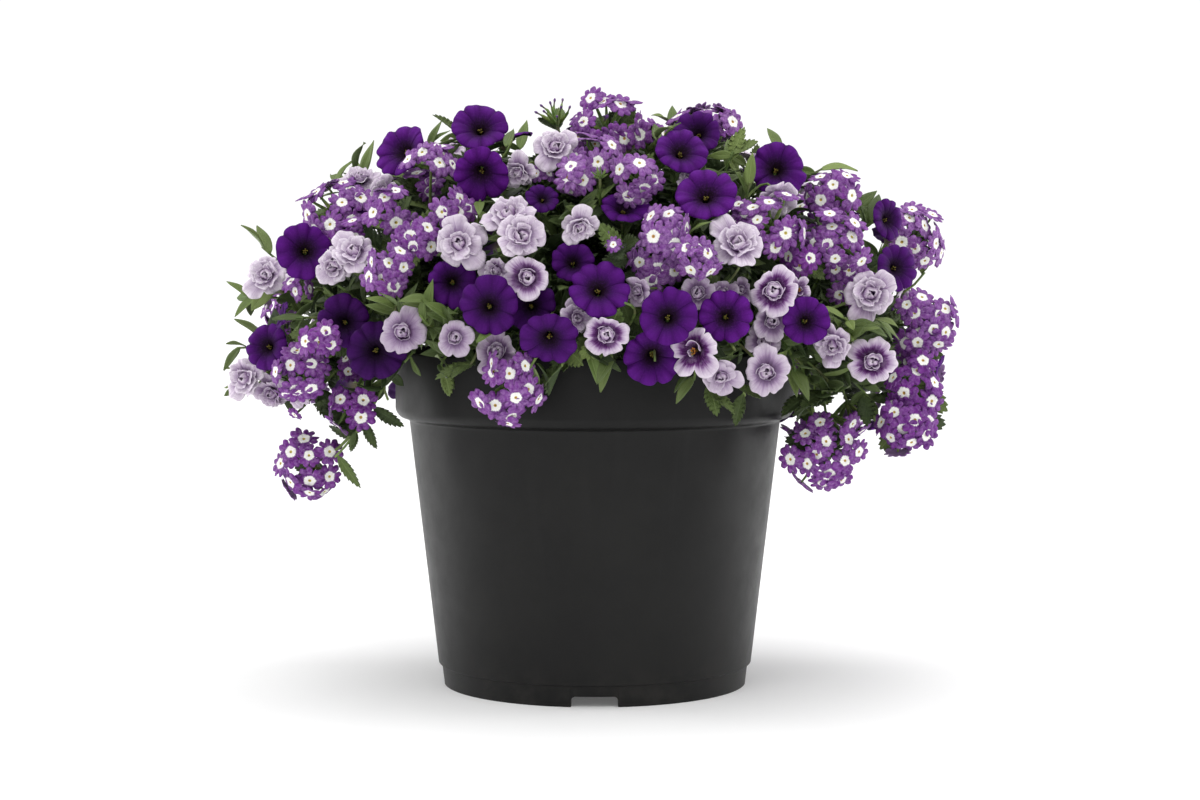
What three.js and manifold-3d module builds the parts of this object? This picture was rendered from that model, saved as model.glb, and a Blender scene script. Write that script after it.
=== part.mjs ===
// Mixed patio pot: a free-standing nursery pot filled with three trailing
// plants, two small-flowered petunias (one violet and single, one lilac and
// double) and a purple verbena. Millimetres, +Z up. The origin is the centre
// of the pot's foot on the ground. -Y is the side that the pot is seen from.
import * as THREE from 'three';
import { mergeVertices } from 'three/addons/utils/BufferGeometryUtils.js';
import Module from 'manifold-3d';

// ---------------------------------------------------------------- dimensions
const POT_HEIGHT = 213;          // ground to lip
const RIM_RADIUS = 127;          // collar, outside
const COLLAR_HEIGHT = 43;        // from lip to the step under the collar
const NECK_RADIUS = 118;         // body just under the collar
const SHOULDER_RADIUS = 100;     // body just above the foot
const FOOT_RADIUS = 98.3;        // foot ring, upper edge
const BASE_RADIUS = 96.7;        // foot ring, on the ground
const FOOT_HEIGHT = 13;
const WALL = 2.2;
const FLOOR_UNDERSIDE = 8;
const FLOOR_THICKNESS = 2.6;
const NOTCH_WIDTH = 29;          // drainage notches in the foot ring
const NOTCH_HEIGHT = 6.4;
const DRAIN_RADIUS = 6;
const DRAIN_CIRCLE = 66;
const POT_SIDES = 36;

const SOIL_CROWN = 203;          // potting mix, middle
const SOIL_EDGE = 196;           // potting mix, at the wall
const GAP = 0.3;                 // clearance between neighbouring pieces

const TRUNK_SIDES = 4;
const BLOOM_SIDES = { V: 5, L: 6, B: 6 };
const TRUNK_RADIUS = { V: 1.9, L: 1.9, B: 2.1, S: 2.0 };
const TWIG_RADIUS = { V: 0.9, L: 0.9, B: 1.1, S: 1.1 };
const VIOLET_DEPTH = 14;         // mouth to calyx of a single bloom
const LILAC_DEPTH = 12;
const UMBEL_RISE = 0.28;         // of the umbel's radius
const UMBEL_DROP = 0.5;
const BLOOM_FULLNESS = 0.93;     // solid radius against the ruffled outline
const STALK_SAG = 3.2;           // a stalk that bows less than this is straight
const LEAF_THICKNESS = 1.5;

// kind, centre of the mouth, facing direction, radius
const BLOOMS = [
  ['B', [137.3,-95,153], [0,-0.99,-0.138],25.4],
  ['B', [-159.2,-83.5,303], [-0.25,-0.828,0.503],24.2],
  ['B', [69.3,-31,358.2], [0,-0.309,0.951],23.7],
  ['B', [207.1,-10,285.5], [0.5,-0.828,0.252],23.4],
  ['B', [-176.4,-70,142.3], [-0.1,-0.966,-0.24],23.3],
  ['B', [-49.5,-168,198.3], [0,-0.971,-0.24],23],
  ['B', [206.2,-60,235.2], [0.2,-0.945,0.26],22.8],
  ['B', [195.5,-80,192.6], [0.1,-0.994,-0.038],20.7],
  ['B', [143.9,-120.4,283.1], [0.1,-0.993,0.062],20.1],
  ['B', [-176.8,-105,203.1], [-0.1,-0.994,-0.038],18.6],
  ['V', [65.2,-135.5,309.9], [0,-0.833,0.553],18.1],
  ['V', [-117.3,-60.4,338], [-0.45,-0.798,0.401],17.8],
  ['V', [-70.1,-61.1,352], [0,-0.833,0.553],17.7],
  ['V', [-173.3,-100,277.1], [0.12,-0.98,0.162],17.7],
  ['V', [108.8,-95.1,326.1], [0,-0.951,0.31],17.7],
  ['V', [51.5,-105.6,336.5], [0.15,-0.785,0.6],17.2],
  ['V', [-60.2,-171.9,245.5], [0,-0.998,0.063],17.1],
  ['V', [42.1,-176.2,239.9], [0,-0.965,0.261],17.1],
  ['B', [-119.3,-146.1,266.3], [0,-0.998,0.063],16.9],
  ['V', [-66.8,-121,322.5], [0,-0.94,-0.342],16.8],
  ['B', [42.5,-155.5,291.2], [0,-0.833,0.553],16.7],
  ['L', [83.1,-152.1,281.4], [0,-0.879,0.476],15.6],
  ['L', [162.6,-123.6,251.3], [0,-0.998,0.063],14.8],
  ['L', [-78.2,-153.2,281.4], [0.05,-0.992,0.112],14.4],
  ['L', [103.7,-157.7,253.8], [-0.05,-0.997,0.062],14.4],
  ['L', [57,-174.4,219.9], [-0.55,-0.834,-0.048],14.3],
  ['L', [-49.4,-149,298.2], [-0.1,-0.738,0.667],13.9],
  ['L', [-41.4,-166.7,285.5], [0.1,-0.982,0.162],13.8],
  ['L', [-141.4,-126.8,276.1], [0,-0.833,0.553],13.5],
  ['L', [163.9,-131.1,212.1], [0.05,-0.997,0.062],13.5],
  ['L', [-215.3,-60,198.8], [-0.45,-0.891,0.056],12.9],
  ['L', [-200.9,-67.2,261.7], [-0.25,-0.955,0.16],12.8],
  ['L', [-38.6,-164.8,262], [-0.1,-0.993,0.062],12.6],
  ['L', [6.7,-180.1,229.2], [0,-1,0.013],12.5],
  ['L', [-23.4,-108.1,338.2], [0.2,-0.912,0.358],12.5],
  ['B', [103.9,-134.3,293.1], [0,-0.933,0.359],21.6],
  ['B', [190,-87,168.1], [0,-0.94,-0.342],20.6],
  ['B', [2.1,-101.8,335.5], [0,-0.744,0.668],19.7],
  ['B', [36.4,-145.4,271], [0,-0.999,-0.037],19.2],
  ['V', [-25.7,-179.4,226.4], [0,-0.896,-0.445],16.8],
  ['B', [-119.6,-118,302], [0,-0.951,0.31],16],
  ['L', [-56.3,-154.7,218.4], [-0.1,-0.96,0.261],13.3],
  ['L', [108.6,-115.7,306.7], [0.2,-0.772,-0.603],12.4],
  ['L', [-143.6,-62.1,320.9], [0,-0.613,0.79],11.6],
  ['B', [144,-84.5,311.4], [0,-0.965,0.261],18.1],
  ['V', [33.2,-163.9,216.5], [0,-0.99,-0.138],17.3],
  ['B', [24.5,-125.5,317.7], [0,-1,0.013],15.9],
  ['V', [182.1,-91.3,266.9], [0.45,-0.879,0.155],14.4],
  ['V', [181,-55.9,295.9], [0.62,-0.77,0.148],13.5],
  ['L', [99.6,-162.1,207.2], [0,-0.999,-0.037],13.3],
  ['B', [8.2,-72.5,353.4], [0,-0.913,0.408],26.1],
  ['B', [-97.9,-86,332.4], [0.1,-0.64,0.762],18.7],
  ['V', [2.1,-168.3,255.7], [0,-0.89,0.457],17.2],
  ['V', [75.7,-164.5,239], [0,-0.998,0.063],15.5],
  ['V', [-198.6,-88.3,219.1], [-0.4,-0.903,0.157],15.1],
  ['L', [-155.1,-114.2,267.7], [-0.3,-0.922,-0.243],11.9],
  ['B', [153.4,-96.4,257.9], [0,-0.998,0.063],18],
  ['V', [17.4,-123.2,302.5], [0.1,-0.64,0.762],15.3],
  ['V', [-82.6,-148.7,259.4], [0,-0.987,0.162],15.1],
  ['V', [123.1,-146.5,236.1], [0.1,-0.993,0.062],14.5],
  ['L', [-110.9,-152.3,229.9], [0,-0.998,0.063],13.3],
  ['L', [139.6,-139.4,221.8], [-0.5,-0.83,-0.249],11.7],
  ['B', [-23.9,-41,360.9], [-0.1,-0.446,0.89],17.3],
  ['B', [202.4,-47.3,214.9], [0.2,-0.978,0.061],16.1],
  ['V', [-36.8,-147.1,245.4], [0,-0.987,0.162],15.7],
  ['V', [-143.5,-49.9,311.4], [0,-0.99,-0.138],14.2],
  ['V', [63.2,-63.4,348.9], [-0.1,-0.858,0.505],15.3],
  ['V', [-148.3,-119.3,234.6], [0,-0.998,0.063],16],
  ['V', [-129.1,-130.2,217.9], [0,-0.999,-0.037],17.6],
  ['V', [7.8,0,355.9], [0.204,-0.062,0.977],17.8],
  ['B', [-205.5,63.6,245.4], [-0.843,0.126,0.523],25.6],
  ['L', [-27.1,173,175.8], [0.19,0.778,-0.599],14.3],
  ['B', [174.8,126.1,208.8], [0.566,0.623,0.539],23.9],
  ['V', [-66.1,163.4,279.8], [-0.089,0.763,0.64],17.8],
  ['L', [5.5,188,206.2], [-0.034,0.943,0.331],16.1],
  ['B', [-76.4,178.9,217.8], [-0.298,0.809,0.506],27.1],
  ['V', [-126.5,143.6,175.9], [-0.314,0.449,-0.837],18.1],
  ['L', [-85.6,52.8,342.7], [-0.259,0.259,0.931],14.8],
  ['B', [75.3,140,163.5], [0.283,0.407,-0.868],25],
  ['V', [55.9,182.8,224.4], [0.377,0.905,0.198],17.4],
  ['B', [109.1,154.4,269.2], [0.262,0.606,0.751],25.5],
  ['L', [-96.1,-0.9,339], [-0.243,-0.172,0.955],15.2],
  ['B', [71.5,130.6,317.4], [0.019,0.568,0.823],27.8],
  ['V', [114.6,75.3,325.6], [0.185,0.072,0.98],18.3],
  ['L', [-193.4,26.4,272.7], [-0.743,0.031,0.668],15.2],
  ['B', [145.9,-40.6,162.2], [0.114,-0.197,-0.974],27.7],
  ['V', [191.8,5.2,167.1], [0.308,0.149,-0.94],18.6],
  ['L', [-128.2,-7.8,322], [-0.387,-0.224,0.895],16.5],
  ['B', [71.8,67,350.7], [-0.013,0.422,0.907],25.7],
  ['V', [-150.4,36.2,313.2], [-0.582,0.089,0.808],17.6],
  ['B', [-198,87.4,185.7], [-0.685,0.367,-0.63],23.9],
  ['L', [132.1,50.3,316.2], [0.415,-0.072,0.907],14.7],
  ['B', [-202.8,-20,214.2], [-0.917,0.013,0.398],27.6],
  ['V', [-100.6,146.9,287.7], [-0.418,0.45,0.789],18.7],
  ['L', [117.5,12,324.5], [0.357,-0.005,0.934],15.5],
  ['B', [-173,110.7,265], [-0.731,0.485,0.48],24.4],
  ['V', [180.3,103.9,262.1], [0.571,0.629,0.527],18.7],
  ['V', [-2.3,49,357.7], [-0.141,0.149,0.979],18],
  ['B', [-64.5,118.6,328.3], [-0.044,0.391,0.919],23.9],
  ['L', [2.6,154.9,303], [-0.056,0.593,0.803],16.3],
  ['B', [-130.8,154.4,240.5], [-0.466,0.742,0.482],26.3],
  ['V', [-59.3,15.5,349.2], [-0.124,0.003,0.992],18.8],
  ['L', [107.5,35.1,334.9], [0.404,0.068,0.912],15.5],
  ['B', [126.6,157.1,189.2], [0.386,0.858,-0.34],23.8],
  ['V', [215.6,-5.2,193.5], [0.917,-0.062,-0.393],18.5],
  ['L', [-178,121.9,222.4], [-0.33,0.792,0.514],14.6],
  ['B', [34.2,28.4,351.3], [0.07,-0.083,0.994],24],
  ['V', [23.2,89.9,349.2], [0.015,0.024,1],19],
  ['B', [-40.1,180.3,249.8], [0.046,0.699,0.714],23.8],
  ['L', [-156.4,-17.4,309.1], [-0.494,0.019,0.87],14.7],
  ['B', [170.9,67.7,165], [0.307,0.069,-0.949],24.3],
  ['V', [128.2,114,164], [0.377,0.142,-0.915],17.8],
  ['L', [204.7,46.1,237.9], [0.888,0.199,0.415],14.5],
  ['B', [-212.5,24.8,208.7], [-0.907,-0.065,0.415],24.9],
  ['L', [123.7,-41.3,315.5], [0.18,-0.196,0.964],15.2],
  ['V', [121.8,161.3,229.6], [0.253,0.867,0.43],17.3],
  ['L', [-201,-26.3,254.1], [-0.818,-0.216,0.534],14.4],
  ['B', [216.9,42.1,197.1], [0.968,0.133,-0.213],23.7],
  ['V', [123.8,120.2,303.4], [0.228,0.466,0.855],18.2],
  ['L', [-30,148.4,308.7], [-0.216,0.676,0.705],15.6],
  ['B', [52.5,159.2,283.7], [0.193,0.8,0.568],23.6],
  ['V', [150.7,-9.5,303.9], [0.379,0.012,0.925],18.4],
  ['B', [-127.1,84.3,320.4], [-0.114,0.251,0.961],26.9],
  ['V', [194,1.5,228.7], [0.869,-0.075,0.489],17.7],
  ['B', [34.6,175.5,178.6], [0.311,0.828,-0.466],24],
  ['B', [197.1,84.4,203], [0.879,0.361,0.311],26.2],
  ['V', [-165.4,121.1,180.4], [-0.521,0.681,-0.515],17.7],
  ['L', [199.2,17.9,244.8], [0.93,-0.013,0.366],16.4],
  ['B', [23.9,180.9,252.8], [-0.062,0.791,0.608],24],
  ['V', [195.5,51,283], [0.693,0.202,0.693],17.2],
  ['L', [-119.5,35.1,325.7], [-0.423,0.278,0.863],15.9],
  ['B', [139.3,21.2,301.1], [0.35,-0.199,0.915],23.8],
  ['V', [-171,-27.6,284.4], [-0.808,-0.283,0.516],17.4],
  ['B', [-64,142.1,163], [-0.257,0.236,-0.937],25],
  ['L', [160.1,71.6,310.2], [0.191,0.162,0.968],14],
  ['B', [-168.8,71.4,291.2], [-0.544,0.359,0.758],23],
];

// name, kind, [soil point, two control points, end], twigs: [bloom, fork, control point, control point]
const SPRAYS = [
  ['verbena_spray_01', 'B', [[-61.3,-24.6,194.8],[-61.3,-24.6,228.8],[-97.7,-40,244.7],[-121.9,-50.3,228.9]], [
    [4, [-121,-49.9,229.1], [-129.9,-88,185.2], [-147.4,-84,155.7]],
  ]],
  ['verbena_spray_02', 'B', [[56.8,-25.7,195],[56.8,-25.7,229],[98.3,-45.3,243.5],[125.9,-58.3,238.2]], [
    [0, [120.5,-55.8,238], [131.3,-92,180.6], [134.8,-94,172.3]],
    [7, [116,-53.6,237.8], [140.2,-62.4,241.8], [191.6,-41.1,194.1]],
    [36, [125,-57.9,238.2], [149.7,-68,242.2], [190,-49.2,181.9]],
    [85, [111.5,-51.5,237.7], [131,-56.6,241.7], [141.8,-33.5,197.3]],
  ]],
  ['verbena_spray_03', 'B', [[-56.9,24.8,195.1],[-56.9,24.8,229.1],[-99.1,42.7,240.1],[-127.2,54.6,241.2]], [
    [90, [-126.3,54.2,241], [-148.2,63.8,245], [-171.6,73.3,210]],
  ]],
  ['violet_calibrachoa_spray_01', 'V', [[60.7,12.9,195.1],[60.7,12.9,229.1],[100.8,22.2,243.2],[127.5,28.3,237]], [
    [86, [116.8,25.8,236.8], [143.1,26.3,240.8], [178.5,-1.3,207.6]],
    [104, [121.6,27,236.9], [148.5,26.4,240.9], [175.6,-2.5,210.7]],
    [111, [126.5,28.1,237], [148,47.7,241], [110.7,107.5,206.4]],
  ]],
  ['verbena_spray_04', 'B', [[26.8,53.6,195.2],[26.8,53.6,229.2],[48.4,93.4,249.5],[62.7,119.9,234.4]], [
    [78, [57.5,110.3,235.9], [66.5,127.2,239.9], [65.8,126.3,192.7]],
    [103, [62.3,119,234.6], [76.2,135.9,238.6], [112.6,126,201.6]],
    [124, [59.9,114.7,235.2], [63.9,136.2,239.2], [23.2,145.5,195.5]],
  ]],
  ['violet_calibrachoa_spray_02', 'V', [[-49.6,45,194.7],[-49.6,45,228.7],[-80.1,71.4,242.3],[-100.5,89,235]], [
    [76, [-95.9,85,235], [-110.1,101,239], [-114.8,126.8,207.2]],
    [126, [-99.7,88.3,235], [-117.9,101.2,239], [-145.3,94.9,200.2]],
  ]],
  ['lilac_calibrachoa_spray_01', 'L', [[-72.6,-23.5,194.1],[-72.6,-23.5,228.1],[-106.6,-33.7,249.3],[-129.2,-40.5,227]], [
    [30, [-128.3,-40.3,227.3], [-152.1,-45.8,231.3], [-195.9,-22.2,202.9]],
  ]],
  ['verbena_spray_05', 'B', [[-23.9,54.6,195.2],[-23.9,54.6,229.2],[-41.3,94.9,249],[-52.8,121.8,241.8]], [
    [75, [-50.5,116.3,241.6], [-57.6,132.8,245.6], [-66.5,151.9,200.9]],
    [133, [-52.4,120.8,241.8], [-60.4,139,245.8], [-55.2,134,195.3]],
  ]],
  ['lilac_calibrachoa_spray_02', 'L', [[-3.7,61.4,195.1],[-3.7,61.4,229.1],[-6.5,107,240.8],[-8.4,137.4,226.8]], [
    [71, [-8.4,136.4,227], [-11.1,151.8,231], [-32.8,149.7,193.7]],
    [74, [-8.1,131.5,227.9], [-7.6,146.5,231.9], [6.4,160.4,196.5]],
  ]],
  ['verbena_spray_06', 'B', [[68.7,31.7,194.1],[68.7,31.7,228.1],[104.7,48,250.1],[128.6,58.9,240.7]], [
    [72, [127.7,58.5,240.6], [146.5,71.8,244.6], [152.8,104.5,188.4]],
    [110, [123.1,56.4,240.5], [143.7,64.6,244.5], [158.2,64.2,202.3]],
    [125, [118.6,54.3,240.4], [140,63.5,244.4], [162.9,69.4,193.1]],
  ]],
  ['verbena_spray_07', 'B', [[-53.7,-30.9,195.1],[-53.7,-30.9,229.1],[-92.9,-52.8,246.5],[-119,-67.4,226.8]], [
    [9, [-118.1,-67,227.1], [-135.1,-76.2,231.1], [-173.7,-74.4,204.2]],
  ]],
  ['verbena_spray_08', 'B', [[75.4,13.4,194.1],[75.4,13.4,228.1],[112.9,19,243.4],[137.9,22.8,240.7]], [
    [117, [136.9,22.6,240.5], [159.5,27.1,244.5], [181.6,40.1,208.8]],
  ]],
  ['verbena_spray_09', 'B', [[-16.8,-57.1,195.2],[-16.8,-57.1,229.2],[-30.6,-99.6,245.8],[-39.8,-127.9,228.2]], [
    [5, [-39.5,-127,228.4], [-43.1,-138.3,232.4], [-49.5,-144.4,204.2]],
  ]],
  ['lilac_calibrachoa_spray_03', 'L', [[29.3,-56.4,195],[29.3,-56.4,229],[49.8,-93.6,249.3],[63.5,-118.4,233.7]], [
    [49, [63,-117.6,233.8], [71.6,-130.5,237.8], [99.6,-132.4,208.3]],
  ]],
  ['verbena_spray_10', 'B', [[-70.6,0.8,194.5],[-70.6,0.8,228.5],[-109.4,1.3,244.3],[-135.2,1.6,226.3]], [
    [92, [-129.4,1.5,227.8], [-148.3,-0.5,231.8], [-170.9,-20.5,200.4]],
    [113, [-134.3,1.6,226.5], [-155.2,4.2,230.5], [-180,27.1,193.8]],
  ]],
  ['lilac_calibrachoa_spray_04', 'L', [[55.7,-44.6,194.4],[55.7,-44.6,228.4],[87.8,-68.9,241.8],[109.2,-85.1,231.5]], [
    [29, [108.4,-84.5,231.5], [123.8,-95.7,235.5], [162.2,-97.5,210]],
  ]],
  ['violet_calibrachoa_spray_03', 'V', [[18.8,-48,195.7],[20.8,-53.1,221.8],[36.9,-93.8,215.8],[44.3,-112.5,224]], [
    [17, [42.2,-107,222.8], [53.6,-117.3,222], [40.1,-143.1,231]],
    [45, [38.5,-97.9,220.8], [39.8,-106.1,227.9], [34,-133,220.2]],
    [53, [40.3,-102.5,221.8], [43.7,-127.2,230.3], [73.5,-127.9,239.2]],
    [59, [44,-111.6,223.8], [52.2,-134.7,229.3], [122.7,-106.7,241.2]],
  ]],
  ['violet_calibrachoa_spray_04', 'V', [[-55,-37.5,194.8],[-61,-41.1,228],[-107.1,-69.2,217.2],[-129.5,-82.8,226.8]], [
    [13, [-128.6,-82.3,226.6], [-149.8,-94.2,239.1], [-176.4,-66.3,266.6]],
    [54, [-124.4,-79.7,225.9], [-142.5,-86.9,229.9], [-188.3,-57,212.3]],
    [67, [-111.7,-72,223.5], [-127.3,-76.8,223.6], [-149.2,-89.3,233.5]],
    [68, [-116,-74.6,224.3], [-128.9,-78.6,224.9], [-128.9,-103.3,224.1]],
  ]],
  ['lilac_calibrachoa_spray_05', 'L', [[41.3,-47.3,195],[45,-51.6,222.2],[74,-84.8,215.4],[87.7,-100.6,224]], [
    [22, [87.1,-99.8,223.8], [102.7,-117.8,228.6], [162.6,-85.8,248.9]],
    [24, [80.6,-92.4,221.8], [93.4,-107.1,225.7], [105.4,-124.6,251.7]],
    [61, [83.8,-96.1,222.8], [97.4,-111.7,227], [156.8,-110.8,230.4]],
  ]],
  ['lilac_calibrachoa_spray_06', 'L', [[-9.4,-53.3,195.5],[-10.3,-58.9,224.2],[-17.3,-102.7,218.7],[-20.7,-123.9,228.6]], [
    [27, [-20.5,-122.9,228.4], [-20.8,-141.7,234.8], [-48.9,-139.3,277.8]],
    [32, [-17.5,-103.7,223.6], [-19,-119.6,230.5], [-38.9,-129.3,261.5]],
    [33, [-18.2,-108.5,224.8], [-17.8,-134.3,229.6], [5.3,-153.9,232.5]],
    [41, [-16.7,-98.9,222.4], [-22.6,-114.3,226.4], [-53.1,-123,211.5]],
  ]],
  ['lilac_calibrachoa_spray_07', 'L', [[-72.4,13.9,194.3],[-77.1,14,218.5],[-113.2,15.2,215.8],[-130.6,15.7,225.1]], [
    [31, [-124.9,15.5,223.3], [-152.7,16.5,232.1], [-194.7,-22,254]],
    [84, [-115.4,15.2,220.4], [-141,20,227.2], [-164.2,25.4,248]],
    [105, [-129.7,15.7,224.8], [-154.8,31.9,228.8], [-156.9,88.7,204.6]],
    [116, [-120.1,15.4,221.8], [-143.3,21.2,225], [-170,-19.7,238.1]],
  ]],
  ['lilac_calibrachoa_spray_08', 'L', [[-41.3,-46.5,195.1],[-45,-50.6,224.8],[-73.8,-83.1,223],[-87.8,-98.8,234.9]], [
    [23, [-80.8,-91,231.3], [-94,-105.8,238.2], [-79.9,-119,277.6]],
    [28, [-84,-94.5,233], [-97.5,-109.7,239.9], [-141.4,-97.8,256.8]],
    [55, [-87.1,-98.1,234.6], [-101.1,-113.7,241.8], [-144.4,-81.3,276.4]],
    [60, [-77.7,-87.5,229.7], [-89.5,-100.7,235.8], [-110.9,-120.4,227.9]],
  ]],
  ['violet_calibrachoa_spray_05', 'V', [[-8.4,-42.2,196.1],[-9.1,-47.2,225.5],[-14.6,-85.7,228.5],[-17.3,-104.4,242.4]], [
    [16, [-16,-95.4,238], [-20.1,-111.9,250], [-58.4,-133.5,242.2]],
    [19, [-17.2,-103.5,242], [-20,-127.4,249.7], [-68.9,-79.1,336.3]],
    [39, [-15.5,-91.4,236], [-18.5,-111.4,246.8], [-26.3,-147.7,245.8]],
    [52, [-14.3,-83.4,232], [-23.2,-105.1,246.1], [3.6,-136,231]],
    [58, [-16.6,-99.5,240], [-22.2,-113.5,245.4], [-79.4,-111.9,251.7]],
    [64, [-13.7,-79.3,230], [-10.3,-94.5,239], [-39.3,-120.6,239.7]],
  ]],
  ['lilac_calibrachoa_spray_09', 'L', [[22.8,-42.9,195.8],[25.3,-49.1,234.7],[44.8,-97,238.2],[54.3,-120.2,256.4]], [
    [21, [48.8,-106.8,249.4], [54.2,-121.3,263], [83.4,-127,266.3]],
    [25, [50.5,-111,251.6], [55.1,-123.2,261], [71.8,-143.9,225.1]],
    [42, [53.9,-119.3,255.9], [62.9,-139,265.1], [97.5,-82.2,330.7]],
  ]],
  ['verbena_spray_11', 'B', [[58.1,-19.3,195.1],[63.3,-21,225.5],[103.9,-34.5,225.5],[123.5,-41,238.5]], [
    [3, [122.6,-40.7,238.1], [148.8,-49.5,249.1], [185.7,25.4,274.7]],
    [6, [105,-34.9,230.7], [131.5,-43.7,241.8], [197.7,-19.6,224.1]],
    [8, [118.2,-39.3,236.3], [141.7,-47.1,246.1], [140.1,-82.8,280.8]],
    [44, [109.4,-36.3,232.6], [134,-44.5,242.9], [144,-47.5,301.4]],
    [56, [96.2,-32,227], [118.8,-39.5,236.5], [153.4,-60.6,255.7]],
    [63, [100.6,-33.4,228.9], [128.5,-39,232.9], [194.4,-8.1,212.5]],
    [131, [113.8,-37.8,234.4], [136.6,-45.4,243.9], [125.7,28.9,265.7]],
  ]],
  ['violet_calibrachoa_spray_06', 'V', [[44.9,47.1,194.9],[48.6,50,218],[77.9,72.4,215.6],[91.3,82.8,224]], [
    [79, [86.7,79.2,222.4], [114.2,96.8,231.4], [41.5,137.9,215.4]],
    [83, [82.9,76.3,221], [100.7,95,229.1], [106.9,77.5,283.5]],
    [96, [79.1,73.4,219.6], [106.4,89.1,228.9], [158.2,76.8,239.3]],
    [115, [71.5,67.5,216.9], [93.3,84.2,227.7], [110.3,119.5,210.9]],
    [118, [75.3,70.4,218.3], [90.9,88.1,225.7], [111.3,100.5,267.7]],
    [129, [90.5,82.2,223.7], [117.4,103.5,225.3], [164,43,245.2]],
  ]],
  ['verbena_spray_12', 'B', [[-54.8,32.9,194.9],[-59.7,35.9,226.5],[-97.9,58.9,226.4],[-116.4,70,239.9]], [
    [70, [-115.6,69.5,239.6], [-134.8,81.1,248.3], [-173.7,58.9,225.8]],
    [95, [-99.6,59.9,232.2], [-119.7,72,241.4], [-145.1,92.1,246.6]],
    [100, [-111.6,67.1,237.7], [-130.6,78.6,246.4], [-113.2,126.4,222.3]],
    [122, [-107.6,64.7,235.9], [-125.9,75.7,244.3], [-122.9,75,284.7]],
    [135, [-103.6,62.3,234.1], [-122.1,73.4,242.5], [-149.5,58.7,264.3]],
  ]],
  ['violet_calibrachoa_spray_07', 'V', [[64.2,-14,194.8],[69.4,-15.1,223.6],[109.6,-23.7,222.7],[129.1,-27.8,234.7]], [
    [47, [128.2,-27.6,234.3], [152.7,-31.1,243], [169.2,-57.5,262]],
    [48, [123.6,-26.7,232.6], [146.6,-30.7,246.9], [152.8,-22.7,291.2]],
    [121, [114.4,-24.7,229.1], [134.3,-34.6,241.6], [142.7,-16.6,276.1]],
    [123, [119,-25.7,230.8], [139,-28.9,240], [162.1,7.3,217.8]],
  ]],
  ['verbena_spray_13', 'B', [[15.2,-42.4,196],[17.4,-47.8,231.6],[35.1,-89.5,237.2],[43.6,-109.7,254.8]], [
    [20, [34.7,-88.7,242.3], [41.1,-106.4,256.7], [49.2,-130.4,273.3]],
    [35, [41.6,-104.8,251.9], [47.9,-122.7,263.4], [106.9,-104.7,279.4]],
    [38, [33,-84.7,239.8], [44.6,-102.2,238.6], [38.2,-119.9,269.9]],
  ]],
  ['violet_calibrachoa_spray_08', 'V', [[-27.6,59.2,194.9],[-31.1,63.9,229.3],[-58.5,100.3,232.8],[-71.7,118,249.1]], [
    [73, [-68.5,113.7,246.5], [-79.8,127.9,250.7], [-62.1,145.8,262.1]],
    [93, [-71.1,117.2,248.7], [-81.3,125.4,254.2], [-88.6,132.2,266.2]],
  ]],
  ['verbena_spray_14', 'B', [[-43.3,-37.5,195.4],[-47.2,-40.9,227.3],[-77.3,-67.1,232.8],[-92,-79.8,248.9]], [
    [1, [-86.2,-74.8,244.5], [-103.5,-89.8,257.6], [-149.4,-50.8,283.1]],
    [18, [-73.5,-63.8,234.9], [-91.7,-79.6,248.7], [-119.3,-108.6,264]],
    [40, [-71,-61.6,232.9], [-89.9,-78,247.2], [-119.6,-81.6,290.1]],
    [51, [-83.7,-72.6,242.6], [-100.4,-87.1,255.2], [-101.5,-63,305]],
  ]],
  ['lilac_calibrachoa_spray_10', 'L', [[50.7,9.5,195.7],[56.5,10.4,233.4],[101.1,17.3,241.9],[122.7,20.7,261.8]], [
    [91, [101.1,17.3,247.8], [116.9,16.4,262.8], [117.8,54.4,288.2]],
    [94, [96.9,16.7,245.1], [113.7,23.7,250.4], [108.6,12.3,291.2]],
    [102, [105.2,17.9,250.5], [119.3,18.4,260.4], [90.7,24,301.4]],
    [112, [121.9,20.5,261.2], [144.3,22.7,280.7], [169.2,35.6,218.8]],
    [114, [117.7,19.9,258.5], [133.3,23.8,267.2], [117,-36.5,280.3]],
    [127, [109.4,18.6,253.1], [127.1,22.6,270.1], [161.9,18,231.1]],
    [134, [113.6,19.2,255.8], [133.6,27,265], [149.1,65.7,280.6]],
  ]],
  ['verbena_spray_15', 'B', [[8.7,41.7,196.1],[9.5,45.4,227.4],[15.6,74.5,240.5],[18.6,88.6,259.6]], [
    [80, [18.4,87.9,258.9], [23,109.9,281.3], [97.1,126.7,234.7]],
    [82, [14.3,68.3,238.9], [18.8,90,260.9], [70.6,104.3,279.2]],
    [88, [16.1,76.6,247.5], [20.8,99.3,270.5], [72.4,47.3,308.2]],
    [98, [17.8,85.1,256], [22.5,107.3,278.6], [-62.6,100.8,286.6]],
    [106, [16.6,79.5,250.3], [21.2,101.2,272.4], [31,32.1,307]],
    [108, [17.2,82.3,253.2], [21.9,104.7,276], [-42.2,148.4,217.2]],
    [120, [13.7,65.5,236], [18.1,86.6,257.4], [44.1,124.4,259]],
    [128, [14.9,71,241.8], [19.3,92.2,263.2], [26.6,146.3,226.2]],
  ]],
  ['lilac_calibrachoa_spray_11', 'L', [[-16.1,-43.4,195.9],[-17.3,-47.3,228.4],[-26.9,-77,241.8],[-31.5,-91.3,261.5]], [
    [26, [-28,-80.4,250.3], [-34.8,-95.6,266.7], [-46.4,-123,281.2]],
    [34, [-31.3,-90.7,260.8], [-34.6,-98.4,276], [-29.2,-75.8,327.6]],
  ]],
  ['violet_calibrachoa_spray_09', 'V', [[-44.4,-11.1,195.9],[-48.4,-12.1,230.9],[-79.3,-19.8,246.2],[-94.3,-23.5,267.8]], [
    [11, [-86.9,-21.7,259.8], [-103.4,-25.8,277.7], [-99.7,-29.1,322.3]],
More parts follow.
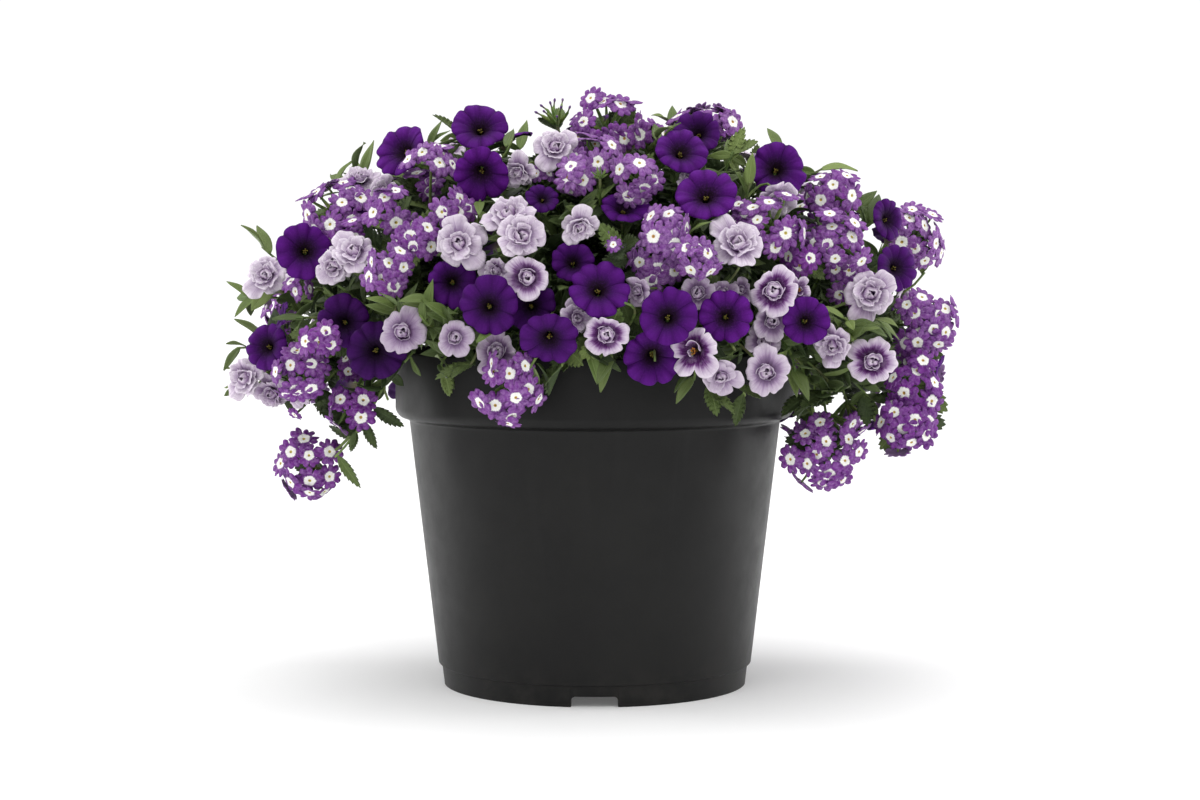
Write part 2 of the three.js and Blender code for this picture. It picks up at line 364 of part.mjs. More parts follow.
    [12, [-93.6,-23.4,267.1], [-110.8,-27.6,285.7], [-70.1,-27.4,329.7]],
    [65, [-83.6,-20.9,256.2], [-100.5,-25.1,274.5], [-143.5,-10.3,316.9]],
    [89, [-90.3,-22.5,263.4], [-107.8,-26.9,282.4], [-126.6,32.6,280.1]],
    [132, [-80.3,-20,252.6], [-97.1,-24.2,270.9], [-138.7,-16.2,263.8]],
  ]],
  ['lilac_calibrachoa_spray_12', 'L', [[-36.3,-10.4,196.3],[-39.2,-12.5,225.7],[-61.6,-28.5,238.3],[-72.4,-36.3,256.3]], [
    [43, [-66.3,-31.9,248.7], [-85.3,-44.3,268.1], [-140.8,-35.6,286.7]],
    [81, [-60.7,-27.9,241.7], [-82.3,-36.3,261.5], [-84,5.9,296.6]],
    [87, [-57.9,-25.9,238.2], [-74.2,-31.3,256.7], [-110.1,-1.4,284.7]],
    [109, [-63.5,-29.9,245.2], [-80.1,-45.2,264.8], [-132.9,-19.7,273.1]],
    [130, [-71.9,-35.9,255.6], [-88.4,-50.5,276.4], [-98.3,16.2,287.2]],
  ]],
  ['violet_calibrachoa_spray_10', 'V', [[20.8,-35.5,196.1],[22.7,-38.7,231.1],[37.2,-63.6,248.4],[44.2,-75.6,270.8]], [
    [10, [40.7,-69.6,262.2], [47.7,-81.4,279.1], [65.2,-105.3,289.9]],
    [14, [43.9,-75,270], [51.9,-88.7,289.4], [108.8,-57.3,313.8]],
    [15, [39.1,-66.8,258.4], [46.5,-79.4,276.2], [45.9,-76.1,314]],
    [57, [37.6,-64.1,254.5], [44,-75.1,270.1], [14,-101.1,276.3]],
    [66, [42.3,-72.3,266.1], [50.2,-85.7,285.2], [67.1,-29.8,329.1]],
  ]],
  ['lilac_calibrachoa_spray_13', 'L', [[-11.6,35.2,196.3],[-12.3,38.4,227.5],[-18.3,63.2,242.9],[-21.2,75.1,262.9]], [
    [77, [-21.1,74.5,262.2], [-24.1,95.2,287.1], [-78,41.5,298.3]],
    [99, [-20.3,71.5,258.3], [-21.6,87.3,280.4], [3.2,131.8,270.2]],
    [119, [-18.8,65.4,250.5], [-20.7,82.8,274.3], [-21.3,123.2,278.7]],
  ]],
  ['verbena_spray_16', 'B', [[1.7,-31,196.5],[1.9,-33.8,232.2],[3.1,-55.4,253.4],[3.6,-65.9,277.7]], [
    [2, [3.6,-65.4,276.8], [4.4,-80.5,304.1], [69.3,-17.3,316.1]],
    [37, [2.7,-48.7,246.1], [3.4,-62.5,271.1], [2.1,-72.3,309]],
    [46, [3.1,-55.8,259.3], [3.8,-68.5,282.4], [24.5,-89.9,317.3]],
    [50, [3.2,-58.2,263.7], [3.9,-70.5,286], [8.2,-36.5,337.3]],
    [62, [3.5,-63,272.5], [4.2,-75.9,295.9], [-20.3,-24.7,328.2]],
  ]],
  ['violet_calibrachoa_spray_11', 'V', [[-2.6,13.1,196.9],[-2.8,14.3,234.4],[-4.6,23.5,260.3],[-5.5,27.9,287.5]], [
    [69, [-5.1,25.7,276.7], [-5.9,30,297.8], [0.4,2.2,320.8]],
    [97, [-4.9,24.7,271.8], [-5.8,29.3,294.3], [3,43.4,321]],
    [101, [-5.3,26.7,281.6], [-6.2,31.3,304.1], [-54.6,15.4,312]],
    [107, [-5.5,27.7,286.5], [-6.5,32.8,311.2], [22.6,88.9,309.2]],
  ]],
];

// name, stem as above, twigs: [fork, control point, control point, tip], leaves: [foot, direction, face normal, length, width]
const SHOOTS = [
  ['leafy_shoot_01', [[-37.6,50.7,195],[-41.2,55.5,224.2],[-69.2,92.5,216.7],[-82.8,110.5,226]], [
    [[-76.3,101.9,223.8], [-87.6,118.2,232], [-81,110.6,287.4], [-92.8,126.6,309.4]],
    [[-82.2,109.7,225.8], [-105,132.2,239.5], [-142.1,80.1,262.9], [-161.4,96,289.7]],
    [[-67.4,90.1,220.8], [-86.1,116.6,235.2], [-87.7,144,244.6], [-92.7,162.5,258]],
    [[-79.2,105.8,224.8], [-85.9,125.7,237], [-158.9,102.5,222.3], [-166.5,126.9,233.1]],
    [[-70.4,94.1,221.8], [-82.4,114.2,225.8], [-88.5,140.9,197.2], [-100.2,167.8,195.2]],
    [[-73.3,98,222.8], [-89.6,112.1,226.8], [-123.9,87.6,184.5], [-118.7,102.9,160.9]],
  ], [
    [[-92.6,126.2,307.9], [-0.221,0.206,0.953], [0.231,-0.939,0.256], 18.4, 7.1],
    [[-160,96.3,288.4], [-0.113,-0.122,0.986], [0.256,-0.963,-0.089], 22.6, 7.2],
    [[-92.3,160.7,257.1], [-0.581,0.763,0.283], [-0.08,-0.4,0.913], 22.5, 7.2],
    [[-91.5,157,255.1], [0.003,0.991,0.132], [0.001,-0.132,0.991], 24.8, 7.9],
    [[-164.2,126.2,232.9], [-0.793,0.501,0.347], [0.04,-0.526,0.85], 22.3, 7.2],
    [[-99.8,166.9,195.5], [-0.477,0.531,0.701], [0.173,-0.725,0.667], 21.2, 6.8],
    [[-98,162.1,197.4], [0.078,0.68,-0.729], [0.319,0.676,0.665], 25.7, 8.2],
    [[-118.1,102.7,162.7], [0.024,0.067,-0.998], [0.048,-0.997,-0.065], 21.3, 6.8],
    [[-116.9,102.4,166.3], [-0.001,-0.001,-1], [-0.001,-1,0.001], 24.4, 7.8],
  ]],
  ['leafy_shoot_02', [[-69.4,-8.5,194.5],[-69.4,-8.5,228.5],[-106.1,-13.6,244.7],[-130.6,-17,230.6]], [
    [[-114.9,-14.9,233.1], [-146,-18.5,237.1], [-193.4,-21.1,214.5], [-224.8,-26.3,215.3]],
    [[-129.6,-16.9,230.8], [-159.1,-20.6,234.8], [-206,-28.9,199.7], [-231.4,-28.9,202.8]],
    [[-119.8,-15.5,232.3], [-151.6,-20.2,236.3], [-191.4,-24.2,195.5], [-224.7,-32.7,189.2]],
    [[-124.7,-16.2,231.5], [-155.8,-17.6,222.3], [-191.2,31.5,209.9], [-219.1,37,220.6]],
  ], [
    [[-223,-26.1,215.6], [-0.542,-0.381,-0.749], [-0.279,-0.759,0.588], 18.8, 6],
    [[-219.3,-25.7,216.3], [-0.584,-0.776,0.238], [0.431,-0.049,0.901], 17.8, 5.7],
    [[-223.8,-32.5,189.7], [-0.395,-0.9,-0.184], [0.12,-0.249,0.961], 16.3, 5.2],
    [[-218.9,-31.6,192], [-0.942,0.336,-0.02], [-0.177,-0.445,0.878], 16.3, 5.2],
    [[-217.2,35.8,220.5], [-0.772,-0.191,0.607], [0.611,-0.487,0.624], 21.9, 7],
  ]],
  ['leafy_shoot_03', [[24,-19.9,196.5],[26.9,-23.2,226.5],[49.7,-48.6,234.7],[60.7,-61,251.1]], [
    [[57.5,-57.3,247.6], [71.8,-74.3,274.6], [48.2,-70.3,317.9], [36.5,-82.6,348.1]],
    [[54.7,-54.3,244.7], [72,-74.8,265.2], [71.2,-81.6,311.8], [83.1,-92.9,335.8]],
    [[52,-51.3,241.8], [66.2,-68.2,267.9], [85.2,-92.8,284.8], [92.2,-112.9,316.8]],
    [[60.2,-60.4,250.5], [76.1,-80.4,272.4], [114.9,-52.6,315.7], [139,-63.3,326.4]],
  ], [
    [[38.6,-81.5,342.8], [-0.145,0.761,0.633], [0.025,-0.636,0.771], 18.5, 5.9],
    [[82.7,-92.4,334.3], [0.79,-0.106,0.604], [-0.556,-0.537,0.634], 18.9, 7.4],
    [[81.7,-91,330.4], [0.353,0.04,0.935], [-0.454,-0.866,0.208], 23.3, 9],
    [[91.6,-111.7,315.3], [0.102,0.02,0.995], [-0.165,-0.986,0.037], 21.4, 6.9],
    [[90.1,-109,312], [0.146,0.11,0.983], [-0.193,-0.972,0.137], 21, 6.7],
    [[138,-63.3,325.6], [0.982,-0.006,0.19], [-0.167,-0.506,0.846], 24.9, 8],
    [[133.8,-63.6,322.2], [0.876,-0.096,-0.472], [0.339,-0.573,0.746], 22.9, 7.3],
  ]],
  ['leafy_shoot_04', [[13.4,62,195],[13.4,62,229],[22.6,105.2,248.1],[28.7,134.1,231.1]], [
    [[25.5,118.7,234], [28.9,134.9,224.5], [50,162.3,235.9], [47.8,176.5,248.4]],
    [[27.5,128.3,232.2], [31.6,148,220.7], [-21.5,163.2,211.3], [-25.3,183.6,221.5]],
    [[28.5,133.1,231.3], [39.6,152.9,235.3], [96.4,151.4,190.4], [95.9,170.4,205.6]],
    [[26.5,123.5,233.1], [30.4,143.5,237.1], [38,143.5,183.8], [31,158,169.1]],
  ], [
    [[47.2,174.8,247.4], [0.587,0.034,0.809], [-0.55,-0.717,0.429], 24.3, 7.8],
    [[-23.6,182,221.3], [-0.868,0.357,0.345], [0.105,-0.547,0.831], 27.6, 8.8],
    [[-20.5,179,221], [0.439,0.15,0.886], [-0.421,-0.837,0.35], 25.8, 8.3],
    [[94.5,169.6,206.1], [-0.23,0.945,-0.232], [-0.209,0.185,0.96], 21.6, 6.9],
    [[31.1,157.2,171.1], [-0.955,0.191,-0.226], [-0.291,-0.464,0.837], 22.9, 7.3],
  ]],
  ['leafy_shoot_05', [[-41.3,-17,196],[-46.1,-18,235.8],[-83.2,-25.8,252.3],[-101.1,-29.5,276.4]], [
    [[-83,-25.7,258.1], [-99.1,-29.6,280.4], [-141.1,-30.4,298.1], [-148.7,-39.7,327.6]],
    [[-90,-27.2,265.2], [-108.4,-29.1,290.7], [-150.2,-30.1,295.2], [-161.2,-39.7,318.9]],
    [[-86.5,-26.5,261.7], [-103.8,-31.5,282.9], [-101.6,-54.6,316.8], [-102.7,-58.6,343]],
    [[-100.4,-29.4,275.7], [-113.2,-40.6,306], [-56.5,-86.4,316.6], [-49.5,-91,343]],
    [[-96.9,-28.7,272.2], [-109,-31.2,292.7], [-74.9,23.9,319.7], [-87.2,22.9,352.2]],
    [[-93.5,-27.9,268.7], [-110.5,-30.6,294.5], [-140,19.9,299.6], [-156,24.4,322.4]],
  ], [
    [[-147.8,-39.4,326.5], [0.114,-0.544,0.831], [-0.89,0.317,0.329], 23.5, 7.5],
    [[-144.8,-38.5,322.7], [0.306,0.079,0.949], [-0.384,-0.902,0.199], 24.3, 7.8],
    [[-160.4,-39.5,318.3], [0.467,-0.18,0.866], [-0.723,-0.642,0.256], 18.7, 6],
    [[-156.2,-38.3,315], [-0.454,0.671,0.587], [0.08,-0.625,0.776], 22.7, 7.3],
    [[-102.6,-57.8,340.9], [0.775,-0.258,0.577], [-0.627,-0.434,0.647], 18.2, 5.8],
    [[-102.5,-56.5,337.4], [0.373,-0.198,0.906], [-0.706,-0.694,0.139], 21.9, 7],
    [[-53.3,-87.7,339.3], [0.212,0.747,0.63], [-0.037,-0.638,0.769], 19.6, 6.3],
    [[-87.3,21.9,350.4], [-0.721,-0.32,0.614], [0.692,-0.385,0.611], 22.7, 8.8],
    [[-154.5,23,321.2], [0.004,0.754,0.657], [-0.001,-0.657,0.754], 22.5, 7.2],
    [[-151.8,20.5,318.9], [-0.297,0.772,0.562], [0.03,-0.581,0.814], 19.5, 6.3],
  ]],
  ['leafy_shoot_06', [[40.9,-38.7,195.4],[40.9,-38.7,229.4],[73.8,-70.5,240.9],[95.6,-91.7,230]], [
    [[87.8,-84.1,231.2], [108.1,-108.6,222.9], [149.7,-111.6,228], [168.6,-123.6,237.1]],
    [[84.2,-80.7,231.8], [104.6,-99.1,226.4], [164.4,-129.3,223.9], [146.6,-138.5,237.6]],
    [[80.7,-77.2,232.3], [97.9,-88.9,236.3], [159.2,-86.5,191.4], [139.5,-95,190.5]],
    [[91.4,-87.6,230.7], [115.4,-97.5,234.7], [154.3,-67,205.2], [169.8,-70,184]],
    [[94.9,-91,230.1], [121.2,-99.7,234.1], [152.7,-56.4,188.5], [181.9,-60,194.5]],
    [[77.1,-73.7,232.9], [94.2,-86.4,236.9], [144.4,-90.4,203.2], [130.9,-97,184.6]],
    [[73.5,-70.3,233.5], [88.8,-87.8,237.5], [116.9,-131.5,231.1], [117.7,-135,205.8]],
  ], [
    [[166.5,-122.8,236.7], [0.491,-0.86,-0.139], [-0.16,-0.246,0.956], 22.3, 7.1],
    [[162.6,-121.3,235.8], [0.888,0.199,-0.415], [0.458,-0.46,0.76], 24.1, 7.7],
    [[145.9,-137.6,237.3], [-0.88,-0.093,0.466], [0.443,-0.513,0.735], 19.8, 6.3],
    [[143,-133.9,236.1], [-0.942,0.285,0.18], [0.012,-0.504,0.864], 17.5, 5.6],
    [[138.4,-94.6,191.8], [-0.615,-0.762,-0.201], [0.13,-0.349,0.928], 26.1, 12],
    [[135.9,-93.6,195], [-0.829,-0.283,0.482], [0.559,-0.412,0.72], 22.8, 10.5],
    [[169,-70.3,184.9], [0.976,0.216,0.024], [0.086,-0.483,0.872], 23.9, 11],
    [[165,-71.5,188.5], [0.05,-0.573,-0.818], [0.023,-0.818,0.574], 22.4, 10.3],
    [[180.4,-60.6,195.1], [0.767,0.349,0.538], [-0.234,-0.629,0.742], 18.9, 8.7],
    [[177,-61.9,196.4], [0.844,-0.039,-0.535], [0.418,-0.577,0.702], 19, 8.8],
    [[130.2,-96.6,186], [-0.58,0.522,-0.625], [-0.78,-0.135,0.611], 19.1, 8.8],
    [[128.3,-95.5,189.8], [-0.755,-0.387,-0.53], [-0.208,-0.625,0.752], 22.6, 10.4],
    [[116.9,-133.7,207], [0.332,-0.738,-0.587], [0.047,-0.608,0.792], 26.1, 8.3],
    [[115.3,-131.1,209.3], [0.165,-0.558,-0.813], [0.077,-0.815,0.575], 21.7, 7],
  ]],
  ['leafy_shoot_07', [[20.1,-67.1,194.5],[20.1,-67.1,228.5],[31.5,-105.5,247.1],[39,-131.1,237.4]], [
    [[37.3,-125.4,237.5], [44.2,-142.5,230.1], [78.9,-138.5,254.7], [83.6,-153.2,267.1]],
    [[33.1,-111,237.8], [43.6,-127.3,226.1], [75.5,-146.1,233.8], [80.8,-167.4,220.1]],
    [[34.5,-115.8,237.7], [32.1,-127.8,235.9], [54.5,-136.4,272.8], [55.6,-144.9,291.8]],
    [[35.9,-120.6,237.6], [43.3,-137.9,241.6], [70.1,-158.7,221.8], [68,-160,193.8]],
    [[38.8,-130.2,237.4], [48.5,-146.9,241.4], [85.8,-146.8,211.4], [87.6,-150,192.6]],
    [[31.7,-106.2,237.8], [38.3,-124.9,241.8], [63.3,-157.8,218.4], [57.5,-162,202.6]],
    [[30.3,-101.5,237.4], [34,-119.2,240.9], [34.7,-152.5,231.7], [34.9,-164.3,213.7]],
  ], [
    [[53.8,-142.9,286.4], [0.65,-0.619,0.441], [-0.622,-0.1,0.777], 21, 6.7],
    [[67.3,-159.2,195.9], [0.658,-0.488,-0.574], [0.172,-0.644,0.745], 21.7, 8.4],
    [[65.9,-157.7,199.9], [0.245,-0.568,-0.785], [0.106,-0.79,0.604], 22.5, 8.7],
    [[86.7,-149.8,194], [-0.277,0.044,-0.96], [-0.453,-0.887,0.09], 21.2, 8.2],
    [[84.1,-149.2,197.8], [0.691,-0.659,-0.298], [-0.049,-0.454,0.889], 17.9, 7],
    [[57,-160.7,204], [-0.544,-0.5,-0.674], [-0.193,-0.708,0.68], 20.6, 6.6],
    [[55.8,-157.6,207.3], [-0.641,0.35,-0.684], [-0.766,-0.361,0.533], 18, 5.8],
  ]],
  ['leafy_shoot_08', [[-45,-33.8,195.4],[-45,-33.8,229.4],[-82.1,-63.8,241.8],[-106.8,-83.8,234.2]], [
    [[-90.5,-70.6,234.9], [-100.3,-82.4,221.7], [-134.6,-100.2,240.4], [-151.7,-114.9,256]],
    [[-98.2,-76.9,234.6], [-122.8,-97,226.7], [-155.6,-97.2,238.4], [-177.6,-111.3,236.8]],
    [[-86.6,-67.4,235.1], [-101.5,-78.5,239.1], [-136.6,-88.1,206.1], [-124.7,-92,186.7]],
    [[-94.4,-73.7,234.8], [-113.3,-85.7,238.8], [-147.7,-79.1,192.8], [-138.4,-88,169.4]],
    [[-106,-83.1,234.3], [-118.2,-96,215.8], [-134.7,-89,173.1], [-157.5,-86,151.6]],
    [[-82.7,-64.3,235.3], [-96.3,-79.9,239.3], [-96.1,-123.6,230.5], [-111.6,-128,211.4]],
  ], [
    [[-172,-109.1,236.3], [-0.974,-0.221,0.054], [0.155,-0.471,0.868], 20.8, 6.7],
    [[-110.9,-126.6,212.4], [-0.651,0.347,-0.675], [-0.757,-0.363,0.543], 21.2, 8.2],
    [[-109.2,-123.6,214.6], [-0.915,0.246,-0.321], [-0.4,-0.438,0.805], 23.4, 9.1],
    [[-134.3,-89.8,182.5], [0.821,-0.061,-0.568], [-0.13,-0.988,-0.082], 24.8, 7],
    [[-139.7,-89,173.8], [0.394,-0.073,-0.916], [-0.151,-0.988,0.014], 20.5, 6],
    [[-144.2,-88.2,167.2], [-0.315,-0.105,-0.943], [-0.137,-0.978,0.155], 14.3, 5.6],
    [[-156.1,-86.2,152.9], [0.549,-0.057,-0.834], [-0.127,-0.992,-0.016], 26.2, 6.6],
    [[-145.1,-88,165.9], [-0.867,0.232,0.442], [-0.034,-0.911,0.412], 12.9, 7.6],
    [[-130.2,-90.3,189.6], [-0.937,0.29,0.193], [-0.204,-0.907,0.37], 17.3, 8],
  ]],
  ['leafy_shoot_09', [[-76.4,-17.3,193.9],[-81.6,-18.6,222.8],[-122.5,-28.6,221],[-142.2,-33.5,232.6]], [
    [[-141.3,-33.3,232.2], [-157.1,-35.6,244], [-190.8,-15.2,260.8], [-209,-22.7,278.6]],
    [[-136.7,-32.2,230.6], [-159.2,-37.6,245.3], [-195.9,-23.6,247.3], [-217.3,-33.3,247.5]],
  ], [
    [[-208.1,-22.8,277.9], [-0.415,-0.561,0.716], [0.86,0.013,0.51], 24, 7.7],
    [[-203.8,-23.2,274.7], [-0.415,0.47,0.779], [0.203,-0.787,0.583], 24.1, 7.7],
    [[-214.9,-33.2,247.3], [-0.801,0.036,0.597], [0.462,-0.597,0.655], 19.2, 6.1],
    [[-210.9,-33,247], [-0.678,-0.557,-0.48], [-0.094,-0.582,0.808], 20.9, 6.7],
  ]],
  ['leafy_shoot_10', [[-6.7,29.6,196.5],[-7.6,33.1,234],[-14.2,60.6,253.8],[-17.4,73.9,278.4]], [
    [[-17.2,73.4,277.6], [-23.5,92.2,301], [-20.7,18.7,335.7], [-24.1,28.8,361.1]],
    [[-15.2,64.8,265.4], [-16.1,70.3,285.8], [-45.8,80.6,316], [-51.1,87,344.3]],
    [[-15.9,67.7,269.5], [-22.1,81.6,293.7], [23.1,101.3,314.1], [27.6,107.1,337.3]],
    [[-16.6,70.5,273.5], [-18.4,81.8,292.5], [-38.4,139.4,274.9], [-31.6,155.8,295]],
  ], [
    [[-24,29.8,359.5], [0.101,0.776,0.622], [-0.015,-0.624,0.781], 18.4, 7.1],
    [[-50.5,86.7,343.1], [0.188,0.43,0.883], [-0.124,-0.882,0.456], 24.6, 7.9],
    [[26.7,106.5,336.1], [0.613,0.763,0.205], [0.128,-0.351,0.927], 16.5, 6.4],
    [[24.4,105,333.2], [0.034,0.87,0.493], [0,-0.493,0.87], 19.4, 7.5],
    [[-31.4,153.7,294.5], [-0.148,0.973,-0.18], [-0.124,0.162,0.979], 18.5, 7.2],
  ]],
  ['leafy_shoot_11', [[56.2,40.6,194.6],[56.2,40.6,228.6],[87.2,64.4,246.4],[107.8,80.2,241.5]], [
    [[107,79.6,241.4], [140.7,93.2,236.2], [189.8,-2,231.1], [211.2,8.4,262.1]],
    [[91.2,67.5,239.5], [113.4,81.2,231.8], [148.8,114.6,232.1], [148.8,135.8,251]],
    [[95.2,70.5,240], [117.3,89.7,236.2], [171.1,80.1,227.3], [195.9,92.4,230.9]],
    [[99.1,73.6,240.5], [118.9,92.3,244.5], [134.3,116.8,189.4], [145.8,138.4,184.8]],
    [[103.1,76.6,241], [127.6,86.3,245], [143.9,70.3,188.8], [144.8,57.4,158.5]],
  ], [
    [[209.7,9.6,261.3], [0.099,0.502,0.859], [-0.056,-0.859,0.509], 23.5, 9.1],
    [[147.7,133.9,250.2], [0.708,0.424,0.565], [-0.204,-0.643,0.738], 22.1, 7.1],
    [[146.2,131.2,249.1], [0.965,0.23,0.129], [0.003,-0.499,0.867], 22.8, 7.3],
    [[193.9,92.1,230.9], [0.8,-0.583,0.141], [-0.363,-0.284,0.887], 20.2, 7.8],
    [[144.8,136.8,186.3], [0.844,0.473,-0.253], [0.432,-0.319,0.844], 26.8, 8.6],
    [[144.5,57.9,159.9], [-0.406,-0.019,-0.914], [-0.509,-0.826,0.243], 16.7, 6.5],
  ]],
  ['leafy_shoot_12', [[-3,-61.8,195.1],[-2.2,-65.6,214.4],[4,-94.5,211.1],[7,-108.4,218]], [
    [[6.8,-107.5,217.7], [10.6,-124.8,223.3], [-2.5,-131.4,244.8], [-12.4,-140.3,263]],
    [[5.6,-101.6,216.2], [12.5,-113.6,222.6], [6.4,-126.6,249.8], [-0.8,-138.8,264.5]],
    [[6.2,-104.6,217], [11.1,-126,224.5], [34,-168.3,243.6], [17.5,-178.5,247.4]],
    [[4.3,-95.8,214.6], [6,-108.9,227], [-6.9,-148.4,232.1], [1.1,-167.5,242.3]],
    [[3.7,-92.9,213.8], [1.3,-114.2,217.8], [-18.4,-160.7,233.4], [-18.5,-166,210.9]],
    [[2.4,-87,212.2], [3.8,-109.8,216.2], [4,-166,241.4], [10.2,-168,215.6]],
    [[3,-90,213], [4.3,-106.8,221.2], [-0.9,-163.2,241.6], [-5.3,-170,220.3]],
    [[4.9,-98.7,215.4], [0.1,-120.9,219.4], [-26.7,-167.2,232.6], [-36.9,-168,209.8]],
  ], [
    [[-18.1,-164.8,211.3], [-0.608,0.517,-0.602], [-0.758,-0.154,0.634], 29.4, 11.5],
    [[-16.6,-160.1,212.8], [-0.536,0.565,-0.628], [-0.785,-0.059,0.617], 29.3, 11.4],
    [[10,-166.5,215.9], [-0.327,-0.816,-0.476], [-0.001,-0.504,0.864], 27.4, 7.3],
    [[9.3,-162.7,216.7], [-0.293,0.027,-0.956], [-0.457,-0.882,0.115], 22.9, 7.3],
    [[-5,-168.4,220.5], [0.86,-0.256,-0.441], [0.225,-0.584,0.78], 25.4, 8.1],
    [[-4.3,-163.8,221.3], [0.382,-0.111,-0.917], [0.419,-0.864,0.279], 23.6, 7.5],
    [[-35.6,-166.4,210.5], [0.081,0.573,-0.815], [0.669,0.575,0.471], 22.1, 7.1],
    [[-32.9,-163.2,211.9], [0.498,0.531,-0.685], [0.836,-0.085,0.542], 23.4, 7.5],
  ]],
  ['leafy_shoot_13', [[-40.7,-57.6,194.5],[-43.5,-61.2,218.4],[-64.8,-89,216.5],[-75.2,-102.4,226]], [
    [[-65.9,-90.3,220.9], [-78.4,-101.3,230.2], [-95.1,-138.4,231.2], [-94.2,-152.9,250.4]],
    [[-63.7,-87.5,219.7], [-75.5,-104.8,230.9], [-92.9,-143.1,225], [-100.7,-156.3,239.9]],
    [[-68,-93.2,222.1], [-74.4,-116.4,233], [-94,-151.6,227.3], [-78.4,-162.8,244.1]],
    [[-70.2,-96,223.3], [-76.3,-114.7,235.6], [-119.4,-136.6,228.1], [-115.8,-147.2,245.4]],
    [[-72.4,-98.8,224.5], [-88.9,-108.4,232.3], [-52.6,-150.8,248.8], [-54.1,-168.1,231.6]],
    [[-74.6,-101.7,225.7], [-92.3,-121.4,237.8], [-66.3,-117.4,286], [-67,-130.8,306.5]],
    [[-61.5,-84.6,218.5], [-70.2,-104.2,222.5], [-60.6,-154.6,230.8], [-71.7,-160,210.6]],
    [[-59.3,-81.8,217.3], [-69.8,-98.9,221.3], [-85.5,-140.3,225.2], [-89.9,-146,208.7]],
  ], [
    [[-97.7,-150.4,237.9], [0.143,-0.235,0.961], [-0.435,-0.887,-0.152], 24.5, 7.9],
    [[-115.1,-146.4,245], [-0.389,-0.791,0.472], [0.527,0.23,0.818], 20.4, 6.5],
    [[-111.9,-142.7,243], [0.459,0.287,0.841], [-0.331,-0.823,0.462], 19.4, 6.2],
    [[-56.1,-162.7,232.6], [-0.567,-0.752,-0.336], [0.048,-0.438,0.898], 20.3, 6.5],
    [[-67.3,-130.4,305.2], [0.018,-0.976,-0.215], [-0.006,-0.215,0.977], 19.7, 6.3],
    [[-71.5,-158.7,211.1], [-0.958,-0.204,-0.203], [-0.071,-0.516,0.853], 23.9, 9.3],
    [[-70.7,-154.2,212.7], [-0.542,-0.801,-0.255], [0.099,-0.362,0.927], 22.5, 8.7],
    [[-89.1,-144.2,209.4], [0.307,0.274,-0.911], [0.755,-0.653,0.058], 20.8, 8.1],
    [[-87.2,-140.1,211], [0.351,0.542,-0.764], [0.905,0.015,0.426], 20.6, 8],
  ]],
  ['leafy_shoot_14', [[52.5,16.1,195.5],[54.4,18.7,224.1],[69.5,38.9,237.3],[76.7,48.7,255.2]], [
    [[76.3,48.2,254.4], [93.8,64.4,283.7], [42.6,27.5,323.7], [48.7,31,358.7]],
    [[72.3,42.8,247], [83.8,51.3,267], [120,21.2,305.4], [120.1,22.5,341.4]],
    [[74.3,45.5,250.7], [83.4,53.1,286.4], [158.1,36.6,272.3], [170.9,50.6,305.6]],
  ], [
    [[49.2,31.4,357], [-0.483,-0.737,0.473], [0.598,0.117,0.793], 22.7, 7.2],
    [[50.8,32.6,352.2], [-0.014,0.558,0.83], [0.007,-0.83,0.558], 24.6, 7.9],
    [[119.4,23,339.3], [-0.322,0.494,0.807], [0.163,-0.811,0.562], 23.4, 7.5],
    [[169.9,50.5,305], [0.781,0.613,0.123], [0.159,-0.385,0.909], 21.8, 7],
    [[166,50.1,302.9], [0.808,0.297,0.508], [-0.246,-0.613,0.751], 20.7, 6.6],
  ]],
  ['leafy_shoot_15', [[36.2,40.9,195.5],[38.8,43.9,225.1],[58.8,66.4,236],[68.4,77.3,253.4]], [
    [[67.9,76.8,252.7], [79.1,89.4,272.8], [98.6,73.8,308.3], [107.1,84.7,330.6]],
    [[65.4,74,249.4], [76.4,86.3,269.1], [83.7,129.7,272.2], [94.1,142.7,291.8]],
  ], [
    [[106.1,84.6,328.5], [0.123,0.131,0.984], [-0.156,-0.976,0.149], 20.2, 7.8],
    [[93.4,141.1,290.8], [0.101,0.994,0.051], [0.051,-0.056,0.997], 23.6, 7.6],
  ]],
];

// ------------------------------------------------------------------- helpers
const wasm = await Module();
wasm.setup();
const V3 = (a) => new THREE.Vector3(a[0], a[1], a[2]);

function solid(geometry, matrix) {
  const g = geometry.index ? geometry.toNonIndexed() : geometry.clone();
  for (const key of Object.keys(g.attributes)) if (key !== 'position') g.deleteAttribute(key);
  if (matrix) g.applyMatrix4(matrix);
  const m = mergeVertices(g, 1e-4);
  const verts = new Float32Array(m.attributes.position.array);
  const idx = m.index.array;
  const tris = [];
  for (let i = 0; i < idx.length; i += 3) {
    const [a, b, c] = [idx[i], idx[i + 1], idx[i + 2]];
    if (a !== b && b !== c && a !== c) tris.push(a, b, c);
  }
  let vol = 0;
  for (let i = 0; i < tris.length; i += 3) {
    const p = tris.slice(i, i + 3).map((k) => [verts[3 * k], verts[3 * k + 1], verts[3 * k + 2]]);
    vol += p[0][0] * (p[1][1] * p[2][2] - p[1][2] * p[2][1])
      - p[0][1] * (p[1][0] * p[2][2] - p[1][2] * p[2][0])
      + p[0][2] * (p[1][0] * p[2][1] - p[1][1] * p[2][0]);
  }
  if (vol < 0) for (let i = 0; i < tris.length; i += 3) [tris[i + 1], tris[i + 2]] = [tris[i + 2], tris[i + 1]];
  return new wasm.Manifold(new wasm.Mesh({
    numProp: 3, vertProperties: verts, triVerts: new Uint32Array(tris),
  }));
}

const unite = (list) => list.reduce((a, b) => a.add(b));

function largest(m) {
  const parts = m.decompose();
  return parts.reduce((a, b) => (b.volume() > a.volume() ? b : a));
}

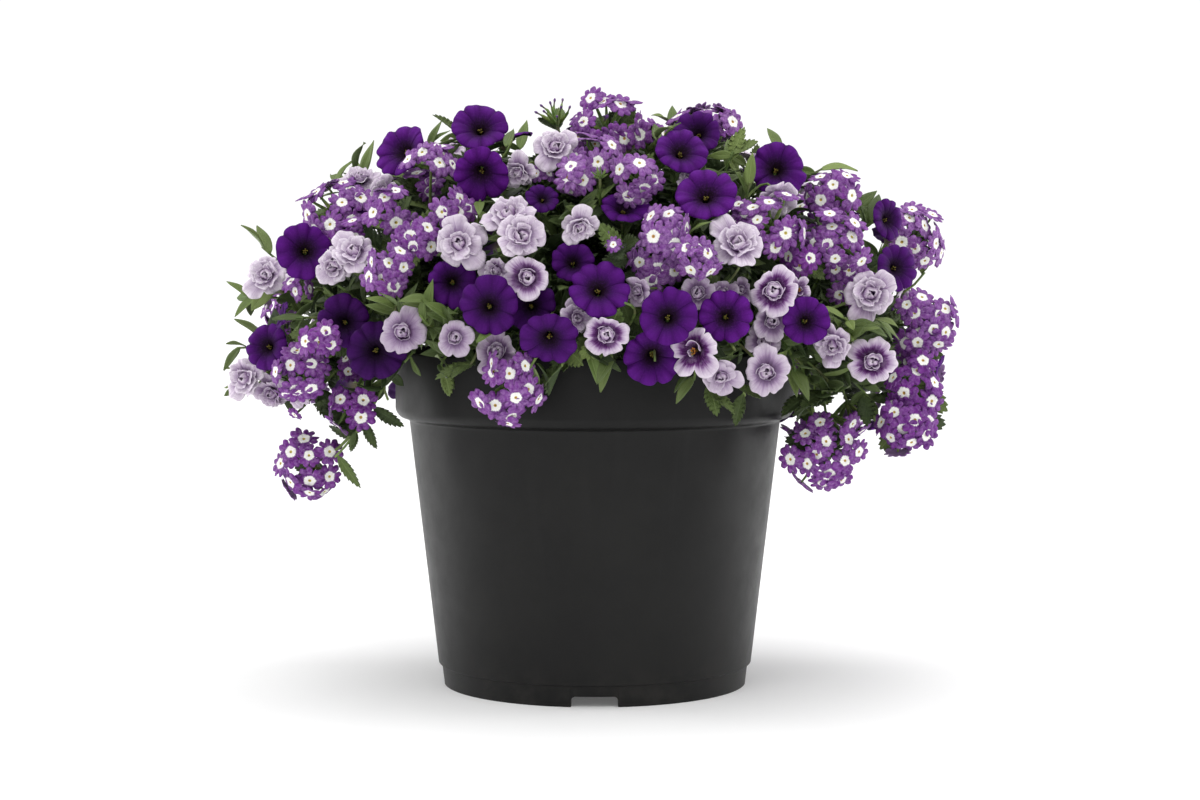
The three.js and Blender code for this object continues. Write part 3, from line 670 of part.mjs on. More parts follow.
function toGeometry(m) {
  const mesh = m.getMesh();
  const g = new THREE.BufferGeometry();
  const pos = new Float32Array(mesh.numVert * 3);
  for (let i = 0; i < mesh.numVert; i++)
    for (let k = 0; k < 3; k++) pos[3 * i + k] = mesh.vertProperties[i * mesh.numProp + k];
  g.setAttribute('position', new THREE.BufferAttribute(pos, 3));
  g.setIndex(new THREE.BufferAttribute(new Uint32Array(mesh.triVerts), 1));
  g.computeVertexNormals();
  return g;
}

// profile in (radius, height) round +Z
function turned(profile, sides) {
  const g = new THREE.LatheGeometry(profile.map(([r, z]) => new THREE.Vector2(r, z)), sides);
  g.rotateX(Math.PI / 2);
  return g;
}

function stem(points, radius, steps, sides = TRUNK_SIDES) {
  const c = new THREE.CubicBezierCurve3(...points);
  const s = new THREE.Shape();
  for (let k = 0; k < sides; k++) {
    const a = (2 * Math.PI * k) / sides;
    if (k) s.lineTo(radius * Math.cos(a), radius * Math.sin(a));
    else s.moveTo(radius, 0);
  }
  s.closePath();
  return solid(new THREE.ExtrudeGeometry(s, {
    steps, bevelEnabled: false, extrudePath: c, curveSegments: 1,
  }));
}

// corners of a turned bloom, then its stalk bent along a curve down to the fork
function bloom([kind, centre, normal, radius], curve, g = 0) {
  const R = radius * BLOOM_FULLNESS;
  const r = TWIG_RADIUS[kind] + g;
  const n = V3(normal).normalize();
  let head, depth;
  if (kind === 'V') { head = [[0, -6 + g], [R + g, 0]]; depth = VIOLET_DEPTH; }
  else if (kind === 'L') { head = [[0, 5 + g], [R + g, 0]]; depth = LILAC_DEPTH; }
  else {
    head = [[0, UMBEL_RISE * R + g], [R * 0.68 + g, UMBEL_RISE * R * 0.5 + g], [R + g, -R * 0.14]];
    depth = UMBEL_DROP * R;
  }
  const sides = BLOOM_SIDES[kind];
  let stalk = curve.getSpacedPoints(2).reverse();         // bloom end first
  const sag = stalk[1].distanceTo(stalk[0].clone().lerp(stalk[2], 0.5));
  if (sag < STALK_SAG) stalk = [stalk[0], stalk[2]];
  const N = stalk.length - 1;
  const rings = [...head, [r, -depth - g]];
  for (let k = 1; k <= N; k++) rings.push([r, -depth - g - 10 * k]);
  rings.push([0, -depth - g - 10 * N]);
  const geo = turned(rings, sides);
  // frames carried along the stalk without twist
  const q = new THREE.Quaternion().setFromUnitVectors(new THREE.Vector3(0, 0, 1), n);
  const place = new THREE.Matrix4().compose(V3(centre), q, new THREE.Vector3(1, 1, 1));
  const along = (k) => new THREE.Vector3().subVectors(stalk[k - 1], stalk[Math.min(N, k + 1)]).normalize();
  const frames = [];
  let last = n.clone(), turn = q.clone();
  for (let k = 1; k <= N; k++) {
    const t = along(k);
    turn = new THREE.Quaternion().setFromUnitVectors(last, t).multiply(turn);
    frames.push({ turn: turn.clone(), at: stalk[k] });
    last = t;
  }
  const p = geo.attributes.position;
  const v = new THREE.Vector3();
  for (let i = 0; i < p.count; i++) {
    v.fromBufferAttribute(p, i);
    const k = Math.round((-depth - g - v.z) / 10);
    if (k >= 1) {
      v.z = 0;
      v.applyQuaternion(frames[k - 1].turn).add(frames[k - 1].at);
    } else v.applyMatrix4(place);
    p.setXYZ(i, v.x, v.y, v.z);
  }
  return solid(geo);
}

function bloomFoot([kind, centre, normal, radius]) {
  const depth = kind === 'V' ? VIOLET_DEPTH : kind === 'L' ? LILAC_DEPTH : UMBEL_DROP * radius * BLOOM_FULLNESS;
  return V3(centre).addScaledVector(V3(normal), -depth);
}

// a thin leaf, pointed at both ends
function leaf([foot, dir, normal, length, width], g = 0) {
  const d = V3(dir).normalize();
  const n = V3(normal).normalize();
  const s = new THREE.Vector3().crossVectors(d, n).normalize();
  const f = V3(foot).addScaledVector(d, -0.1 - g);
  const t = LEAF_THICKNESS / 2;
  const geo = new THREE.OctahedronGeometry(1);
  const half = length / 2 + g;
  const m = new THREE.Matrix4().makeBasis(d, s, n);
  m.multiply(new THREE.Matrix4().makeScale(half, width / 2 + g, t + g));
  m.setPosition(f.clone().addScaledVector(d, half));
  geo.applyMatrix4(m);
  return solid(geo);
}

function trunkPoints(t) {
  const p = t.map(V3);
  const out = new THREE.Vector3().subVectors(p[3], p[2]).normalize();
  p[3].addScaledVector(out, 1.6);
  return p;
}

// ----------------------------------------------------------------------- pot
function potSolid() {
  const collarFoot = POT_HEIGHT - COLLAR_HEIGHT;
  const inner = (z) => {
    const t = (z - FOOT_HEIGHT) / (collarFoot - FOOT_HEIGHT);
    return SHOULDER_RADIUS + (NECK_RADIUS - SHOULDER_RADIUS) * t - WALL;
  };
  const floorTop = FLOOR_UNDERSIDE + FLOOR_THICKNESS;
  const shell = solid(turned([
    [0, FLOOR_UNDERSIDE], [BASE_RADIUS - 3.4, FLOOR_UNDERSIDE], [BASE_RADIUS - 3.4, 0], [BASE_RADIUS, 0],
    [FOOT_RADIUS, FOOT_HEIGHT], [SHOULDER_RADIUS, FOOT_HEIGHT + 0.6],
    [NECK_RADIUS, collarFoot - 1], [RIM_RADIUS - 2.6, collarFoot + 1.6], [RIM_RADIUS, collarFoot + 5],
    [RIM_RADIUS, POT_HEIGHT - 1], [RIM_RADIUS - 1.1, POT_HEIGHT], [RIM_RADIUS - 3.4, POT_HEIGHT],
    [RIM_RADIUS - 3.8, collarFoot + 8], [inner(collarFoot), collarFoot + 2],
    [inner(floorTop), floorTop], [0, floorTop],
  ], POT_SIDES));
  const cuts = [];
  for (let k = 0; k < 4; k++) {
    const s = new THREE.Shape();
    const w = NOTCH_WIDTH / 2, h = NOTCH_HEIGHT;
    s.moveTo(-w, -2); s.lineTo(w, -2); s.lineTo(w, h - 2.2);
    s.quadraticCurveTo(w, h, w - 2.4, h); s.lineTo(-w + 2.4, h);
    s.quadraticCurveTo(-w, h, -w, h - 2.2); s.closePath();
    const g = new THREE.ExtrudeGeometry(s, { depth: 16, bevelEnabled: false, curveSegments: 2 });
    g.rotateX(Math.PI / 2);
    g.translate(0, -BASE_RADIUS + 10, 0);
    g.rotateZ((k * Math.PI) / 2);
    cuts.push(solid(g));
  }
  for (let k = 0; k < 5; k++) {
    const g = new THREE.CylinderGeometry(DRAIN_RADIUS, DRAIN_RADIUS, 12, 10);
    g.rotateX(Math.PI / 2);
    const a = Math.PI / 4 + (k * Math.PI) / 2;
    const r = k === 4 ? 0 : DRAIN_CIRCLE;
    g.translate(r * Math.cos(a), r * Math.sin(a), FLOOR_UNDERSIDE);
    cuts.push(solid(g));
  }
  return shell.subtract(unite(cuts));
}

function soilSolid(g) {
  const collarFoot = POT_HEIGHT - COLLAR_HEIGHT;
  const floorTop = FLOOR_UNDERSIDE + FLOOR_THICKNESS;
  const bottom = SHOULDER_RADIUS - WALL - GAP - 0.4;
  const neck = NECK_RADIUS - WALL - GAP - 0.1;
  return solid(turned([
    [0, floorTop + GAP], [bottom, floorTop + GAP], [neck - 0.4, collarFoot], [neck, collarFoot + 1.8],
    [RIM_RADIUS - 4.6, collarFoot + 9], [RIM_RADIUS - 4.6, SOIL_EDGE + g],
    [RIM_RADIUS * 0.62, SOIL_EDGE + (SOIL_CROWN - SOIL_EDGE) * 0.62 + g], [0, SOIL_CROWN + g],
  ], POT_SIDES));
}

// -------------------------------------------------------------------- plants
function spraySolid([, kind, trunk, twigs], g = 0) {
  const parts = [stem(trunkPoints(trunk), TRUNK_RADIUS[kind] + g, 3)];
  for (const [b, fork, c1, c2] of twigs) {
    const curve = new THREE.CubicBezierCurve3(V3(fork), V3(c1), V3(c2), bloomFoot(BLOOMS[b]));
    parts.push(bloom(BLOOMS[b], curve, g));
  }
  return unite(parts);
}

function shootSolid([, trunk, twigs, leaves], g = 0) {
  const parts = [stem(trunkPoints(trunk), TRUNK_RADIUS.S + g, 3)];
  for (const [fork, c1, c2, tip] of twigs)
    parts.push(stem([V3(fork), V3(c1), V3(c2), V3(tip)], TWIG_RADIUS.S + g, 2, 3));
  for (const l of leaves) parts.push(leaf(l, g));
  return unite(parts);
}

const FINISH = {
  pot: { color: 0x2b2b2c, roughness: 0.46, metalness: 0 },
  soil: { color: 0x3a2a1e, roughness: 0.95, metalness: 0 },
  V: { color: 0x4a1480, roughness: 0.62, metalness: 0 },
  L: { color: 0xcdbcdc, roughness: 0.6, metalness: 0 },
  B: { color: 0x7a40ac, roughness: 0.62, metalness: 0 },
  S: { color: 0x567a38, roughness: 0.58, metalness: 0 },
};

const group = new THREE.Group();
const done = [];
function keep(name, body, fat, finish) {
  group.add(Object.assign(new THREE.Mesh(toGeometry(body), new THREE.MeshStandardMaterial(FINISH[finish])), { name }));
  done.push({ body, fat, box: fat.boundingBox() });
}
// no two corners may lie closer than a few micrometres
function sound(m) {
  const mesh = m.getMesh();
  const step = 0.004;
  const cells = new Map();
  for (let i = 0; i < mesh.numVert; i++) {
    const p = [0, 1, 2].map((k) => mesh.vertProperties[i * mesh.numProp + k]);
    const c = p.map((x) => Math.floor(x / step));
    for (let a = -1; a <= 1; a++) for (let b = -1; b <= 1; b++) for (let d = -1; d <= 1; d++) {
      const near = cells.get([c[0] + a, c[1] + b, c[2] + d].join());
      if (near && near.some((q) => Math.hypot(p[0] - q[0], p[1] - q[1], p[2] - q[2]) < step)) return false;
    }
    const id = c.join();
    if (!cells.has(id)) cells.set(id, []);
    cells.get(id).push(p);
  }
  return true;
}
function tidy(m) {
  for (const t of [0, 0.03, 0.06, 0.09, 0.12, 0.16]) {
    const s = t ? m.simplify(t) : m;
    const parts = s.decompose();
    if (parts.length === 1 && sound(s)) return s;
  }
  return m;
}
const apart = (a, b) => [0, 1, 2].some((k) => a.min[k] > b.max[k] || b.min[k] > a.max[k]);

const pot = potSolid();
const nothing = { min: [1e6, 1e6, 1e6], max: [1e6, 1e6, 1e6] };
const plants = [...SPRAYS.map((s) => ({ s, f: spraySolid, kind: s[1] })), ...SHOOTS.map((s) => ({ s, f: shootSolid, kind: 'S' }))];
const soil = soilSolid(0);
const soilFat = soilSolid(GAP);

function fitted(p, grow) {
  let body = p.f(p.s, grow);
  p.before = body.volume();
  const box = body.boundingBox();
  for (const d of done) if (!apart(box, d.box)) body = body.subtract(d.fat);
  body = body.subtract(potFat()).subtract(soilFat);
  body = largest(body).simplify(0.05);
  for (const d of done)
    if (!apart(box, d.box) && body.intersect(d.body).volume() > 1e-4)
      body = largest(body.subtract(d.fat).subtract(d.body)).simplify(0.03);
  return tidy(body);
}

for (const p of plants) {
  // a stem a hundredth thicker avoids corners that almost meet
  let body;
  for (const grow of [0, 0.017, 0.031, 0.045, 0.009, 0.06]) {
    body = fitted(p, grow);
    if (sound(body)) break;
  }
  p.lost = 1 - body.volume() / p.before;
  keep(p.s[0], body, p.f(p.s, GAP), p.kind);
}

function potFat() {
  if (!potFat.value) {
    const c = POT_HEIGHT - COLLAR_HEIGHT;
    potFat.value = solid(turned([
      [NECK_RADIUS + 2, 60], [NECK_RADIUS + 2, c - 2], [RIM_RADIUS + 1, c - 2], [RIM_RADIUS + 1, POT_HEIGHT + 0.6],
      [RIM_RADIUS - 4.6, POT_HEIGHT + 0.6], [RIM_RADIUS - 4.6, 60], [NECK_RADIUS + 2, 60],
    ], POT_SIDES * 2));
  }
  return potFat.value;
}

keep('pot', pot, pot, 'pot');
keep('potting_soil', largest(soil), soil, 'soil');
group.userData.lost = plants.map((p) => [p.s[0], +p.lost.toFixed(3)]);

export default group;
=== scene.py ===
"""A patio pot of trailing violet and lilac small petunias and purple verbena."""
import math
import bpy
import numpy as np
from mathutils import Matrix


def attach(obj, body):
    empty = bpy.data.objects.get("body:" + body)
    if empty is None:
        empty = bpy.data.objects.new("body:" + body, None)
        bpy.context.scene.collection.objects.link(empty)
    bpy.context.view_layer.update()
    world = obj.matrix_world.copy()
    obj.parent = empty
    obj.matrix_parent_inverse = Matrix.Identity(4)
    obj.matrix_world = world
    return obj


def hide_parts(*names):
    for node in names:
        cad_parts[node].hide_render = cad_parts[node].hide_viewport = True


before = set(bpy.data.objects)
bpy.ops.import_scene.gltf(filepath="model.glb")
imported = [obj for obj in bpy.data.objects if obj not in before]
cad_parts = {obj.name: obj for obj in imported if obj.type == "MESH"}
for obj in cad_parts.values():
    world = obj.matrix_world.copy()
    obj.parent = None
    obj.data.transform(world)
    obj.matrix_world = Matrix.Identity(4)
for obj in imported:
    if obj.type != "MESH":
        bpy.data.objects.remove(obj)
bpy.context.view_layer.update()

# ---------------------------------------------------------------- tables, in millimetres
# type, centre x y z, facing x y z, radius, tone, state, label of each bloom
BLOOMS = [
    ["B",137.3,-95.0,153.0,0.0,-0.99,-0.138,25.4,0.35,"o","B37"],
    ["B",-159.2,-83.5,303.0,-0.25,-0.828,0.503,24.2,0.5,"o","B0"],
    ["B",69.3,-31.0,358.2,0.0,-0.309,0.951,23.7,0.6,"o","B20"],
    ["B",207.1,-10.0,285.5,0.5,-0.828,0.252,23.4,0.6,"o","B32"],
    ["B",-176.4,-70.0,142.3,-0.1,-0.966,-0.24,23.3,0.3,"o","B12"],
    ["B",-49.5,-168.0,198.3,0.0,-0.971,-0.24,23.0,0.5,"o","B38"],
    ["B",206.2,-60.0,235.2,0.2,-0.945,0.26,22.8,0.5,"o","B33"],
    ["B",195.5,-80.0,192.6,0.1,-0.994,-0.038,20.7,0.15,"o","B35"],
    ["B",143.9,-120.4,283.1,0.1,-0.993,0.062,20.1,0.5,"o","B29"],
    ["B",-176.8,-105.0,203.1,-0.1,-0.994,-0.038,18.6,0.4,"o","B10"],
    ["V",65.2,-135.5,309.9,0.0,-0.833,0.553,18.1,0.0,"","V6"],
    ["V",-117.3,-60.4,338.0,-0.45,-0.798,0.401,17.8,0.0,"","V2"],
    ["V",-70.1,-61.1,352.0,0.0,-0.833,0.553,17.7,0.0,"","V0"],
    ["V",-173.3,-100.0,277.1,0.12,-0.98,0.162,17.7,0.0,"","V3"],
    ["V",108.8,-95.1,326.1,0.0,-0.951,0.31,17.7,0.0,"","V7"],
    ["V",51.5,-105.6,336.5,0.15,-0.785,0.6,17.2,0.0,"","V5"],
    ["V",-60.2,-171.9,245.5,0.0,-0.998,0.063,17.1,0.0,"","V13"],
    ["V",42.1,-176.2,239.9,0.0,-0.965,0.261,17.1,0.0,"","V17"],
    ["B",-119.3,-146.1,266.3,0.0,-0.998,0.063,16.9,0.5,"o","B6"],
    ["V",-66.8,-121.0,322.5,0.0,-0.94,-0.342,16.8,0.0,"","V1"],
    ["B",42.5,-155.5,291.2,0.0,-0.833,0.553,16.7,0.75,"o","B23"],
    ["L",83.1,-152.1,281.4,0.0,-0.879,0.476,15.6,0.0,"","L13"],
    ["B",-149.2,-95.0,180.8,0.0,-0.99,-0.138,15.1,0.2,"o","B11"],
    ["L",162.6,-123.6,251.3,0.0,-0.998,0.063,14.8,0.0,"","L30"],
    ["L",-78.2,-153.2,281.4,0.05,-0.992,0.112,14.4,0.0,"","L5"],
    ["L",103.7,-157.7,253.8,-0.05,-0.997,0.062,14.4,0.0,"","L24"],
    ["L",57.0,-174.4,219.9,-0.55,-0.834,-0.048,14.3,0.0,"","L27"],
    ["L",-49.4,-149.0,298.2,-0.1,-0.738,0.667,13.9,0.0,"","L6"],
    ["L",-41.4,-166.7,285.5,0.1,-0.982,0.162,13.8,0.0,"","L7"],
    ["L",-141.4,-126.8,276.1,0.0,-0.833,0.553,13.5,0.0,"","L1"],
    ["L",163.9,-131.1,212.1,0.05,-0.997,0.062,13.5,0.0,"","L32"],
    ["B",-161.9,-131.0,225.6,0.0,-0.998,0.063,12.9,0.3,"o","B9"],
    ["L",-215.3,-60.0,198.8,-0.45,-0.891,0.056,12.9,0.0,"","L34"],
    ["L",-200.9,-67.2,261.7,-0.25,-0.955,0.16,12.8,0.0,"","L0"],
    ["L",-38.6,-164.8,262.0,-0.1,-0.993,0.062,12.6,0.0,"","L8"],
    ["L",6.7,-180.1,229.2,0.0,-1.0,0.013,12.5,0.0,"","L19"],
    ["L",-23.4,-108.1,338.2,0.2,-0.912,0.358,12.5,0.0,"","L10"],
    ["B",3.3,-130.4,322.3,0.0,-0.549,0.836,8.2,0.0,"g","B22"],
    ["B",-184.2,-75.0,175.8,-0.3,-0.922,-0.243,7.9,0.3,"o","B13"],
    ["B",103.9,-134.3,293.1,0.0,-0.933,0.359,21.6,0.5,"o","B27"],
    ["B",190.0,-87.0,168.1,0.0,-0.94,-0.342,20.6,0.2,"o","B36"],
    ["B",2.1,-101.8,335.5,0.0,-0.744,0.668,19.7,0.8,"o","B16"],
    ["B",36.4,-145.4,271.0,0.0,-0.999,-0.037,19.2,0.65,"o","B24"],
    ["V",-25.7,-179.4,226.4,0.0,-0.896,-0.445,16.8,0.0,"","V15"],
    ["B",-119.6,-118.0,302.0,0.0,-0.951,0.31,16.0,0.5,"o","B1"],
    ["L",-56.3,-154.7,218.4,-0.1,-0.96,0.261,13.3,0.0,"","L17"],
    ["L",108.6,-115.7,306.7,0.2,-0.772,-0.603,12.4,0.0,"","L14"],
    ["L",-143.6,-62.1,320.9,0.0,-0.613,0.79,11.6,0.0,"","L3"],
    ["L",-8.2,-156.1,290.6,0.0,-0.836,-0.549,11.0,0.0,"","L11"],
    ["B",10.8,-162.0,281.4,0.0,-0.998,0.063,8.6,0.6,"s","B26"],
    ["B",144.0,-84.5,311.4,0.0,-0.965,0.261,18.1,0.4,"o","B28"],
    ["V",33.2,-163.9,216.5,0.0,-0.99,-0.138,17.3,0.0,"","V18"],
    ["B",24.5,-125.5,317.7,0.0,-1.0,0.013,15.9,0.7,"o","B18"],
    ["B",-105.4,-136.9,283.7,0.0,-0.998,0.063,15.2,0.45,"o","B5"],
    ["B",58.8,-168.1,274.0,0.1,-0.994,-0.038,14.9,0.65,"o","B25"],
    ["V",182.1,-91.3,266.9,0.45,-0.879,0.155,14.4,0.0,"","V22"],
    ["V",181.0,-55.9,295.9,0.62,-0.77,0.148,13.5,0.0,"","V21"],
    ["B",-11.4,-121.5,320.2,0.0,-0.998,0.063,13.6,0.8,"o","B17"],
    ["L",99.6,-162.1,207.2,0.0,-0.999,-0.037,13.3,0.0,"","L29"],
    ["L",72.7,-169.8,204.8,0.0,-0.971,-0.24,10.9,0.0,"","L28"],
    ["B",8.2,-72.5,353.4,0.0,-0.913,0.408,26.1,0.45,"o","B15"],
    ["B",-97.9,-86.0,332.4,0.1,-0.64,0.762,18.7,0.75,"o","B3"],
    ["V",2.1,-168.3,255.7,0.0,-0.89,0.457,17.2,0.0,"","V16"],
    ["V",75.7,-164.5,239.0,0.0,-0.998,0.063,15.5,0.0,"","V19"],
    ["V",-198.6,-88.3,219.1,-0.4,-0.903,0.157,15.1,0.0,"","V9"],
    ["B",-82.2,-131.5,302.4,0.2,-0.967,0.161,13.5,0.55,"o","B4"],
    ["L",-155.1,-114.2,267.7,-0.3,-0.922,-0.243,11.9,0.0,"","L2"],
    ["B",86.8,-115.3,298.5,0.0,-0.833,0.553,11.8,0.5,"o","B39"],
    ["L",-80.0,-165.4,227.0,0.0,-0.999,-0.037,10.3,0.0,"","L16"],
    ["B",153.4,-96.4,257.9,0.0,-0.998,0.063,18.0,0.5,"o","B31"],
    ["V",17.4,-123.2,302.5,0.1,-0.64,0.762,15.3,0.0,"","V8"],
    ["V",-82.6,-148.7,259.4,0.0,-0.987,0.162,15.1,0.0,"","V12"],
    ["V",123.1,-146.5,236.1,0.1,-0.993,0.062,14.5,0.0,"","V20"],
    ["B",-104.0,-69.0,318.3,0.0,-0.761,0.649,14.6,0.5,"o","B2"],
    ["L",-110.9,-152.3,229.9,0.0,-0.998,0.063,13.3,0.0,"","L15"],
    ["L",139.6,-139.4,221.8,-0.5,-0.83,-0.249,11.7,0.0,"","L31"],
    ["L",-199.2,-56.1,188.7,-0.4,-0.798,-0.451,11.1,0.0,"","L35"],
    ["L",103.7,-141.1,235.9,0.0,-0.99,-0.138,11.1,0.0,"","L26"],
    ["B",-176.8,-96.7,253.7,-0.3,-0.952,0.06,10.8,0.45,"o","B8"],
    ["L",59.8,-158.4,252.7,-0.1,-0.993,0.062,10.4,0.0,"","L21"],
    ["L",119.4,-140.8,254.0,0.5,-0.864,0.054,7.6,0.0,"","L25"],
    ["B",-23.9,-41.0,360.9,-0.1,-0.446,0.89,17.3,0.1,"b","B21"],
    ["B",202.4,-47.3,214.9,0.2,-0.978,0.061,16.1,0.3,"o","B34"],
    ["B",-145.8,-105.1,288.4,-0.1,-0.982,0.162,10.7,0.45,"o","B7"],
    ["L",-44.6,-116.2,323.2,-0.5,-0.737,-0.455,10.6,0.0,"","L12"],
    ["B",-31.8,-105.9,324.1,0.0,-0.833,0.553,9.5,0.7,"o","B19"],
    ["V",-187.6,-98.3,237.6,-0.88,-0.349,0.323,9.0,0.0,"","V24"],
    ["B",-148.1,-73.1,204.4,0.2,-0.978,0.061,11.6,0.15,"o","B14"],
    ["L",-56.8,-154.3,265.3,-0.4,-0.905,-0.144,9.2,0.0,"","L9"],
    ["L",-127.2,-90.7,313.1,0.3,-0.943,-0.141,8.4,0.0,"","L4"],
    ["V",-36.8,-147.1,245.4,0.0,-0.987,0.162,15.7,0.0,"","V14"],
    ["L",-9.9,-164.8,238.4,0.3,-0.952,0.06,10.3,0.0,"","L18"],
    ["L",-178.4,-92.4,189.7,-0.2,-0.872,-0.446,7.8,0.0,"","L36"],
    ["L",56.8,-107.3,320.5,-0.3,-0.885,0.356,7.7,0.0,"","L37"],
    ["V",-143.5,-49.9,311.4,0.0,-0.99,-0.138,14.2,0.0,"","V4"],
    ["B",121.5,-127.6,270.2,0.0,-0.999,-0.037,12.9,0.2,"o","B30"],
    ["L",25.2,-160.5,253.3,-0.6,-0.786,-0.151,8.6,0.0,"","L20"],
    ["V",-30.1,-128.5,307.7,0.2,-0.81,0.552,10.0,0.0,"","V25"],
    ["L",99.1,-132.2,223.3,0.0,-0.99,-0.138,10.0,0.0,"","L33"],
    ["L",74.7,-149.0,252.4,0.2,-0.967,0.161,8.1,0.0,"","L22"],
    ["V",63.2,-63.4,348.9,-0.1,-0.858,0.505,15.3,0.0,"","V23"],
    ["L",85.5,-141.5,254.0,0.0,-0.998,0.063,7.0,0.0,"","L23"],
    ["V",-148.3,-119.3,234.6,0.0,-0.998,0.063,16.0,0.0,"","V10"],
    ["V",-129.1,-130.2,217.9,0.0,-0.999,-0.037,17.6,0.0,"","V11"],
    ["V",-12.5,-139.2,270.3,0.0,-0.933,0.359,12.8,0.0,"","V26"],
    ["V",7.8,0.0,355.9,0.204,-0.062,0.977,17.8,0.0,"","F0"],
    ["B",-205.5,63.6,245.4,-0.843,0.126,0.523,25.6,0.57,"o","F1"],
    ["L",-27.1,173.0,175.8,0.19,0.778,-0.599,14.3,0.0,"","F2"],
    ["B",174.8,126.1,208.8,0.566,0.623,0.539,23.9,0.39,"o","F3"],
    ["V",-66.1,163.4,279.8,-0.089,0.763,0.64,17.8,0.0,"","F4"],
    ["L",5.5,188.0,206.2,-0.034,0.943,0.331,16.1,0.0,"","F5"],
    ["B",-76.4,178.9,217.8,-0.298,0.809,0.506,27.1,0.29,"o","F6"],
    ["V",-126.5,143.6,175.9,-0.314,0.449,-0.837,18.1,0.0,"","F7"],
    ["L",-85.6,52.8,342.7,-0.259,0.259,0.931,14.8,0.0,"","F8"],
    ["B",75.3,140.0,163.5,0.283,0.407,-0.868,25.0,0.29,"o","F9"],
    ["V",55.9,182.8,224.4,0.377,0.905,0.198,17.4,0.0,"","F10"],
    ["B",109.1,154.4,269.2,0.262,0.606,0.751,25.5,0.23,"o","F11"],
    ["L",-96.1,-0.9,339.0,-0.243,-0.172,0.955,15.2,0.0,"","F12"],
    ["B",71.5,130.6,317.4,0.019,0.568,0.823,27.8,0.37,"o","F13"],
    ["V",114.6,75.3,325.6,0.185,0.072,0.98,18.3,0.0,"","F14"],
    ["L",-193.4,26.4,272.7,-0.743,0.031,0.668,15.2,0.0,"","F15"],
    ["B",145.9,-40.6,162.2,0.114,-0.197,-0.974,27.7,0.3,"o","F16"],
    ["V",191.8,5.2,167.1,0.308,0.149,-0.94,18.6,0.0,"","F17"],
    ["L",-128.2,-7.8,322.0,-0.387,-0.224,0.895,16.5,0.0,"","F18"],
    ["B",71.8,67.0,350.7,-0.013,0.422,0.907,25.7,0.23,"o","F19"],
    ["V",-150.4,36.2,313.2,-0.582,0.089,0.808,17.6,0.0,"","F20"],
    ["B",-198.0,87.4,185.7,-0.685,0.367,-0.63,23.9,0.43,"o","F21"],
    ["L",132.1,50.3,316.2,0.415,-0.072,0.907,14.7,0.0,"","F22"],
    ["B",-202.8,-20.0,214.2,-0.917,0.013,0.398,27.6,0.5,"o","F23"],
    ["V",-100.6,146.9,287.7,-0.418,0.45,0.789,18.7,0.0,"","F24"],
    ["L",117.5,12.0,324.5,0.357,-0.005,0.934,15.5,0.0,"","F25"],
    ["B",-173.0,110.7,265.0,-0.731,0.485,0.48,24.4,0.2,"o","F26"],
    ["V",180.3,103.9,262.1,0.571,0.629,0.527,18.7,0.0,"","F27"],
    ["V",-2.3,49.0,357.7,-0.141,0.149,0.979,18.0,0.0,"","F30"],
    ["B",-64.5,118.6,328.3,-0.044,0.391,0.919,23.9,0.3,"o","F31"],
    ["L",2.6,154.9,303.0,-0.056,0.593,0.803,16.3,0.0,"","F32"],
    ["B",-130.8,154.4,240.5,-0.466,0.742,0.482,26.3,0.23,"o","F33"],
    ["V",-59.3,15.5,349.2,-0.124,0.003,0.992,18.8,0.0,"","F34"],
    ["L",107.5,35.1,334.9,0.404,0.068,0.912,15.5,0.0,"","F35"],
    ["B",126.6,157.1,189.2,0.386,0.858,-0.34,23.8,0.67,"o","F36"],
    ["V",215.6,-5.2,193.5,0.917,-0.062,-0.393,18.5,0.0,"","F37"],
    ["L",-178.0,121.9,222.4,-0.33,0.792,0.514,14.6,0.0,"","F38"],
    ["B",34.2,28.4,351.3,0.07,-0.083,0.994,24.0,0.5,"o","F39"],
    ["V",23.2,89.9,349.2,0.015,0.024,1.0,19.0,0.0,"","F40"],
    ["B",-40.1,180.3,249.8,0.046,0.699,0.714,23.8,0.6,"o","F41"],
    ["L",-156.4,-17.4,309.1,-0.494,0.019,0.87,14.7,0.0,"","F42"],
    ["B",170.9,67.7,165.0,0.307,0.069,-0.949,24.3,0.65,"o","F43"],
    ["V",128.2,114.0,164.0,0.377,0.142,-0.915,17.8,0.0,"","F44"],
    ["L",204.7,46.1,237.9,0.888,0.199,0.415,14.5,0.0,"","F45"],
    ["B",-212.5,24.8,208.7,-0.907,-0.065,0.415,24.9,0.57,"o","F46"],
    ["L",123.7,-41.3,315.5,0.18,-0.196,0.964,15.2,0.0,"","F48"],
    ["V",121.8,161.3,229.6,0.253,0.867,0.43,17.3,0.0,"","F50"],
    ["L",-201.0,-26.3,254.1,-0.818,-0.216,0.534,14.4,0.0,"","F52"],
    ["B",216.9,42.1,197.1,0.968,0.133,-0.213,23.7,0.66,"o","F53"],
    ["V",123.8,120.2,303.4,0.228,0.466,0.855,18.2,0.0,"","F54"],
    ["L",-30.0,148.4,308.7,-0.216,0.676,0.705,15.6,0.0,"","F55"],
    ["B",52.5,159.2,283.7,0.193,0.8,0.568,23.6,0.34,"o","F56"],
    ["V",150.7,-9.5,303.9,0.379,0.012,0.925,18.4,0.0,"","F57"],
    ["B",-127.1,84.3,320.4,-0.114,0.251,0.961,26.9,0.52,"o","F59"],
    ["V",194.0,1.5,228.7,0.869,-0.075,0.489,17.7,0.0,"","F60"],
    ["B",34.6,175.5,178.6,0.311,0.828,-0.466,24.0,0.35,"o","F61"],
    ["B",197.1,84.4,203.0,0.879,0.361,0.311,26.2,0.65,"o","F63"],
    ["V",-165.4,121.1,180.4,-0.521,0.681,-0.515,17.7,0.0,"","F64"],
    ["L",199.2,17.9,244.8,0.93,-0.013,0.366,16.4,0.0,"","F65"],
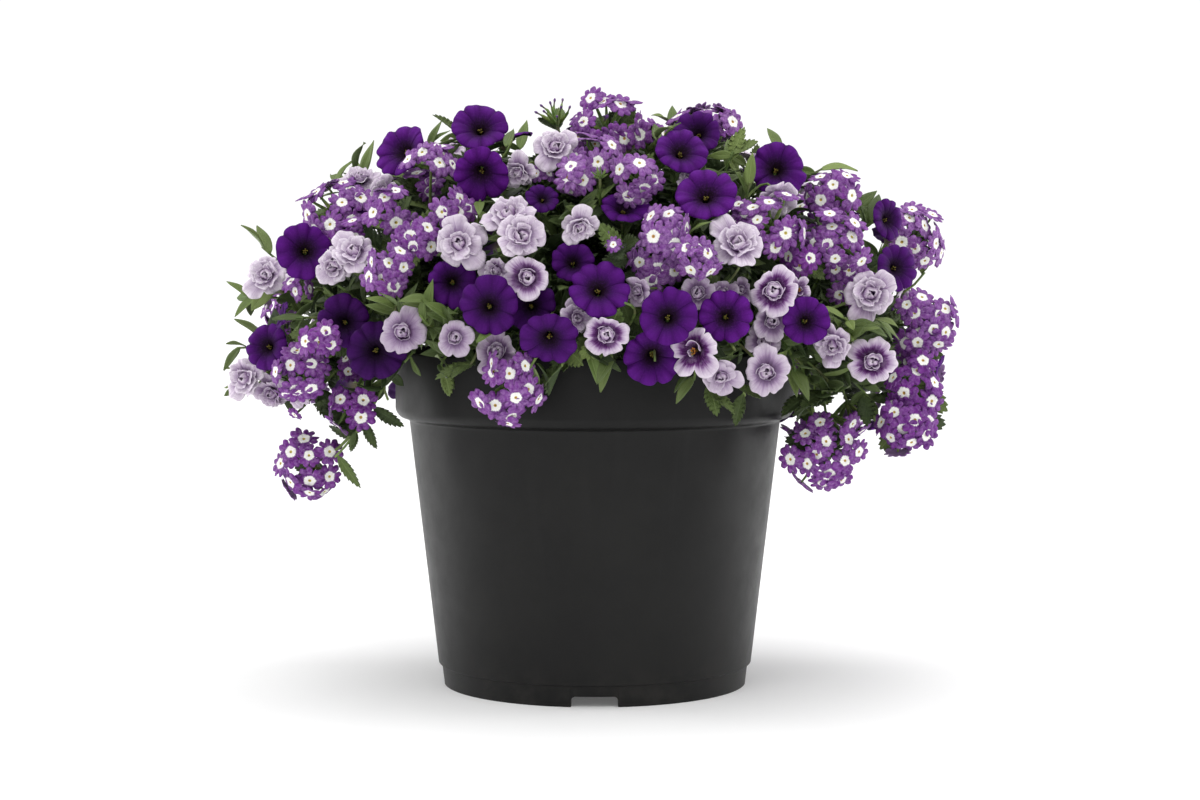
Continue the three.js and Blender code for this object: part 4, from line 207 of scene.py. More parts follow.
    ["B",23.9,180.9,252.8,-0.062,0.791,0.608,24.0,0.65,"o","F66"],
    ["V",195.5,51.0,283.0,0.693,0.202,0.693,17.2,0.0,"","F67"],
    ["L",-119.5,35.1,325.7,-0.423,0.278,0.863,15.9,0.0,"","F68"],
    ["B",139.3,21.2,301.1,0.35,-0.199,0.915,23.8,0.2,"o","F69"],
    ["V",-171.0,-27.6,284.4,-0.808,-0.283,0.516,17.4,0.0,"","F70"],
    ["B",-64.0,142.1,163.0,-0.257,0.236,-0.937,25.0,0.39,"o","F71"],
    ["L",160.1,71.6,310.2,0.191,0.162,0.968,14.0,0.0,"","F72"],
    ["B",-168.8,71.4,291.2,-0.544,0.359,0.758,23.0,0.38,"o","F73"],
]
# each spray: its blooms, the Bezier of its stem, and the Bezier of each stalk
SPRAYS = [
    {"name":"verbena_spray_01","t":"B","g":[4,38],"tr":[[-61.3,-24.6,194.8],[-61.3,-24.6,228.8],[-97.7,-40.0,244.7],[-121.9,-50.3,228.9]],"br":[[[-121.0,-49.9,229.1],[-129.9,-88.0,185.2],[-147.4,-84.0,155.7],[-175.3,-59.4,144.9]],[[-116.5,-48.0,230.1],[-139.6,-57.0,234.1],[-174.5,-45.4,183.6],[-183.0,-71.6,176.7]]]},
    {"name":"verbena_spray_02","t":"B","g":[0,7,40,121],"tr":[[56.8,-25.7,195.0],[56.8,-25.7,229.0],[98.3,-45.3,243.5],[125.9,-58.3,238.2]],"br":[[[120.5,-55.8,238.0],[131.3,-92.0,180.6],[134.8,-94.0,172.3],[137.3,-83.2,154.6]],[[116.0,-53.6,237.8],[140.2,-62.4,241.8],[191.6,-41.1,194.1],[194.5,-70.3,193.0]],[[125.0,-57.9,238.2],[149.7,-68.0,242.2],[190.0,-49.2,181.9],[190.0,-77.9,171.4]],[[111.5,-51.5,237.7],[131.0,-56.6,241.7],[141.8,-33.5,197.3],[144.4,-38.1,174.8]]]},
    {"name":"verbena_spray_03","t":"B","g":[126],"tr":[[-56.9,24.8,195.1],[-56.9,24.8,229.1],[-99.1,42.7,240.1],[-127.2,54.6,241.2]],"br":[[[-126.3,54.2,241.0],[-148.2,63.8,245.0],[-171.6,73.3,210.0],[-190.3,83.3,192.8]]]},
    {"name":"violet_calibrachoa_spray_01","t":"V","g":[122,140,147],"tr":[[60.7,12.9,195.1],[60.7,12.9,229.1],[100.8,22.2,243.2],[127.5,28.3,237.0]],"br":[[[116.8,25.8,236.8],[143.1,26.3,240.8],[178.5,-1.3,207.6],[187.8,3.2,179.3]],[[121.6,27.0,236.9],[148.5,26.4,240.9],[175.6,-2.5,210.7],[203.7,-4.4,198.6]],[[126.5,28.1,237.0],[148.0,47.7,241.0],[110.7,107.5,206.4],[123.3,112.2,175.9]]]},
    {"name":"verbena_spray_04","t":"B","g":[114,139,160],"tr":[[26.8,53.6,195.2],[26.8,53.6,229.2],[48.4,93.4,249.5],[62.7,119.9,234.4]],"br":[[[57.5,110.3,235.9],[66.5,127.2,239.9],[65.8,126.3,192.7],[72.0,135.2,173.7]],[[62.3,119.0,234.6],[76.2,135.9,238.6],[112.6,126.0,201.6],[122.3,147.5,193.0]],[[59.9,114.7,235.2],[63.9,136.2,239.2],[23.2,145.5,195.5],[31.0,166.2,183.9]]]},
    {"name":"violet_calibrachoa_spray_02","t":"V","g":[112,162],"tr":[[-49.6,45.0,194.7],[-49.6,45.0,228.7],[-80.1,71.4,242.3],[-100.5,89.0,235.0]],"br":[[[-95.9,85.0,235.0],[-110.1,101.0,239.0],[-114.8,126.8,207.2],[-122.5,137.8,186.8]],[[-99.7,88.3,235.0],[-117.9,101.2,239.0],[-145.3,94.9,200.2],[-158.6,112.3,187.1]]]},
    {"name":"lilac_calibrachoa_spray_01","t":"L","g":[32,76,92],"tr":[[-72.6,-23.5,194.1],[-72.6,-23.5,228.1],[-106.6,-33.7,249.3],[-129.2,-40.5,227.0]],"br":[[[-128.3,-40.3,227.3],[-152.1,-45.8,231.3],[-195.9,-22.2,202.9],[-209.9,-49.3,198.2]],[[-119.2,-37.5,230.5],[-142.1,-43.0,234.5],[-179.7,-29.3,206.4],[-194.4,-46.6,194.1]],[[-114.7,-36.2,232.1],[-136.2,-46.2,236.1],[-172.6,-56.8,203.9],[-176.0,-81.9,195.1]]]},
    {"name":"verbena_spray_05","t":"B","g":[111,169],"tr":[[-23.9,54.6,195.2],[-23.9,54.6,229.2],[-41.3,94.9,249.0],[-52.8,121.8,241.8]],"br":[[[-50.5,116.3,241.6],[-57.6,132.8,245.6],[-66.5,151.9,200.9],[-72.6,168.6,211.3]],[[-52.4,120.8,241.8],[-60.4,139.0,245.8],[-55.2,134.0,195.3],[-61.0,139.4,174.1]]]},
    {"name":"lilac_calibrachoa_spray_02","t":"L","g":[107,110],"tr":[[-3.7,61.4,195.1],[-3.7,61.4,229.1],[-6.5,107.0,240.8],[-8.4,137.4,226.8]],"br":[[[-8.4,136.4,227.0],[-11.1,151.8,231.0],[-32.8,149.7,193.7],[-29.4,163.6,183.0]],[[-8.1,131.5,227.9],[-7.6,146.5,231.9],[6.4,160.4,196.5],[5.9,176.7,202.2]]]},
    {"name":"verbena_spray_06","t":"B","g":[108,146,161],"tr":[[68.7,31.7,194.1],[68.7,31.7,228.1],[104.7,48.0,250.1],[128.6,58.9,240.7]],"br":[[[127.7,58.5,240.6],[146.5,71.8,244.6],[152.8,104.5,188.4],[168.5,119.1,202.7]],[[123.1,56.4,240.5],[143.7,64.6,244.5],[158.2,64.2,202.3],[167.4,66.9,175.8]],[[118.6,54.3,240.4],[140.0,63.5,244.4],[162.9,69.4,193.1],[186.2,79.9,199.2]]]},
    {"name":"verbena_spray_07","t":"B","g":[9,22,87],"tr":[[-53.7,-30.9,195.1],[-53.7,-30.9,229.1],[-92.9,-52.8,246.5],[-119.0,-67.4,226.8]],"br":[[[-118.1,-67.0,227.1],[-135.1,-76.2,231.1],[-173.7,-74.4,204.2],[-175.9,-96.3,203.4]],[[-113.9,-64.6,228.4],[-129.1,-73.6,232.4],[-149.2,-68.0,184.6],[-149.2,-88.0,181.8]],[[-109.7,-62.2,229.6],[-121.8,-67.7,233.6],[-152.3,-52.9,203.2],[-149.2,-67.7,204.1]]]},
    {"name":"verbena_spray_08","t":"B","g":[153],"tr":[[75.4,13.4,194.1],[75.4,13.4,228.1],[112.9,19.0,243.4],[137.9,22.8,240.7]],"br":[[[136.9,22.6,240.5],[159.5,27.1,244.5],[181.6,40.1,208.8],[206.1,40.6,199.5]]]},
    {"name":"verbena_spray_09","t":"B","g":[5],"tr":[[-16.8,-57.1,195.2],[-16.8,-57.1,229.2],[-30.6,-99.6,245.8],[-39.8,-127.9,228.2]],"br":[[[-39.5,-127.0,228.4],[-43.1,-138.3,232.4],[-49.5,-144.4,204.2],[-49.5,-157.5,200.9]]]},
    {"name":"lilac_calibrachoa_spray_03","t":"L","g":[58,59],"tr":[[29.3,-56.4,195.0],[29.3,-56.4,229.0],[49.8,-93.6,249.3],[63.5,-118.4,233.7]],"br":[[[63.0,-117.6,233.8],[71.6,-130.5,237.8],[99.6,-132.4,208.3],[99.6,-150.1,207.7]],[[60.6,-113.2,234.5],[66.9,-126.9,238.5],[72.7,-141.4,211.7],[72.7,-158.1,207.6]]]},
    {"name":"verbena_spray_10","t":"B","g":[128,149],"tr":[[-70.6,0.8,194.5],[-70.6,0.8,228.5],[-109.4,1.3,244.3],[-135.2,1.6,226.3]],"br":[[[-129.4,1.5,227.8],[-148.3,-0.5,231.8],[-170.9,-20.5,200.4],[-190.9,-20.2,209.0]],[[-134.3,1.6,226.5],[-155.2,4.2,230.5],[-180.0,27.1,193.8],[-201.9,25.6,203.8]]]},
    {"name":"lilac_calibrachoa_spray_04","t":"L","g":[30],"tr":[[55.7,-44.6,194.4],[55.7,-44.6,228.4],[87.8,-68.9,241.8],[109.2,-85.1,231.5]],"br":[[[108.4,-84.5,231.5],[123.8,-95.7,235.5],[162.2,-97.5,210.0],[163.3,-119.2,211.3]]]},
    {"name":"violet_calibrachoa_spray_03","t":"V","g":[17,51,63,72],"tr":[[18.8,-48.0,195.7],[20.8,-53.1,221.8],[36.9,-93.8,215.8],[44.3,-112.5,224.0]],"br":[[[42.2,-107.0,222.8],[53.6,-117.3,222.0],[40.1,-143.1,231.0],[42.1,-163.6,236.5]],[[38.5,-97.9,220.8],[39.8,-106.1,227.9],[34.0,-133.0,220.2],[33.2,-151.0,218.3]],[[40.3,-102.5,221.8],[43.7,-127.2,230.3],[73.5,-127.9,239.2],[75.7,-151.5,238.2]],[[44.0,-111.6,223.8],[52.2,-134.7,229.3],[122.7,-106.7,241.2],[121.8,-133.6,235.3]]]},
    {"name":"violet_calibrachoa_spray_04","t":"V","g":[13,64,86,102,103],"tr":[[-55.0,-37.5,194.8],[-61.0,-41.1,228.0],[-107.1,-69.2,217.2],[-129.5,-82.8,226.8]],"br":[[[-128.6,-82.3,226.6],[-149.8,-94.2,239.1],[-176.4,-66.3,266.6],[-174.8,-87.2,275.0]],[[-124.4,-79.7,225.9],[-142.5,-86.9,229.9],[-188.3,-57.0,212.3],[-193.4,-76.5,217.1]],[[-120.2,-77.1,225.1],[-132.5,-84.8,225.4],[-153.6,-90.6,225.8],[-176.1,-93.8,233.4]],[[-111.7,-72.0,223.5],[-127.3,-76.8,223.6],[-149.2,-89.3,233.5],[-148.3,-106.3,233.8]],[[-116.0,-74.6,224.3],[-128.9,-78.6,224.9],[-128.9,-103.3,224.1],[-129.1,-117.2,218.4]]]},
    {"name":"lilac_calibrachoa_spray_05","t":"L","g":[23,25,75,77,80,98],"tr":[[41.3,-47.3,195.0],[45.0,-51.6,222.2],[74.0,-84.8,215.4],[87.7,-100.6,224.0]],"br":[[[87.1,-99.8,223.8],[102.7,-117.8,228.6],[162.6,-85.8,248.9],[162.6,-111.6,250.6]],[[80.6,-92.4,221.8],[93.4,-107.1,225.7],[105.4,-124.6,251.7],[104.3,-145.7,253.0]],[[83.8,-96.1,222.8],[97.4,-111.7,227.0],[156.8,-110.8,230.4],[145.6,-129.4,224.8]],[[74.2,-85.0,219.9],[85.0,-97.5,223.2],[103.7,-111.5,240.1],[103.7,-129.2,237.6]],[[77.4,-88.7,220.9],[89.8,-102.9,224.6],[103.2,-112.7,252.3],[113.4,-130.4,253.4]],[[71.0,-81.4,218.9],[80.3,-92.1,221.7],[99.1,-105.0,227.1],[99.1,-120.4,225.0]]]},
    {"name":"lilac_calibrachoa_spray_06","t":"L","g":[28,34,35,45,68,88,91],"tr":[[-9.4,-53.3,195.5],[-10.3,-58.9,224.2],[-17.3,-102.7,218.7],[-20.7,-123.9,228.6]],"br":[[[-20.5,-122.9,228.4],[-20.8,-141.7,234.8],[-48.9,-139.3,277.8],[-42.6,-154.9,283.5]],[[-17.5,-103.7,223.6],[-19.0,-119.6,230.5],[-38.9,-129.3,261.5],[-37.4,-152.8,261.2]],[[-18.2,-108.5,224.8],[-17.8,-134.3,229.6],[5.3,-153.9,232.5],[6.7,-168.1,229.1]],[[-16.7,-98.9,222.4],[-22.6,-114.3,226.4],[-53.1,-123.0,211.5],[-55.1,-143.1,215.3]],[[-19.8,-118.1,227.2],[-28.1,-138.1,230.5],[-81.2,-132.4,227.3],[-80.0,-153.5,227.4]],[[-19.0,-113.3,226.0],[-22.4,-130.1,229.0],[-46.0,-123.8,269.5],[-52.0,-143.5,267.0]],[[-15.9,-94.1,221.2],[-19.2,-112.9,228.2],[-20.6,-130.4,238.3],[-13.5,-153.4,237.7]]]},
    {"name":"lilac_calibrachoa_spray_07","t":"L","g":[33,120,141,152],"tr":[[-72.4,13.9,194.3],[-77.1,14.0,218.5],[-113.2,15.2,215.8],[-130.6,15.7,225.1]],"br":[[[-124.9,15.5,223.3],[-152.7,16.5,232.1],[-194.7,-22.0,254.0],[-197.9,-55.8,259.8]],[[-115.4,15.2,220.4],[-141.0,20.0,227.2],[-164.2,25.4,248.0],[-184.5,26.0,264.7]],[[-129.7,15.7,224.8],[-154.8,31.9,228.8],[-156.9,88.7,204.6],[-174.0,112.4,216.2]],[[-120.1,15.4,221.8],[-143.3,21.2,225.0],[-170.0,-19.7,238.1],[-191.2,-23.7,247.7]]]},
    {"name":"lilac_calibrachoa_spray_08","t":"L","g":[24,29,66,74],"tr":[[-41.3,-46.5,195.1],[-45.0,-50.6,224.8],[-73.8,-83.1,223.0],[-87.8,-98.8,234.9]],"br":[[[-80.8,-91.0,231.3],[-94.0,-105.8,238.2],[-79.9,-119.0,277.6],[-78.8,-141.3,280.1]],[[-84.0,-94.5,233.0],[-97.5,-109.7,239.9],[-141.4,-97.8,256.8],[-141.4,-116.8,269.4]],[[-87.1,-98.1,234.6],[-101.1,-113.7,241.8],[-144.4,-81.3,276.4],[-151.5,-103.1,270.6]],[[-77.7,-87.5,229.7],[-89.5,-100.7,235.8],[-110.9,-120.4,227.9],[-110.9,-140.3,229.2]]]},
    {"name":"violet_calibrachoa_spray_05","t":"V","g":[16,19,43,62,71,90,97,104],"tr":[[-8.4,-42.2,196.1],[-9.1,-47.2,225.5],[-14.6,-85.7,228.5],[-17.3,-104.4,242.4]],"br":[[[-16.0,-95.4,238.0],[-20.1,-111.9,250.0],[-58.4,-133.5,242.2],[-60.2,-158.9,244.7]],[[-17.2,-103.5,242.0],[-20.0,-127.4,249.7],[-68.9,-79.1,336.3],[-66.8,-108.8,327.0]],[[-15.5,-91.4,236.0],[-18.5,-111.4,246.8],[-26.3,-147.7,245.8],[-25.7,-167.8,232.1]],[[-14.3,-83.4,232.0],[-23.2,-105.1,246.1],[3.6,-136.0,231.0],[2.1,-156.7,249.8]],[[-16.6,-99.5,240.0],[-22.2,-113.5,245.4],[-79.4,-111.9,251.7],[-82.6,-135.8,257.3]],[[-13.7,-79.3,230.0],[-10.3,-94.5,239.0],[-39.3,-120.6,239.7],[-36.8,-134.2,243.3]],[[-14.9,-87.4,234.0],[-18.6,-105.5,242.3],[-37.6,-95.2,281.2],[-32.8,-118.0,300.5]],[[-13.2,-75.4,227.9],[-10.0,-93.0,237.2],[-15.8,-106.6,259.0],[-12.5,-127.0,265.7]]]},
    {"name":"lilac_calibrachoa_spray_09","t":"L","g":[21,26,46,79,93,96,99,101],"tr":[[22.8,-42.9,195.8],[25.3,-49.1,234.7],[44.8,-97.0,238.2],[54.3,-120.2,256.4]],"br":[[[48.8,-106.8,249.4],[54.2,-121.3,263.0],[83.4,-127.0,266.3],[83.1,-141.6,275.7]],[[50.5,-111.0,251.6],[55.1,-123.2,261.0],[71.8,-143.9,225.1],[63.6,-164.4,220.4]],[[53.9,-119.3,255.9],[62.9,-139.0,265.1],[97.5,-82.2,330.7],[106.2,-106.5,314.0]],[[43.7,-94.3,242.9],[49.3,-112.1,252.5],[53.8,-126.0,254.8],[61.0,-146.5,251.9]],[[52.2,-115.2,253.8],[62.2,-134.1,262.6],[71.2,-75.1,307.5],[60.4,-96.7,316.2]],[[47.1,-102.6,247.2],[52.3,-119.9,257.0],[37.9,-141.4,255.3],[32.4,-151.1,255.1]],[[42.0,-90.1,240.7],[43.3,-98.8,248.5],[64.5,-119.5,250.0],[72.3,-137.4,250.5]],[[45.4,-98.5,245.1],[49.5,-108.8,248.6],[85.8,-110.2,257.1],[85.5,-129.6,253.3]]]},
    {"name":"verbena_spray_11","t":"B","g":[3,6,8,50,69,82,167],"tr":[[58.1,-19.3,195.1],[63.3,-21.0,225.5],[103.9,-34.5,225.5],[123.5,-41.0,238.5]],"br":[[[122.6,-40.7,238.1],[148.8,-49.5,249.1],[185.7,25.4,274.7],[201.6,-0.9,282.7]],[[105.0,-34.9,230.7],[131.5,-43.7,241.8],[197.7,-19.6,224.1],[204.1,-49.9,232.4]],[[118.2,-39.3,236.3],[141.7,-47.1,246.1],[140.1,-82.8,280.8],[142.9,-111.0,282.5]],[[109.4,-36.3,232.6],[134.0,-44.5,242.9],[144.0,-47.5,301.4],[144.0,-76.3,309.2]],[[96.2,-32.0,227.0],[118.8,-39.5,236.5],[153.4,-60.6,255.7],[153.4,-88.0,257.4]],[[100.6,-33.4,228.9],[128.5,-39.0,232.9],[194.4,-8.1,212.5],[200.9,-39.9,214.5]],[[113.8,-37.8,234.4],[136.6,-45.4,243.9],[125.7,28.9,265.7],[135.4,23.4,290.9]]]},
    {"name":"violet_calibrachoa_spray_06","t":"V","g":[115,119,132,151,154,165],"tr":[[44.9,47.1,194.9],[48.6,50.0,218.0],[77.9,72.4,215.6],[91.3,82.8,224.0]],"br":[[[86.7,79.2,222.4],[114.2,96.8,231.4],[41.5,137.9,215.4],[50.9,171.0,221.8]],[[82.9,76.3,221.0],[100.7,95.0,229.1],[106.9,77.5,283.5],[112.2,74.3,312.9]],[[79.1,73.4,219.6],[106.4,89.1,228.9],[158.2,76.8,239.3],[172.9,95.7,255.3]],[[71.5,67.5,216.9],[93.3,84.2,227.7],[110.3,119.5,210.9],[118.5,150.0,224.0]],[[75.3,70.4,218.3],[90.9,88.1,225.7],[111.3,100.5,267.7],[120.8,114.2,292.2]],[[90.5,82.2,223.7],[117.4,103.5,225.3],[164.0,43.0,245.2],[186.5,48.4,274.0]]]},
    {"name":"verbena_spray_12","t":"B","g":[106,131,136,158,171],"tr":[[-54.8,32.9,194.9],[-59.7,35.9,226.5],[-97.9,58.9,226.4],[-116.4,70.0,239.9]],"br":[[[-115.6,69.5,239.6],[-134.8,81.1,248.3],[-173.7,58.9,225.8],[-195.3,62.1,239.2]],[[-99.6,59.9,232.2],[-119.7,72.0,241.4],[-145.1,92.1,246.6],[-164.7,105.1,259.5]],[[-111.6,67.1,237.7],[-130.6,78.6,246.4],[-113.2,126.4,222.3],[-125.0,145.2,234.5]],[[-107.6,64.7,235.9],[-125.9,75.7,244.3],[-122.9,75.0,284.7],[-125.6,81.2,308.2]],[[-103.6,62.3,234.1],[-122.1,73.4,242.5],[-149.5,58.7,264.3],[-163.0,67.5,283.0]]]},
    {"name":"violet_calibrachoa_spray_07","t":"V","g":[55,56,157,159],"tr":[[64.2,-14.0,194.8],[69.4,-15.1,223.6],[109.6,-23.7,222.7],[129.1,-27.8,234.7]],"br":[[[128.2,-27.6,234.3],[152.7,-31.1,243.0],[169.2,-57.5,262.0],[176.3,-79.8,264.8]],[[123.6,-26.7,232.6],[146.6,-30.7,246.9],[152.8,-22.7,291.2],[173.0,-45.8,294.0]],[[114.4,-24.7,229.1],[134.3,-34.6,241.6],[142.7,-16.6,276.1],[145.8,-9.6,291.9]],[[119.0,-25.7,230.8],[139.0,-28.9,240.0],[162.1,7.3,217.8],[182.7,2.5,222.3]]]},
    {"name":"verbena_spray_13","t":"B","g":[20,39,42,49,54,67,95],"tr":[[15.2,-42.4,196.0],[17.4,-47.8,231.6],[35.1,-89.5,237.2],[43.6,-109.7,254.8]],"br":[[[34.7,-88.7,242.3],[41.1,-106.4,256.7],[49.2,-130.4,273.3],[42.5,-149.0,286.9]],[[41.6,-104.8,251.9],[47.9,-122.7,263.4],[106.9,-104.7,279.4],[103.9,-124.8,289.4]],[[33.0,-84.7,239.8],[44.6,-102.2,238.6],[38.2,-119.9,269.9],[36.4,-136.4,271.3]],[[39.9,-100.8,249.5],[48.5,-121.1,257.9],[11.7,-133.7,274.8],[10.8,-158.0,281.2]],[[36.5,-92.7,244.7],[41.3,-109.4,256.4],[59.8,-140.7,274.1],[58.1,-161.1,274.3]],[[38.2,-96.8,247.1],[43.8,-111.4,258.2],[86.7,-90.7,282.8],[86.8,-110.7,295.4]],[[43.3,-108.9,254.3],[49.9,-127.7,267.2],[117.7,-93.0,274.2],[121.5,-121.5,270.4]]]},
    {"name":"violet_calibrachoa_spray_08","t":"V","g":[109,129],"tr":[[-27.6,59.2,194.9],[-31.1,63.9,229.3],[-58.5,100.3,232.8],[-71.7,118.0,249.1]],"br":[[[-68.5,113.7,246.5],[-79.8,127.9,250.7],[-62.1,145.8,262.1],[-64.9,153.5,271.5]],[[-71.1,117.2,248.7],[-81.3,125.4,254.2],[-88.6,132.2,266.2],[-95.2,141.0,277.5]]]},
    {"name":"verbena_spray_14","t":"B","g":[1,18,31,44,53,61,65,73,78,83],"tr":[[-43.3,-37.5,195.4],[-47.2,-40.9,227.3],[-77.3,-67.1,232.8],[-92.0,-79.8,248.9]],"br":[[[-86.2,-74.8,244.5],[-103.5,-89.8,257.6],[-149.4,-50.8,283.1],[-156.4,-74.1,297.3]],[[-73.5,-63.8,234.9],[-91.7,-79.6,248.7],[-119.3,-108.6,264.0],[-119.3,-138.2,265.8]],[[-91.3,-79.2,248.4],[-108.5,-94.1,261.4],[-161.9,-97.1,223.5],[-161.9,-125.0,225.2]],[[-71.0,-61.6,232.9],[-89.9,-78.0,247.2],[-119.6,-81.6,290.1],[-119.6,-110.9,299.7]],[[-68.5,-59.4,230.9],[-87.2,-75.6,245.1],[-105.4,-99.4,281.4],[-105.4,-129.7,283.3]],[[-83.7,-72.6,242.6],[-100.4,-87.1,255.2],[-101.5,-63.0,305.0],[-98.8,-80.3,325.7]],[[-81.1,-70.4,240.6],[-97.3,-84.4,252.9],[-88.8,-100.0,297.2],[-83.5,-125.4,301.4]],[[-76.0,-66.0,236.8],[-92.2,-80.0,249.0],[-104.0,-43.8,296.8],[-104.0,-63.7,313.9]],[[-88.8,-77.0,246.4],[-106.1,-92.0,259.6],[-166.8,-65.0,251.7],[-175.3,-91.8,253.4]],[[-78.6,-68.2,238.7],[-96.0,-83.3,251.9],[-142.4,-72.3,283.0],[-145.3,-100.2,287.6]]]},
    {"name":"lilac_calibrachoa_spray_10","t":"L","g":[127,130,138,148,150,163,170],"tr":[[50.7,9.5,195.7],[56.5,10.4,233.4],[101.1,17.3,241.9],[122.7,20.7,261.8]],"br":[[[101.1,17.3,247.8],[116.9,16.4,262.8],[117.8,54.4,288.2],[127.1,51.2,305.3]],[[96.9,16.7,245.1],[113.7,23.7,250.4],[108.6,12.3,291.2],[113.2,12.1,313.3]],[[105.2,17.9,250.5],[119.3,18.4,260.4],[90.7,24.0,301.4],[102.6,34.3,323.9]],[[121.9,20.5,261.2],[144.3,22.7,280.7],[169.2,35.6,218.8],[194.0,43.7,233.0]],[[117.7,19.9,258.5],[133.3,23.8,267.2],[117.0,-36.5,280.3],[121.5,-38.9,303.9]],[[109.4,18.6,253.1],[127.1,22.6,270.1],[161.9,18.0,231.1],[188.0,18.1,240.4]],[[113.6,19.2,255.8],[133.6,27.0,265.0],[149.1,65.7,280.6],[157.8,69.7,298.6]]]},
    {"name":"verbena_spray_15","t":"B","g":[116,118,124,134,142,144,156,164],"tr":[[8.7,41.7,196.1],[9.5,45.4,227.4],[15.6,74.5,240.5],[18.6,88.6,259.6]],"br":[[[18.4,87.9,258.9],[23.0,109.9,281.3],[97.1,126.7,234.7],[106.0,147.2,260.2]],[[14.3,68.3,238.9],[18.8,90.0,260.9],[70.6,104.3,279.2],[71.2,123.2,306.6]],[[16.1,76.6,247.5],[20.8,99.3,270.5],[72.4,47.3,308.2],[71.9,62.0,339.8]],[[17.8,85.1,256.0],[22.5,107.3,278.6],[-62.6,100.8,286.6],[-64.1,114.2,318.0]],[[16.6,79.5,250.3],[21.2,101.2,272.4],[31.0,32.1,307.0],[33.4,29.4,340.1]],[[17.2,82.3,253.2],[21.9,104.7,276.0],[-42.2,148.4,217.2],[-40.6,172.5,241.8]],[[13.7,65.5,236.0],[18.1,86.6,257.4],[44.1,124.4,259.0],[50.4,150.3,277.4]],[[14.9,71.0,241.8],[19.3,92.2,263.2],[26.6,146.3,226.2],[24.6,172.0,246.0]]]},
    {"name":"lilac_calibrachoa_spray_11","t":"L","g":[27,36,48,84],"tr":[[-16.1,-43.4,195.9],[-17.3,-47.3,228.4],[-26.9,-77.0,241.8],[-31.5,-91.3,261.5]],"br":[[[-28.0,-80.4,250.3],[-34.8,-95.6,266.7],[-46.4,-123.0,281.2],[-48.2,-140.1,290.2]],[[-31.3,-90.7,260.8],[-34.6,-98.4,276.0],[-29.2,-75.8,327.6],[-25.8,-97.2,333.9]],[[-29.1,-83.8,253.8],[-33.0,-99.8,280.5],[-3.0,-124.4,305.9],[-8.2,-146.0,297.2]],[[-30.2,-87.3,257.3],[-38.5,-104.0,274.1],[-30.0,-92.5,337.4],[-38.6,-107.4,328.7]]]},
    {"name":"violet_calibrachoa_spray_09","t":"V","g":[11,12,94,125,168],"tr":[[-44.4,-11.1,195.9],[-48.4,-12.1,230.9],[-79.3,-19.8,246.2],[-94.3,-23.5,267.8]],"br":[[[-86.9,-21.7,259.8],[-103.4,-25.8,277.7],[-99.7,-29.1,322.3],[-111.5,-50.0,332.8]],[[-93.6,-23.4,267.1],[-110.8,-27.6,285.7],[-70.1,-27.4,329.7],[-70.1,-50.3,344.8]],[[-83.6,-20.9,256.2],[-100.5,-25.1,274.5],[-143.5,-10.3,316.9],[-143.5,-37.0,313.1]],[[-90.3,-22.5,263.4],[-107.8,-26.9,282.4],[-126.6,32.6,280.1],[-142.8,35.1,302.7]],[[-80.3,-20.0,252.6],[-97.1,-24.2,270.9],[-138.7,-16.2,263.8],[-160.5,-23.9,277.7]]]},
    {"name":"lilac_calibrachoa_spray_12","t":"L","g":[47,89,117,123,145,166],"tr":[[-36.3,-10.4,196.3],[-39.2,-12.5,225.7],[-61.6,-28.5,238.3],[-72.4,-36.3,256.3]],"br":[[[-66.3,-31.9,248.7],[-85.3,-44.3,268.1],[-140.8,-35.6,286.7],[-143.6,-54.8,311.4]],[[-69.1,-33.9,252.1],[-84.4,-44.5,271.2],[-142.6,-47.8,324.5],[-130.8,-79.3,314.8]],[[-60.7,-27.9,241.7],[-82.3,-36.3,261.5],[-84.0,5.9,296.6],[-93.1,1.1,327.6]],[[-57.9,-25.9,238.2],[-74.2,-31.3,256.7],[-110.1,-1.4,284.7],[-123.5,-5.1,311.2]],[[-63.5,-29.9,245.2],[-80.1,-45.2,264.8],[-132.9,-19.7,273.1],[-150.5,-17.7,298.7]],[[-71.9,-35.9,255.6],[-88.4,-50.5,276.4],[-98.3,16.2,287.2],[-114.4,31.8,315.3]]]},
    {"name":"violet_calibrachoa_spray_10","t":"V","g":[10,14,15,70,100],"tr":[[20.8,-35.5,196.1],[22.7,-38.7,231.1],[37.2,-63.6,248.4],[44.2,-75.6,270.8]],"br":[[[40.7,-69.6,262.2],[47.7,-81.4,279.1],[65.2,-105.3,289.9],[65.2,-124.6,302.8]],[[43.9,-75.0,270.0],[51.9,-88.7,289.4],[108.8,-57.3,313.8],[108.8,-82.7,322.1]],[[39.1,-66.8,258.4],[46.5,-79.4,276.2],[45.9,-76.1,314.0],[49.5,-95.4,328.7]],[[37.6,-64.1,254.5],[44.0,-75.1,270.1],[14.0,-101.1,276.3],[16.1,-114.8,292.6]],[[42.3,-72.3,266.1],[50.2,-85.7,285.2],[67.1,-29.8,329.1],[64.5,-52.3,342.3]]]},
    {"name":"lilac_calibrachoa_spray_13","t":"L","g":[113,135,155],"tr":[[-11.6,35.2,196.3],[-12.3,38.4,227.5],[-18.3,63.2,242.9],[-21.2,75.1,262.9]],"br":[[[-21.1,74.5,262.2],[-24.1,95.2,287.1],[-78.0,41.5,298.3],[-82.5,49.7,331.5]],[[-20.3,71.5,258.3],[-21.6,87.3,280.4],[3.2,131.8,270.2],[3.3,147.7,293.3]],[[-18.8,65.4,250.5],[-20.7,82.8,274.3],[-21.3,123.2,278.7],[-27.4,140.3,300.2]]]},
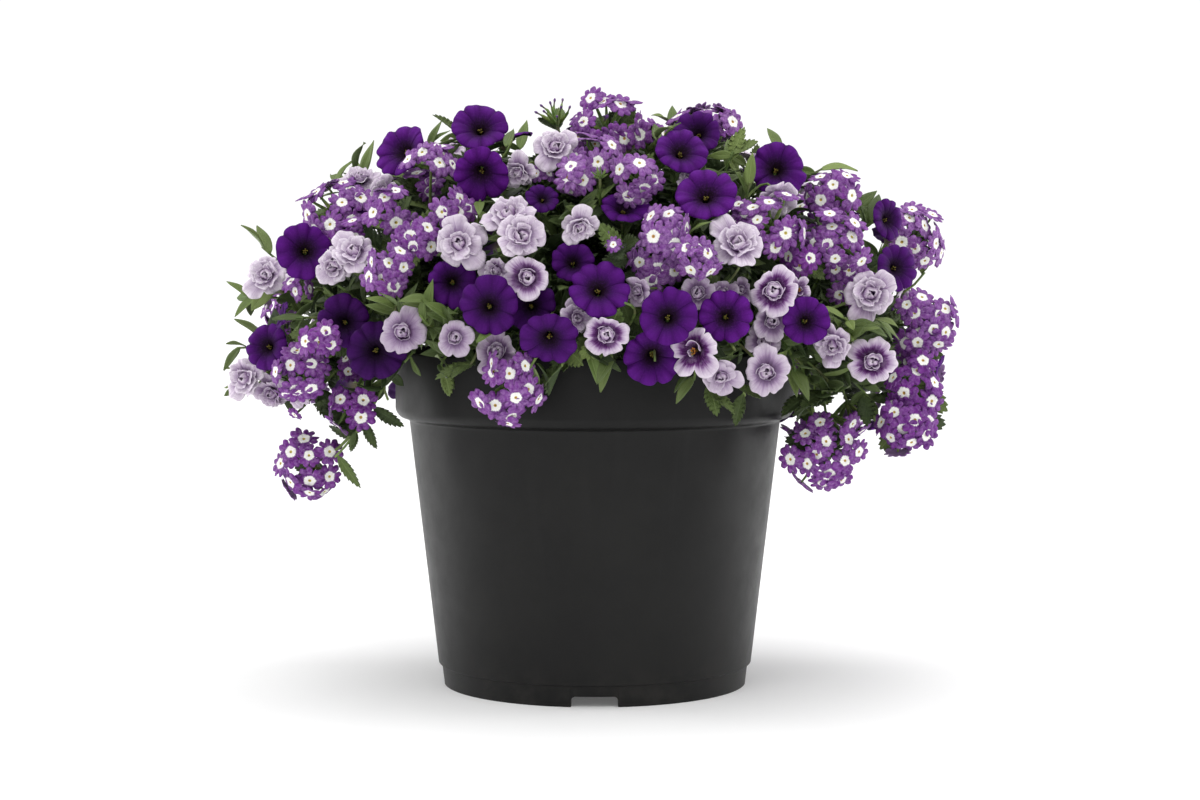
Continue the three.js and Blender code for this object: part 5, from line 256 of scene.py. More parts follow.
    {"name":"verbena_spray_16","t":"B","g":[2,37,41,52,57,60,81,85],"tr":[[1.7,-31.0,196.5],[1.9,-33.8,232.2],[3.1,-55.4,253.4],[3.6,-65.9,277.7]],"br":[[[3.6,-65.4,276.8],[4.4,-80.5,304.1],[69.3,-17.3,316.1],[69.3,-27.5,347.7]],[[3.3,-60.6,268.1],[4.0,-72.9,290.4],[3.3,-113.5,296.4],[3.3,-128.3,319.1]],[[2.7,-48.7,246.1],[3.4,-62.5,271.1],[2.1,-72.3,309.0],[2.1,-94.9,329.3]],[[3.1,-55.8,259.3],[3.8,-68.5,282.4],[24.5,-89.9,317.3],[24.5,-118.0,317.6]],[[2.8,-51.0,250.6],[3.6,-64.8,275.6],[-11.4,-84.6,317.9],[-11.4,-115.1,319.8]],[[3.2,-58.2,263.7],[3.9,-70.5,286.0],[8.2,-36.5,337.3],[8.2,-61.3,348.4]],[[3.5,-63.0,272.5],[4.2,-75.9,295.9],[-20.3,-24.7,328.2],[-23.1,-37.4,353.6]],[[2.9,-53.4,255.0],[3.7,-66.3,278.5],[-31.8,-78.3,305.7],[-31.8,-102.2,321.6]]]},
    {"name":"violet_calibrachoa_spray_11","t":"V","g":[105,133,137,143],"tr":[[-2.6,13.1,196.9],[-2.8,14.3,234.4],[-4.6,23.5,260.3],[-5.5,27.9,287.5]],"br":[[[-5.1,25.7,276.7],[-5.9,30.0,297.8],[0.4,2.2,320.8],[5.1,0.8,343.3]],[[-4.9,24.7,271.8],[-5.8,29.3,294.3],[3.0,43.4,321.0],[-0.5,47.1,345.0]],[[-5.3,26.7,281.6],[-6.2,31.3,304.1],[-54.6,15.4,312.0],[-57.7,15.5,336.3]],[[-5.5,27.7,286.5],[-6.5,32.8,311.2],[22.6,88.9,309.2],[23.0,89.6,336.2]]]},
]
SHOOTS = [
    {"name":"leafy_shoot_01","tr":[[-37.6,50.7,195.0],[-41.2,55.5,224.2],[-69.2,92.5,216.7],[-82.8,110.5,226.0]],"br":[[[-76.3,101.9,223.8],[-87.6,118.2,232.0],[-81.0,110.6,287.4],[-92.8,126.6,309.4]],[[-82.2,109.7,225.8],[-105.0,132.2,239.5],[-142.1,80.1,262.9],[-161.4,96.0,289.7]],[[-67.4,90.1,220.8],[-86.1,116.6,235.2],[-87.7,144.0,244.6],[-92.7,162.5,258.0]],[[-79.2,105.8,224.8],[-85.9,125.7,237.0],[-158.9,102.5,222.3],[-166.5,126.9,233.1]],[[-70.4,94.1,221.8],[-82.4,114.2,225.8],[-88.5,140.9,197.2],[-100.2,167.8,195.2]],[[-73.3,98.0,222.8],[-89.6,112.1,226.8],[-123.9,87.6,184.5],[-118.7,102.9,160.9]]]},
    {"name":"leafy_shoot_02","tr":[[-69.4,-8.5,194.5],[-69.4,-8.5,228.5],[-106.1,-13.6,244.7],[-130.6,-17.0,230.6]],"br":[[[-114.9,-14.9,233.1],[-146.0,-18.5,237.1],[-193.4,-21.1,214.5],[-224.8,-26.3,215.3]],[[-129.6,-16.9,230.8],[-159.1,-20.6,234.8],[-206.0,-28.9,199.7],[-231.4,-28.9,202.8]],[[-119.8,-15.5,232.3],[-151.6,-20.2,236.3],[-191.4,-24.2,195.5],[-224.7,-32.7,189.2]],[[-124.7,-16.2,231.5],[-155.8,-17.6,222.3],[-191.2,31.5,209.9],[-219.1,37.0,220.6]]]},
    {"name":"leafy_shoot_03","tr":[[24.0,-19.9,196.5],[26.9,-23.2,226.5],[49.7,-48.6,234.7],[60.7,-61.0,251.1]],"br":[[[57.5,-57.3,247.6],[71.8,-74.3,274.6],[48.2,-70.3,317.9],[36.5,-82.6,348.1]],[[54.7,-54.3,244.7],[72.0,-74.8,265.2],[71.2,-81.6,311.8],[83.1,-92.9,335.8]],[[52.0,-51.3,241.8],[66.2,-68.2,267.9],[85.2,-92.8,284.8],[92.2,-112.9,316.8]],[[60.2,-60.4,250.5],[76.1,-80.4,272.4],[114.9,-52.6,315.7],[139.0,-63.3,326.4]]]},
    {"name":"leafy_shoot_04","tr":[[13.4,62.0,195.0],[13.4,62.0,229.0],[22.6,105.2,248.1],[28.7,134.1,231.1]],"br":[[[25.5,118.7,234.0],[28.9,134.9,224.5],[50.0,162.3,235.9],[47.8,176.5,248.4]],[[27.5,128.3,232.2],[31.6,148.0,220.7],[-21.5,163.2,211.3],[-25.3,183.6,221.5]],[[28.5,133.1,231.3],[39.6,152.9,235.3],[96.4,151.4,190.4],[95.9,170.4,205.6]],[[26.5,123.5,233.1],[30.4,143.5,237.1],[38.0,143.5,183.8],[31.0,158.0,169.1]]]},
    {"name":"leafy_shoot_05","tr":[[-41.3,-17.0,196.0],[-46.1,-18.0,235.8],[-83.2,-25.8,252.3],[-101.1,-29.5,276.4]],"br":[[[-83.0,-25.7,258.1],[-99.1,-29.6,280.4],[-141.1,-30.4,298.1],[-148.7,-39.7,327.6]],[[-90.0,-27.2,265.2],[-108.4,-29.1,290.7],[-150.2,-30.1,295.2],[-161.2,-39.7,318.9]],[[-86.5,-26.5,261.7],[-103.8,-31.5,282.9],[-101.6,-54.6,316.8],[-102.7,-58.6,343.0]],[[-100.4,-29.4,275.7],[-113.2,-40.6,306.0],[-56.5,-86.4,316.6],[-49.5,-91.0,343.0]],[[-96.9,-28.7,272.2],[-109.0,-31.2,292.7],[-74.9,23.9,319.7],[-87.2,22.9,352.2]],[[-93.5,-27.9,268.7],[-110.5,-30.6,294.5],[-140.0,19.9,299.6],[-156.0,24.4,322.4]]]},
    {"name":"leafy_shoot_06","tr":[[40.9,-38.7,195.4],[40.9,-38.7,229.4],[73.8,-70.5,240.9],[95.6,-91.7,230.0]],"br":[[[87.8,-84.1,231.2],[108.1,-108.6,222.9],[149.7,-111.6,228.0],[168.6,-123.6,237.1]],[[84.2,-80.7,231.8],[104.6,-99.1,226.4],[164.4,-129.3,223.9],[146.6,-138.5,237.6]],[[80.7,-77.2,232.3],[97.9,-88.9,236.3],[159.2,-86.5,191.4],[139.5,-95.0,190.5]],[[91.4,-87.6,230.7],[115.4,-97.5,234.7],[154.3,-67.0,205.2],[169.8,-70.0,184.0]],[[94.9,-91.0,230.1],[121.2,-99.7,234.1],[152.7,-56.4,188.5],[181.9,-60.0,194.5]],[[77.1,-73.7,232.9],[94.2,-86.4,236.9],[144.4,-90.4,203.2],[130.9,-97.0,184.6]],[[73.5,-70.3,233.5],[88.8,-87.8,237.5],[116.9,-131.5,231.1],[117.7,-135.0,205.8]]]},
    {"name":"leafy_shoot_07","tr":[[20.1,-67.1,194.5],[20.1,-67.1,228.5],[31.5,-105.5,247.1],[39.0,-131.1,237.4]],"br":[[[37.3,-125.4,237.5],[44.2,-142.5,230.1],[78.9,-138.5,254.7],[83.6,-153.2,267.1]],[[33.1,-111.0,237.8],[43.6,-127.3,226.1],[75.5,-146.1,233.8],[80.8,-167.4,220.1]],[[34.5,-115.8,237.7],[32.1,-127.8,235.9],[54.5,-136.4,272.8],[55.6,-144.9,291.8]],[[35.9,-120.6,237.6],[43.3,-137.9,241.6],[70.1,-158.7,221.8],[68.0,-160.0,193.8]],[[38.8,-130.2,237.4],[48.5,-146.9,241.4],[85.8,-146.8,211.4],[87.6,-150.0,192.6]],[[31.7,-106.2,237.8],[38.3,-124.9,241.8],[63.3,-157.8,218.4],[57.5,-162.0,202.6]],[[30.3,-101.5,237.4],[34.0,-119.2,240.9],[34.7,-152.5,231.7],[34.9,-164.3,213.7]]]},
    {"name":"leafy_shoot_08","tr":[[-45.0,-33.8,195.4],[-45.0,-33.8,229.4],[-82.1,-63.8,241.8],[-106.8,-83.8,234.2]],"br":[[[-90.5,-70.6,234.9],[-100.3,-82.4,221.7],[-134.6,-100.2,240.4],[-151.7,-114.9,256.0]],[[-98.2,-76.9,234.6],[-122.8,-97.0,226.7],[-155.6,-97.2,238.4],[-177.6,-111.3,236.8]],[[-86.6,-67.4,235.1],[-101.5,-78.5,239.1],[-136.6,-88.1,206.1],[-124.7,-92.0,186.7]],[[-94.4,-73.7,234.8],[-113.3,-85.7,238.8],[-147.7,-79.1,192.8],[-138.4,-88.0,169.4]],[[-106.0,-83.1,234.3],[-118.2,-96.0,215.8],[-134.7,-89.0,173.1],[-157.5,-86.0,151.6]],[[-82.7,-64.3,235.3],[-96.3,-79.9,239.3],[-96.1,-123.6,230.5],[-111.6,-128.0,211.4]]]},
    {"name":"leafy_shoot_09","tr":[[-76.4,-17.3,193.9],[-81.6,-18.6,222.8],[-122.5,-28.6,221.0],[-142.2,-33.5,232.6]],"br":[[[-141.3,-33.3,232.2],[-157.1,-35.6,244.0],[-190.8,-15.2,260.8],[-209.0,-22.7,278.6]],[[-136.7,-32.2,230.6],[-159.2,-37.6,245.3],[-195.9,-23.6,247.3],[-217.3,-33.3,247.5]]]},
    {"name":"leafy_shoot_10","tr":[[-6.7,29.6,196.5],[-7.6,33.1,234.0],[-14.2,60.6,253.8],[-17.4,73.9,278.4]],"br":[[[-17.2,73.4,277.6],[-23.5,92.2,301.0],[-20.7,18.7,335.7],[-24.1,28.8,361.1]],[[-15.2,64.8,265.4],[-16.1,70.3,285.8],[-45.8,80.6,316.0],[-51.1,87.0,344.3]],[[-15.9,67.7,269.5],[-22.1,81.6,293.7],[23.1,101.3,314.1],[27.6,107.1,337.3]],[[-16.6,70.5,273.5],[-18.4,81.8,292.5],[-38.4,139.4,274.9],[-31.6,155.8,295.0]]]},
    {"name":"leafy_shoot_11","tr":[[56.2,40.6,194.6],[56.2,40.6,228.6],[87.2,64.4,246.4],[107.8,80.2,241.5]],"br":[[[107.0,79.6,241.4],[140.7,93.2,236.2],[189.8,-2.0,231.1],[211.2,8.4,262.1]],[[91.2,67.5,239.5],[113.4,81.2,231.8],[148.8,114.6,232.1],[148.8,135.8,251.0]],[[95.2,70.5,240.0],[117.3,89.7,236.2],[171.1,80.1,227.3],[195.9,92.4,230.9]],[[99.1,73.6,240.5],[118.9,92.3,244.5],[134.3,116.8,189.4],[145.8,138.4,184.8]],[[103.1,76.6,241.0],[127.6,86.3,245.0],[143.9,70.3,188.8],[144.8,57.4,158.5]]]},
    {"name":"leafy_shoot_12","tr":[[-3.0,-61.8,195.1],[-2.2,-65.6,214.4],[4.0,-94.5,211.1],[7.0,-108.4,218.0]],"br":[[[6.8,-107.5,217.7],[10.6,-124.8,223.3],[-2.5,-131.4,244.8],[-12.4,-140.3,263.0]],[[5.6,-101.6,216.2],[12.5,-113.6,222.6],[6.4,-126.6,249.8],[-0.8,-138.8,264.5]],[[6.2,-104.6,217.0],[11.1,-126.0,224.5],[34.0,-168.3,243.6],[17.5,-178.5,247.4]],[[4.3,-95.8,214.6],[6.0,-108.9,227.0],[-6.9,-148.4,232.1],[1.1,-167.5,242.3]],[[3.7,-92.9,213.8],[1.3,-114.2,217.8],[-18.4,-160.7,233.4],[-18.5,-166.0,210.9]],[[2.4,-87.0,212.2],[3.8,-109.8,216.2],[4.0,-166.0,241.4],[10.2,-168.0,215.6]],[[3.0,-90.0,213.0],[4.3,-106.8,221.2],[-0.9,-163.2,241.6],[-5.3,-170.0,220.3]],[[4.9,-98.7,215.4],[0.1,-120.9,219.4],[-26.7,-167.2,232.6],[-36.9,-168.0,209.8]]]},
    {"name":"leafy_shoot_13","tr":[[-40.7,-57.6,194.5],[-43.5,-61.2,218.4],[-64.8,-89.0,216.5],[-75.2,-102.4,226.0]],"br":[[[-65.9,-90.3,220.9],[-78.4,-101.3,230.2],[-95.1,-138.4,231.2],[-94.2,-152.9,250.4]],[[-63.7,-87.5,219.7],[-75.5,-104.8,230.9],[-92.9,-143.1,225.0],[-100.7,-156.3,239.9]],[[-68.0,-93.2,222.1],[-74.4,-116.4,233.0],[-94.0,-151.6,227.3],[-78.4,-162.8,244.1]],[[-70.2,-96.0,223.3],[-76.3,-114.7,235.6],[-119.4,-136.6,228.1],[-115.8,-147.2,245.4]],[[-72.4,-98.8,224.5],[-88.9,-108.4,232.3],[-52.6,-150.8,248.8],[-54.1,-168.1,231.6]],[[-74.6,-101.7,225.7],[-92.3,-121.4,237.8],[-66.3,-117.4,286.0],[-67.0,-130.8,306.5]],[[-61.5,-84.6,218.5],[-70.2,-104.2,222.5],[-60.6,-154.6,230.8],[-71.7,-160.0,210.6]],[[-59.3,-81.8,217.3],[-69.8,-98.9,221.3],[-85.5,-140.3,225.2],[-89.9,-146.0,208.7]]]},
    {"name":"leafy_shoot_14","tr":[[52.5,16.1,195.5],[54.4,18.7,224.1],[69.5,38.9,237.3],[76.7,48.7,255.2]],"br":[[[76.3,48.2,254.4],[93.8,64.4,283.7],[42.6,27.5,323.7],[48.7,31.0,358.7]],[[72.3,42.8,247.0],[83.8,51.3,267.0],[120.0,21.2,305.4],[120.1,22.5,341.4]],[[74.3,45.5,250.7],[83.4,53.1,286.4],[158.1,36.6,272.3],[170.9,50.6,305.6]]]},
    {"name":"leafy_shoot_15","tr":[[36.2,40.9,195.5],[38.8,43.9,225.1],[58.8,66.4,236.0],[68.4,77.3,253.4]],"br":[[[67.9,76.8,252.7],[79.1,89.4,272.8],[98.6,73.8,308.3],[107.1,84.7,330.6]],[[65.4,74.0,249.4],[76.4,86.3,269.1],[83.7,129.7,272.2],[94.1,142.7,291.8]]]},
]
# leaves of each piece: foot in 0.1 mm, direction and facing in hundredths, length and width in 0.1 mm, 1 if toothed
LEAVES = {
    "verbena_spray_01": [
        [-1314,-734,1936,-87,-31,-37,48,-44,-76,312,170,1], [-1314,-734,1936,-93,-20,-32,37,-56,-74,166,86,1], [-1348,-762,1858,-89,-39,-23,28,-8,-96,242,119,1], [-1348,-762,1858,-100,-2,-10,9,-51,-85,262,124,1], [-1386,-778,1786,-94,24,-25,2,-68,-73,259,143,1], [-1386,-778,1786,-64,50,-59,-34,-87,-36,165,79,1], [-1427,-782,1720,-94,-34,-8,2,17,-98,187,92,1], [-1427,-782,1720,-72,-63,-30,-25,64,-73,139,71,1], [-1472,-775,1660,-77,63,7,-44,-45,-78,223,107,1], [-1394,-521,2216,-79,-58,19,-49,42,-77,197,98,1], [-1394,-521,2216,-80,-54,26,-49,33,-80,286,138,1], [-1471,-526,2153,-97,24,-1,-16,-64,-75,227,108,1], [-1471,-526,2153,-90,44,-1,-34,-71,-62,274,142,1], [-1545,-533,2082,-78,-62,-8,-39,58,-72,211,116,1], [-1545,-533,2082,-64,-77,2,-58,46,-67,272,115,1], [-1616,-544,2007,-97,24,0,-15,-61,-78,294,142,1], [-1616,-544,2007,-94,33,-1,-22,-65,-73,190,99,1], [-1681,-562,1933,-54,-83,-17,-61,52,-60,235,99,1], [-1681,-562,1933,-58,-81,6,-56,34,-75,225,116,1], [-1738,-591,1867,-95,-30,-2,11,-28,-95,145,89,1], [-1786,-633,1812,-67,-72,16,-27,4,-96,131,68,1], [-726,-294,2233,-86,39,32,-11,-76,64,194,97,1], [-783,-318,2280,-53,-85,1,-58,37,73,261,130,1], [-847,-345,2315,-42,0,91,-78,-51,-36,277,139,1], [-916,-374,2339,-91,1,-41,-34,-56,75,258,129,1], [-988,-405,2350,-36,-87,34,-93,28,-25,242,121,1], [-1061,-436,2347,-90,31,32,-43,-79,-44,258,129,1], [-1133,-466,2331,-38,-53,-76,-90,4,43,274,137,1], [-1650,-552,1969,35,90,-24,89,-41,-21,150,78,1], [-1700,-570,1912,44,-9,-89,26,-94,22,233,121,1], [-1736,-609,1456,-84,37,40,-28,-92,27,150,78,1], [-1705,-635,1470,-14,85,-51,-9,-52,-85,150,78,1], [-1736,-609,1456,-87,38,-31,-28,-90,-33,164,85,1], [-647,-261,2118,-27,76,59,-15,-64,75,299,146,1], [-677,-273,2173,60,-67,43,-29,32,90,296,150,1], [-715,-289,2221,-92,-30,25,14,36,92,236,119,1], [-759,-308,2262,-28,77,57,47,-41,78,284,150,1], [-808,-329,2296,-91,-32,26,23,15,96,310,156,1], [-862,-351,2322,8,-93,36,7,36,93,239,121,1], [-918,-375,2340,-81,-56,15,21,-4,98,306,155,1], [-977,-400,2349,-35,-88,32,7,32,95,263,129,1], [-1036,-425,2350,44,-88,20,-37,3,93,214,117,1],
    ],
    "verbena_spray_02": [
        [1284,-797,1980,-7,-99,-15,67,6,-74,207,104,1], [1284,-797,1980,98,-4,-21,-18,-70,-69,283,150,1], [1303,-840,1893,59,-79,-17,-1,20,-98,236,103,1], [1303,-840,1893,36,-91,-19,32,32,-89,256,123,1], [1354,-883,1657,47,75,-46,28,-62,-73,176,74,1], [1363,-867,1611,67,71,-23,11,-40,-91,205,120,1], [1370,-842,1563,95,21,-24,-26,9,-96,166,89,1], [1370,-842,1563,-34,56,-75,85,-16,-50,237,128,1], [1431,-556,2301,48,56,-67,84,-51,17,288,147,1], [1431,-556,2301,87,-48,10,42,62,-66,215,108,1], [1523,-549,2247,82,54,18,53,-60,-59,283,123,1], [1523,-549,2247,22,-70,-68,96,29,2,231,122,1], [1614,-544,2186,83,-50,24,47,41,-78,194,100,1], [1614,-544,2186,89,-46,9,35,52,-78,225,115,1], [1700,-542,2124,25,-71,-66,94,34,-1,237,121,1], [1700,-542,2124,87,43,23,45,-54,-71,239,123,1], [1778,-549,2063,68,-73,5,58,50,-64,167,92,1], [1778,-549,2063,34,-61,-72,93,34,15,220,115,1], [1846,-567,2009,75,-60,28,46,16,-87,120,70,1], [1846,-567,2009,27,-71,-65,96,28,10,215,118,1], [1898,-599,1966,100,-3,-9,-7,-87,-49,203,107,1], [1898,-599,1966,45,26,-85,64,-77,10,249,121,1], [1933,-651,1938,52,-46,-72,31,-68,66,155,84,1], [1933,-651,1938,84,-12,-53,2,-97,25,299,157,1], [1499,-612,2275,34,-67,-65,91,42,5,197,90,1], [1499,-612,2275,82,57,4,50,-67,-56,314,152,1], [1574,-611,2206,85,-52,12,36,40,-84,249,108,1], [1574,-611,2206,83,-55,2,36,51,-78,289,152,1], [1646,-609,2128,93,27,-25,5,-76,-64,223,108,1], [1646,-609,2128,1,-57,-82,97,19,-12,257,131,1], [1713,-611,2045,96,-30,-1,4,15,-99,177,85,1], [1713,-611,2045,17,24,-96,91,-40,7,216,96,1], [1774,-619,1962,92,36,-13,16,-67,-72,177,98,1], [1774,-619,1962,85,52,-10,32,-66,-68,322,140,1], [1825,-636,1883,35,37,-86,66,-75,-5,228,99,1], [1825,-636,1883,98,-12,-16,-20,-39,-90,245,129,1], [1864,-666,1813,88,12,-47,-8,-92,-38,158,81,1], [1864,-666,1813,95,-17,-24,-30,-59,-75,183,99,1], [1890,-710,1756,18,20,-96,51,-86,-8,146,91,1], [1890,-710,1756,72,11,-68,7,-99,-9,204,94,1], [1267,-500,2301,90,43,1,22,-44,-87,310,166,1], [1267,-500,2301,78,60,19,47,-36,-80,169,72,1], [1313,-473,2227,85,-45,-29,17,74,-65,313,145,1], [1313,-473,2227,89,-40,-21,13,67,-73,186,102,1], [1352,-442,2138,77,64,-2,28,-36,-89,168,85,1], [1352,-442,2138,83,56,-7,17,-37,-91,185,87,1], [1385,-412,2040,86,-20,-47,-27,61,-75,204,97,1], [1385,-412,2040,84,-34,-42,-9,68,-73,226,98,1], [1411,-388,1939,71,66,-23,18,-49,-85,255,108,1], [1411,-388,1939,-11,-63,-77,77,44,-47,190,96,1], [697,-318,2235,12,-81,57,88,36,32,268,134,1], [755,-345,2281,98,-7,-18,13,-44,89,246,123,1], [820,-376,2319,38,-3,92,79,-52,-34,273,136,1], [891,-409,2349,49,-86,-16,73,30,61,278,139,1], [965,-444,2371,93,35,15,33,-93,16,227,114,1], [1040,-480,2385,34,-68,65,90,5,-43,208,104,1], [1116,-515,2392,70,-32,-64,57,-29,77,227,113,1], [1189,-550,2391,82,11,57,49,-66,-57,226,113,1], [1896,-734,1737,96,23,-16,21,-97,-14,300,156,1], [1362,-868,1614,98,-7,16,-7,-100,1,169,88,1], [1355,-881,1651,-91,33,-26,-20,-89,-42,234,122,1], [1900,-762,1721,-67,15,-73,-20,-98,-2,252,131,1], [1365,-860,1595,-99,-2,-16,0,-99,14,192,100,1], [1369,-850,1576,100,2,6,3,-98,-18,159,83,1], [1369,-850,1576,-98,19,-8,-17,-96,-20,166,86,1], [1371,-838,1557,65,59,-48,63,-77,-10,150,78,1], [602,-273,2108,-10,-85,51,19,49,85,206,98,1], [631,-287,2160,-15,95,28,35,-22,91,260,142,1], [667,-304,2206,85,-17,49,-41,37,83,270,131,1], [710,-324,2247,-45,-86,25,0,28,96,214,115,1], [759,-347,2283,-24,-91,33,-6,35,93,197,94,1], [812,-372,2314,0,-91,42,35,40,85,205,101,1], [868,-399,2340,82,34,46,-34,-36,87,218,118,1], [927,-426,2361,93,4,38,-37,-12,92,274,134,1], [988,-455,2376,16,-92,37,18,39,90,269,146,1], [1049,-484,2387,74,53,43,-32,-28,90,269,148,1],
    ],
    "verbena_spray_03": [
        [-1342,577,2409,-46,31,-83,-79,27,54,254,117,1], [-1342,577,2409,-79,38,48,-46,13,-88,282,131,1], [-1411,606,2385,-89,-40,-23,-40,91,-2,298,129,1], [-1411,606,2385,-28,94,-20,-95,-30,-6,175,96,1], [-1479,636,2345,-84,46,29,-33,0,-94,254,141,1], [-1479,636,2345,-74,52,43,-50,1,-87,299,131,1], [-1548,665,2292,-32,90,-30,-89,-39,-23,174,78,1], [-1548,665,2292,-91,-40,-12,-33,86,-39,199,85,1], [-1615,695,2229,-83,49,25,-30,-2,-95,266,126,1], [-1615,695,2229,-93,30,23,-17,21,-96,293,123,1], [-1681,725,2161,-90,-36,-25,-24,88,-40,274,153,1], [-1681,725,2161,-28,85,-44,-90,-40,-20,183,84,1], [-1746,755,2091,-79,61,8,-27,-23,-94,211,113,1], [-1746,755,2091,-86,43,26,-25,7,-96,248,129,1], [-1809,785,2023,-19,89,-41,-91,-32,-27,231,111,1], [-1809,785,2023,-95,-11,-30,3,91,-42,226,98,1], [-1869,815,1960,-26,97,-3,-80,-23,-55,175,112,1], [-1869,815,1960,2,99,-10,-89,-2,-46,249,120,1], [-700,304,2229,-39,89,21,-62,-43,66,233,116,1], [-760,329,2273,-96,-27,6,-17,74,65,193,97,1], [-826,357,2310,-25,37,89,-94,13,-32,210,105,1], [-898,388,2341,-71,60,-37,-52,-9,85,251,125,1], [-974,420,2366,-79,-35,50,-47,87,-13,197,99,1], [-1051,452,2385,-32,86,40,-95,-30,-12,221,111,1], [-1128,485,2399,-88,-2,-47,-39,59,71,252,126,1], [-1203,517,2407,-62,9,78,-68,44,-59,206,103,1], [-604,263,2107,-46,84,28,40,-8,91,303,152,1], [-634,275,2157,89,-32,31,-29,12,95,308,171,1], [-671,291,2202,-74,49,46,36,-29,89,285,133,1], [-715,310,2241,-67,71,20,15,-14,98,217,118,1], [-764,331,2276,-40,85,35,41,-17,89,305,163,1], [-819,354,2307,-95,24,21,24,10,96,215,103,1], [-876,378,2333,84,19,51,-49,-15,86,261,129,1], [-937,404,2355,-96,-27,11,17,-22,96,193,96,1], [-999,430,2373,-73,-65,20,38,-14,91,199,102,1], [-1062,457,2387,-62,-70,37,18,33,93,241,129,1],
    ],
    "violet_calibrachoa_spray_01": [
        [1420,203,2315,36,-83,-42,93,37,5,151,52,0], [1456,189,2295,86,40,-33,43,-90,3,216,65,0], [1491,174,2274,81,-57,13,47,49,-74,168,58,0], [1526,158,2249,96,-8,27,25,-26,-93,218,68,0], [1560,142,2223,95,31,6,27,-72,-63,228,84,0], [1594,127,2195,9,-100,-1,91,8,-41,198,66,0], [1627,111,2166,29,46,-84,85,-53,1,152,50,0], [1658,96,2135,91,-24,34,33,-6,-94,214,78,0], [1689,82,2102,0,-68,-73,98,15,-14,240,85,0], [1718,69,2069,82,48,-30,32,-84,-44,197,56,0], [1745,57,2034,80,-60,-6,31,48,-82,170,54,0], [1771,47,1999,93,-37,2,11,23,-97,194,69,0], [1795,38,1964,97,24,-3,8,-45,-89,171,47,0], [1817,32,1928,30,-90,-32,70,44,-56,205,70,0], [1836,28,1892,74,-50,-46,18,80,-58,165,55,0], [1854,27,1855,86,-47,-18,10,51,-85,168,51,0], [1869,29,1819,97,-7,-24,-21,23,-95,168,61,0], [1459,203,2327,65,50,-58,71,-67,22,174,64,0], [1494,186,2311,77,-45,45,56,13,-82,203,64,0], [1529,168,2293,91,2,42,39,-43,-81,229,76,0], [1564,150,2273,92,39,-10,35,-90,-26,234,83,0], [1599,131,2252,54,-84,7,76,46,-46,221,60,0], [1634,111,2230,74,-47,48,57,5,-82,240,69,0], [1669,92,2208,70,-64,32,59,26,-77,203,73,0], [1704,73,2184,91,41,4,38,-80,-47,175,55,0], [1740,54,2161,82,28,-50,42,-89,17,203,67,0], [1775,37,2137,84,48,-26,45,-87,-19,159,54,0], [1810,20,2114,47,20,-86,80,-50,32,206,60,0], [1846,5,2091,96,25,10,25,-70,-67,156,52,0], [1882,-9,2069,28,-96,-9,90,30,-31,152,41,0], [1917,-21,2047,60,40,-69,72,-65,24,240,83,0], [1953,-31,2027,93,-16,32,32,-4,-95,186,67,0], [1989,-38,2008,83,51,22,53,-61,-59,161,58,0], [1329,540,2313,25,90,35,16,32,-93,191,57,0], [1324,580,2295,-39,53,76,34,85,-41,166,53,0], [1316,620,2275,87,30,-39,-35,93,-7,192,70,0], [1307,661,2253,71,70,8,-53,61,-59,221,76,0], [1297,702,2229,22,94,25,0,25,-97,149,41,0], [1287,742,2204,32,30,-90,-6,95,30,192,57,0], [1275,782,2177,77,49,-40,-59,79,-15,205,68,0], [1264,821,2149,57,79,-22,-77,41,-49,236,84,0], [1253,860,2119,30,95,-9,-31,1,-95,216,69,0], [1242,896,2089,-23,95,23,42,31,-85,211,63,0], [1232,931,2057,53,36,-77,-41,90,14,209,73,0], [1223,964,2025,-94,20,-26,31,80,-51,158,52,0], [1216,995,1992,47,88,6,-25,19,-95,183,51,0], [1210,1024,1959,5,98,17,26,16,-95,195,64,0], [1207,1049,1925,-28,95,-17,66,6,-75,176,59,0], [1206,1071,1890,85,23,-48,-47,74,-49,200,62,0], [1209,1090,1856,78,61,-12,-31,23,-92,206,65,0], [1214,1105,1822,49,87,-5,11,-12,-99,229,70,0], [1223,1116,1787,30,91,-28,43,-39,-82,237,67,0], [731,158,2235,59,-58,56,43,82,39,262,89,0], [792,172,2283,80,58,-14,36,-29,88,188,64,0], [861,188,2321,32,16,93,93,13,-34,219,74,0], [935,205,2351,92,-35,-20,39,66,64,206,70,0], [1013,223,2371,50,84,19,85,-52,8,188,64,0], [1092,241,2382,72,-35,60,66,62,-43,191,65,0], [1170,259,2384,69,22,-68,69,8,72,276,94,0], [1245,276,2376,63,56,54,73,-18,-66,190,64,0], [644,138,2117,5,-87,49,-3,49,87,270,102,0], [676,145,2171,42,-82,38,18,48,86,269,99,0], [715,154,2219,20,83,52,-18,-49,85,211,80,0], [762,165,2261,-1,92,40,-3,-40,92,293,102,0], [815,177,2297,4,-89,46,-22,44,87,238,95,0], [872,190,2326,-48,-80,35,36,18,91,283,115,0], [932,204,2350,66,-74,16,2,23,97,303,121,0], [995,219,2367,92,29,25,-31,19,93,279,103,0], [1059,233,2379,94,-10,32,-31,6,95,194,73,0], [1123,248,2384,-68,-72,13,7,11,99,215,82,0],
    ],
    "verbena_spray_04": [
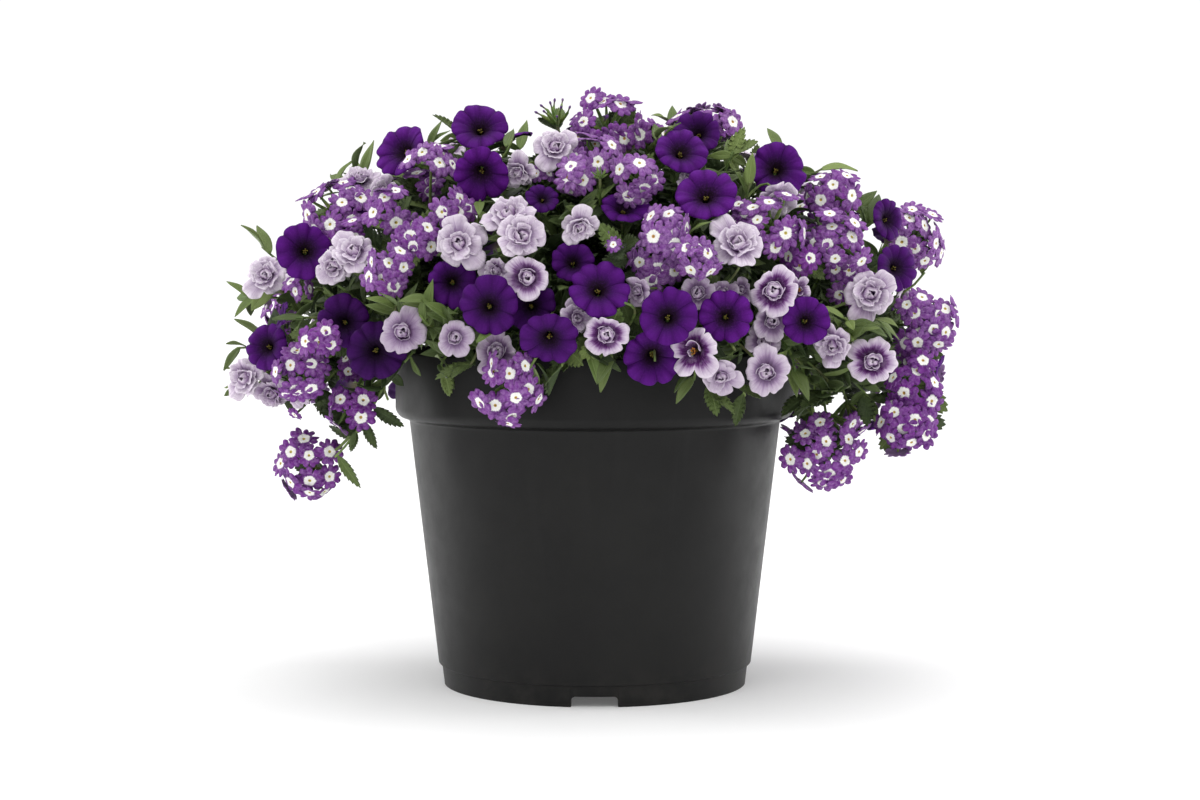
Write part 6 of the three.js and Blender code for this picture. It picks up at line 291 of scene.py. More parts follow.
        [634,1214,2278,90,24,-35,-41,73,-54,274,119,1], [634,1214,2278,-63,66,-40,76,42,-50,280,153,1], [650,1243,2195,30,95,-11,15,-16,-98,277,152,1], [650,1243,2195,26,96,-8,19,-13,-97,169,85,1], [663,1266,2095,-42,71,-57,84,7,-54,256,129,1], [663,1266,2095,88,14,-45,-43,63,-65,301,147,1], [675,1286,1988,31,86,-41,6,-45,-89,286,148,1], [675,1286,1988,30,91,-28,9,-32,-94,198,108,1], [689,1307,1883,94,14,-30,-33,56,-76,265,143,1], [689,1307,1883,-24,96,-11,51,3,-86,211,112,1], [706,1332,1789,92,40,5,-13,43,-89,211,101,1], [706,1332,1789,34,94,5,16,-1,-99,216,96,1], [796,1285,2290,30,87,-39,95,-32,1,268,134,1], [796,1285,2290,91,-40,10,40,82,-41,219,94,1], [873,1303,2236,79,57,24,32,-4,-95,180,101,1], [873,1303,2236,63,75,19,52,-23,-82,222,104,1], [953,1318,2173,88,-45,-15,36,84,-41,178,81,1], [953,1318,2173,13,85,-52,97,-20,-10,257,132,1], [1030,1336,2107,73,68,7,31,-24,-92,301,130,1], [1030,1336,2107,76,66,-1,24,-29,-93,180,92,1], [1102,1361,2043,1,85,-53,99,-9,-12,190,105,1], [1102,1361,2043,96,-14,-23,4,91,-40,218,101,1], [1163,1397,1986,95,25,18,-3,64,-77,240,118,1], [1163,1397,1986,79,61,9,-4,20,-98,177,99,1], [539,1314,2281,-3,87,49,-31,46,-83,255,141,1], [539,1314,2281,-6,96,26,-35,23,-91,314,168,1], [488,1365,2217,45,69,-56,-88,45,-15,246,110,1], [488,1365,2217,-85,44,30,10,68,-73,288,133,1], [431,1415,2142,-30,95,-8,-12,-12,-99,226,110,1], [431,1415,2142,-15,99,8,-32,3,-95,306,130,1], [378,1465,2063,33,58,-75,-85,52,3,213,103,1], [378,1465,2063,22,79,-57,-97,18,-14,223,111,1], [333,1516,1985,8,99,15,-37,17,-92,278,119,1], [333,1516,1985,-10,99,9,-20,7,-98,288,154,1], [306,1572,1915,30,95,10,-42,23,-88,176,76,1], [306,1572,1915,-41,90,16,31,30,-90,260,130,1], [335,659,2249,90,18,40,-39,74,54,214,107,1], [365,715,2298,-6,100,-3,61,6,79,227,114,1], [399,777,2337,22,26,94,39,86,-33,216,108,1], [435,844,2367,78,55,-30,-16,64,75,197,98,1], [473,914,2386,-30,90,32,94,34,-7,247,123,1], [512,986,2394,82,30,48,-10,91,-39,249,124,1], [551,1057,2391,13,70,-70,57,52,63,259,129,1], [588,1127,2375,11,83,54,49,43,-76,273,136,1], [285,568,2113,55,74,39,-41,-17,90,247,132,1], [300,596,2167,-26,82,50,25,-44,86,247,118,1], [319,630,2216,83,-12,54,-43,46,77,276,134,1], [341,671,2260,92,36,17,-10,-21,97,205,97,1], [366,716,2299,-43,-83,35,43,16,89,285,139,1], [393,766,2331,30,88,37,7,-41,91,296,138,1], [422,820,2357,-91,17,38,39,4,92,265,143,1], [452,876,2377,10,-92,38,-34,32,88,250,131,1], [483,933,2389,91,24,34,-28,-25,93,251,137,1], [515,992,2395,-59,80,10,-4,-15,99,203,95,1],
    ],
    "violet_calibrachoa_spray_02": [
        [-1065,1014,2302,8,100,-4,-92,6,-39,205,61,0], [-1079,1045,2279,-25,95,19,-53,3,-85,235,72,0], [-1093,1076,2254,-61,75,25,0,31,-95,158,47,0], [-1106,1108,2225,37,65,-66,-88,48,-2,185,56,0], [-1119,1139,2194,-92,21,-33,32,90,-30,152,54,0], [-1131,1169,2161,-1,99,-11,-74,-8,-67,171,50,0], [-1142,1199,2127,-56,79,25,-6,26,-96,211,59,0], [-1154,1229,2092,-82,57,11,20,46,-86,198,67,0], [-1165,1257,2055,-91,23,-35,38,82,-44,183,55,0], [-1176,1283,2019,-69,2,-72,10,99,-7,233,86,0], [-1187,1308,1983,-33,94,12,-28,2,-96,161,59,0], [-1198,1332,1947,-74,68,-2,23,21,-95,223,61,0], [-1209,1353,1912,-86,50,-13,36,41,-84,199,58,0], [-1221,1372,1878,24,97,-7,-71,13,-69,208,63,0], [-1179,959,2289,-48,81,-34,-84,-54,-9,163,47,0], [-1212,966,2264,-60,76,26,-61,-23,-76,225,83,0], [-1246,973,2236,-80,44,42,-43,7,-90,220,68,0], [-1279,980,2205,-98,-11,18,-21,58,-79,230,66,0], [-1312,987,2173,-77,-63,-12,-52,72,-46,216,62,0], [-1344,994,2139,-55,83,-7,-60,-45,-66,207,65,0], [-1376,1001,2105,-80,51,31,-35,1,-94,185,58,0], [-1408,1010,2070,-92,15,35,-29,34,-89,200,68,0], [-1438,1020,2036,2,77,-64,-98,-10,-16,230,70,0], [-1467,1032,2002,-26,95,-17,-79,-31,-53,234,82,0], [-1495,1046,1970,-67,74,-5,-33,-36,-87,183,52,0], [-1522,1062,1940,-84,50,23,-15,19,-97,189,59,0], [-1546,1081,1913,-100,1,1,0,77,-64,153,50,0], [-1569,1103,1888,-95,6,30,-17,70,-69,164,48,0], [-591,532,2229,-11,97,22,-66,-24,71,245,83,0], [-638,573,2276,-100,3,9,8,74,67,236,80,0], [-691,619,2314,-12,44,89,-86,41,-31,189,64,0], [-749,669,2342,-47,78,-40,-55,9,83,213,72,0], [-809,721,2360,-89,-7,46,-19,96,-21,233,79,0], [-870,774,2369,-7,94,33,-97,2,-25,247,84,0], [-930,826,2367,-77,17,-61,-27,78,56,270,92,0], [-525,475,2114,8,91,41,-33,-36,87,267,94,0], [-549,496,2168,-60,-71,36,0,45,89,233,81,0], [-581,523,2216,-22,-89,40,1,41,91,301,125,0], [-617,555,2257,-16,98,15,-24,-19,95,306,106,0], [-658,590,2292,58,-68,45,-54,10,84,288,109,0], [-703,629,2321,78,44,45,-51,2,86,253,86,0], [-750,669,2342,-71,70,13,4,-14,99,191,67,0], [-799,712,2358,-92,-39,7,21,-32,92,205,72,0], [-848,755,2367,-80,50,33,31,-12,94,205,77,0],
    ],
    "lilac_calibrachoa_spray_01": [
        [-1538,-395,2237,-88,-27,38,-46,41,-78,212,67,0], [-1581,-389,2222,-63,-77,-9,-76,63,-15,222,68,0], [-1624,-382,2205,-83,52,20,-53,-62,-57,191,65,0], [-1667,-375,2187,-90,10,43,-44,-10,-89,179,65,0], [-1710,-369,2168,-83,-42,36,-54,45,-71,201,63,0], [-1753,-364,2148,-78,-63,-7,-58,75,-31,158,58,0], [-1795,-361,2128,-69,-61,-39,-69,72,8,176,57,0], [-1836,-360,2108,-66,74,-14,-71,-67,-23,166,58,0], [-1875,-361,2089,-41,-85,-33,-88,47,-11,183,55,0], [-2068,-447,1994,-98,15,15,-19,-91,-36,180,60,0], [-2091,-478,1985,-44,-34,-83,-56,-61,56,120,45,0], [-1428,-386,2267,-79,-48,39,-59,44,-67,227,61,0], [-1469,-384,2250,-83,-51,-22,-52,85,-2,213,61,0], [-1510,-381,2231,-78,39,50,-62,-36,-69,172,56,0], [-1551,-379,2210,-48,-5,-88,-88,-1,48,202,66,0], [-1592,-377,2188,-81,-47,36,-55,38,-74,166,50,0], [-1632,-375,2164,-54,81,-22,-78,-58,-22,191,70,0], [-1672,-375,2140,-44,-71,-55,-86,51,4,186,59,0], [-1711,-376,2115,-95,8,30,-31,-27,-91,179,51,0], [-1748,-379,2090,-90,-40,18,-32,33,-89,162,58,0], [-1784,-384,2065,-44,-90,-2,-80,40,-44,242,87,0], [-1818,-392,2040,-72,54,-44,-55,-83,-11,186,61,0], [-1850,-402,2016,-22,-22,-95,-95,-18,26,163,57,0], [-1880,-415,1993,-61,-73,30,-60,19,-77,238,76,0], [-1907,-432,1971,-79,-53,31,-34,-3,-94,201,64,0], [-1931,-452,1952,-100,-3,3,0,-79,-61,184,59,0], [-1368,-457,2275,-87,8,49,-44,-57,-70,204,66,0], [-1405,-474,2257,-47,-16,-87,-79,-37,49,157,51,0], [-1441,-492,2236,-69,-62,38,-56,12,-82,151,54,0], [-1477,-510,2214,-91,23,-34,-24,-97,-2,216,67,0], [-1513,-529,2190,-29,-64,-72,-95,7,32,221,67,0], [-1547,-549,2166,-80,-44,41,-38,-16,-91,160,44,0], [-1579,-570,2140,-67,-70,22,-47,18,-86,182,66,0], [-1610,-592,2115,-32,-93,-17,-86,36,-35,171,47,0], [-1639,-616,2090,-99,-6,-13,12,-87,-48,153,47,0], [-1666,-641,2065,-85,-49,19,-7,-26,-96,228,63,0], [-1690,-667,2042,-46,-84,29,-56,2,-83,174,56,0], [-1711,-695,2019,-88,-13,-46,12,-99,5,158,54,0], [-1729,-724,1998,-97,-25,1,20,-80,-56,215,74,0], [-1743,-756,1980,-79,-53,31,3,-53,-85,169,48,0], [-1754,-788,1963,-29,-89,36,-44,-21,-87,114,45,0], [-831,-267,2238,-82,47,33,-11,-69,71,232,79,0], [-886,-283,2291,-60,-80,7,-49,43,76,182,62,0], [-949,-302,2330,-39,7,92,-84,-44,-32,267,91,0], [-1016,-322,2354,-90,8,-42,-40,-50,77,277,94,0], [-1086,-343,2362,-46,-83,33,-88,36,-32,189,64,0], [-1156,-364,2351,-89,40,23,-46,-71,-54,183,62,0], [-1225,-385,2322,-27,-50,-83,-96,19,20,270,92,0], [-1895,-424,1981,-1,15,-99,-19,-97,-15,270,108,0], [-760,-245,2119,-16,-93,32,28,27,92,254,103,0], [-790,-254,2179,-82,-48,32,39,-5,92,203,73,0], [-827,-265,2232,-8,-90,42,37,37,85,245,95,0], [-870,-278,2277,70,-60,40,-28,28,92,234,86,0], [-918,-293,2313,58,52,63,-14,-69,71,198,68,0], [-971,-309,2340,-22,-93,30,18,27,95,233,95,0], [-1026,-325,2356,74,50,46,-36,-29,89,282,103,0], [-1083,-342,2362,-68,-72,15,8,13,99,308,124,0],
    ],
    "verbena_spray_05": [
        [-573,1317,2349,30,95,5,-79,28,-54,267,148,1], [-573,1317,2349,11,99,-8,-84,5,-54,248,135,1], [-604,1388,2278,-70,70,17,25,46,-85,251,135,1], [-604,1388,2278,39,72,-58,-89,45,-3,314,175,1], [-634,1459,2204,-77,26,-58,32,95,0,206,101,1], [-634,1459,2204,23,96,-17,-87,12,-48,183,97,1], [-664,1530,2141,-64,71,29,17,50,-85,180,86,1], [-664,1530,2141,-7,99,12,-56,6,-83,181,99,1], [-693,1599,2103,30,93,22,-83,37,-42,170,78,1], [-693,1599,2103,-83,26,-49,18,96,20,301,133,1], [-567,1318,2329,-90,22,-38,42,69,-59,182,100,1], [-567,1318,2329,70,65,-30,-65,42,-63,193,96,1], [-573,1339,2243,-22,93,-30,-7,-32,-94,242,135,1], [-573,1339,2243,-8,93,-37,-27,-38,-89,216,99,1], [-576,1353,2141,-77,10,-63,53,64,-56,299,162,1], [-576,1353,2141,-91,27,-31,41,43,-81,294,131,1], [-579,1361,2030,42,71,-57,-76,-7,-65,294,158,1], [-579,1361,2030,-1,98,-20,-26,-20,-95,170,87,1], [-585,1369,1920,-71,20,-67,65,54,-53,266,130,1], [-585,1369,1920,76,41,-51,-64,32,-70,222,102,1], [-595,1380,1818,67,36,-65,-74,35,-57,168,88,1], [-595,1380,1818,16,80,-58,-72,-31,-62,164,70,1], [-293,671,2251,33,91,25,-70,6,71,207,104,1], [-318,728,2303,-88,46,12,40,59,70,276,138,1], [-345,792,2346,9,38,92,-59,77,-25,220,110,1], [-375,861,2381,-9,94,-32,-44,25,86,215,108,1], [-406,933,2408,-82,28,49,26,96,-11,212,106,1], [-438,1007,2425,35,84,42,-87,46,-19,186,93,1], [-469,1081,2432,-62,56,-55,10,75,66,229,115,1], [-500,1153,2430,-44,57,69,-15,71,-69,278,139,1], [-253,579,2115,80,-25,55,-44,39,81,248,137,1], [-266,608,2170,28,-90,33,-45,18,88,254,134,1], [-281,644,2220,-44,87,22,24,-12,96,224,109,1], [-299,686,2266,41,88,24,-14,-20,97,218,115,1], [-320,733,2306,-55,-74,39,45,13,88,204,100,1], [-342,785,2342,55,79,28,-28,-14,95,207,100,1], [-366,840,2372,-14,96,23,-45,-27,85,195,92,1], [-391,898,2396,-49,77,42,-35,-61,71,304,157,1], [-416,958,2414,56,78,27,16,-43,89,223,115,1], [-442,1018,2426,44,-90,9,3,11,99,201,110,1], [-468,1078,2432,78,60,18,-1,-28,96,197,103,1],
    ],
    "lilac_calibrachoa_spray_02": [
        [-148,1464,2213,-30,94,13,-35,2,-94,150,47,0], [-170,1480,2179,-71,71,0,18,18,-97,235,83,0], [-193,1494,2140,-98,15,-10,18,68,-71,172,52,0], [-215,1508,2099,13,84,-52,-91,-11,-40,147,54,0], [-237,1521,2055,-28,91,-29,-31,-38,-87,191,61,0], [-257,1535,2010,-52,85,0,2,2,-100,209,60,0], [-274,1550,1967,48,31,-82,-78,59,-23,189,68,0], [-287,1567,1925,-89,14,-45,37,78,-51,224,66,0], [-295,1587,1888,-52,80,-31,62,9,-78,166,70,0], [-298,1610,1855,-56,82,-13,60,30,-74,234,66,0], [-48,1448,2230,10,89,45,20,43,-88,165,57,0], [-33,1481,2201,-3,99,10,45,10,-89,204,71,0], [-18,1513,2168,-42,82,-39,91,35,-23,153,51,0], [-2,1546,2134,71,70,8,-42,52,-74,180,59,0], [13,1579,2101,51,85,13,-30,31,-90,238,67,0], [27,1613,2070,80,60,2,-48,65,-58,182,54,0], [39,1647,2045,-41,91,-10,84,33,-43,177,61,0], [49,1681,2026,-65,67,-37,72,70,0,242,80,0], [56,1716,2017,25,64,-73,-10,77,64,109,46,0], [-46,756,2225,64,72,24,-69,42,59,234,80,0], [-50,821,2264,-64,76,-3,56,50,66,266,90,0], [-54,894,2294,15,45,88,-22,88,-42,198,67,0], [-59,973,2314,30,84,-44,-41,53,74,220,75,0], [-64,1056,2325,-70,62,35,58,78,-24,280,95,0], [-69,1141,2325,59,73,35,-61,68,-39,185,63,0], [-75,1225,2314,-35,61,-71,31,79,53,230,78,0], [-80,1307,2294,-27,80,54,13,58,-80,243,83,0], [-39,652,2108,-22,86,46,3,-46,89,283,100,0], [-41,685,2158,-12,94,31,-28,-33,90,257,102,0], [-44,727,2201,-66,69,30,26,-17,95,212,88,0], [-47,775,2238,-82,39,43,38,-20,90,284,112,0], [-50,830,2269,-80,-32,50,55,-8,83,207,75,0], [-54,889,2293,-73,52,45,8,-58,81,211,84,0], [-58,953,2310,-15,98,12,-16,-14,98,244,89,0], [-62,1020,2321,-13,99,11,2,-11,99,247,96,0], [-66,1088,2326,-47,84,25,13,-21,97,264,102,0], [-70,1157,2324,29,95,13,52,-27,81,276,99,0],
    ],
    "verbena_spray_06": [
        [1418,747,2315,91,42,-2,-30,62,-72,237,101,1], [1418,747,2315,95,27,15,-9,70,-71,243,123,1], [1458,816,2246,26,95,15,59,-4,-80,208,114,1], [1458,816,2246,55,-15,-82,34,94,5,180,82,1], [1495,888,2173,88,46,9,-20,53,-83,217,105,1], [1495,888,2173,90,34,26,-1,61,-79,311,140,1], [1531,960,2104,67,-10,-74,20,98,5,196,91,1], [1531,960,2104,9,98,20,68,9,-73,288,161,1], [1568,1030,2047,94,33,13,-17,73,-67,204,106,1], [1568,1030,2047,86,1,-50,-1,100,0,289,123,1], [1607,1095,2011,-12,63,-76,83,48,27,179,88,1], [1607,1095,2011,82,-8,-56,21,96,17,182,97,1], [1649,1153,2006,29,79,-54,69,22,69,227,138,1], [1649,1153,2006,21,90,-38,80,7,60,214,118,1], [1400,618,2333,-6,92,-38,94,-7,-33,193,89,1], [1400,618,2333,94,-29,-15,17,83,-53,245,113,1], [1453,629,2266,76,65,0,33,-39,-86,215,98,1], [1453,629,2266,33,-21,-92,80,58,16,287,128,1], [1501,638,2185,94,-32,9,25,49,-84,254,126,1], [1501,638,2185,92,-16,-36,-13,73,-67,301,136,1], [1546,645,2094,76,60,-23,13,-50,-86,183,91,1], [1546,645,2094,66,74,-10,34,-42,-84,278,145,1], [1587,651,1997,92,-38,-9,14,53,-84,203,101,1], [1587,651,1997,91,-37,-20,8,61,-79,267,121,1], [1624,658,1900,74,57,-35,2,-54,-84,274,151,1], [1624,658,1900,75,51,-43,-6,-58,-81,300,153,1], [1657,665,1806,73,65,-20,12,-41,-90,139,72,1], [1657,665,1806,73,66,-19,13,-40,-91,226,121,1], [1382,619,2321,74,65,18,47,-29,-83,246,121,1], [1382,619,2321,82,52,22,34,-15,-93,230,129,1], [1452,644,2256,6,88,-48,96,-18,-20,193,106,1], [1452,644,2256,76,-65,-7,56,70,-45,223,103,1], [1523,668,2184,80,58,-13,25,-52,-81,252,122,1], [1523,668,2184,45,-15,-88,73,62,27,182,84,1], [1594,693,2114,89,-45,3,38,73,-56,257,138,1], [1594,693,2114,28,78,-56,93,-36,-4,194,98,1], [1666,719,2052,12,33,-94,97,18,19,276,136,1], [1666,719,2052,82,54,17,32,-19,-93,180,87,1], [1738,747,2008,17,85,-50,98,-17,5,298,143,1], [1738,747,2008,82,-57,6,56,76,-33,267,134,1], [1810,776,1987,73,-6,-69,58,58,57,173,90,1], [799,368,2246,68,-47,57,19,86,48,274,137,1], [853,392,2302,67,74,-6,34,-24,91,268,134,1], [914,420,2348,21,18,96,91,33,-26,260,130,1], [979,450,2385,98,-13,-16,20,67,72,206,103,1], [1048,481,2411,31,92,24,93,-35,13,270,135,1], [1118,512,2426,77,-22,60,52,76,-39,240,120,1], [1187,544,2428,61,39,-69,68,19,71,235,117,1], [1254,574,2418,54,67,52,70,-1,-71,255,128,1], [719,332,2112,-23,-93,29,13,27,95,276,148,1], [747,344,2171,-75,58,33,20,-27,94,293,150,1], [782,360,2225,81,42,42,-41,-12,90,278,155,1], [824,379,2274,43,76,48,-68,-7,73,244,114,1], [870,400,2316,-73,63,26,-6,-43,90,202,106,1], [920,423,2353,89,31,35,-34,-8,94,285,140,1], [974,447,2382,31,-87,38,-9,37,92,289,153,1], [1029,472,2405,5,99,14,-5,-13,99,212,116,1],
    ],
    "verbena_spray_07": [
        [-1377,-732,2239,-33,-94,6,-92,31,-25,191,87,1], [-1377,-732,2239,-89,6,45,-41,-52,-75,316,177,1], [-1469,-754,2199,-70,-71,5,-62,58,-53,167,79,1], [-1469,-754,2199,-62,-78,3,-71,55,-44,273,144,1], [-1558,-779,2153,-92,-10,38,-31,-41,-86,288,134,1], [-1558,-779,2153,-93,-3,38,-32,-48,-82,260,142,1], [-1638,-811,2107,-82,11,-56,-32,-90,30,272,129,1], [-1638,-811,2107,-76,-63,16,-39,25,-88,221,110,1], [-1703,-854,2068,-54,-75,38,-56,-2,-83,180,111,1], [-1703,-854,2068,-94,-29,18,5,-63,-77,187,105,1], [-1746,-912,2041,-95,-24,-19,24,-97,1,131,78,1], [-1746,-912,2041,-98,-19,-2,19,-96,-19,173,90,1], [-1282,-698,2206,-57,71,-41,-63,-70,-34,311,164,1], [-1282,-698,2206,-47,-88,-1,-67,37,-64,236,129,1], [-1343,-713,2124,5,-62,-78,-98,10,-14,207,99,1], [-1475,-796,1869,-94,-17,-28,31,-78,-55,183,99,1], [-1475,-796,1869,-89,-40,-22,42,-54,-73,258,137,1], [-1242,-630,2257,-89,27,37,-45,-41,-79,255,110,1], [-1242,-630,2257,-85,-6,52,-51,-6,-86,199,98,1], [-1336,-617,2193,-93,-36,5,-23,49,-84,247,114,1], [-1336,-617,2193,-93,-36,-3,-20,57,-80,171,84,1], [-1419,-609,2122,-85,21,47,-52,-29,-80,179,98,1], [-1419,-609,2122,-99,3,13,-13,-29,-95,218,121,1], [-1477,-621,2065,-100,-4,3,0,-65,-76,141,81,1], [-1477,-621,2065,-91,38,-18,-27,-86,-44,304,150,1], [-659,-377,2238,-90,30,32,-6,-81,58,238,119,1], [-714,-408,2282,-43,-90,-2,-63,29,72,260,130,1], [-776,-443,2316,-42,-7,90,-73,-57,-38,197,98,1], [-843,-480,2338,-91,-8,-41,-28,-61,74,246,123,1], [-914,-519,2350,-25,-91,33,-96,18,-23,269,134,1], [-985,-560,2349,-91,20,35,-35,-83,-43,182,91,1], [-1057,-600,2335,-36,-56,-74,-87,-7,48,275,138,1], [-1127,-639,2307,-64,-60,47,-52,-11,-85,193,97,1], [-1492,-868,1820,-82,16,-54,-2,-97,-25,150,78,1], [-569,-327,2111,-93,-25,27,24,15,96,238,117,1], [-597,-343,2164,-73,-61,31,7,39,92,297,151,1], [-632,-362,2210,-90,-36,24,19,15,97,288,147,1], [-673,-385,2251,-66,-74,16,-5,25,97,259,121,1], [-719,-411,2285,-21,-95,24,13,22,97,273,127,1], [-769,-439,2313,-86,-30,41,49,-27,83,286,147,1], [-823,-469,2333,-99,-3,12,12,-7,99,300,158,1], [-879,-500,2346,85,37,37,-48,27,84,200,95,1], [-937,-533,2351,85,-37,38,-38,8,92,284,146,1], [-996,-565,2348,16,-97,21,12,23,97,250,122,1],
    ],
    "verbena_spray_08": [
        [1450,246,2403,76,8,65,61,26,-75,288,138,1], [1450,246,2403,82,16,55,52,18,-83,289,135,1], [1522,267,2379,48,87,-10,86,-49,-16,286,125,1], [1522,267,2379,79,-56,-25,57,82,-3,197,85,1], [1595,292,2337,88,20,43,40,17,-90,219,108,1], [1595,292,2337,86,24,45,43,13,-89,173,84,1], [1667,317,2283,72,-60,-34,58,79,-19,236,117,1], [1667,317,2283,62,78,-8,67,-58,-47,250,129,1], [1740,342,2222,66,73,14,59,-40,-70,224,115,1], [1740,342,2222,95,25,20,19,7,-98,205,103,1], [1814,365,2159,42,89,-20,81,-46,-37,293,154,1], [1814,365,2159,77,-47,-44,47,88,-12,317,142,1], [1889,384,2098,87,16,48,46,12,-88,244,132,1], [1889,384,2098,10,11,-99,98,16,12,177,93,1], [1965,398,2044,50,77,-40,81,-58,-9,213,103,1], [1965,398,2044,94,27,19,24,-15,-96,138,80,1], [870,151,2230,51,-62,59,46,78,42,248,124,1], [930,160,2282,86,50,-11,29,-29,91,251,126,1], [997,170,2326,28,16,95,96,2,-29,243,121,1], [1069,181,2360,90,-41,-16,40,61,68,271,136,1], [1145,193,2386,56,80,20,79,-59,17,236,118,1], [1222,204,2402,66,-40,64,72,58,-39,182,91,1], [1297,216,2410,75,17,-64,64,3,77,201,101,1], [790,139,2113,-69,62,36,18,-34,93,224,116,1], [822,144,2170,-64,63,45,19,-44,88,248,129,1], [862,150,2220,-95,-7,30,28,17,94,234,116,1], [908,157,2265,79,-59,17,17,48,86,300,163,1], [960,165,2304,-51,70,51,55,-19,81,266,125,1], [1017,173,2336,53,-78,34,-50,4,86,202,106,1], [1076,182,2363,-78,-57,24,9,28,96,251,133,1], [1138,192,2384,99,12,6,-5,-12,99,298,154,1],
    ],
    "verbena_spray_09": [
        [-409,-1309,2285,-86,-45,25,35,-87,-35,302,168,1], [-409,-1309,2285,35,-85,-40,-84,-47,28,280,118,1], [-436,-1367,2241,-16,-99,2,-38,4,-92,135,67,1], [-436,-1367,2241,-93,-19,-32,30,-89,-34,127,75,1], [-462,-1423,2163,43,-46,-77,-78,-62,-6,293,152,1], [-462,-1423,2163,12,15,-98,-37,-91,-19,172,107,1], [-211,-703,2238,-85,-31,43,51,-72,47,182,91,1], [-231,-763,2282,20,-97,-10,-57,-20,80,266,133,1], [-253,-831,2316,-14,-37,92,-27,-88,-39,229,115,1], [-276,-905,2339,-70,-63,-32,31,-68,66,256,128,1], [-301,-982,2351,46,-86,22,-87,-49,-10,266,133,1], [-327,-1060,2352,-74,-49,47,23,-83,-50,238,119,1], [-352,-1138,2340,-3,-63,-78,-43,-70,58,230,115,1], [-180,-607,2113,-55,62,57,62,-15,77,216,112,1], [-189,-637,2165,60,-60,52,-36,38,85,293,146,1], [-202,-675,2211,-77,-40,49,25,51,82,236,125,1], [-216,-720,2252,79,46,40,-13,-51,85,267,129,1], [-233,-771,2286,93,0,36,-36,8,93,193,106,1], [-251,-826,2314,-81,46,35,36,-7,93,302,149,1], [-270,-885,2334,57,-77,27,-4,31,95,284,156,1], [-290,-947,2347,84,37,40,-44,3,90,253,133,1], [-311,-1010,2353,-78,62,1,11,11,99,292,162,1], [-331,-1074,2351,-38,-91,17,48,-3,88,197,95,1],
    ],
    "lilac_calibrachoa_spray_03": [
        [747,-1270,2300,56,-66,50,50,-22,-84,152,43,0], [782,-1288,2276,53,-84,8,56,28,-78,185,62,0], [817,-1306,2248,36,-92,12,70,18,-69,189,69,0], [852,-1324,2219,-1,-72,-69,98,-14,12,168,56,0], [660,-1258,2312,-35,-76,-54,86,-49,13,230,80,0], [672,-1291,2288,72,-8,-69,-6,-100,6,184,65,0], [683,-1324,2260,17,-94,30,32,-23,-92,208,71,0], [694,-1357,2230,46,-89,4,-20,-15,-97,197,58,0], [703,-1392,2199,75,-66,-6,-54,-56,-63,198,65,0], [711,-1426,2168,-36,-92,-16,86,-26,-44,231,68,0], [717,-1462,2139,-25,-88,41,47,-48,-74,224,61,0], [722,-1498,2114,45,-85,27,-22,-40,-89,176,49,0], [725,-1534,2093,-22,-53,-82,46,-80,39,214,70,0], [357,-679,2247,-40,-73,56,89,-17,41,209,71,0], [386,-734,2297,77,-62,-12,-19,-41,89,251,85,0], [420,-794,2337,24,-25,94,37,-87,-32,230,78,0], [456,-860,2366,-10,-98,-19,76,-20,62,216,73,0], [494,-928,2385,95,-26,15,-27,-96,6,257,87,0], [533,-998,2390,-10,-81,58,73,-46,-51,217,74,0], [571,-1068,2383,33,-55,-77,35,-69,64,243,83,0], [608,-1135,2362,77,-49,41,-2,-66,-75,219,74,0], [311,-596,2116,63,60,49,-65,7,76,238,89,0], [326,-623,2171,-91,4,42,37,-40,84,255,87,0], [345,-658,2222,85,36,39,-32,-23,92,221,78,0], [367,-698,2266,-92,-26,28,24,19,95,285,106,0], [392,-744,2305,79,52,33,-19,-30,93,216,81,0], [419,-793,2337,16,90,40,-10,-39,92,280,100,0], [449,-846,2362,-49,77,41,14,-39,91,264,97,0], [479,-902,2379,70,69,16,-29,6,96,248,94,0], [510,-958,2389,-49,-82,31,26,21,94,247,99,0], [542,-1015,2390,-2,-99,15,-56,14,82,248,92,0],
    ],
    "verbena_spray_10": [
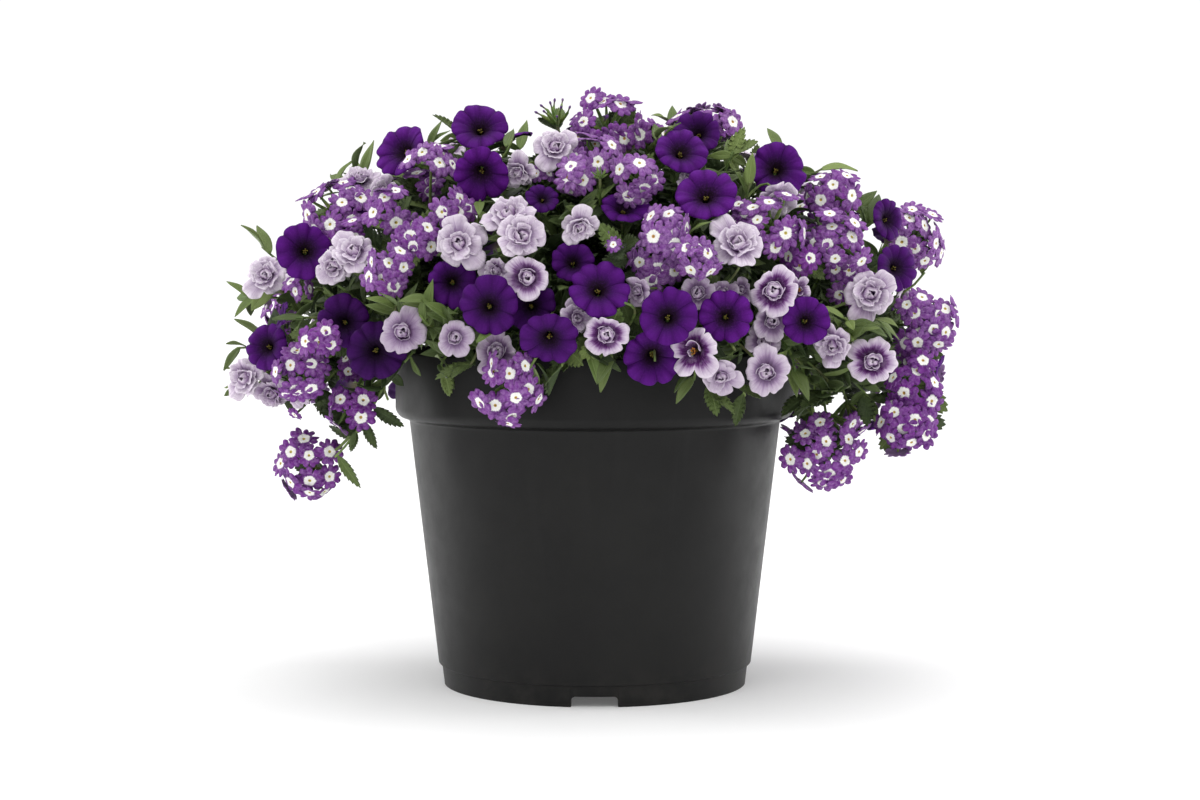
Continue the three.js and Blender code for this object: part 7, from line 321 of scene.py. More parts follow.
        [-1472,-41,2239,-97,-2,22,-18,-52,-83,243,129,1], [-1472,-41,2239,-95,-14,26,-21,-31,-93,179,86,1], [-1552,-80,2194,-60,-80,6,-71,49,-50,213,90,1], [-1552,-80,2194,-69,37,-63,-61,-76,22,198,86,1], [-1633,-120,2146,-97,7,23,-22,-60,-77,248,107,1], [-1633,-120,2146,-96,4,27,-25,-54,-80,227,118,1], [-1714,-156,2104,-79,36,-51,-53,-82,24,304,166,1], [-1714,-156,2104,-68,-69,25,-65,40,-65,228,99,1], [-1795,-185,2079,-40,-52,-75,-90,9,42,255,110,1], [-1795,-185,2079,-86,26,-43,-46,-75,47,234,112,1], [-1874,-201,2079,-75,-53,-40,-64,41,65,150,76,1], [-1540,82,2215,-83,-16,53,-53,48,-70,307,135,1], [-1540,82,2215,-98,2,19,-15,55,-82,214,113,1], [-1619,121,2167,-61,-43,-67,-67,73,15,221,103,1], [-1619,121,2167,-57,76,32,-70,-25,-67,264,128,1], [-1698,162,2115,-99,3,12,-8,57,-82,177,77,1], [-1698,162,2115,-90,-12,42,-42,51,-75,312,168,1], [-1778,200,2069,-48,86,17,-80,-35,-49,266,117,1], [-1778,200,2069,-62,-37,-69,-68,70,23,223,97,1], [-1858,231,2034,-51,0,-86,-82,32,48,278,145,1], [-1858,231,2034,-50,87,-1,-84,-49,-23,301,132,1], [-1937,251,2021,-76,-38,-52,-64,57,51,204,108,1], [-1937,251,2021,-58,75,-32,-81,-49,32,264,144,1], [-826,10,2228,-68,69,26,-37,-63,69,270,135,1], [-888,10,2275,-80,-60,4,-41,60,69,275,138,1], [-957,11,2309,-41,22,89,-91,-20,-37,202,101,1], [-1031,12,2331,-83,32,-46,-56,-33,76,235,118,1], [-1109,13,2338,-68,-63,36,-73,60,-33,244,122,1], [-1188,14,2331,-71,66,24,-69,-57,-45,235,117,1], [-1265,15,2309,-51,-39,-76,-83,46,32,268,134,1], [-743,8,2116,83,39,39,-45,8,89,251,116,1], [-776,9,2171,-68,55,48,47,-18,86,306,158,1], [-817,9,2219,4,91,41,-10,-40,91,257,131,1], [-864,10,2259,3,-87,49,-4,49,87,191,101,1], [-918,11,2292,30,-75,59,-35,48,80,307,163,1], [-976,11,2316,24,-95,19,29,25,92,283,142,1], [-1037,12,2332,23,-95,19,-41,8,91,270,126,1], [-1100,13,2338,65,-76,7,9,16,98,241,121,1], [-1164,14,2335,34,-94,5,-19,-1,98,277,136,1],
    ],
    "lilac_calibrachoa_spray_04": [
        [1148,-882,2318,87,-1,-50,34,-72,60,181,50,0], [1185,-898,2311,69,-20,69,57,-43,-70,152,54,0], [1224,-913,2301,35,-73,-59,90,10,42,219,67,0], [1265,-927,2288,87,35,-35,42,-90,13,177,63,0], [1307,-942,2272,68,-65,33,58,22,-78,229,76,0], [1349,-956,2254,87,-42,26,25,-8,-97,237,84,0], [1391,-971,2234,92,8,38,33,-66,-67,223,70,0], [1432,-987,2214,28,-95,-12,93,30,-21,154,47,0], [1471,-1005,2194,75,24,-61,47,-85,24,195,62,0], [1508,-1023,2175,67,-58,47,50,-12,-86,164,51,0], [1541,-1044,2157,90,-22,37,18,-59,-78,181,62,0], [1570,-1067,2141,97,-22,3,-18,-86,-48,217,59,0], [1595,-1093,2128,92,-22,33,3,-79,-61,218,63,0], [1614,-1122,2119,62,-6,-78,33,-88,33,173,58,0], [657,-521,2224,-7,-82,57,91,18,37,224,76,0], [707,-559,2270,95,-27,-18,4,-45,89,277,94,0], [763,-602,2306,38,-14,91,66,-65,-37,216,74,0], [824,-648,2331,29,-93,-22,81,12,57,240,82,0], [888,-696,2345,99,14,9,14,-99,6,192,65,0], [952,-745,2349,26,-78,57,84,-12,-54,213,72,0], [1016,-793,2341,51,-38,-77,61,-47,64,270,92,0], [587,-469,2112,72,44,54,-31,-49,81,249,102,0], [614,-489,2165,3,-93,36,15,36,92,211,80,0], [647,-514,2213,31,-89,35,-18,30,94,196,73,0], [686,-543,2253,6,-98,17,35,18,92,293,113,0], [729,-576,2286,-31,91,27,19,-22,96,287,100,0], [776,-612,2312,-96,-21,17,25,-42,88,272,113,0], [826,-650,2332,64,-74,18,13,34,93,304,109,0], [878,-689,2344,75,61,26,8,-47,88,216,75,0],
    ],
    "violet_calibrachoa_spray_03": [
        [468,-1199,2244,23,-65,73,-11,-76,-64,219,61,0], [467,-1238,2253,56,-63,54,-59,-76,-28,151,52,0], [462,-1278,2263,60,-80,-3,-71,-55,45,174,58,0], [456,-1321,2275,-47,-55,69,48,-82,-32,205,71,0], [448,-1365,2287,-16,-86,-48,13,-50,86,192,56,0], [440,-1410,2300,48,-47,74,-43,-86,-27,147,50,0], [432,-1456,2314,56,-78,28,-82,-56,9,182,56,0], [425,-1502,2327,73,-68,8,-67,-68,31,230,83,0], [421,-1548,2340,-16,-49,86,21,-87,-45,190,59,0], [419,-1593,2353,52,-77,-35,-39,-59,71,107,40,0], [381,-1096,2238,12,-65,75,-8,-76,-64,211,67,0], [376,-1137,2236,40,-73,56,-44,-69,-58,177,57,0], [370,-1181,2232,59,-75,31,-67,-66,-34,178,52,0], [364,-1227,2227,-54,-82,18,77,-57,-27,210,64,0], [357,-1274,2220,26,-77,-59,-33,-64,69,179,48,0], [351,-1323,2212,9,-78,62,-11,-62,-78,160,54,0], [344,-1371,2204,63,-75,21,-69,-66,-29,207,67,0], [339,-1418,2196,73,-65,-19,-64,-76,12,212,59,0], [335,-1464,2189,-53,-65,54,45,-76,-47,147,52,0], [490,-1195,2293,73,25,63,27,-96,7,199,55,0], [519,-1222,2308,-22,-92,33,97,-17,16,194,71,0], [550,-1247,2322,88,-37,-29,-1,-63,78,168,59,0], [581,-1272,2334,29,-12,95,60,-75,-28,171,58,0], [613,-1296,2346,12,-92,-37,74,-16,65,179,54,0], [643,-1321,2357,-9,-95,28,99,-7,9,156,54,0], [672,-1347,2366,6,-87,49,96,-8,-26,201,71,0], [698,-1375,2373,53,-76,-38,23,-30,92,235,66,0], [720,-1405,2378,-19,-96,-21,86,-26,43,147,56,0], [738,-1440,2382,-29,-76,-58,63,-61,48,243,74,0], [751,-1479,2383,63,-59,50,-34,-79,-51,107,37,0], [646,-1215,2298,46,-59,66,87,19,-45,213,70,0], [695,-1216,2308,83,-29,-48,45,-16,88,216,71,0], [745,-1216,2318,67,-71,-21,64,42,64,229,70,0], [797,-1214,2327,69,-70,20,69,71,11,186,65,0], [850,-1212,2336,53,-53,66,84,25,-48,171,49,0], [902,-1210,2344,59,-10,80,76,-28,-59,162,46,0], [953,-1209,2351,83,-44,-33,45,19,87,223,82,0], [1002,-1209,2358,81,57,14,56,-82,12,220,74,0], [1048,-1211,2363,59,-67,45,81,45,-38,191,60,0], [1090,-1216,2366,72,-6,-69,61,-41,68,227,66,0], [1128,-1225,2368,73,11,67,54,-71,-46,195,66,0], [1160,-1237,2369,38,-78,50,86,11,-49,130,46,0], [1186,-1254,2368,86,-9,-50,21,-84,51,192,67,0], [1205,-1277,2365,78,-34,53,2,-83,-56,192,55,0], [1216,-1305,2359,53,-53,67,4,-77,-64,169,57,0], [251,-640,2133,-42,-83,38,91,-40,12,276,94,0], [312,-793,2174,28,-49,83,24,-80,-56,269,92,0], [344,-875,2187,-22,-92,-33,76,-38,54,228,78,0], [376,-956,2198,91,-39,12,-40,-91,8,203,69,0], [406,-1032,2212,-25,-73,63,75,-56,-35,260,88,0], [433,-1100,2230,37,-81,-46,13,-45,88,252,86,0], [235,-598,2113,-94,-8,34,31,27,91,198,72,0], [256,-653,2138,-84,-46,29,-20,76,62,212,79,0], [280,-713,2157,-54,75,39,44,-15,88,231,92,0], [306,-778,2171,-50,-83,25,6,25,97,233,80,0], [332,-844,2182,-69,69,22,50,23,83,278,115,0], [358,-911,2192,-82,30,49,52,4,85,243,88,0], [384,-976,2202,-80,-51,32,5,48,88,276,105,0], [408,-1037,2213,56,69,46,-24,-39,89,216,80,0], [430,-1092,2228,95,-26,14,-19,-20,96,309,116,0], [435,-1083,2228,3,-99,14,15,14,98,283,113,0], [386,-990,2216,49,84,21,-5,-22,98,294,121,0], [386,-1031,2232,-78,-46,42,44,8,89,224,81,0], [382,-1085,2237,-84,40,36,27,-26,93,229,87,0], [408,-1054,2228,4,-97,22,-46,18,87,297,124,0],
    ],
    "violet_calibrachoa_spray_04": [
        [-1482,-847,2410,-91,-42,-7,-23,35,91,171,53,0], [-1519,-838,2442,-16,-24,96,-97,19,-12,186,63,0], [-1554,-829,2475,-79,61,-3,-40,-49,78,206,72,0], [-1588,-818,2508,-27,-35,90,-91,41,-11,167,56,0], [-1619,-809,2541,-92,-31,24,5,53,85,164,55,0], [-1648,-800,2573,-97,-9,21,20,13,97,186,68,0], [-1674,-794,2604,-27,-45,85,-87,49,-2,178,54,0], [-1697,-792,2634,-66,63,40,-36,-74,57,207,69,0], [-1716,-794,2662,-100,-9,3,5,-24,97,124,44,0], [-1731,-801,2688,4,12,99,-80,-59,11,197,65,0], [-1742,-816,2711,-85,-45,29,47,-35,81,181,55,0], [-1463,-785,2249,-60,-24,76,-80,17,-58,151,50,0], [-1512,-772,2239,-85,-50,16,-52,78,-34,226,62,0], [-1562,-757,2229,-73,-63,-26,-68,72,15,171,59,0], [-1611,-743,2218,-60,43,68,-80,-22,-56,155,54,0], [-1660,-729,2207,-82,-31,48,-57,43,-70,162,49,0], [-1707,-716,2196,-88,-45,14,-47,78,-41,157,54,0], [-1752,-706,2186,-72,-64,-26,-68,71,15,200,60,0], [-1793,-700,2177,-74,-30,-61,-68,31,67,181,61,0], [-1831,-698,2170,-64,11,76,-76,-23,-60,173,54,0], [-1864,-701,2165,-75,52,-42,-65,-71,28,200,69,0], [-1892,-711,2163,-83,-9,55,-40,-59,-70,156,45,0], [-1915,-728,2164,-74,-17,65,-33,-75,-57,208,66,0], [-1930,-752,2168,-92,-8,38,4,-99,-9,140,58,0], [-1334,-835,2256,-94,32,-13,-34,-89,29,197,58,0], [-1371,-848,2258,-60,-80,1,-78,58,22,238,77,0], [-1410,-861,2262,-66,21,72,-64,-65,-41,177,56,0], [-1450,-873,2266,-84,-10,-54,-46,-42,79,181,51,0], [-1492,-885,2271,-54,-76,36,-84,49,-23,181,60,0], [-1535,-896,2278,-79,56,24,-57,-82,4,230,83,0], [-1579,-906,2286,-48,-85,23,-87,50,3,153,52,0], [-1624,-915,2296,-51,-22,83,-81,-18,-55,180,61,0], [-1670,-924,2307,-73,40,-55,-68,-50,53,205,71,0], [-1717,-931,2320,-56,-82,4,-76,54,35,222,68,0], [-1267,-783,2257,-31,-91,-27,-85,14,52,225,78,0], [-1305,-805,2268,-51,-36,78,-69,-38,-62,217,69,0], [-1341,-830,2279,-85,-25,-47,-29,-53,80,177,52,0], [-1375,-857,2290,-19,-93,32,-98,20,1,154,53,0], [-1406,-886,2302,-78,-1,63,-23,-93,-29,156,46,0], [-1433,-917,2313,-51,-69,-52,-45,-31,84,218,64,0], [-1454,-949,2322,-17,-62,77,-73,-45,-52,189,52,0], [-1471,-984,2330,-88,-47,9,47,-85,24,200,71,0], [-1481,-1021,2335,-77,-38,51,24,-92,-31,183,64,0], [-1245,-829,2244,-85,-23,-48,-3,-88,48,150,45,0], [-1260,-868,2242,-92,-27,28,21,-95,-23,181,67,0], [-1271,-910,2238,-78,-31,54,7,-91,-42,183,65,0], [-1279,-955,2233,-32,-44,-84,-26,-81,53,215,67,0], [-1284,-1001,2227,15,-89,43,-72,-40,-57,206,75,0], [-1288,-1047,2219,-12,-50,-86,-31,-81,51,155,55,0], [-1289,-1093,2209,51,-62,-60,-64,-73,22,176,53,0], [-1290,-1135,2197,-75,-65,-6,65,-73,-21,130,54,0], [-733,-486,2163,-96,23,14,-18,-93,31,244,83,0], [-872,-571,2198,-56,-19,80,-63,-53,-57,243,83,0], [-1023,-663,2217,-22,-93,30,-97,18,-17,228,78,0], [-1098,-708,2225,-89,19,41,-32,-91,-27,221,75,0], [-1169,-752,2235,-54,-65,-54,-66,-7,75,242,82,0], [-1236,-792,2248,-33,-50,80,-85,-21,-49,274,93,0], [-1930,-754,2168,-14,31,94,-19,-94,28,287,115,0], [-652,-437,2119,25,-95,19,-48,5,87,195,79,0], [-698,-465,2147,57,64,51,-28,-43,86,272,100,0], [-749,-496,2168,0,-98,18,26,18,95,255,101,0], [-804,-529,2185,31,-93,20,28,29,92,265,93,0], [-862,-565,2197,30,77,57,-40,-44,81,212,73,0], [-923,-602,2206,48,-86,19,8,26,96,284,119,0], [-985,-639,2213,-65,-72,24,30,4,95,228,81,0],
    ],
    "lilac_calibrachoa_spray_05": [
        [1103,-1054,2314,86,-23,-46,46,-4,89,172,52,0], [1151,-1050,2330,68,-58,-44,66,22,72,196,69,0], [1200,-1044,2347,71,-68,19,62,73,29,231,63,0], [1250,-1036,2364,50,-46,73,86,36,-36,203,64,0], [1299,-1029,2381,36,-42,84,93,21,-29,159,46,0], [1348,-1022,2398,85,-49,-21,44,42,79,227,76,0], [1394,-1016,2414,81,-31,-49,54,9,84,166,66,0], [916,-1064,2300,-12,-96,27,92,-1,39,193,52,0], [936,-1095,2325,91,-41,9,-35,-65,68,181,49,0], [955,-1126,2351,19,-32,93,53,-76,-37,203,68,0], [972,-1158,2377,58,-76,-30,9,-30,95,196,64,0], [989,-1191,2403,84,-16,52,-28,-94,17,162,46,0], [1003,-1225,2429,-25,-94,24,88,-12,46,202,66,0], [1015,-1259,2453,87,-47,17,-48,-68,55,183,50,0], [1026,-1294,2475,27,-13,95,23,-95,-19,198,54,0], [1034,-1330,2494,87,-49,-10,-33,-71,62,139,43,0], [1040,-1367,2510,25,-26,93,15,-94,-30,191,55,0], [1043,-1404,2522,-30,-55,78,58,-76,-31,172,58,0], [1053,-1067,2261,40,-73,56,89,17,-41,222,75,0], [1104,-1081,2266,73,-40,-55,53,-17,83,161,48,0], [1156,-1094,2270,74,27,62,57,-74,-35,222,82,0], [1207,-1108,2273,33,-94,6,94,33,10,165,56,0], [1257,-1121,2275,56,-69,45,80,32,-51,203,59,0], [1305,-1135,2277,65,-41,63,64,-14,-75,218,78,0], [1348,-1149,2277,57,-66,-49,71,10,70,225,62,0], [1387,-1165,2277,92,32,23,35,-93,-14,196,56,0], [1420,-1182,2275,29,-86,41,91,10,-41,160,55,0], [1445,-1200,2272,65,-23,-72,42,-68,60,156,55,0], [1462,-1221,2268,18,-79,58,65,-34,-68,183,53,0], [1470,-1245,2262,77,-61,21,-47,-75,-48,168,52,0], [1467,-1271,2255,48,-79,37,-47,-59,-65,242,79,0], [853,-967,2257,65,4,76,27,-94,-19,204,58,0], [882,-997,2275,-17,-99,0,88,-15,45,206,67,0], [910,-1028,2295,92,-39,-9,-19,-64,74,212,72,0], [936,-1059,2314,11,-48,87,75,-53,-38,182,50,0], [961,-1092,2332,64,-69,-34,13,-34,93,197,57,0], [984,-1125,2348,83,-1,55,1,-100,-3,176,48,0], [1003,-1159,2361,-34,-67,66,84,-53,-10,217,73,0], [1018,-1194,2371,61,-74,-30,-11,-45,88,183,60,0], [1030,-1231,2377,16,-59,79,37,-71,-60,184,63,0], [1036,-1268,2378,67,-48,-56,-17,-84,52,116,42,0], [887,-1006,2293,62,-74,-27,23,-16,96,213,71,0], [912,-1031,2321,54,-2,84,27,-94,-19,188,51,0], [936,-1055,2349,-5,-98,18,82,6,56,214,68,0], [960,-1080,2378,95,-21,24,-31,-75,59,189,55,0], [984,-1105,2407,-20,-17,97,78,-62,5,211,65,0], [1007,-1131,2435,42,-91,-4,39,13,91,239,83,0], [1030,-1158,2461,77,18,61,11,-98,15,223,62,0], [1053,-1185,2485,-12,-84,53,99,-8,10,193,55,0], [1075,-1214,2504,84,-53,-14,-16,-49,86,195,60,0], [1096,-1244,2520,-34,-87,37,94,-30,15,218,74,0], [1117,-1276,2530,-13,-98,-16,86,-19,47,152,44,0], [812,-916,2218,95,-26,-18,-11,-80,59,225,70,0], [843,-947,2227,22,-39,89,68,-59,-43,197,57,0], [874,-979,2235,34,-87,-34,64,-5,77,212,70,0], [904,-1012,2242,96,-10,25,-10,-100,-1,173,48,0], [930,-1046,2248,-3,-89,45,95,-17,-27,180,61,0], [953,-1081,2252,69,-62,-36,-6,-55,83,166,48,0], [972,-1117,2254,44,-61,66,21,-64,-73,201,57,0], [985,-1154,2254,90,-22,38,-16,-97,-20,149,47,0], [991,-1192,2251,78,-60,17,-56,-80,-22,198,66,0], [527,-605,2132,-12,-91,39,99,-8,11,246,84,0], [635,-728,2172,45,-36,82,47,-69,-56,276,94,0], [750,-860,2196,99,-6,8,-7,-99,11,264,90,0], [804,-922,2209,2,-77,64,88,-29,-37,218,74,0], [853,-978,2227,59,-65,-48,30,-37,88,199,68,0], [495,-568,2110,-67,59,45,29,-34,89,284,114,0], [533,-611,2135,-67,-65,36,-1,49,87,288,117,0], [575,-660,2154,-51,-80,30,7,31,95,277,107,0], [620,-711,2168,12,-93,36,-41,28,87,215,90,0], [667,-765,2180,11,94,31,-24,-28,93,201,69,0], [714,-819,2189,-2,-97,24,26,22,94,225,90,0], [760,-871,2198,92,10,37,-38,8,92,249,89,0], [755,-865,2204,53,-78,34,-39,14,91,203,72,0], [722,-827,2192,-72,64,25,-4,-40,92,198,80,0], [764,-871,2205,33,-90,30,-9,28,95,267,95,0],
    ],
    "lilac_calibrachoa_spray_06": [
        [-266,-1352,2420,30,-17,94,-76,-63,13,112,37,0], [-287,-1368,2461,15,-26,95,-83,-56,-3,191,69,0], [-332,-1396,2546,-22,35,91,-33,-90,27,107,38,0], [-354,-1409,2590,23,-73,64,-89,11,44,231,74,0], [-376,-1423,2633,-35,-84,42,-14,49,86,121,38,0], [-395,-1436,2675,37,-68,63,-88,-4,47,219,70,0], [-411,-1451,2714,-82,-48,31,47,-28,84,182,51,0], [-424,-1467,2749,61,-33,72,-76,-49,43,117,44,0], [-432,-1485,2780,-76,-33,55,62,-63,47,132,45,0], [-435,-1506,2806,-57,-82,-9,32,-32,89,213,59,0], [-227,-1169,2348,-59,-80,6,27,-13,96,219,76,0], [-245,-1195,2380,32,-69,65,-95,-27,17,170,59,0], [-263,-1221,2412,14,-93,33,-80,9,60,145,52,0], [-282,-1248,2445,32,-88,35,-85,-10,52,182,55,0], [-300,-1276,2476,3,-12,99,-49,-87,-9,197,58,0], [-318,-1305,2507,35,-57,74,-88,-48,4,156,51,0], [-334,-1336,2535,7,-15,99,-46,-88,-11,166,53,0], [-349,-1368,2560,-58,-24,78,23,-96,-12,212,58,0], [-369,-1438,2597,1,-52,85,-31,-81,-49,198,72,0], [-129,-1301,2285,91,-29,30,-31,-95,3,210,77,0], [-109,-1342,2291,-33,-82,46,83,-49,-27,204,67,0], [-87,-1383,2296,59,-57,-57,-7,-74,67,235,84,0], [-64,-1421,2300,43,-41,80,8,-87,-48,222,70,0], [-41,-1459,2303,-30,-91,-27,80,-40,46,147,51,0], [-19,-1495,2305,-43,-88,-20,82,-47,31,166,60,0], [2,-1529,2306,0,-93,-35,65,-27,71,121,38,0], [22,-1562,2305,11,-78,-62,38,-54,75,234,69,0], [39,-1594,2304,81,-53,27,-47,-85,-26,174,56,0], [62,-1654,2297,74,-52,43,-36,-85,-39,151,51,0], [-272,-1114,2219,-1,-100,10,-98,-1,-18,188,54,0], [-306,-1141,2210,-89,-2,46,-18,-90,-39,173,57,0], [-342,-1168,2199,-9,-99,14,-95,4,-32,140,48,0], [-377,-1195,2188,-53,-76,38,-40,-18,-90,171,49,0], [-412,-1223,2177,-2,-99,10,-96,-1,-26,207,72,0], [-446,-1252,2166,2,-100,2,-99,-2,-16,157,58,0], [-476,-1282,2157,-79,-49,37,15,-73,-66,160,47,0], [-503,-1315,2151,12,-93,-33,-91,-24,33,154,45,0], [-525,-1349,2147,31,-91,28,-90,-38,-23,160,45,0], [-541,-1386,2147,-71,-61,35,50,-79,-37,218,80,0], [-367,-1306,2287,-54,-73,-42,-62,1,78,207,59,0], [-413,-1321,2287,-55,-53,64,-64,-22,-73,204,67,0], [-461,-1334,2287,-26,-96,-10,-94,23,23,146,40,0], [-510,-1347,2286,-51,-79,34,-83,35,-44,227,76,0], [-558,-1360,2284,-41,-45,79,-77,-30,-57,212,57,0], [-605,-1373,2283,-55,-58,60,-68,-11,-72,190,63,0], [-649,-1387,2281,-37,-64,67,-80,-14,-58,215,75,0], [-690,-1403,2279,-81,-1,58,-34,-81,-48,177,63,0], [-726,-1421,2278,-49,-49,-72,-58,-43,69,146,40,0], [-756,-1441,2276,-10,-76,64,-81,-31,-49,186,62,0], [-779,-1465,2275,-93,-26,27,21,-95,-22,178,58,0], [-794,-1493,2274,-11,-73,68,-46,-57,-69,203,57,0], [-800,-1525,2274,-28,-64,71,5,-75,-66,238,84,0], [-265,-1235,2367,-34,-94,7,-29,17,94,143,40,0], [-290,-1249,2404,16,-33,93,-91,-41,1,189,55,0], [-316,-1261,2443,13,-65,75,-98,4,21,199,60,0], [-344,-1272,2483,16,-65,74,-97,3,23,231,68,0], [-371,-1284,2523,-86,-44,27,40,-23,89,154,53,0], [-399,-1298,2560,-81,-57,14,23,-10,97,167,46,0], [-425,-1313,2594,21,-54,81,-97,-23,9,149,54,0], [-451,-1330,2624,3,-93,36,-84,17,52,179,61,0], [-474,-1352,2647,-6,-98,-16,-58,-10,81,159,58,0], [-494,-1378,2663,-19,-51,84,-50,-68,-53,215,63,0], [-510,-1409,2671,-24,-66,72,-32,-65,-69,188,57,0], [-182,-1109,2280,23,-40,88,-35,-88,-31,213,69,0], [-184,-1146,2295,-53,-84,-14,52,-45,73,157,48,0], [-186,-1184,2309,60,-80,9,-75,-52,41,175,62,0], [-186,-1222,2323,-44,-47,77,39,-87,-31,156,44,0], [-185,-1261,2336,7,-88,-47,-8,-47,88,224,73,0], [-182,-1301,2347,47,-43,77,-37,-89,-27,146,47,0], [-178,-1341,2357,-26,-81,-53,27,-59,76,191,53,0], [-171,-1382,2366,61,-71,-37,-42,-68,60,151,46,0], [-163,-1425,2372,1,-58,82,13,-81,-57,223,70,0], [-153,-1468,2376,-38,-77,-51,48,-63,60,201,56,0], [-141,-1513,2377,54,-50,68,-25,-87,-43,148,53,0], [-122,-706,2152,-80,-51,33,59,-77,23,274,93,0], [-134,-782,2179,34,-89,-30,-56,-44,70,185,63,0], [-147,-864,2199,-8,-52,85,-14,-84,-53,211,72,0],
        [-174,-1034,2230,59,-78,21,-80,-59,4,211,72,0], [-187,-1115,2247,-64,-49,59,41,-87,-28,265,90,0], [-199,-1189,2267,-3,-89,-45,-19,-44,88,199,68,0], [-113,-653,2124,16,-96,23,-33,17,93,224,90,0], [-122,-708,2153,40,85,33,-23,-26,94,267,95,0], [-132,-769,2175,88,-18,45,-46,-2,89,280,107,0], [-142,-835,2193,-50,-84,21,33,5,94,272,109,0], [-153,-903,2207,-76,-59,27,31,4,95,253,101,0], [-164,-973,2220,95,12,30,-32,20,93,303,127,0], [-175,-1041,2232,-86,12,50,39,-48,79,265,95,0], [-186,-1107,2245,-89,-24,38,38,4,92,233,87,0], [-178,-1056,2245,86,29,42,-33,-33,89,233,95,0], [-190,-1099,2276,98,-6,21,-15,50,86,264,99,0], [-211,-1141,2317,-13,82,56,24,-52,82,301,105,0], [-180,-1116,2254,-32,93,18,13,-15,98,197,68,0], [-175,-1007,2228,10,-98,17,11,18,98,253,95,0], [-207,-1053,2231,60,60,53,-22,-51,83,280,114,0], [-251,-1096,2224,69,-57,44,-38,24,90,193,76,0], [-302,-1138,2211,51,81,29,-17,-23,96,276,109,0], [-195,-1152,2265,29,-93,24,-2,24,97,200,79,0], [-163,-964,2221,-72,-53,44,34,29,90,225,78,0], [-172,-1021,2244,11,87,48,5,-48,87,309,118,0], [-179,-1079,2268,85,-48,22,-29,-8,96,226,80,0], [-184,-1137,2291,59,59,56,-10,-63,77,271,101,0],
    ],
    "lilac_calibrachoa_spray_07": [
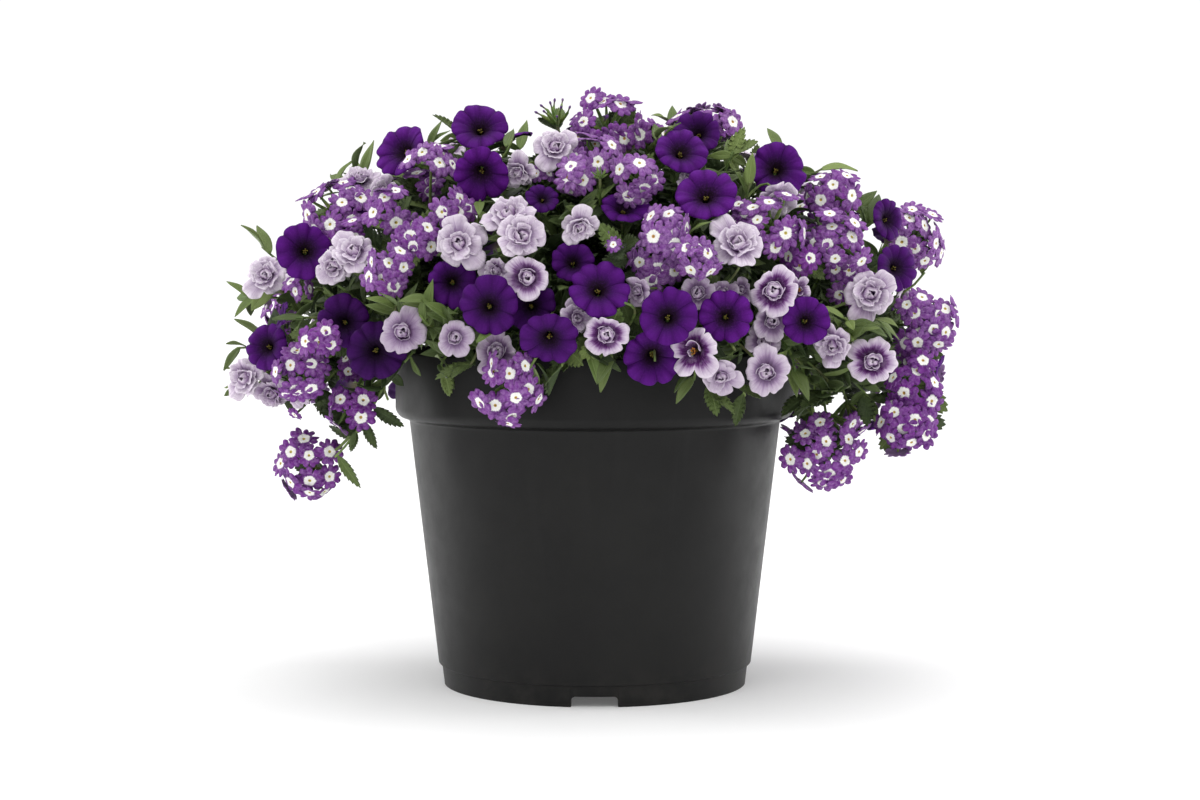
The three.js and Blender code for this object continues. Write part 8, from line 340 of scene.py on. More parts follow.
        [-1523,69,2340,-96,27,-7,-26,-77,58,231,72,0], [-1558,48,2355,-83,33,46,-37,-93,-1,149,45,0], [-1592,24,2371,-62,8,78,-60,-69,-41,157,49,0], [-1626,-1,2387,-82,-40,-40,-36,-17,92,176,55,0], [-1659,-28,2403,-99,15,-7,-16,-80,58,184,62,0], [-1691,-57,2419,-87,27,41,-26,-96,7,228,65,0], [-1722,-87,2435,-65,14,74,-48,-83,-26,173,51,0], [-1753,-118,2451,-41,-52,75,-83,-13,-55,183,54,0], [-1782,-151,2466,-100,-4,-9,-3,-78,63,218,73,0], [-1810,-184,2482,-70,-18,69,-30,-81,-51,165,60,0], [-1904,-327,2537,3,-86,52,-99,-8,-7,140,47,0], [-1953,-439,2572,-79,-52,-32,3,-56,83,237,73,0], [-1964,-476,2581,-80,-50,-31,9,-63,78,218,62,0], [-1973,-514,2590,-92,-31,-24,13,-82,56,210,67,0], [-1378,195,2298,-77,47,-44,-56,-14,82,203,67,0], [-1414,202,2319,-67,-48,57,-58,81,0,153,56,0], [-1450,209,2341,-38,72,58,-86,-50,7,164,47,0], [-1485,216,2365,-99,-11,5,-2,49,87,182,58,0], [-1520,222,2389,-36,-7,93,-90,29,-33,158,54,0], [-1555,228,2414,-74,66,16,-44,-65,62,158,49,0], [-1589,233,2439,-81,-53,25,-37,79,49,211,75,0], [-1623,239,2465,-18,58,80,-95,-32,1,212,63,0], [-1656,243,2492,-97,22,-2,-5,-12,99,167,49,0], [-1689,248,2518,-46,-41,79,-75,66,-10,170,48,0], [-1722,251,2545,-31,83,46,-81,-49,34,243,66,0], [-1754,254,2571,-94,-33,11,-12,61,79,186,54,0], [-1785,257,2598,-15,11,98,-99,1,-15,186,58,0], [-1817,259,2624,-77,59,-24,-48,-30,82,212,67,0], [-1471,393,2225,-98,20,4,19,97,-15,174,52,0], [-1488,432,2217,-9,90,42,-81,18,-56,211,76,0], [-1503,474,2207,-31,61,-73,-55,51,66,221,63,0], [-1518,516,2198,-81,42,41,8,77,-64,154,45,0], [-1532,559,2188,-92,39,0,39,91,-16,186,64,0], [-1546,603,2178,-77,39,-50,10,86,51,215,59,0], [-1559,648,2169,-13,59,79,-55,62,-56,201,59,0], [-1572,692,2160,-67,47,57,-8,72,-69,200,58,0], [-1585,737,2152,-96,13,25,5,96,-27,238,84,0], [-1598,781,2145,-95,18,-24,15,98,14,199,60,0], [-1611,824,2139,-53,32,-78,-27,81,52,212,60,0], [-1624,866,2134,-58,58,58,-12,63,-76,172,54,0], [-1638,908,2131,-87,40,27,29,88,-37,221,70,0], [-1652,948,2130,-88,47,-9,44,87,23,184,65,0], [-1667,986,2131,-3,71,70,-72,47,-51,166,48,0], [-1683,1023,2134,-38,51,-77,-44,63,64,209,66,0], [-1699,1057,2140,-82,32,47,14,91,-39,184,64,0], [-1717,1089,2148,-99,5,15,7,98,17,154,46,0], [-1417,103,2270,-17,-71,69,-98,10,-14,237,66,0], [-1452,80,2282,-95,28,-11,-29,-80,52,215,68,0], [-1488,55,2294,-78,12,62,-42,-83,-37,165,47,0], [-1523,28,2308,-54,6,84,-68,-62,-40,196,64,0], [-1559,0,2321,-93,-16,-34,-23,-46,86,236,80,0], [-1594,-29,2336,-100,-1,-5,-3,-77,63,164,58,0], [-1629,-59,2350,-90,22,37,-23,-97,4,199,58,0], [-1664,-88,2365,-59,-70,-40,-60,5,80,157,50,0], [-1698,-116,2380,-28,-35,89,-88,-26,-38,221,65,0], [-1732,-142,2395,-42,-87,-26,-75,18,64,204,65,0], [-1766,-167,2410,-94,13,31,-9,-99,12,166,48,0], [-1799,-189,2426,-64,25,72,-58,-78,-25,194,69,0], [-1832,-207,2440,-31,-64,71,-95,20,-24,233,71,0], [-1864,-222,2455,-32,-64,70,-95,25,-20,215,59,0], [-867,143,2115,-68,72,11,-59,-63,50,195,66,0], [-943,146,2145,-81,-56,-13,-53,62,58,200,68,0], [-1026,148,2169,-51,26,82,-86,-21,-47,185,63,0], [-1191,154,2209,-64,-62,45,-72,68,-9,264,90,0], [-1265,156,2232,-56,70,45,-76,-65,7,251,85,0], [-1977,-538,2594,-59,21,-78,-12,-98,-17,279,112,0], [-850,143,2106,-67,-60,43,50,6,86,282,109,0], [-909,145,2133,-28,94,19,-21,-26,94,273,109,0], [-974,147,2155,-94,-26,24,14,36,92,303,117,0], [-1042,149,2173,-38,83,40,7,-41,91,260,95,0], [-1110,151,2189,-96,-26,10,12,-6,99,276,100,0],
    ],
    "lilac_calibrachoa_spray_08": [
        [-864,-1042,2444,-48,13,87,10,-97,20,151,44,0], [-863,-1067,2480,-50,-86,-8,16,-18,97,171,51,0], [-860,-1093,2517,-63,-67,38,66,-21,73,201,64,0], [-855,-1120,2555,-67,-42,61,72,-56,41,172,56,0], [-848,-1147,2592,37,-92,16,-48,-4,88,210,69,0], [-840,-1175,2629,-11,7,99,2,-100,7,168,62,0], [-831,-1204,2665,-47,-86,20,52,-8,85,169,57,0], [-822,-1234,2698,-56,-63,54,83,-40,40,153,53,0], [-813,-1265,2728,-31,-38,87,45,-86,-22,190,62,0], [-805,-1298,2754,-64,-77,3,53,-41,74,173,61,0], [-798,-1332,2775,-57,-55,61,70,-72,1,164,50,0], [-1024,-1024,2415,-50,-78,36,-79,59,18,203,67,0], [-1066,-1030,2435,-75,-66,1,-42,48,77,186,58,0], [-1110,-1035,2456,-91,-24,-33,-30,-16,94,176,52,0], [-1153,-1040,2478,-11,-54,83,-99,6,-9,240,83,0], [-1195,-1044,2500,-48,-78,40,-78,59,22,165,47,0], [-1236,-1049,2523,-58,-82,2,-61,45,66,237,87,0], [-1275,-1055,2546,-26,13,96,-85,-51,-16,206,68,0], [-1310,-1063,2569,-98,-7,-20,-15,-42,90,239,67,0], [-1342,-1074,2592,-16,-27,95,-92,-30,-24,228,72,0], [-1369,-1087,2616,-74,49,46,-34,-87,36,181,51,0], [-1390,-1104,2639,28,-33,90,-88,-46,11,143,58,0], [-1058,-1019,2466,-44,4,90,-85,-33,-40,183,52,0], [-1100,-1012,2495,-44,-55,71,-82,57,-6,199,64,0], [-1142,-1002,2523,-71,-66,23,-46,69,57,200,66,0], [-1185,-991,2552,-85,-52,-3,-32,47,82,182,55,0], [-1228,-981,2580,-88,-17,-44,-45,4,89,196,71,0], [-1269,-970,2607,-43,-54,72,-82,57,-7,199,70,0], [-1310,-962,2633,-66,-56,49,-56,81,16,214,78,0], [-1349,-956,2655,-50,-66,57,-76,64,7,223,80,0], [-1386,-953,2675,-32,10,94,-90,-33,-28,151,44,0], [-1419,-954,2691,-93,31,-21,-36,-59,72,212,64,0], [-1449,-961,2703,-69,39,62,-54,-84,-7,135,46,0], [-1475,-974,2711,-95,28,-12,-30,-87,39,202,69,0], [-901,-1010,2320,-81,-6,58,-19,-91,-36,152,50,0], [-930,-1043,2319,-45,-64,-62,-48,-41,78,195,67,0], [-958,-1077,2316,-24,-87,43,-80,-7,-59,175,50,0], [-986,-1112,2313,-99,-14,-2,14,-99,6,167,57,0], [-1012,-1148,2308,20,-87,-45,-87,-37,33,182,64,0], [-1036,-1185,2304,-51,-58,64,-28,-59,-76,167,48,0], [-1058,-1222,2299,-63,-59,51,-1,-64,-76,211,74,0], [-1076,-1260,2295,41,-91,5,-91,-41,-1,201,63,0], [-1102,-1337,2291,17,-76,63,-65,-57,-50,171,53,0], [-527,-593,2166,-96,-2,27,13,-91,40,213,72,0], [-576,-648,2200,-14,-97,-18,-73,-2,69,203,69,0], [-629,-708,2228,-38,-29,88,-52,-72,-46,220,75,0], [-739,-832,2273,9,-93,35,-100,-9,2,274,93,0], [-792,-891,2296,-83,-2,55,-6,-99,-13,236,80,0], [-841,-946,2322,-44,-82,-37,-43,-17,89,207,70,0], [-460,-518,2091,-86,-41,30,30,6,95,214,77,0], [-490,-552,2132,63,41,66,-76,16,63,251,91,0], [-526,-592,2166,-94,-1,34,34,5,94,261,103,0], [-565,-636,2194,-91,-9,41,42,-13,90,225,81,0], [-608,-684,2217,-79,-53,32,27,16,95,295,122,0], [-652,-734,2238,90,-34,29,-7,55,83,243,83,0], [-697,-784,2256,78,-49,39,-9,53,84,205,85,0], [-741,-834,2274,-78,53,34,18,-34,92,250,100,0],
    ],
    "violet_calibrachoa_spray_05": [
        [-270,-1116,2443,-73,-26,63,1,-93,-38,205,66,0], [-300,-1147,2446,-25,-53,81,-55,-61,-57,176,52,0], [-331,-1179,2448,-21,-73,65,-70,-36,-62,218,78,0], [-363,-1211,2449,-100,-2,-4,1,-98,21,193,58,0], [-396,-1245,2449,-52,-44,73,-29,-71,-64,220,63,0], [-428,-1279,2448,-44,-55,72,-37,-62,-70,185,63,0], [-460,-1314,2447,-27,-67,69,-55,-48,-68,105,34,0], [-489,-1349,2445,-33,-46,83,-43,-71,-56,119,45,0], [-517,-1385,2444,-74,-52,42,26,-80,-54,202,74,0], [-542,-1422,2442,-20,-81,-54,-49,-40,78,168,52,0], [-563,-1460,2442,-76,-51,-40,20,-78,60,107,41,0], [-581,-1498,2442,-89,-45,-12,40,-87,30,199,59,0], [-593,-1537,2443,15,-66,74,-53,-68,-51,126,43,0], [-295,-1096,2655,-93,-17,32,34,-12,93,144,50,0], [-321,-1088,2702,23,-53,82,-86,28,42,151,47,0], [-348,-1078,2750,-35,-62,71,-32,79,53,166,46,0], [-376,-1067,2799,-67,-63,39,4,49,87,203,56,0], [-404,-1055,2849,32,9,94,-92,-23,33,167,49,0], [-433,-1042,2899,1,-21,98,-98,18,5,190,62,0], [-461,-1030,2948,10,-23,97,-98,16,14,227,65,0], [-489,-1018,2996,-8,84,54,-49,-51,71,218,72,0], [-516,-1008,3042,-92,-38,13,7,16,98,190,56,0], [-542,-999,3086,28,-20,94,-95,4,30,240,66,0], [-566,-993,3127,0,-49,87,-84,47,26,159,58,0], [-589,-989,3164,13,-61,78,-82,38,43,188,67,0], [-609,-988,3197,-7,-72,69,-68,54,49,176,50,0], [-627,-991,3225,-79,-35,50,53,3,85,156,53,0], [-642,-999,3248,44,-20,88,-85,-40,34,152,51,0], [-654,-1011,3264,33,-78,53,-91,-12,40,166,69,0], [-663,-1029,3274,43,-78,46,-90,-39,19,197,56,0], [-668,-1052,3277,-71,-55,44,54,-83,-15,133,54,0], [-191,-1129,2425,20,-89,-42,-45,-46,77,179,64,0], [-199,-1172,2430,5,-61,79,-30,-76,-58,218,61,0], [-206,-1215,2433,-83,-44,-34,31,-87,39,209,76,0], [-214,-1259,2433,58,-82,-2,-80,-57,20,207,73,0], [-221,-1303,2432,15,-54,82,-31,-82,-48,158,51,0], [-228,-1348,2429,62,-78,0,-78,-62,7,133,44,0], [-257,-1632,2349,62,-61,-50,-64,-76,12,113,46,0], [-144,-1049,2385,-51,-84,19,86,-51,8,197,58,0], [-132,-1089,2388,-16,-69,70,46,-68,-57,216,59,0], [-118,-1130,2390,27,-85,-46,-2,-48,88,187,61,0], [-102,-1171,2391,72,-32,61,-22,-95,-24,201,64,0], [-86,-1212,2392,-60,-79,14,80,-59,8,183,60,0], [-68,-1253,2393,-13,-80,59,63,-52,-57,207,58,0], [-51,-1293,2396,4,-66,75,35,-69,-63,185,57,0], [-34,-1334,2400,-18,-83,-53,47,-55,69,193,55,0], [-19,-1373,2406,88,-22,41,-25,-97,3,235,84,0], [-5,-1412,2415,-35,-71,61,74,-61,-29,195,66,0], [6,-1450,2427,25,-93,-27,-6,-29,95,210,71,0], [15,-1486,2443,37,-40,84,-24,-91,-33,162,47,0], [20,-1522,2463,44,-82,-36,-23,-50,84,157,58,0], [-327,-1090,2451,-25,-81,53,-97,18,-18,219,73,0], [-371,-1103,2460,-39,-91,15,-85,42,31,194,71,0], [-417,-1115,2469,-68,-72,-11,-46,31,84,207,75,0], [-465,-1128,2478,-22,-14,97,-83,-50,-26,217,77,0], [-513,-1142,2487,-38,-61,70,-88,0,-48,168,59,0], [-561,-1156,2497,-19,-95,24,-96,23,16,186,64,0], [-608,-1171,2506,-58,36,73,-60,-79,-8,155,56,0], [-652,-1188,2515,-71,-63,-31,-37,-5,93,235,82,0], [-694,-1207,2524,-28,-69,66,-90,-4,-43,175,52,0], [-731,-1229,2533,-1,-90,44,-100,0,-3,167,50,0], [-764,-1252,2543,5,-96,-27,-83,-19,52,217,61,0], [-790,-1279,2552,-34,-5,94,-47,-86,-22,237,85,0], [-811,-1309,2561,-81,-38,-44,0,-75,66,173,55,0], [-823,-1343,2569,-93,-38,-4,33,-85,40,106,44,0], [-177,-953,2362,23,-96,18,-95,-18,25,172,47,0], [-199,-993,2371,-74,-22,63,12,-97,-19,175,64,0], [-224,-1034,2379,-33,-83,-45,-27,-38,89,178,59,0], [-250,-1075,2387,8,-73,68,-76,-48,-43,143,40,0], [-276,-1115,2394,-90,-44,9,45,-86,25,179,58,0], [-301,-1155,2400,33,-92,-21,-81,-39,44,217,79,0], [-324,-1194,2406,-26,-36,89,-31,-85,-43,165,47,0], [-343,-1232,2411,-68,-51,-53,4,-75,66,214,73,0], [-358,-1267,2417,47,-67,58,-74,-65,-15,195,66,0], [-367,-1300,2423,-84,-27,47,31,-95,-1,203,56,0], [-213,-977,2484,-50,-74,45,25,38,89,224,82,0], [-228,-987,2521,-85,-45,27,39,-19,90,206,59,0],
        [-244,-995,2560,51,-54,67,-83,-11,55,227,70,0], [-259,-1004,2601,13,-82,56,-65,36,67,179,56,0], [-274,-1012,2643,-19,-92,33,-23,37,90,214,73,0], [-289,-1020,2686,-80,-56,22,30,-7,95,226,68,0], [-302,-1030,2729,-90,-23,37,43,-36,83,173,55,0], [-313,-1042,2773,42,-60,68,-85,1,53,177,63,0], [-322,-1055,2815,13,-92,36,-43,28,86,222,64,0], [-330,-1072,2857,-33,-92,21,10,19,98,204,73,0], [-334,-1092,2897,42,-12,90,-66,-73,21,215,65,0], [-336,-1116,2935,-71,-49,50,70,-40,60,157,58,0], [-334,-1145,2971,58,-38,72,-74,-62,26,154,56,0], [-123,-905,2389,-1,-16,99,-7,-99,-16,147,41,0], [-124,-936,2417,-59,-79,17,60,-29,75,177,52,0], [-126,-968,2446,60,-72,35,-76,-38,53,186,56,0], [-129,-999,2476,-63,-7,77,36,-91,20,207,70,0], [-131,-1031,2505,-12,-94,-32,-1,-32,95,156,56,0], [-133,-1064,2533,56,-26,79,-55,-82,13,184,58,0], [-135,-1097,2560,-60,-68,41,79,-44,43,183,60,0], [-136,-1131,2585,40,-90,14,-63,-16,76,156,51,0], [-135,-1166,2608,-12,-35,93,13,-93,-34,169,58,0], [-133,-1203,2629,-50,-84,-22,42,-45,79,172,63,0], [-129,-1241,2646,71,-42,56,-56,-83,7,209,58,0], [-106,-575,2189,-78,-45,43,61,-70,38,211,72,0], [-116,-643,2231,33,-93,-14,-51,-30,81,198,67,0], [-126,-717,2267,-5,-34,94,-13,-93,-35,233,79,0], [-137,-794,2301,-61,-77,-19,43,-52,74,208,71,0], [-148,-870,2332,61,-72,34,-79,-57,21,240,82,0], [-158,-943,2365,-62,-36,70,43,-90,-9,193,66,0], [-168,-1009,2400,-3,-97,-25,-14,-24,96,185,63,0], [-313,-1041,2771,59,81,-5,80,-57,16,150,60,0], [-93,-488,2109,-87,41,29,29,-8,96,256,98,0], [-99,-531,2154,59,61,52,44,-79,42,203,74,0], [-107,-581,2193,-62,-63,47,63,-4,77,291,106,0], [-115,-637,2227,74,-65,16,32,56,76,285,108,0], [-123,-697,2258,82,26,52,-44,-30,85,258,99,0], [-132,-759,2286,-72,-64,28,17,23,96,275,115,0], [-141,-821,2312,12,76,64,-82,-29,49,283,98,0], [-150,-882,2338,79,-58,18,-7,20,98,258,108,0], [-158,-941,2364,-59,-72,37,19,33,93,261,109,0], [-166,-995,2392,86,17,48,-50,10,86,230,85,0], [-167,-974,2393,79,-25,56,-61,-32,72,199,83,0], [-189,-1016,2415,-54,-78,31,-1,38,93,201,73,0], [-221,-1061,2431,17,-90,41,-60,23,76,208,73,0], [-262,-1107,2441,86,-14,49,-47,15,87,309,121,0], [-178,-1060,2433,81,-12,58,-53,27,80,258,104,0], [-193,-1086,2465,76,-24,60,-56,21,80,269,107,0], [-216,-1100,2510,37,-89,27,-6,26,96,191,79,0], [-246,-1104,2565,21,-94,28,-29,21,93,201,81,0], [-282,-1099,2630,80,25,55,-54,-12,83,265,103,0], [-321,-1088,2701,-18,-78,59,-23,62,75,217,89,0], [-363,-1072,2776,-77,35,53,56,-1,83,297,108,0], [-407,-1054,2853,30,85,44,-25,-38,89,260,91,0], [-451,-1034,2930,86,-40,31,-23,25,94,221,92,0], [-494,-1016,3004,16,95,26,-13,-24,96,292,109,0], [-535,-1001,3074,51,76,40,-6,-43,90,243,88,0], [-573,-991,3137,5,92,40,23,-40,89,228,85,0], [-606,-988,3191,93,13,35,-30,-33,89,263,106,0], [-633,-994,3234,-55,69,48,3,-55,83,262,101,0], [-159,-939,2372,-27,-92,29,14,26,96,226,82,0], [-168,-993,2394,10,-94,33,27,35,90,213,76,0], [-178,-1052,2411,29,92,27,-19,-22,96,278,111,0], [-189,-1115,2423,82,50,27,-5,-41,91,198,77,0], [-152,-860,2336,-79,32,52,35,-47,81,301,112,0], [-161,-917,2360,55,59,59,-52,-31,79,196,68,0], [-158,-975,2375,74,-58,33,-46,-10,88,262,101,0], [-147,-1036,2384,-70,59,39,32,-23,92,263,94,0], [-129,-1099,2388,-1,-98,21,-20,21,96,293,107,0], [-106,-1162,2390,-83,51,23,29,3,96,252,88,0], [-175,-1011,2407,-34,93,15,-46,-31,83,254,92,0], [-207,-1040,2420,-66,-69,29,10,30,95,229,79,0], [-254,-1064,2434,80,-24,56,-18,78,59,197,79,0], [-313,-1086,2448,-96,-19,19,12,32,94,309,129,0], [-381,-1106,2462,60,-77,22,-24,9,97,300,108,0], [-134,-812,2310,19,-95,25,-24,20,95,279,112,0], [-141,-865,2334,11,90,43,24,-44,86,200,79,0], [-162,-923,2353,89,-20,42,-46,-35,81,265,95,0], [-194,-984,2369,25,-95,21,11,24,96,211,79,0], [-232,-1047,2382,98,-1,21,-14,72,68,218,83,0], [-273,-1110,2393,-98,-6,19,20,-24,95,257,88,0],
        [-154,-894,2351,-98,-11,17,16,5,98,272,113,0], [-169,-929,2384,-65,-71,28,10,29,95,261,101,0], [-188,-955,2426,-59,-73,34,56,-7,82,200,69,0], [-210,-975,2477,67,68,30,-23,-19,95,264,91,0], [-234,-990,2534,82,-34,46,-26,50,82,236,94,0], [-258,-1003,2596,-34,89,30,24,-23,94,245,97,0], [-281,-1015,2662,-59,72,36,34,-18,92,252,86,0], [-301,-1030,2729,52,-66,54,-5,61,79,310,129,0], [-318,-1049,2796,-48,-66,57,15,58,80,286,112,0], [-330,-1074,2860,-22,-91,35,19,31,93,233,81,0], [-336,-1107,2921,-66,-67,35,-3,49,87,242,87,0], [-129,-775,2291,14,90,42,-37,-35,86,247,86,0], [-123,-826,2325,24,82,52,-22,-48,85,235,80,0], [-122,-876,2364,-47,71,52,19,-50,85,235,85,0], [-124,-925,2407,84,36,41,-26,-39,88,285,101,0], [-127,-974,2452,7,-95,30,-26,27,93,209,78,0], [-131,-1023,2497,42,-78,47,26,60,76,265,99,0], [-134,-1074,2541,49,83,26,3,-32,95,216,82,0], [-135,-1126,2581,80,37,47,-49,-4,87,291,105,0],
    ],
    "lilac_calibrachoa_spray_09": [
        [586,-1180,2593,42,-89,-18,47,4,88,225,81,0], [620,-1203,2612,22,-97,10,79,24,57,204,63,0], [656,-1226,2629,8,-81,58,100,5,-7,200,72,0], [691,-1248,2646,-2,-92,40,98,6,18,177,54,0], [725,-1270,2662,55,-10,83,38,-85,-36,225,70,0], [756,-1293,2678,18,-97,17,85,24,47,195,58,0], [783,-1318,2693,99,-15,8,-17,-83,54,234,81,0], [806,-1343,2710,-40,-88,26,88,-29,38,178,53,0], [822,-1370,2728,49,-78,-39,11,-39,91,197,57,0], [569,-1240,2499,19,-89,41,46,-29,-84,199,61,0], [585,-1272,2476,70,-68,24,-25,-54,-81,157,53,0], [601,-1305,2449,95,-31,-7,-31,-87,-37,205,56,0], [616,-1339,2419,-47,-86,18,70,-49,-52,153,44,0], [629,-1374,2388,-31,-95,7,76,-29,-59,165,51,0], [641,-1409,2355,-1,-100,9,56,-8,-82,183,51,0], [650,-1446,2323,-20,-96,20,58,-28,-76,150,50,0], [656,-1483,2292,78,-56,-27,-62,-75,-25,157,44,0], [658,-1521,2264,-66,-75,1,68,-60,-43,188,54,0], [657,-1559,2240,69,-25,-68,-30,-95,4,178,60,0], [675,-1206,2757,-10,-44,89,89,37,28,171,56,0], [703,-1188,2800,-15,-13,98,98,13,17,157,52,0], [732,-1167,2843,98,19,-9,11,-7,99,208,71,0], [761,-1144,2888,-31,-2,95,95,8,31,163,54,0], [791,-1120,2931,96,27,-2,4,-10,99,226,66,0], [821,-1096,2974,86,50,-6,18,-20,96,163,44,0], [851,-1073,3014,-13,29,95,97,-17,18,195,66,0], [880,-1052,3051,68,72,13,28,-41,87,197,60,0], [908,-1034,3084,-4,13,99,100,-5,4,194,68,0], [485,-1096,2496,-24,-87,-42,53,-48,69,170,60,0], [497,-1132,2507,92,-35,17,-38,-88,27,162,54,0], [509,-1168,2516,-22,-86,46,92,-33,-19,179,65,0], [521,-1205,2523,55,-73,-41,-12,-55,82,175,51,0], [533,-1242,2527,55,-38,75,-5,-91,-42,163,51,0], [546,-1280,2530,-34,-94,-7,88,-34,32,229,66,0], [559,-1319,2531,61,-50,61,-18,-84,-51,192,68,0], [573,-1359,2530,-7,-70,72,55,-63,-56,178,65,0], [588,-1401,2527,-6,-70,-72,47,-65,60,171,63,0], [603,-1444,2522,54,-45,71,0,-84,-54,163,48,0], [604,-1155,2695,92,34,21,-17,-14,97,166,45,0], [616,-1130,2736,-56,20,81,82,3,56,199,64,0], [627,-1101,2778,68,-24,69,-41,66,63,178,62,0], [636,-1070,2822,37,-49,79,3,86,51,174,55,0], [643,-1038,2866,-16,-21,97,70,66,26,157,57,0], [649,-1007,2910,59,67,45,-25,-38,89,229,69,0], [652,-978,2953,73,7,68,-68,22,70,191,58,0], [653,-953,2994,48,-28,83,-47,72,51,214,68,0], [651,-934,3033,41,-37,84,-44,72,53,208,72,0], [647,-922,3069,40,-62,68,-37,57,74,159,57,0], [640,-919,3101,-77,-41,49,53,2,85,162,55,0], [630,-926,3128,66,-37,66,-75,-34,56,229,71,0], [616,-945,3150,27,-10,96,-48,-88,5,153,46,0], [473,-1189,2533,33,-88,-35,-39,-46,80,223,77,0], [461,-1232,2541,2,-60,80,-18,-79,-58,146,43,0], [447,-1274,2547,34,-63,70,-56,-73,-39,175,59,0], [430,-1316,2550,-68,-28,68,20,-96,-19,211,57,0], [411,-1356,2553,-18,-75,-64,-15,-62,77,119,39,0], [476,-1008,2462,-16,-99,3,90,-13,42,156,50,0], [500,-1041,2471,98,-20,-1,-18,-90,39,225,66,0], [526,-1075,2478,10,-66,75,72,-47,-51,207,67,0], [554,-1112,2485,11,-66,-75,55,-59,60,200,68,0], [582,-1150,2490,93,-10,35,-10,-99,-3,207,75,0], [611,-1189,2494,-6,-97,22,100,-6,2,199,63,0], [639,-1228,2498,88,-33,-36,-8,-83,56,223,62,0], [665,-1268,2501,48,-58,66,19,-66,-72,180,59,0], [690,-1308,2503,-18,-88,-44,74,-42,52,148,52,0], [711,-1348,2504,56,-28,78,13,-90,-42,164,54,0], [559,-1061,2491,67,-60,-43,42,-17,89,142,44,0], [601,-1078,2503,60,29,75,55,-83,-12,176,57,0], [645,-1095,2513,30,-92,25,92,35,17,226,68,0], [689,-1114,2523,97,5,-25,19,-78,60,160,45,0], [731,-1135,2531,58,-28,77,52,-60,-61,204,59,0], [770,-1158,2538,27,-89,-36,76,-3,65,205,65,0], [804,-1184,2542,99,-10,10,-12,-98,16,211,58,0], [831,-1215,2543,-9,-81,58,85,-36,-38,227,80,0], [848,-1251,2540,48,-50,-72,13,-77,62,163,53,0], [305,-619,2258,-44,-74,51,90,-33,29,260,88,0], [331,-683,2300,73,-67,-16,-25,-48,84,226,77,0], [359,-751,2338,22,-27,94,27,-91,-32,265,90,0], [388,-822,2372,-18,-98,-13,68,-22,70,242,82,0], [417,-894,2404,91,-33,26,-40,-88,26,188,64,0],
        [446,-966,2436,-28,-61,74,77,-60,-20,204,69,0], [475,-1035,2467,40,-84,-36,9,-35,93,276,94,0], [502,-1101,2500,57,-19,80,-9,-98,-17,276,94,0], [252,-489,2120,-46,-82,34,17,29,94,199,78,0], [267,-524,2170,87,-40,27,-34,-9,94,220,75,0], [284,-566,2214,-80,-45,39,25,34,91,233,95,0], [303,-613,2253,-82,9,57,58,3,82,284,108,0], [323,-664,2289,-2,-90,43,2,43,90,217,83,0], [345,-718,2321,10,82,57,-35,-50,79,256,103,0], [368,-774,2350,65,-64,40,-20,36,91,237,95,0], [392,-832,2377,56,82,14,2,-18,98,269,102,0], [416,-891,2403,-43,-89,15,-5,18,98,193,66,0], [440,-949,2429,73,64,23,-24,-8,97,298,118,0], [463,-1007,2454,65,-64,41,-31,27,91,277,105,0], [486,-1062,2480,-25,72,65,61,-40,68,266,102,0], [444,-964,2440,-70,51,51,50,-16,85,196,75,0], [462,-1023,2468,-80,-57,20,2,30,95,308,121,0], [652,-975,2957,49,-59,65,-50,41,76,244,86,0], [652,-940,3020,63,-67,39,-76,-43,50,289,100,0], [646,-921,3075,-90,10,43,41,-17,90,225,78,0], [633,-923,3121,-92,27,30,31,-1,95,275,109,0], [612,-952,3155,90,-5,43,-44,-20,88,301,106,0], [476,-1047,2483,-59,-71,39,21,33,92,283,98,0], [422,-912,2416,-32,-92,22,64,-4,77,265,93,0], [439,-949,2438,-91,-20,36,41,-36,84,208,75,0], [466,-992,2457,91,-22,35,-39,-18,90,290,111,0], [502,-1042,2471,89,33,32,-19,-38,91,309,122,0], [460,-997,2455,-41,86,31,14,-27,95,205,75,0], [495,-1028,2471,-24,-88,41,13,39,91,273,109,0],
    ],
    "verbena_spray_11": [
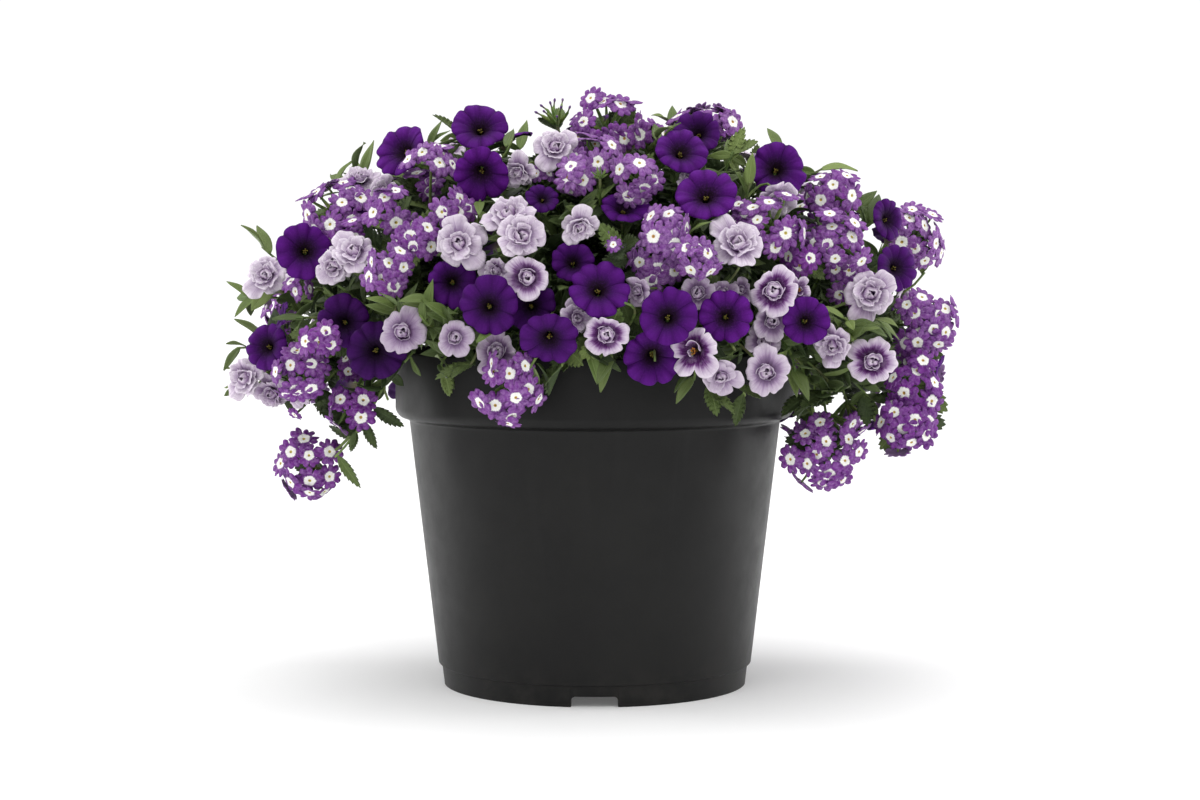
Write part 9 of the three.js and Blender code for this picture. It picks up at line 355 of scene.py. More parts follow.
        [1482,-310,2511,92,14,-36,29,35,89,247,130,1], [1482,-310,2511,42,23,88,83,29,-47,275,122,1], [1557,-243,2554,85,-47,22,38,85,36,227,115,1], [1557,-243,2554,91,-13,39,7,98,18,238,121,1], [1632,-170,2599,10,5,99,87,47,-11,183,82,1], [1632,-170,2599,89,43,-17,13,14,98,305,154,1], [1705,-98,2643,91,-16,38,9,97,20,209,97,1], [1705,-98,2643,26,97,-2,81,-20,56,266,118,1], [1775,-34,2686,93,28,-25,16,29,94,275,125,1], [1775,-34,2686,99,0,10,-7,75,66,222,112,1], [1841,15,2726,69,-41,60,49,87,4,150,74,1], [1841,15,2726,68,-50,54,51,85,14,177,87,1], [1901,43,2763,23,29,93,97,-6,-22,208,108,1], [1901,43,2763,-1,25,97,100,4,0,137,78,1], [1956,44,2794,97,-4,-24,23,-20,95,220,120,1], [1956,44,2794,85,37,36,28,-92,29,246,113,1], [2003,10,2820,51,22,83,57,-81,-14,124,71,1], [1369,-363,2344,64,-76,-5,76,63,15,306,158,1], [1369,-363,2344,74,64,20,67,-74,-9,177,77,1], [1475,-354,2338,71,-14,69,71,13,-70,315,165,1], [1475,-354,2338,70,-27,66,72,27,-64,309,153,1], [1581,-346,2330,69,68,24,72,-67,-19,315,164,1], [1581,-346,2330,67,-67,-32,74,59,33,196,108,1], [1685,-341,2320,67,-33,67,75,25,-62,254,124,1], [1685,-341,2320,83,-8,56,56,2,-83,279,156,1], [1782,-342,2310,66,-73,-19,75,62,21,187,89,1], [1782,-342,2310,84,52,15,54,-83,-17,291,133,1], [1869,-353,2303,75,0,-67,64,-28,72,244,103,1], [1869,-353,2303,67,-24,70,72,-4,-69,205,94,1], [1943,-377,2301,94,31,14,32,-94,-6,260,119,1], [1943,-377,2301,89,2,-46,38,-60,70,154,95,1], [1999,-417,2305,92,-3,39,9,-95,-30,283,147,1], [1999,-417,2305,80,-4,60,31,-83,-47,153,98,1], [1334,-529,2503,93,-5,37,-22,-86,45,317,177,1], [1334,-529,2503,98,-3,20,-14,-79,60,237,127,1], [1361,-595,2561,45,-89,-11,21,-1,98,264,117,1], [1361,-595,2561,21,-7,97,46,-87,-16,283,151,1], [1382,-669,2620,90,-21,39,-38,-82,43,252,138,1], [1382,-669,2620,85,-36,39,-52,-72,46,278,148,1], [1396,-748,2677,18,-17,97,35,-91,-22,181,97,1], [1396,-748,2677,74,-10,66,-23,-97,12,285,135,1], [1406,-832,2729,55,-28,78,-19,-96,-21,192,89,1], [1406,-832,2729,62,-20,76,-20,-98,-9,296,150,1], [1414,-917,2772,72,-17,67,-23,-97,0,176,84,1], [1414,-917,2772,58,-36,73,-27,-93,-24,193,93,1], [1420,-1003,2805,37,-40,84,4,-90,-44,154,88,1], [1420,-1003,2805,81,-59,0,-48,-66,58,156,93,1], [1277,-431,2522,87,-49,9,-2,14,99,308,165,1], [1277,-431,2522,-9,27,96,83,-51,22,280,131,1], [1318,-454,2608,92,30,24,-2,-59,81,265,120,1], [1318,-454,2608,-36,-62,70,87,6,49,260,127,1], [1353,-480,2699,62,-71,33,3,44,90,206,105,1], [1353,-480,2699,64,-73,24,5,35,93,269,144,1], [1381,-511,2791,90,5,44,-33,-58,74,307,148,1], [1381,-511,2791,83,33,44,-8,-71,70,289,131,1], [1404,-548,2878,52,-86,-1,16,8,98,294,151,1], [1404,-548,2878,-3,55,83,48,-72,49,299,146,1], [1421,-592,2956,90,-13,42,-41,-59,69,188,86,1], [1421,-592,2956,78,-11,62,-48,-74,47,279,153,1], [1432,-646,3022,15,-5,99,36,-93,-10,193,95,1], [1432,-646,3022,76,-65,2,-23,-25,94,181,85,1], [1439,-709,3070,59,-8,81,-15,-99,1,152,77,1], [1439,-709,3070,-12,-17,98,49,-87,-9,189,90,1], [1185,-422,2374,28,-44,85,92,-14,-37,238,105,1], [1185,-422,2374,91,-20,-35,26,-39,88,201,91,1], [1261,-470,2413,4,-98,-22,85,-7,51,170,77,1], [1261,-470,2413,82,18,54,25,-97,-6,186,90,1], [1332,-525,2451,90,-30,-33,18,-43,89,186,91,1], [1332,-525,2451,34,-53,78,87,-14,-48,259,111,1], [1397,-585,2487,92,15,36,10,-98,15,169,94,1], [1397,-585,2487,8,-99,6,89,10,44,263,130,1], [1452,-651,2518,17,-52,83,82,-40,-42,307,170,1], [1452,-651,2518,76,-45,-47,24,-47,85,187,88,1], [1496,-722,2545,80,-23,56,-11,-96,-24,222,102,1], [1496,-722,2545,81,-26,53,-15,-96,-23,204,110,1], [1524,-798,2564,32,-31,90,35,-84,-41,276,118,1], [1524,-798,2564,-9,-39,92,61,-75,-26,175,78,1], [1333,-313,2272,55,77,32,83,-50,-25,258,126,1], [1333,-313,2272,73,-56,-39,68,63,38,262,144,1], [1439,-294,2254,71,-20,68,71,25,-66,234,113,1],
        [1439,-294,2254,78,-25,58,63,35,-69,241,112,1], [1544,-275,2234,79,-55,-27,61,76,23,303,158,1], [1544,-275,2234,55,76,34,83,-46,-31,267,140,1], [1646,-261,2212,83,-30,48,56,40,-72,172,75,1], [1646,-261,2212,85,-16,50,53,25,-81,273,124,1], [1743,-253,2191,89,-20,42,46,27,-85,229,126,1], [1743,-253,2191,71,-60,-37,70,65,29,243,122,1], [1829,-257,2172,82,-21,53,56,7,-83,250,107,1], [1829,-257,2172,65,29,-70,74,-43,51,313,166,1], [1903,-274,2157,82,9,56,53,-50,-69,188,97,1], [1903,-274,2157,85,38,36,52,-74,-44,273,135,1], [1961,-309,2147,71,-32,-63,48,-44,76,249,116,1], [1961,-309,2147,98,10,-15,12,-98,15,241,135,1], [1999,-364,2144,95,-15,27,-9,-97,-22,233,105,1], [1267,-269,2460,-5,100,-6,69,8,72,302,149,1], [1267,-269,2460,53,11,84,20,95,-25,269,120,1], [1284,-183,2509,94,34,3,-24,59,77,216,116,1], [1284,-183,2509,82,57,8,-33,35,88,243,110,1], [1294,-88,2563,55,18,82,-7,98,-17,165,77,1], [1294,-88,2563,-30,93,-21,59,35,73,182,81,1], [1301,8,2621,77,63,13,-38,29,88,292,142,1], [1301,8,2621,87,48,4,-30,47,83,200,105,1], [1307,98,2683,-36,92,-15,54,33,77,244,132,1], [1307,98,2683,84,-11,53,-16,88,45,193,104,1], [1314,171,2748,81,58,8,-24,21,95,249,105,1], [1314,171,2748,70,68,22,-29,-1,96,288,136,1], [1326,221,2817,86,32,40,-46,17,87,194,98,1], [1326,221,2817,29,85,44,33,-52,79,313,168,1], [742,-246,2177,29,-82,49,87,44,23,188,94,1], [810,-269,2214,96,7,-27,27,-47,84,237,118,1], [884,-294,2245,44,-2,90,82,-40,-41,201,101,1], [961,-319,2273,59,-79,-19,69,37,62,196,98,1], [1038,-344,2298,88,45,17,40,-88,26,276,138,1], [1111,-369,2325,31,-61,73,95,19,-25,264,132,1], [1179,-392,2354,88,-30,-36,35,-11,93,259,130,1], [646,-215,2096,-18,94,30,53,-17,83,228,106,1], [689,-229,2139,62,-71,35,-63,-17,76,289,138,1], [738,-245,2175,-34,-85,41,-10,46,88,201,100,1], [793,-263,2206,98,-2,20,-18,34,92,219,111,1], [852,-283,2232,-9,-92,38,-13,39,91,203,100,1], [914,-303,2256,84,41,36,-22,-34,91,250,132,1], [976,-324,2278,-16,98,15,14,-13,98,301,163,1], [1038,-345,2299,80,-51,32,-45,-15,88,199,96,1], [1099,-365,2320,43,-82,38,-1,42,91,260,124,1], [1084,-358,2319,92,-19,34,-32,15,94,286,134,1], [990,-330,2282,-76,-27,59,48,37,79,295,164,1], [1042,-350,2305,61,69,39,-45,-10,89,305,145,1], [1096,-375,2331,-35,-92,18,44,1,90,272,136,1], [1041,-339,2293,17,98,6,-25,-1,97,303,161,1], [1100,-341,2294,-33,90,30,-39,-41,82,303,143,1],
    ],
    "violet_calibrachoa_spray_06": [
        [893,1005,2250,-97,8,23,9,100,1,176,54,0], [872,1040,2248,31,89,33,-80,43,-41,144,45,0], [848,1076,2244,-1,66,75,-30,71,-64,197,70,0], [820,1112,2240,-46,34,82,-5,91,-41,217,65,0], [791,1150,2236,23,95,-20,-89,29,35,175,58,0], [759,1189,2231,29,92,28,-86,37,-34,230,62,0], [727,1228,2226,-4,85,52,-49,43,-76,147,53,0], [695,1268,2222,-15,69,-71,-28,66,70,165,53,0], [663,1308,2217,28,82,-49,-69,53,49,203,56,0], [632,1349,2213,36,93,0,-93,36,3,221,64,0], [603,1390,2209,16,86,48,-66,46,-60,201,67,0], [576,1431,2206,-13,40,91,-21,88,-42,230,85,0], [552,1473,2204,33,77,-55,-57,62,53,235,85,0], [532,1514,2203,35,93,12,-93,36,-10,207,73,0], [517,1555,2203,35,83,44,-68,55,-49,237,83,0], [506,1595,2204,7,64,-77,-9,77,63,165,55,0], [501,1636,2207,-27,78,57,51,62,-60,167,50,0], [502,1676,2212,-3,58,-81,20,80,56,167,52,0], [961,847,2389,95,27,17,-20,10,97,179,52,0], [975,848,2426,-20,64,74,85,-27,46,216,72,0], [988,847,2467,36,73,58,32,-68,66,173,48,0], [1001,844,2509,74,50,45,-24,-43,87,170,46,0], [1013,840,2552,-51,52,68,75,-11,65,178,54,0], [1024,834,2597,40,-67,63,22,73,64,190,70,0], [1035,827,2643,47,73,49,11,-61,79,185,50,0], [1045,820,2690,85,26,45,-41,-20,89,214,64,0], [1054,811,2738,95,-23,22,-17,23,96,161,47,0], [1063,803,2785,-3,55,84,65,-62,43,187,56,0], [1072,794,2832,46,53,71,-4,-78,62,159,58,0], [1080,785,2879,70,37,60,-40,-49,77,230,72,0], [1088,776,2925,90,-24,37,-31,25,92,220,75,0], [1095,768,2970,55,-62,56,-4,65,76,212,59,0], [1102,760,3013,36,66,66,11,-73,68,191,70,0], [1109,753,3055,75,39,53,-37,-40,84,224,76,0], [1116,747,3095,-27,75,60,56,-38,74,243,87,0], [1086,816,2284,57,77,28,78,-62,8,153,43,0], [1130,820,2296,54,-56,62,75,66,-6,222,67,0], [1175,824,2309,78,38,-49,54,-2,84,147,47,0], [1219,828,2322,43,29,85,89,3,-46,169,61,0], [1264,831,2336,42,74,53,90,-43,-12,219,78,0], [1308,834,2349,63,78,-5,69,-53,50,178,52,0], [1351,837,2364,46,-40,80,81,55,-19,191,63,0], [1394,840,2378,93,6,-37,34,27,90,166,60,0], [1435,844,2393,48,78,40,84,-54,4,179,66,0], [1475,849,2408,64,76,-3,64,-52,56,165,48,0], [1514,855,2423,58,67,-46,69,-11,71,194,70,0], [1551,863,2439,40,26,88,88,14,-44,241,67,0], [1585,871,2455,88,-35,-31,47,60,65,213,69,0], [1618,882,2472,44,85,29,81,-51,28,179,54,0], [1648,895,2489,70,-22,68,42,89,-15,250,73,0], [1675,909,2507,83,53,-17,17,6,98,182,50,0], [1699,927,2525,5,7,100,82,56,-8,219,78,0], [897,869,2207,92,28,27,-21,94,-26,197,66,0], [921,903,2206,31,73,-61,57,37,73,225,62,0], [944,938,2204,31,65,69,54,48,-69,210,60,0], [966,974,2201,95,6,-29,2,97,25,234,78,0], [988,1011,2198,-27,96,-7,96,27,9,148,55,0], [1008,1049,2195,70,46,54,0,76,-64,221,67,0], [1028,1088,2192,49,70,-52,22,48,85,214,74,0], [1048,1127,2189,9,86,51,73,29,-61,165,55,0], [1066,1167,2188,92,40,1,-40,92,6,218,75,0], [1084,1207,2187,70,50,51,-13,79,-59,178,62,0], [1100,1248,2188,22,56,80,43,68,-60,231,63,0], [1116,1288,2190,75,44,-49,-7,80,60,203,63,0], [1131,1329,2195,-37,90,24,92,39,-3,156,43,0], [1145,1370,2201,72,44,54,-22,88,-41,234,68,0], [1159,1410,2210,15,82,-55,41,46,79,210,64,0], [1171,1450,2221,87,40,-29,-19,81,56,156,56,0], [902,851,2329,13,95,29,76,-29,59,229,81,0], [924,870,2360,38,92,8,45,-26,86,225,83,0], [946,889,2393,79,61,-9,2,11,99,228,71,0], [967,907,2427,-25,57,78,97,16,20,209,76,0], [989,925,2463,83,-13,55,-13,91,40,150,48,0], [1010,943,2499,26,95,16,51,-27,82,215,79,0], [1030,961,2537,75,66,3,-3,-1,100,164,56,0], [1051,979,2575,99,12,0,-6,49,87,155,57,0], [1071,996,2614,-34,77,53,86,3,51,205,58,0], [1090,1013,2653,64,-19,74,1,97,24,219,70,0], [1108,1031,2691,51,86,5,19,-17,97,245,90,0], [1126,1048,2730,93,32,18,-29,34,90,185,61,0], [1143,1065,2767,89,8,45,-38,68,63,227,67,0], [1160,1082,2804,6,88,48,70,-37,61,170,47,0], [1175,1099,2840,33,-17,93,31,95,6,201,72,0], [1189,1117,2875,68,74,1,-1,0,100,210,75,0],
        [1202,1134,2908,93,32,16,-28,39,88,231,69,0], [1188,833,2298,42,57,70,86,-49,-11,164,57,0], [1225,816,2311,68,65,35,65,-75,13,196,72,0], [1262,797,2325,96,27,-10,25,-63,74,225,77,0], [1299,777,2340,38,-27,88,92,3,-39,234,73,0], [1336,754,2356,64,29,71,66,-69,-31,190,61,0], [1374,731,2373,76,45,47,50,-87,3,168,47,0], [1411,706,2391,96,27,-1,21,-71,67,206,62,0], [1448,681,2410,84,-1,-54,51,-27,82,205,70,0], [1485,656,2430,41,11,91,83,-45,-32,243,72,0], [1521,632,2451,72,47,51,50,-86,10,199,65,0], [1557,607,2473,93,33,13,21,-79,57,195,65,0], [1592,584,2496,96,11,-24,27,-41,87,236,69,0], [1627,563,2520,70,-55,-45,58,6,82,160,52,0], [1660,543,2544,51,55,67,67,-74,10,243,74,0], [1693,525,2569,84,44,31,26,-84,47,207,63,0], [1725,509,2595,99,15,7,1,-45,89,208,57,0], [1755,497,2622,16,11,98,96,-23,-13,209,58,0], [1784,488,2650,67,-74,9,48,52,70,241,66,0], [1812,482,2678,64,65,40,44,-74,51,202,68,0], [1838,481,2707,56,-73,39,52,68,53,184,54,0], [564,560,2113,93,-16,34,7,96,26,227,77,0], [693,658,2165,39,34,85,70,49,-52,204,69,0], [825,760,2202,9,97,23,99,-12,12,224,76,0], [884,805,2224,75,-11,65,29,94,-18,253,86,0], [1851,482,2723,-66,-12,74,4,-99,-11,155,62,0], [1851,482,2723,-73,59,34,-60,-79,9,150,60,0], [551,550,2106,-76,45,47,13,-61,78,288,99,0], [600,587,2132,19,94,29,-32,-22,92,293,113,0], [652,627,2152,-79,-31,53,38,43,82,304,115,0], [707,669,2169,-84,-4,55,55,-2,84,210,78,0], [762,712,2184,81,-40,44,-44,10,89,301,104,0], [815,753,2199,55,81,19,1,-23,97,268,109,0], [864,790,2216,75,-47,46,-37,28,88,196,77,0], [850,784,2222,24,95,21,23,-26,94,289,114,0], [825,752,2207,89,25,38,-40,6,91,302,110,0], [882,774,2225,-58,-52,62,67,12,73,231,96,0], [741,696,2181,-48,-85,23,45,-2,89,198,75,0], [783,734,2195,95,-20,24,-27,-15,95,285,113,0], [824,777,2203,-67,61,43,41,-18,90,292,116,0], [772,725,2194,-75,53,40,42,-9,90,248,102,0], [804,758,2218,-63,73,26,17,-20,96,199,83,0], [837,791,2249,-63,57,53,66,2,75,245,100,0],
    ],
    "verbena_spray_12": [
        [-1372,724,2408,-53,82,22,-85,-51,-15,245,126,1], [-1372,724,2408,-65,68,35,-76,-56,-32,201,89,1], [-1465,708,2392,-71,-21,67,-71,21,-68,273,137,1], [-1465,708,2392,-65,8,-76,-76,-6,64,293,134,1], [-1561,686,2373,-78,55,29,-62,-68,-39,302,148,1], [-1561,686,2373,-79,57,22,-61,-73,-31,193,105,1], [-1657,661,2357,-72,1,-69,-69,-8,72,257,136,1], [-1657,661,2357,-80,-11,59,-60,7,-80,285,148,1], [-1751,638,2349,-78,59,23,-63,-76,-18,242,133,1], [-1751,638,2349,-76,60,-24,-64,-68,34,190,98,1], [-1840,622,2353,-71,15,-69,-70,-8,71,153,86,1], [-1840,622,2353,-68,17,-71,-73,-8,68,293,127,1], [-1188,725,2397,-22,96,-16,-85,-11,52,301,144,1], [-1188,725,2397,-75,3,66,-31,86,-40,291,134,1], [-1260,776,2422,-89,8,-44,-30,62,72,296,156,1], [-1260,776,2422,-4,75,67,-98,9,-16,229,127,1], [-1333,829,2448,-83,-7,56,-22,95,-22,273,125,1], [-1333,829,2448,-25,94,-24,-81,-7,58,167,71,1], [-1406,881,2475,-10,63,77,-95,17,-26,168,94,1], [-1406,881,2475,-86,20,-46,-30,53,79,189,106,1], [-1477,933,2505,-44,89,-11,-70,-26,67,306,132,1], [-1477,933,2505,-68,-11,72,-41,87,-26,197,110,1], [-1546,982,2537,-92,-35,16,-28,90,33,179,96,1], [-1546,982,2537,-4,67,74,-98,11,-16,220,107,1], [-1613,1028,2574,-92,17,-35,-22,52,83,150,92,1], [-1206,855,2385,-77,51,-38,34,83,44,186,90,1], [-1206,855,2385,-85,40,-35,30,90,32,293,135,1], [-1211,949,2367,-51,70,50,19,65,-73,260,130,1], [-1211,949,2367,-57,54,62,11,79,-60,283,154,1], [-1209,1050,2345,-81,50,-30,45,87,22,180,86,1], [-1209,1050,2345,56,70,45,-62,71,-33,253,129,1], [-1206,1152,2324,-47,47,75,2,85,-52,205,111,1], [-1206,1152,2324,-46,74,48,24,63,-74,199,98,1], [-1205,1252,2312,-74,60,-30,47,79,40,316,142,1], [-1205,1252,2312,-75,58,-31,45,80,40,185,103,1], [-1213,1343,2312,-48,66,-59,-1,66,75,179,84,1], [-1213,1343,2312,16,51,84,-50,78,-38,233,112,1], [-1234,1421,2329,-96,1,28,7,98,19,148,92,1], [-1190,719,2508,-78,59,21,12,-18,98,279,127,1], [-1190,719,2508,-78,51,37,30,-20,93,285,139,1], [-1213,737,2593,4,87,49,-59,-38,71,205,108,1], [-1213,737,2593,-54,-65,53,-17,70,69,236,102,1], [-1227,751,2687,-77,31,56,59,0,81,280,152,1], [-1227,751,2687,-95,11,30,32,25,91,191,84,1], [-1236,763,2786,-49,-55,67,-1,77,63,258,118,1], [-1236,763,2786,-11,80,59,-37,-58,73,322,175,1], [-1242,776,2885,40,57,71,-78,-19,59,268,125,1], [-1242,776,2885,-72,-12,68,49,61,63,180,100,1], [-1248,791,2981,-46,79,40,6,-42,90,203,89,1], [-1248,791,2981,-17,95,26,-23,-29,93,181,99,1], [-1220,667,2448,-35,83,43,-81,-50,31,196,85,1], [-1220,667,2448,-39,85,36,-78,-52,36,222,115,1], [-1296,663,2503,-99,11,-5,-5,2,100,262,132,1], [-1296,663,2503,-29,-8,95,-93,25,-26,249,108,1], [-1371,656,2562,-57,63,53,-60,-76,25,268,131,1], [-1371,656,2562,-41,59,69,-79,-61,6,226,106,1], [-1443,648,2626,8,10,99,-100,4,7,288,148,1], [-1443,648,2626,-100,5,4,4,7,100,255,108,1], [-1511,645,2691,-79,61,7,-28,-45,85,229,115,1], [-1511,645,2691,-56,-56,61,-52,81,27,299,131,1], [-1572,652,2757,-94,-32,13,-10,60,79,236,109,1], [-1572,652,2757,-96,25,-10,-9,6,99,225,116,1], [-699,420,2184,-28,95,14,-76,-30,57,229,114,1], [-761,458,2221,-99,-14,-2,-12,80,59,274,137,1], [-828,498,2252,-25,43,87,-89,25,-38,240,120,1], [-897,540,2279,-61,68,-40,-54,0,84,225,113,1], [-967,581,2305,-83,-25,51,-33,94,-8,202,101,1], [-1034,622,2331,-16,89,43,-98,-20,3,269,134,1], [-1097,660,2359,-94,15,-29,-18,51,84,274,137,1], [-1914,618,2372,-7,94,-34,-25,-34,-91,150,78,1], [-607,365,2096,70,-41,59,-17,70,69,222,117,1], [-644,387,2139,-31,90,31,-16,-37,91,209,114,1], [-688,414,2176,-37,92,15,29,-4,96,298,148,1], [-737,443,2207,-92,-8,37,34,30,89,249,134,1], [-789,475,2235,42,-77,48,-21,43,88,300,152,1], [-845,508,2259,-66,69,31,29,-14,95,285,134,1], [-901,542,2281,22,-94,25,21,29,93,252,120,1], [-958,576,2302,54,73,42,-29,-31,90,241,127,1],
    ],
    "violet_calibrachoa_spray_07": [
        [1481,-362,2442,86,-34,-38,29,-28,91,228,63,0], [1510,-386,2462,59,-9,80,51,-74,-45,174,60,0], [1539,-413,2481,68,21,70,38,-92,-9,175,50,0], [1566,-441,2501,100,4,-1,3,-80,60,225,67,0], [1591,-471,2520,-2,-55,84,94,-29,-17,244,85,0], [1616,-503,2539,63,-73,-24,30,-6,95,223,66,0], [1639,-535,2558,73,-13,67,9,-95,-28,200,71,0], [1660,-569,2575,97,-4,26,-12,-95,30,228,71,0], [1680,-604,2591,92,-38,-12,-15,-62,77,213,63,0], [1698,-639,2606,95,-31,-8,-19,-73,65,238,76,0], [1715,-675,2619,55,-73,-41,28,-31,91,205,63,0], [1731,-710,2630,52,-17,84,29,-89,-36,164,59,0], [1745,-746,2639,94,-31,-16,-17,-81,56,195,57,0], [1758,-781,2646,95,-20,25,-22,-97,8,128,43,0], [1406,-282,2516,92,31,24,-6,-50,86,208,63,0], [1429,-283,2555,91,-41,8,4,28,96,177,54,0], [1450,-285,2594,61,-70,37,29,63,72,222,66,0], [1471,-287,2634,72,54,44,15,-74,66,164,46,0], [1492,-291,2673,-25,-32,92,96,8,28,182,49,0], [1512,-295,2712,88,-45,14,-2,26,97,197,61,0], [1533,-302,2749,36,50,79,54,-80,26,163,49,0], [1554,-310,2784,19,-74,64,76,53,39,236,67,0], [1575,-321,2818,21,43,88,68,-71,19,137,52,0], [1596,-334,2848,4,4,100,88,-47,-2,229,72,0], [1619,-350,2875,73,37,58,25,-93,29,170,63,0], [1643,-369,2898,71,16,69,25,-97,-3,227,72,0], [1668,-392,2916,-5,-82,57,99,3,12,243,76,0], [1694,-419,2930,81,6,59,19,-97,-16,166,46,0], [1294,-271,2452,21,-65,73,73,61,33,171,61,0], [1315,-264,2490,98,3,20,-20,7,98,230,72,0], [1335,-255,2529,95,-16,27,-19,38,91,226,80,0], [1354,-243,2569,80,-42,44,-2,71,70,204,64,0], [1371,-229,2609,46,-35,82,35,92,20,196,53,0], [1386,-214,2650,10,-34,94,71,68,17,237,76,0], [1400,-198,2690,86,42,31,-25,-18,95,176,53,0], [1412,-181,2730,87,7,49,-48,35,80,147,53,0], [1423,-164,2769,80,-14,58,-34,68,64,213,60,0], [1433,-148,2806,59,-38,71,2,89,45,238,78,0], [1441,-132,2841,-6,-51,86,59,67,44,189,69,0], [1449,-117,2873,71,69,16,-1,-21,98,184,51,0], [1455,-103,2903,77,62,15,-7,-15,99,131,46,0], [1377,-201,2322,78,14,62,55,34,-76,228,63,0], [1414,-177,2313,76,-9,-65,56,60,57,217,59,0], [1451,-151,2302,91,-33,-24,37,92,14,210,67,0], [1488,-123,2289,95,-19,24,29,85,-45,218,61,0], [1525,-96,2276,84,15,53,42,43,-80,156,56,0], [1563,-69,2263,74,52,42,54,-9,-84,217,61,0], [1600,-43,2250,92,-28,-28,33,93,16,174,63,0], [1637,-20,2239,96,-27,-3,26,96,-13,213,72,0], [1675,0,2229,89,-13,43,41,63,-66,150,44,0], [1711,15,2222,68,8,-73,69,24,68,235,68,0], [1748,25,2218,68,57,46,73,-45,-51,149,41,0], [1784,29,2217,82,0,-57,57,3,82,233,78,0], [801,-174,2160,39,-79,47,81,54,22,201,68,0], [873,-189,2195,94,18,-30,35,-45,82,181,62,0], [950,-206,2224,47,2,88,85,-30,-44,201,68,0], [1031,-223,2249,67,-71,-21,66,43,61,180,61,0], [1110,-240,2273,82,55,16,50,-83,25,241,82,0], [1186,-256,2298,38,-58,72,92,30,-25,224,76,0], [1255,-270,2327,91,-20,-36,35,-7,93,232,79,0], [1718,-445,2938,21,29,93,-21,-92,33,227,91,0], [1718,-445,2938,-3,49,87,-39,-81,44,150,60,0], [1696,-421,2931,-22,56,80,-60,-72,35,150,60,0], [756,-164,2130,-74,-29,61,46,44,77,306,114,0], [808,-175,2164,-83,9,55,53,-19,83,214,78,0], [867,-188,2192,43,-78,47,-55,19,81,205,84,0], [929,-201,2216,-53,80,29,-11,-40,91,200,83,0], [994,-215,2238,3,-98,20,69,16,70,292,101,0], [1059,-229,2258,-88,-38,27,29,1,96,214,80,0], [1123,-242,2277,72,64,27,15,-52,84,199,83,0],
    ],
    "verbena_spray_13": [
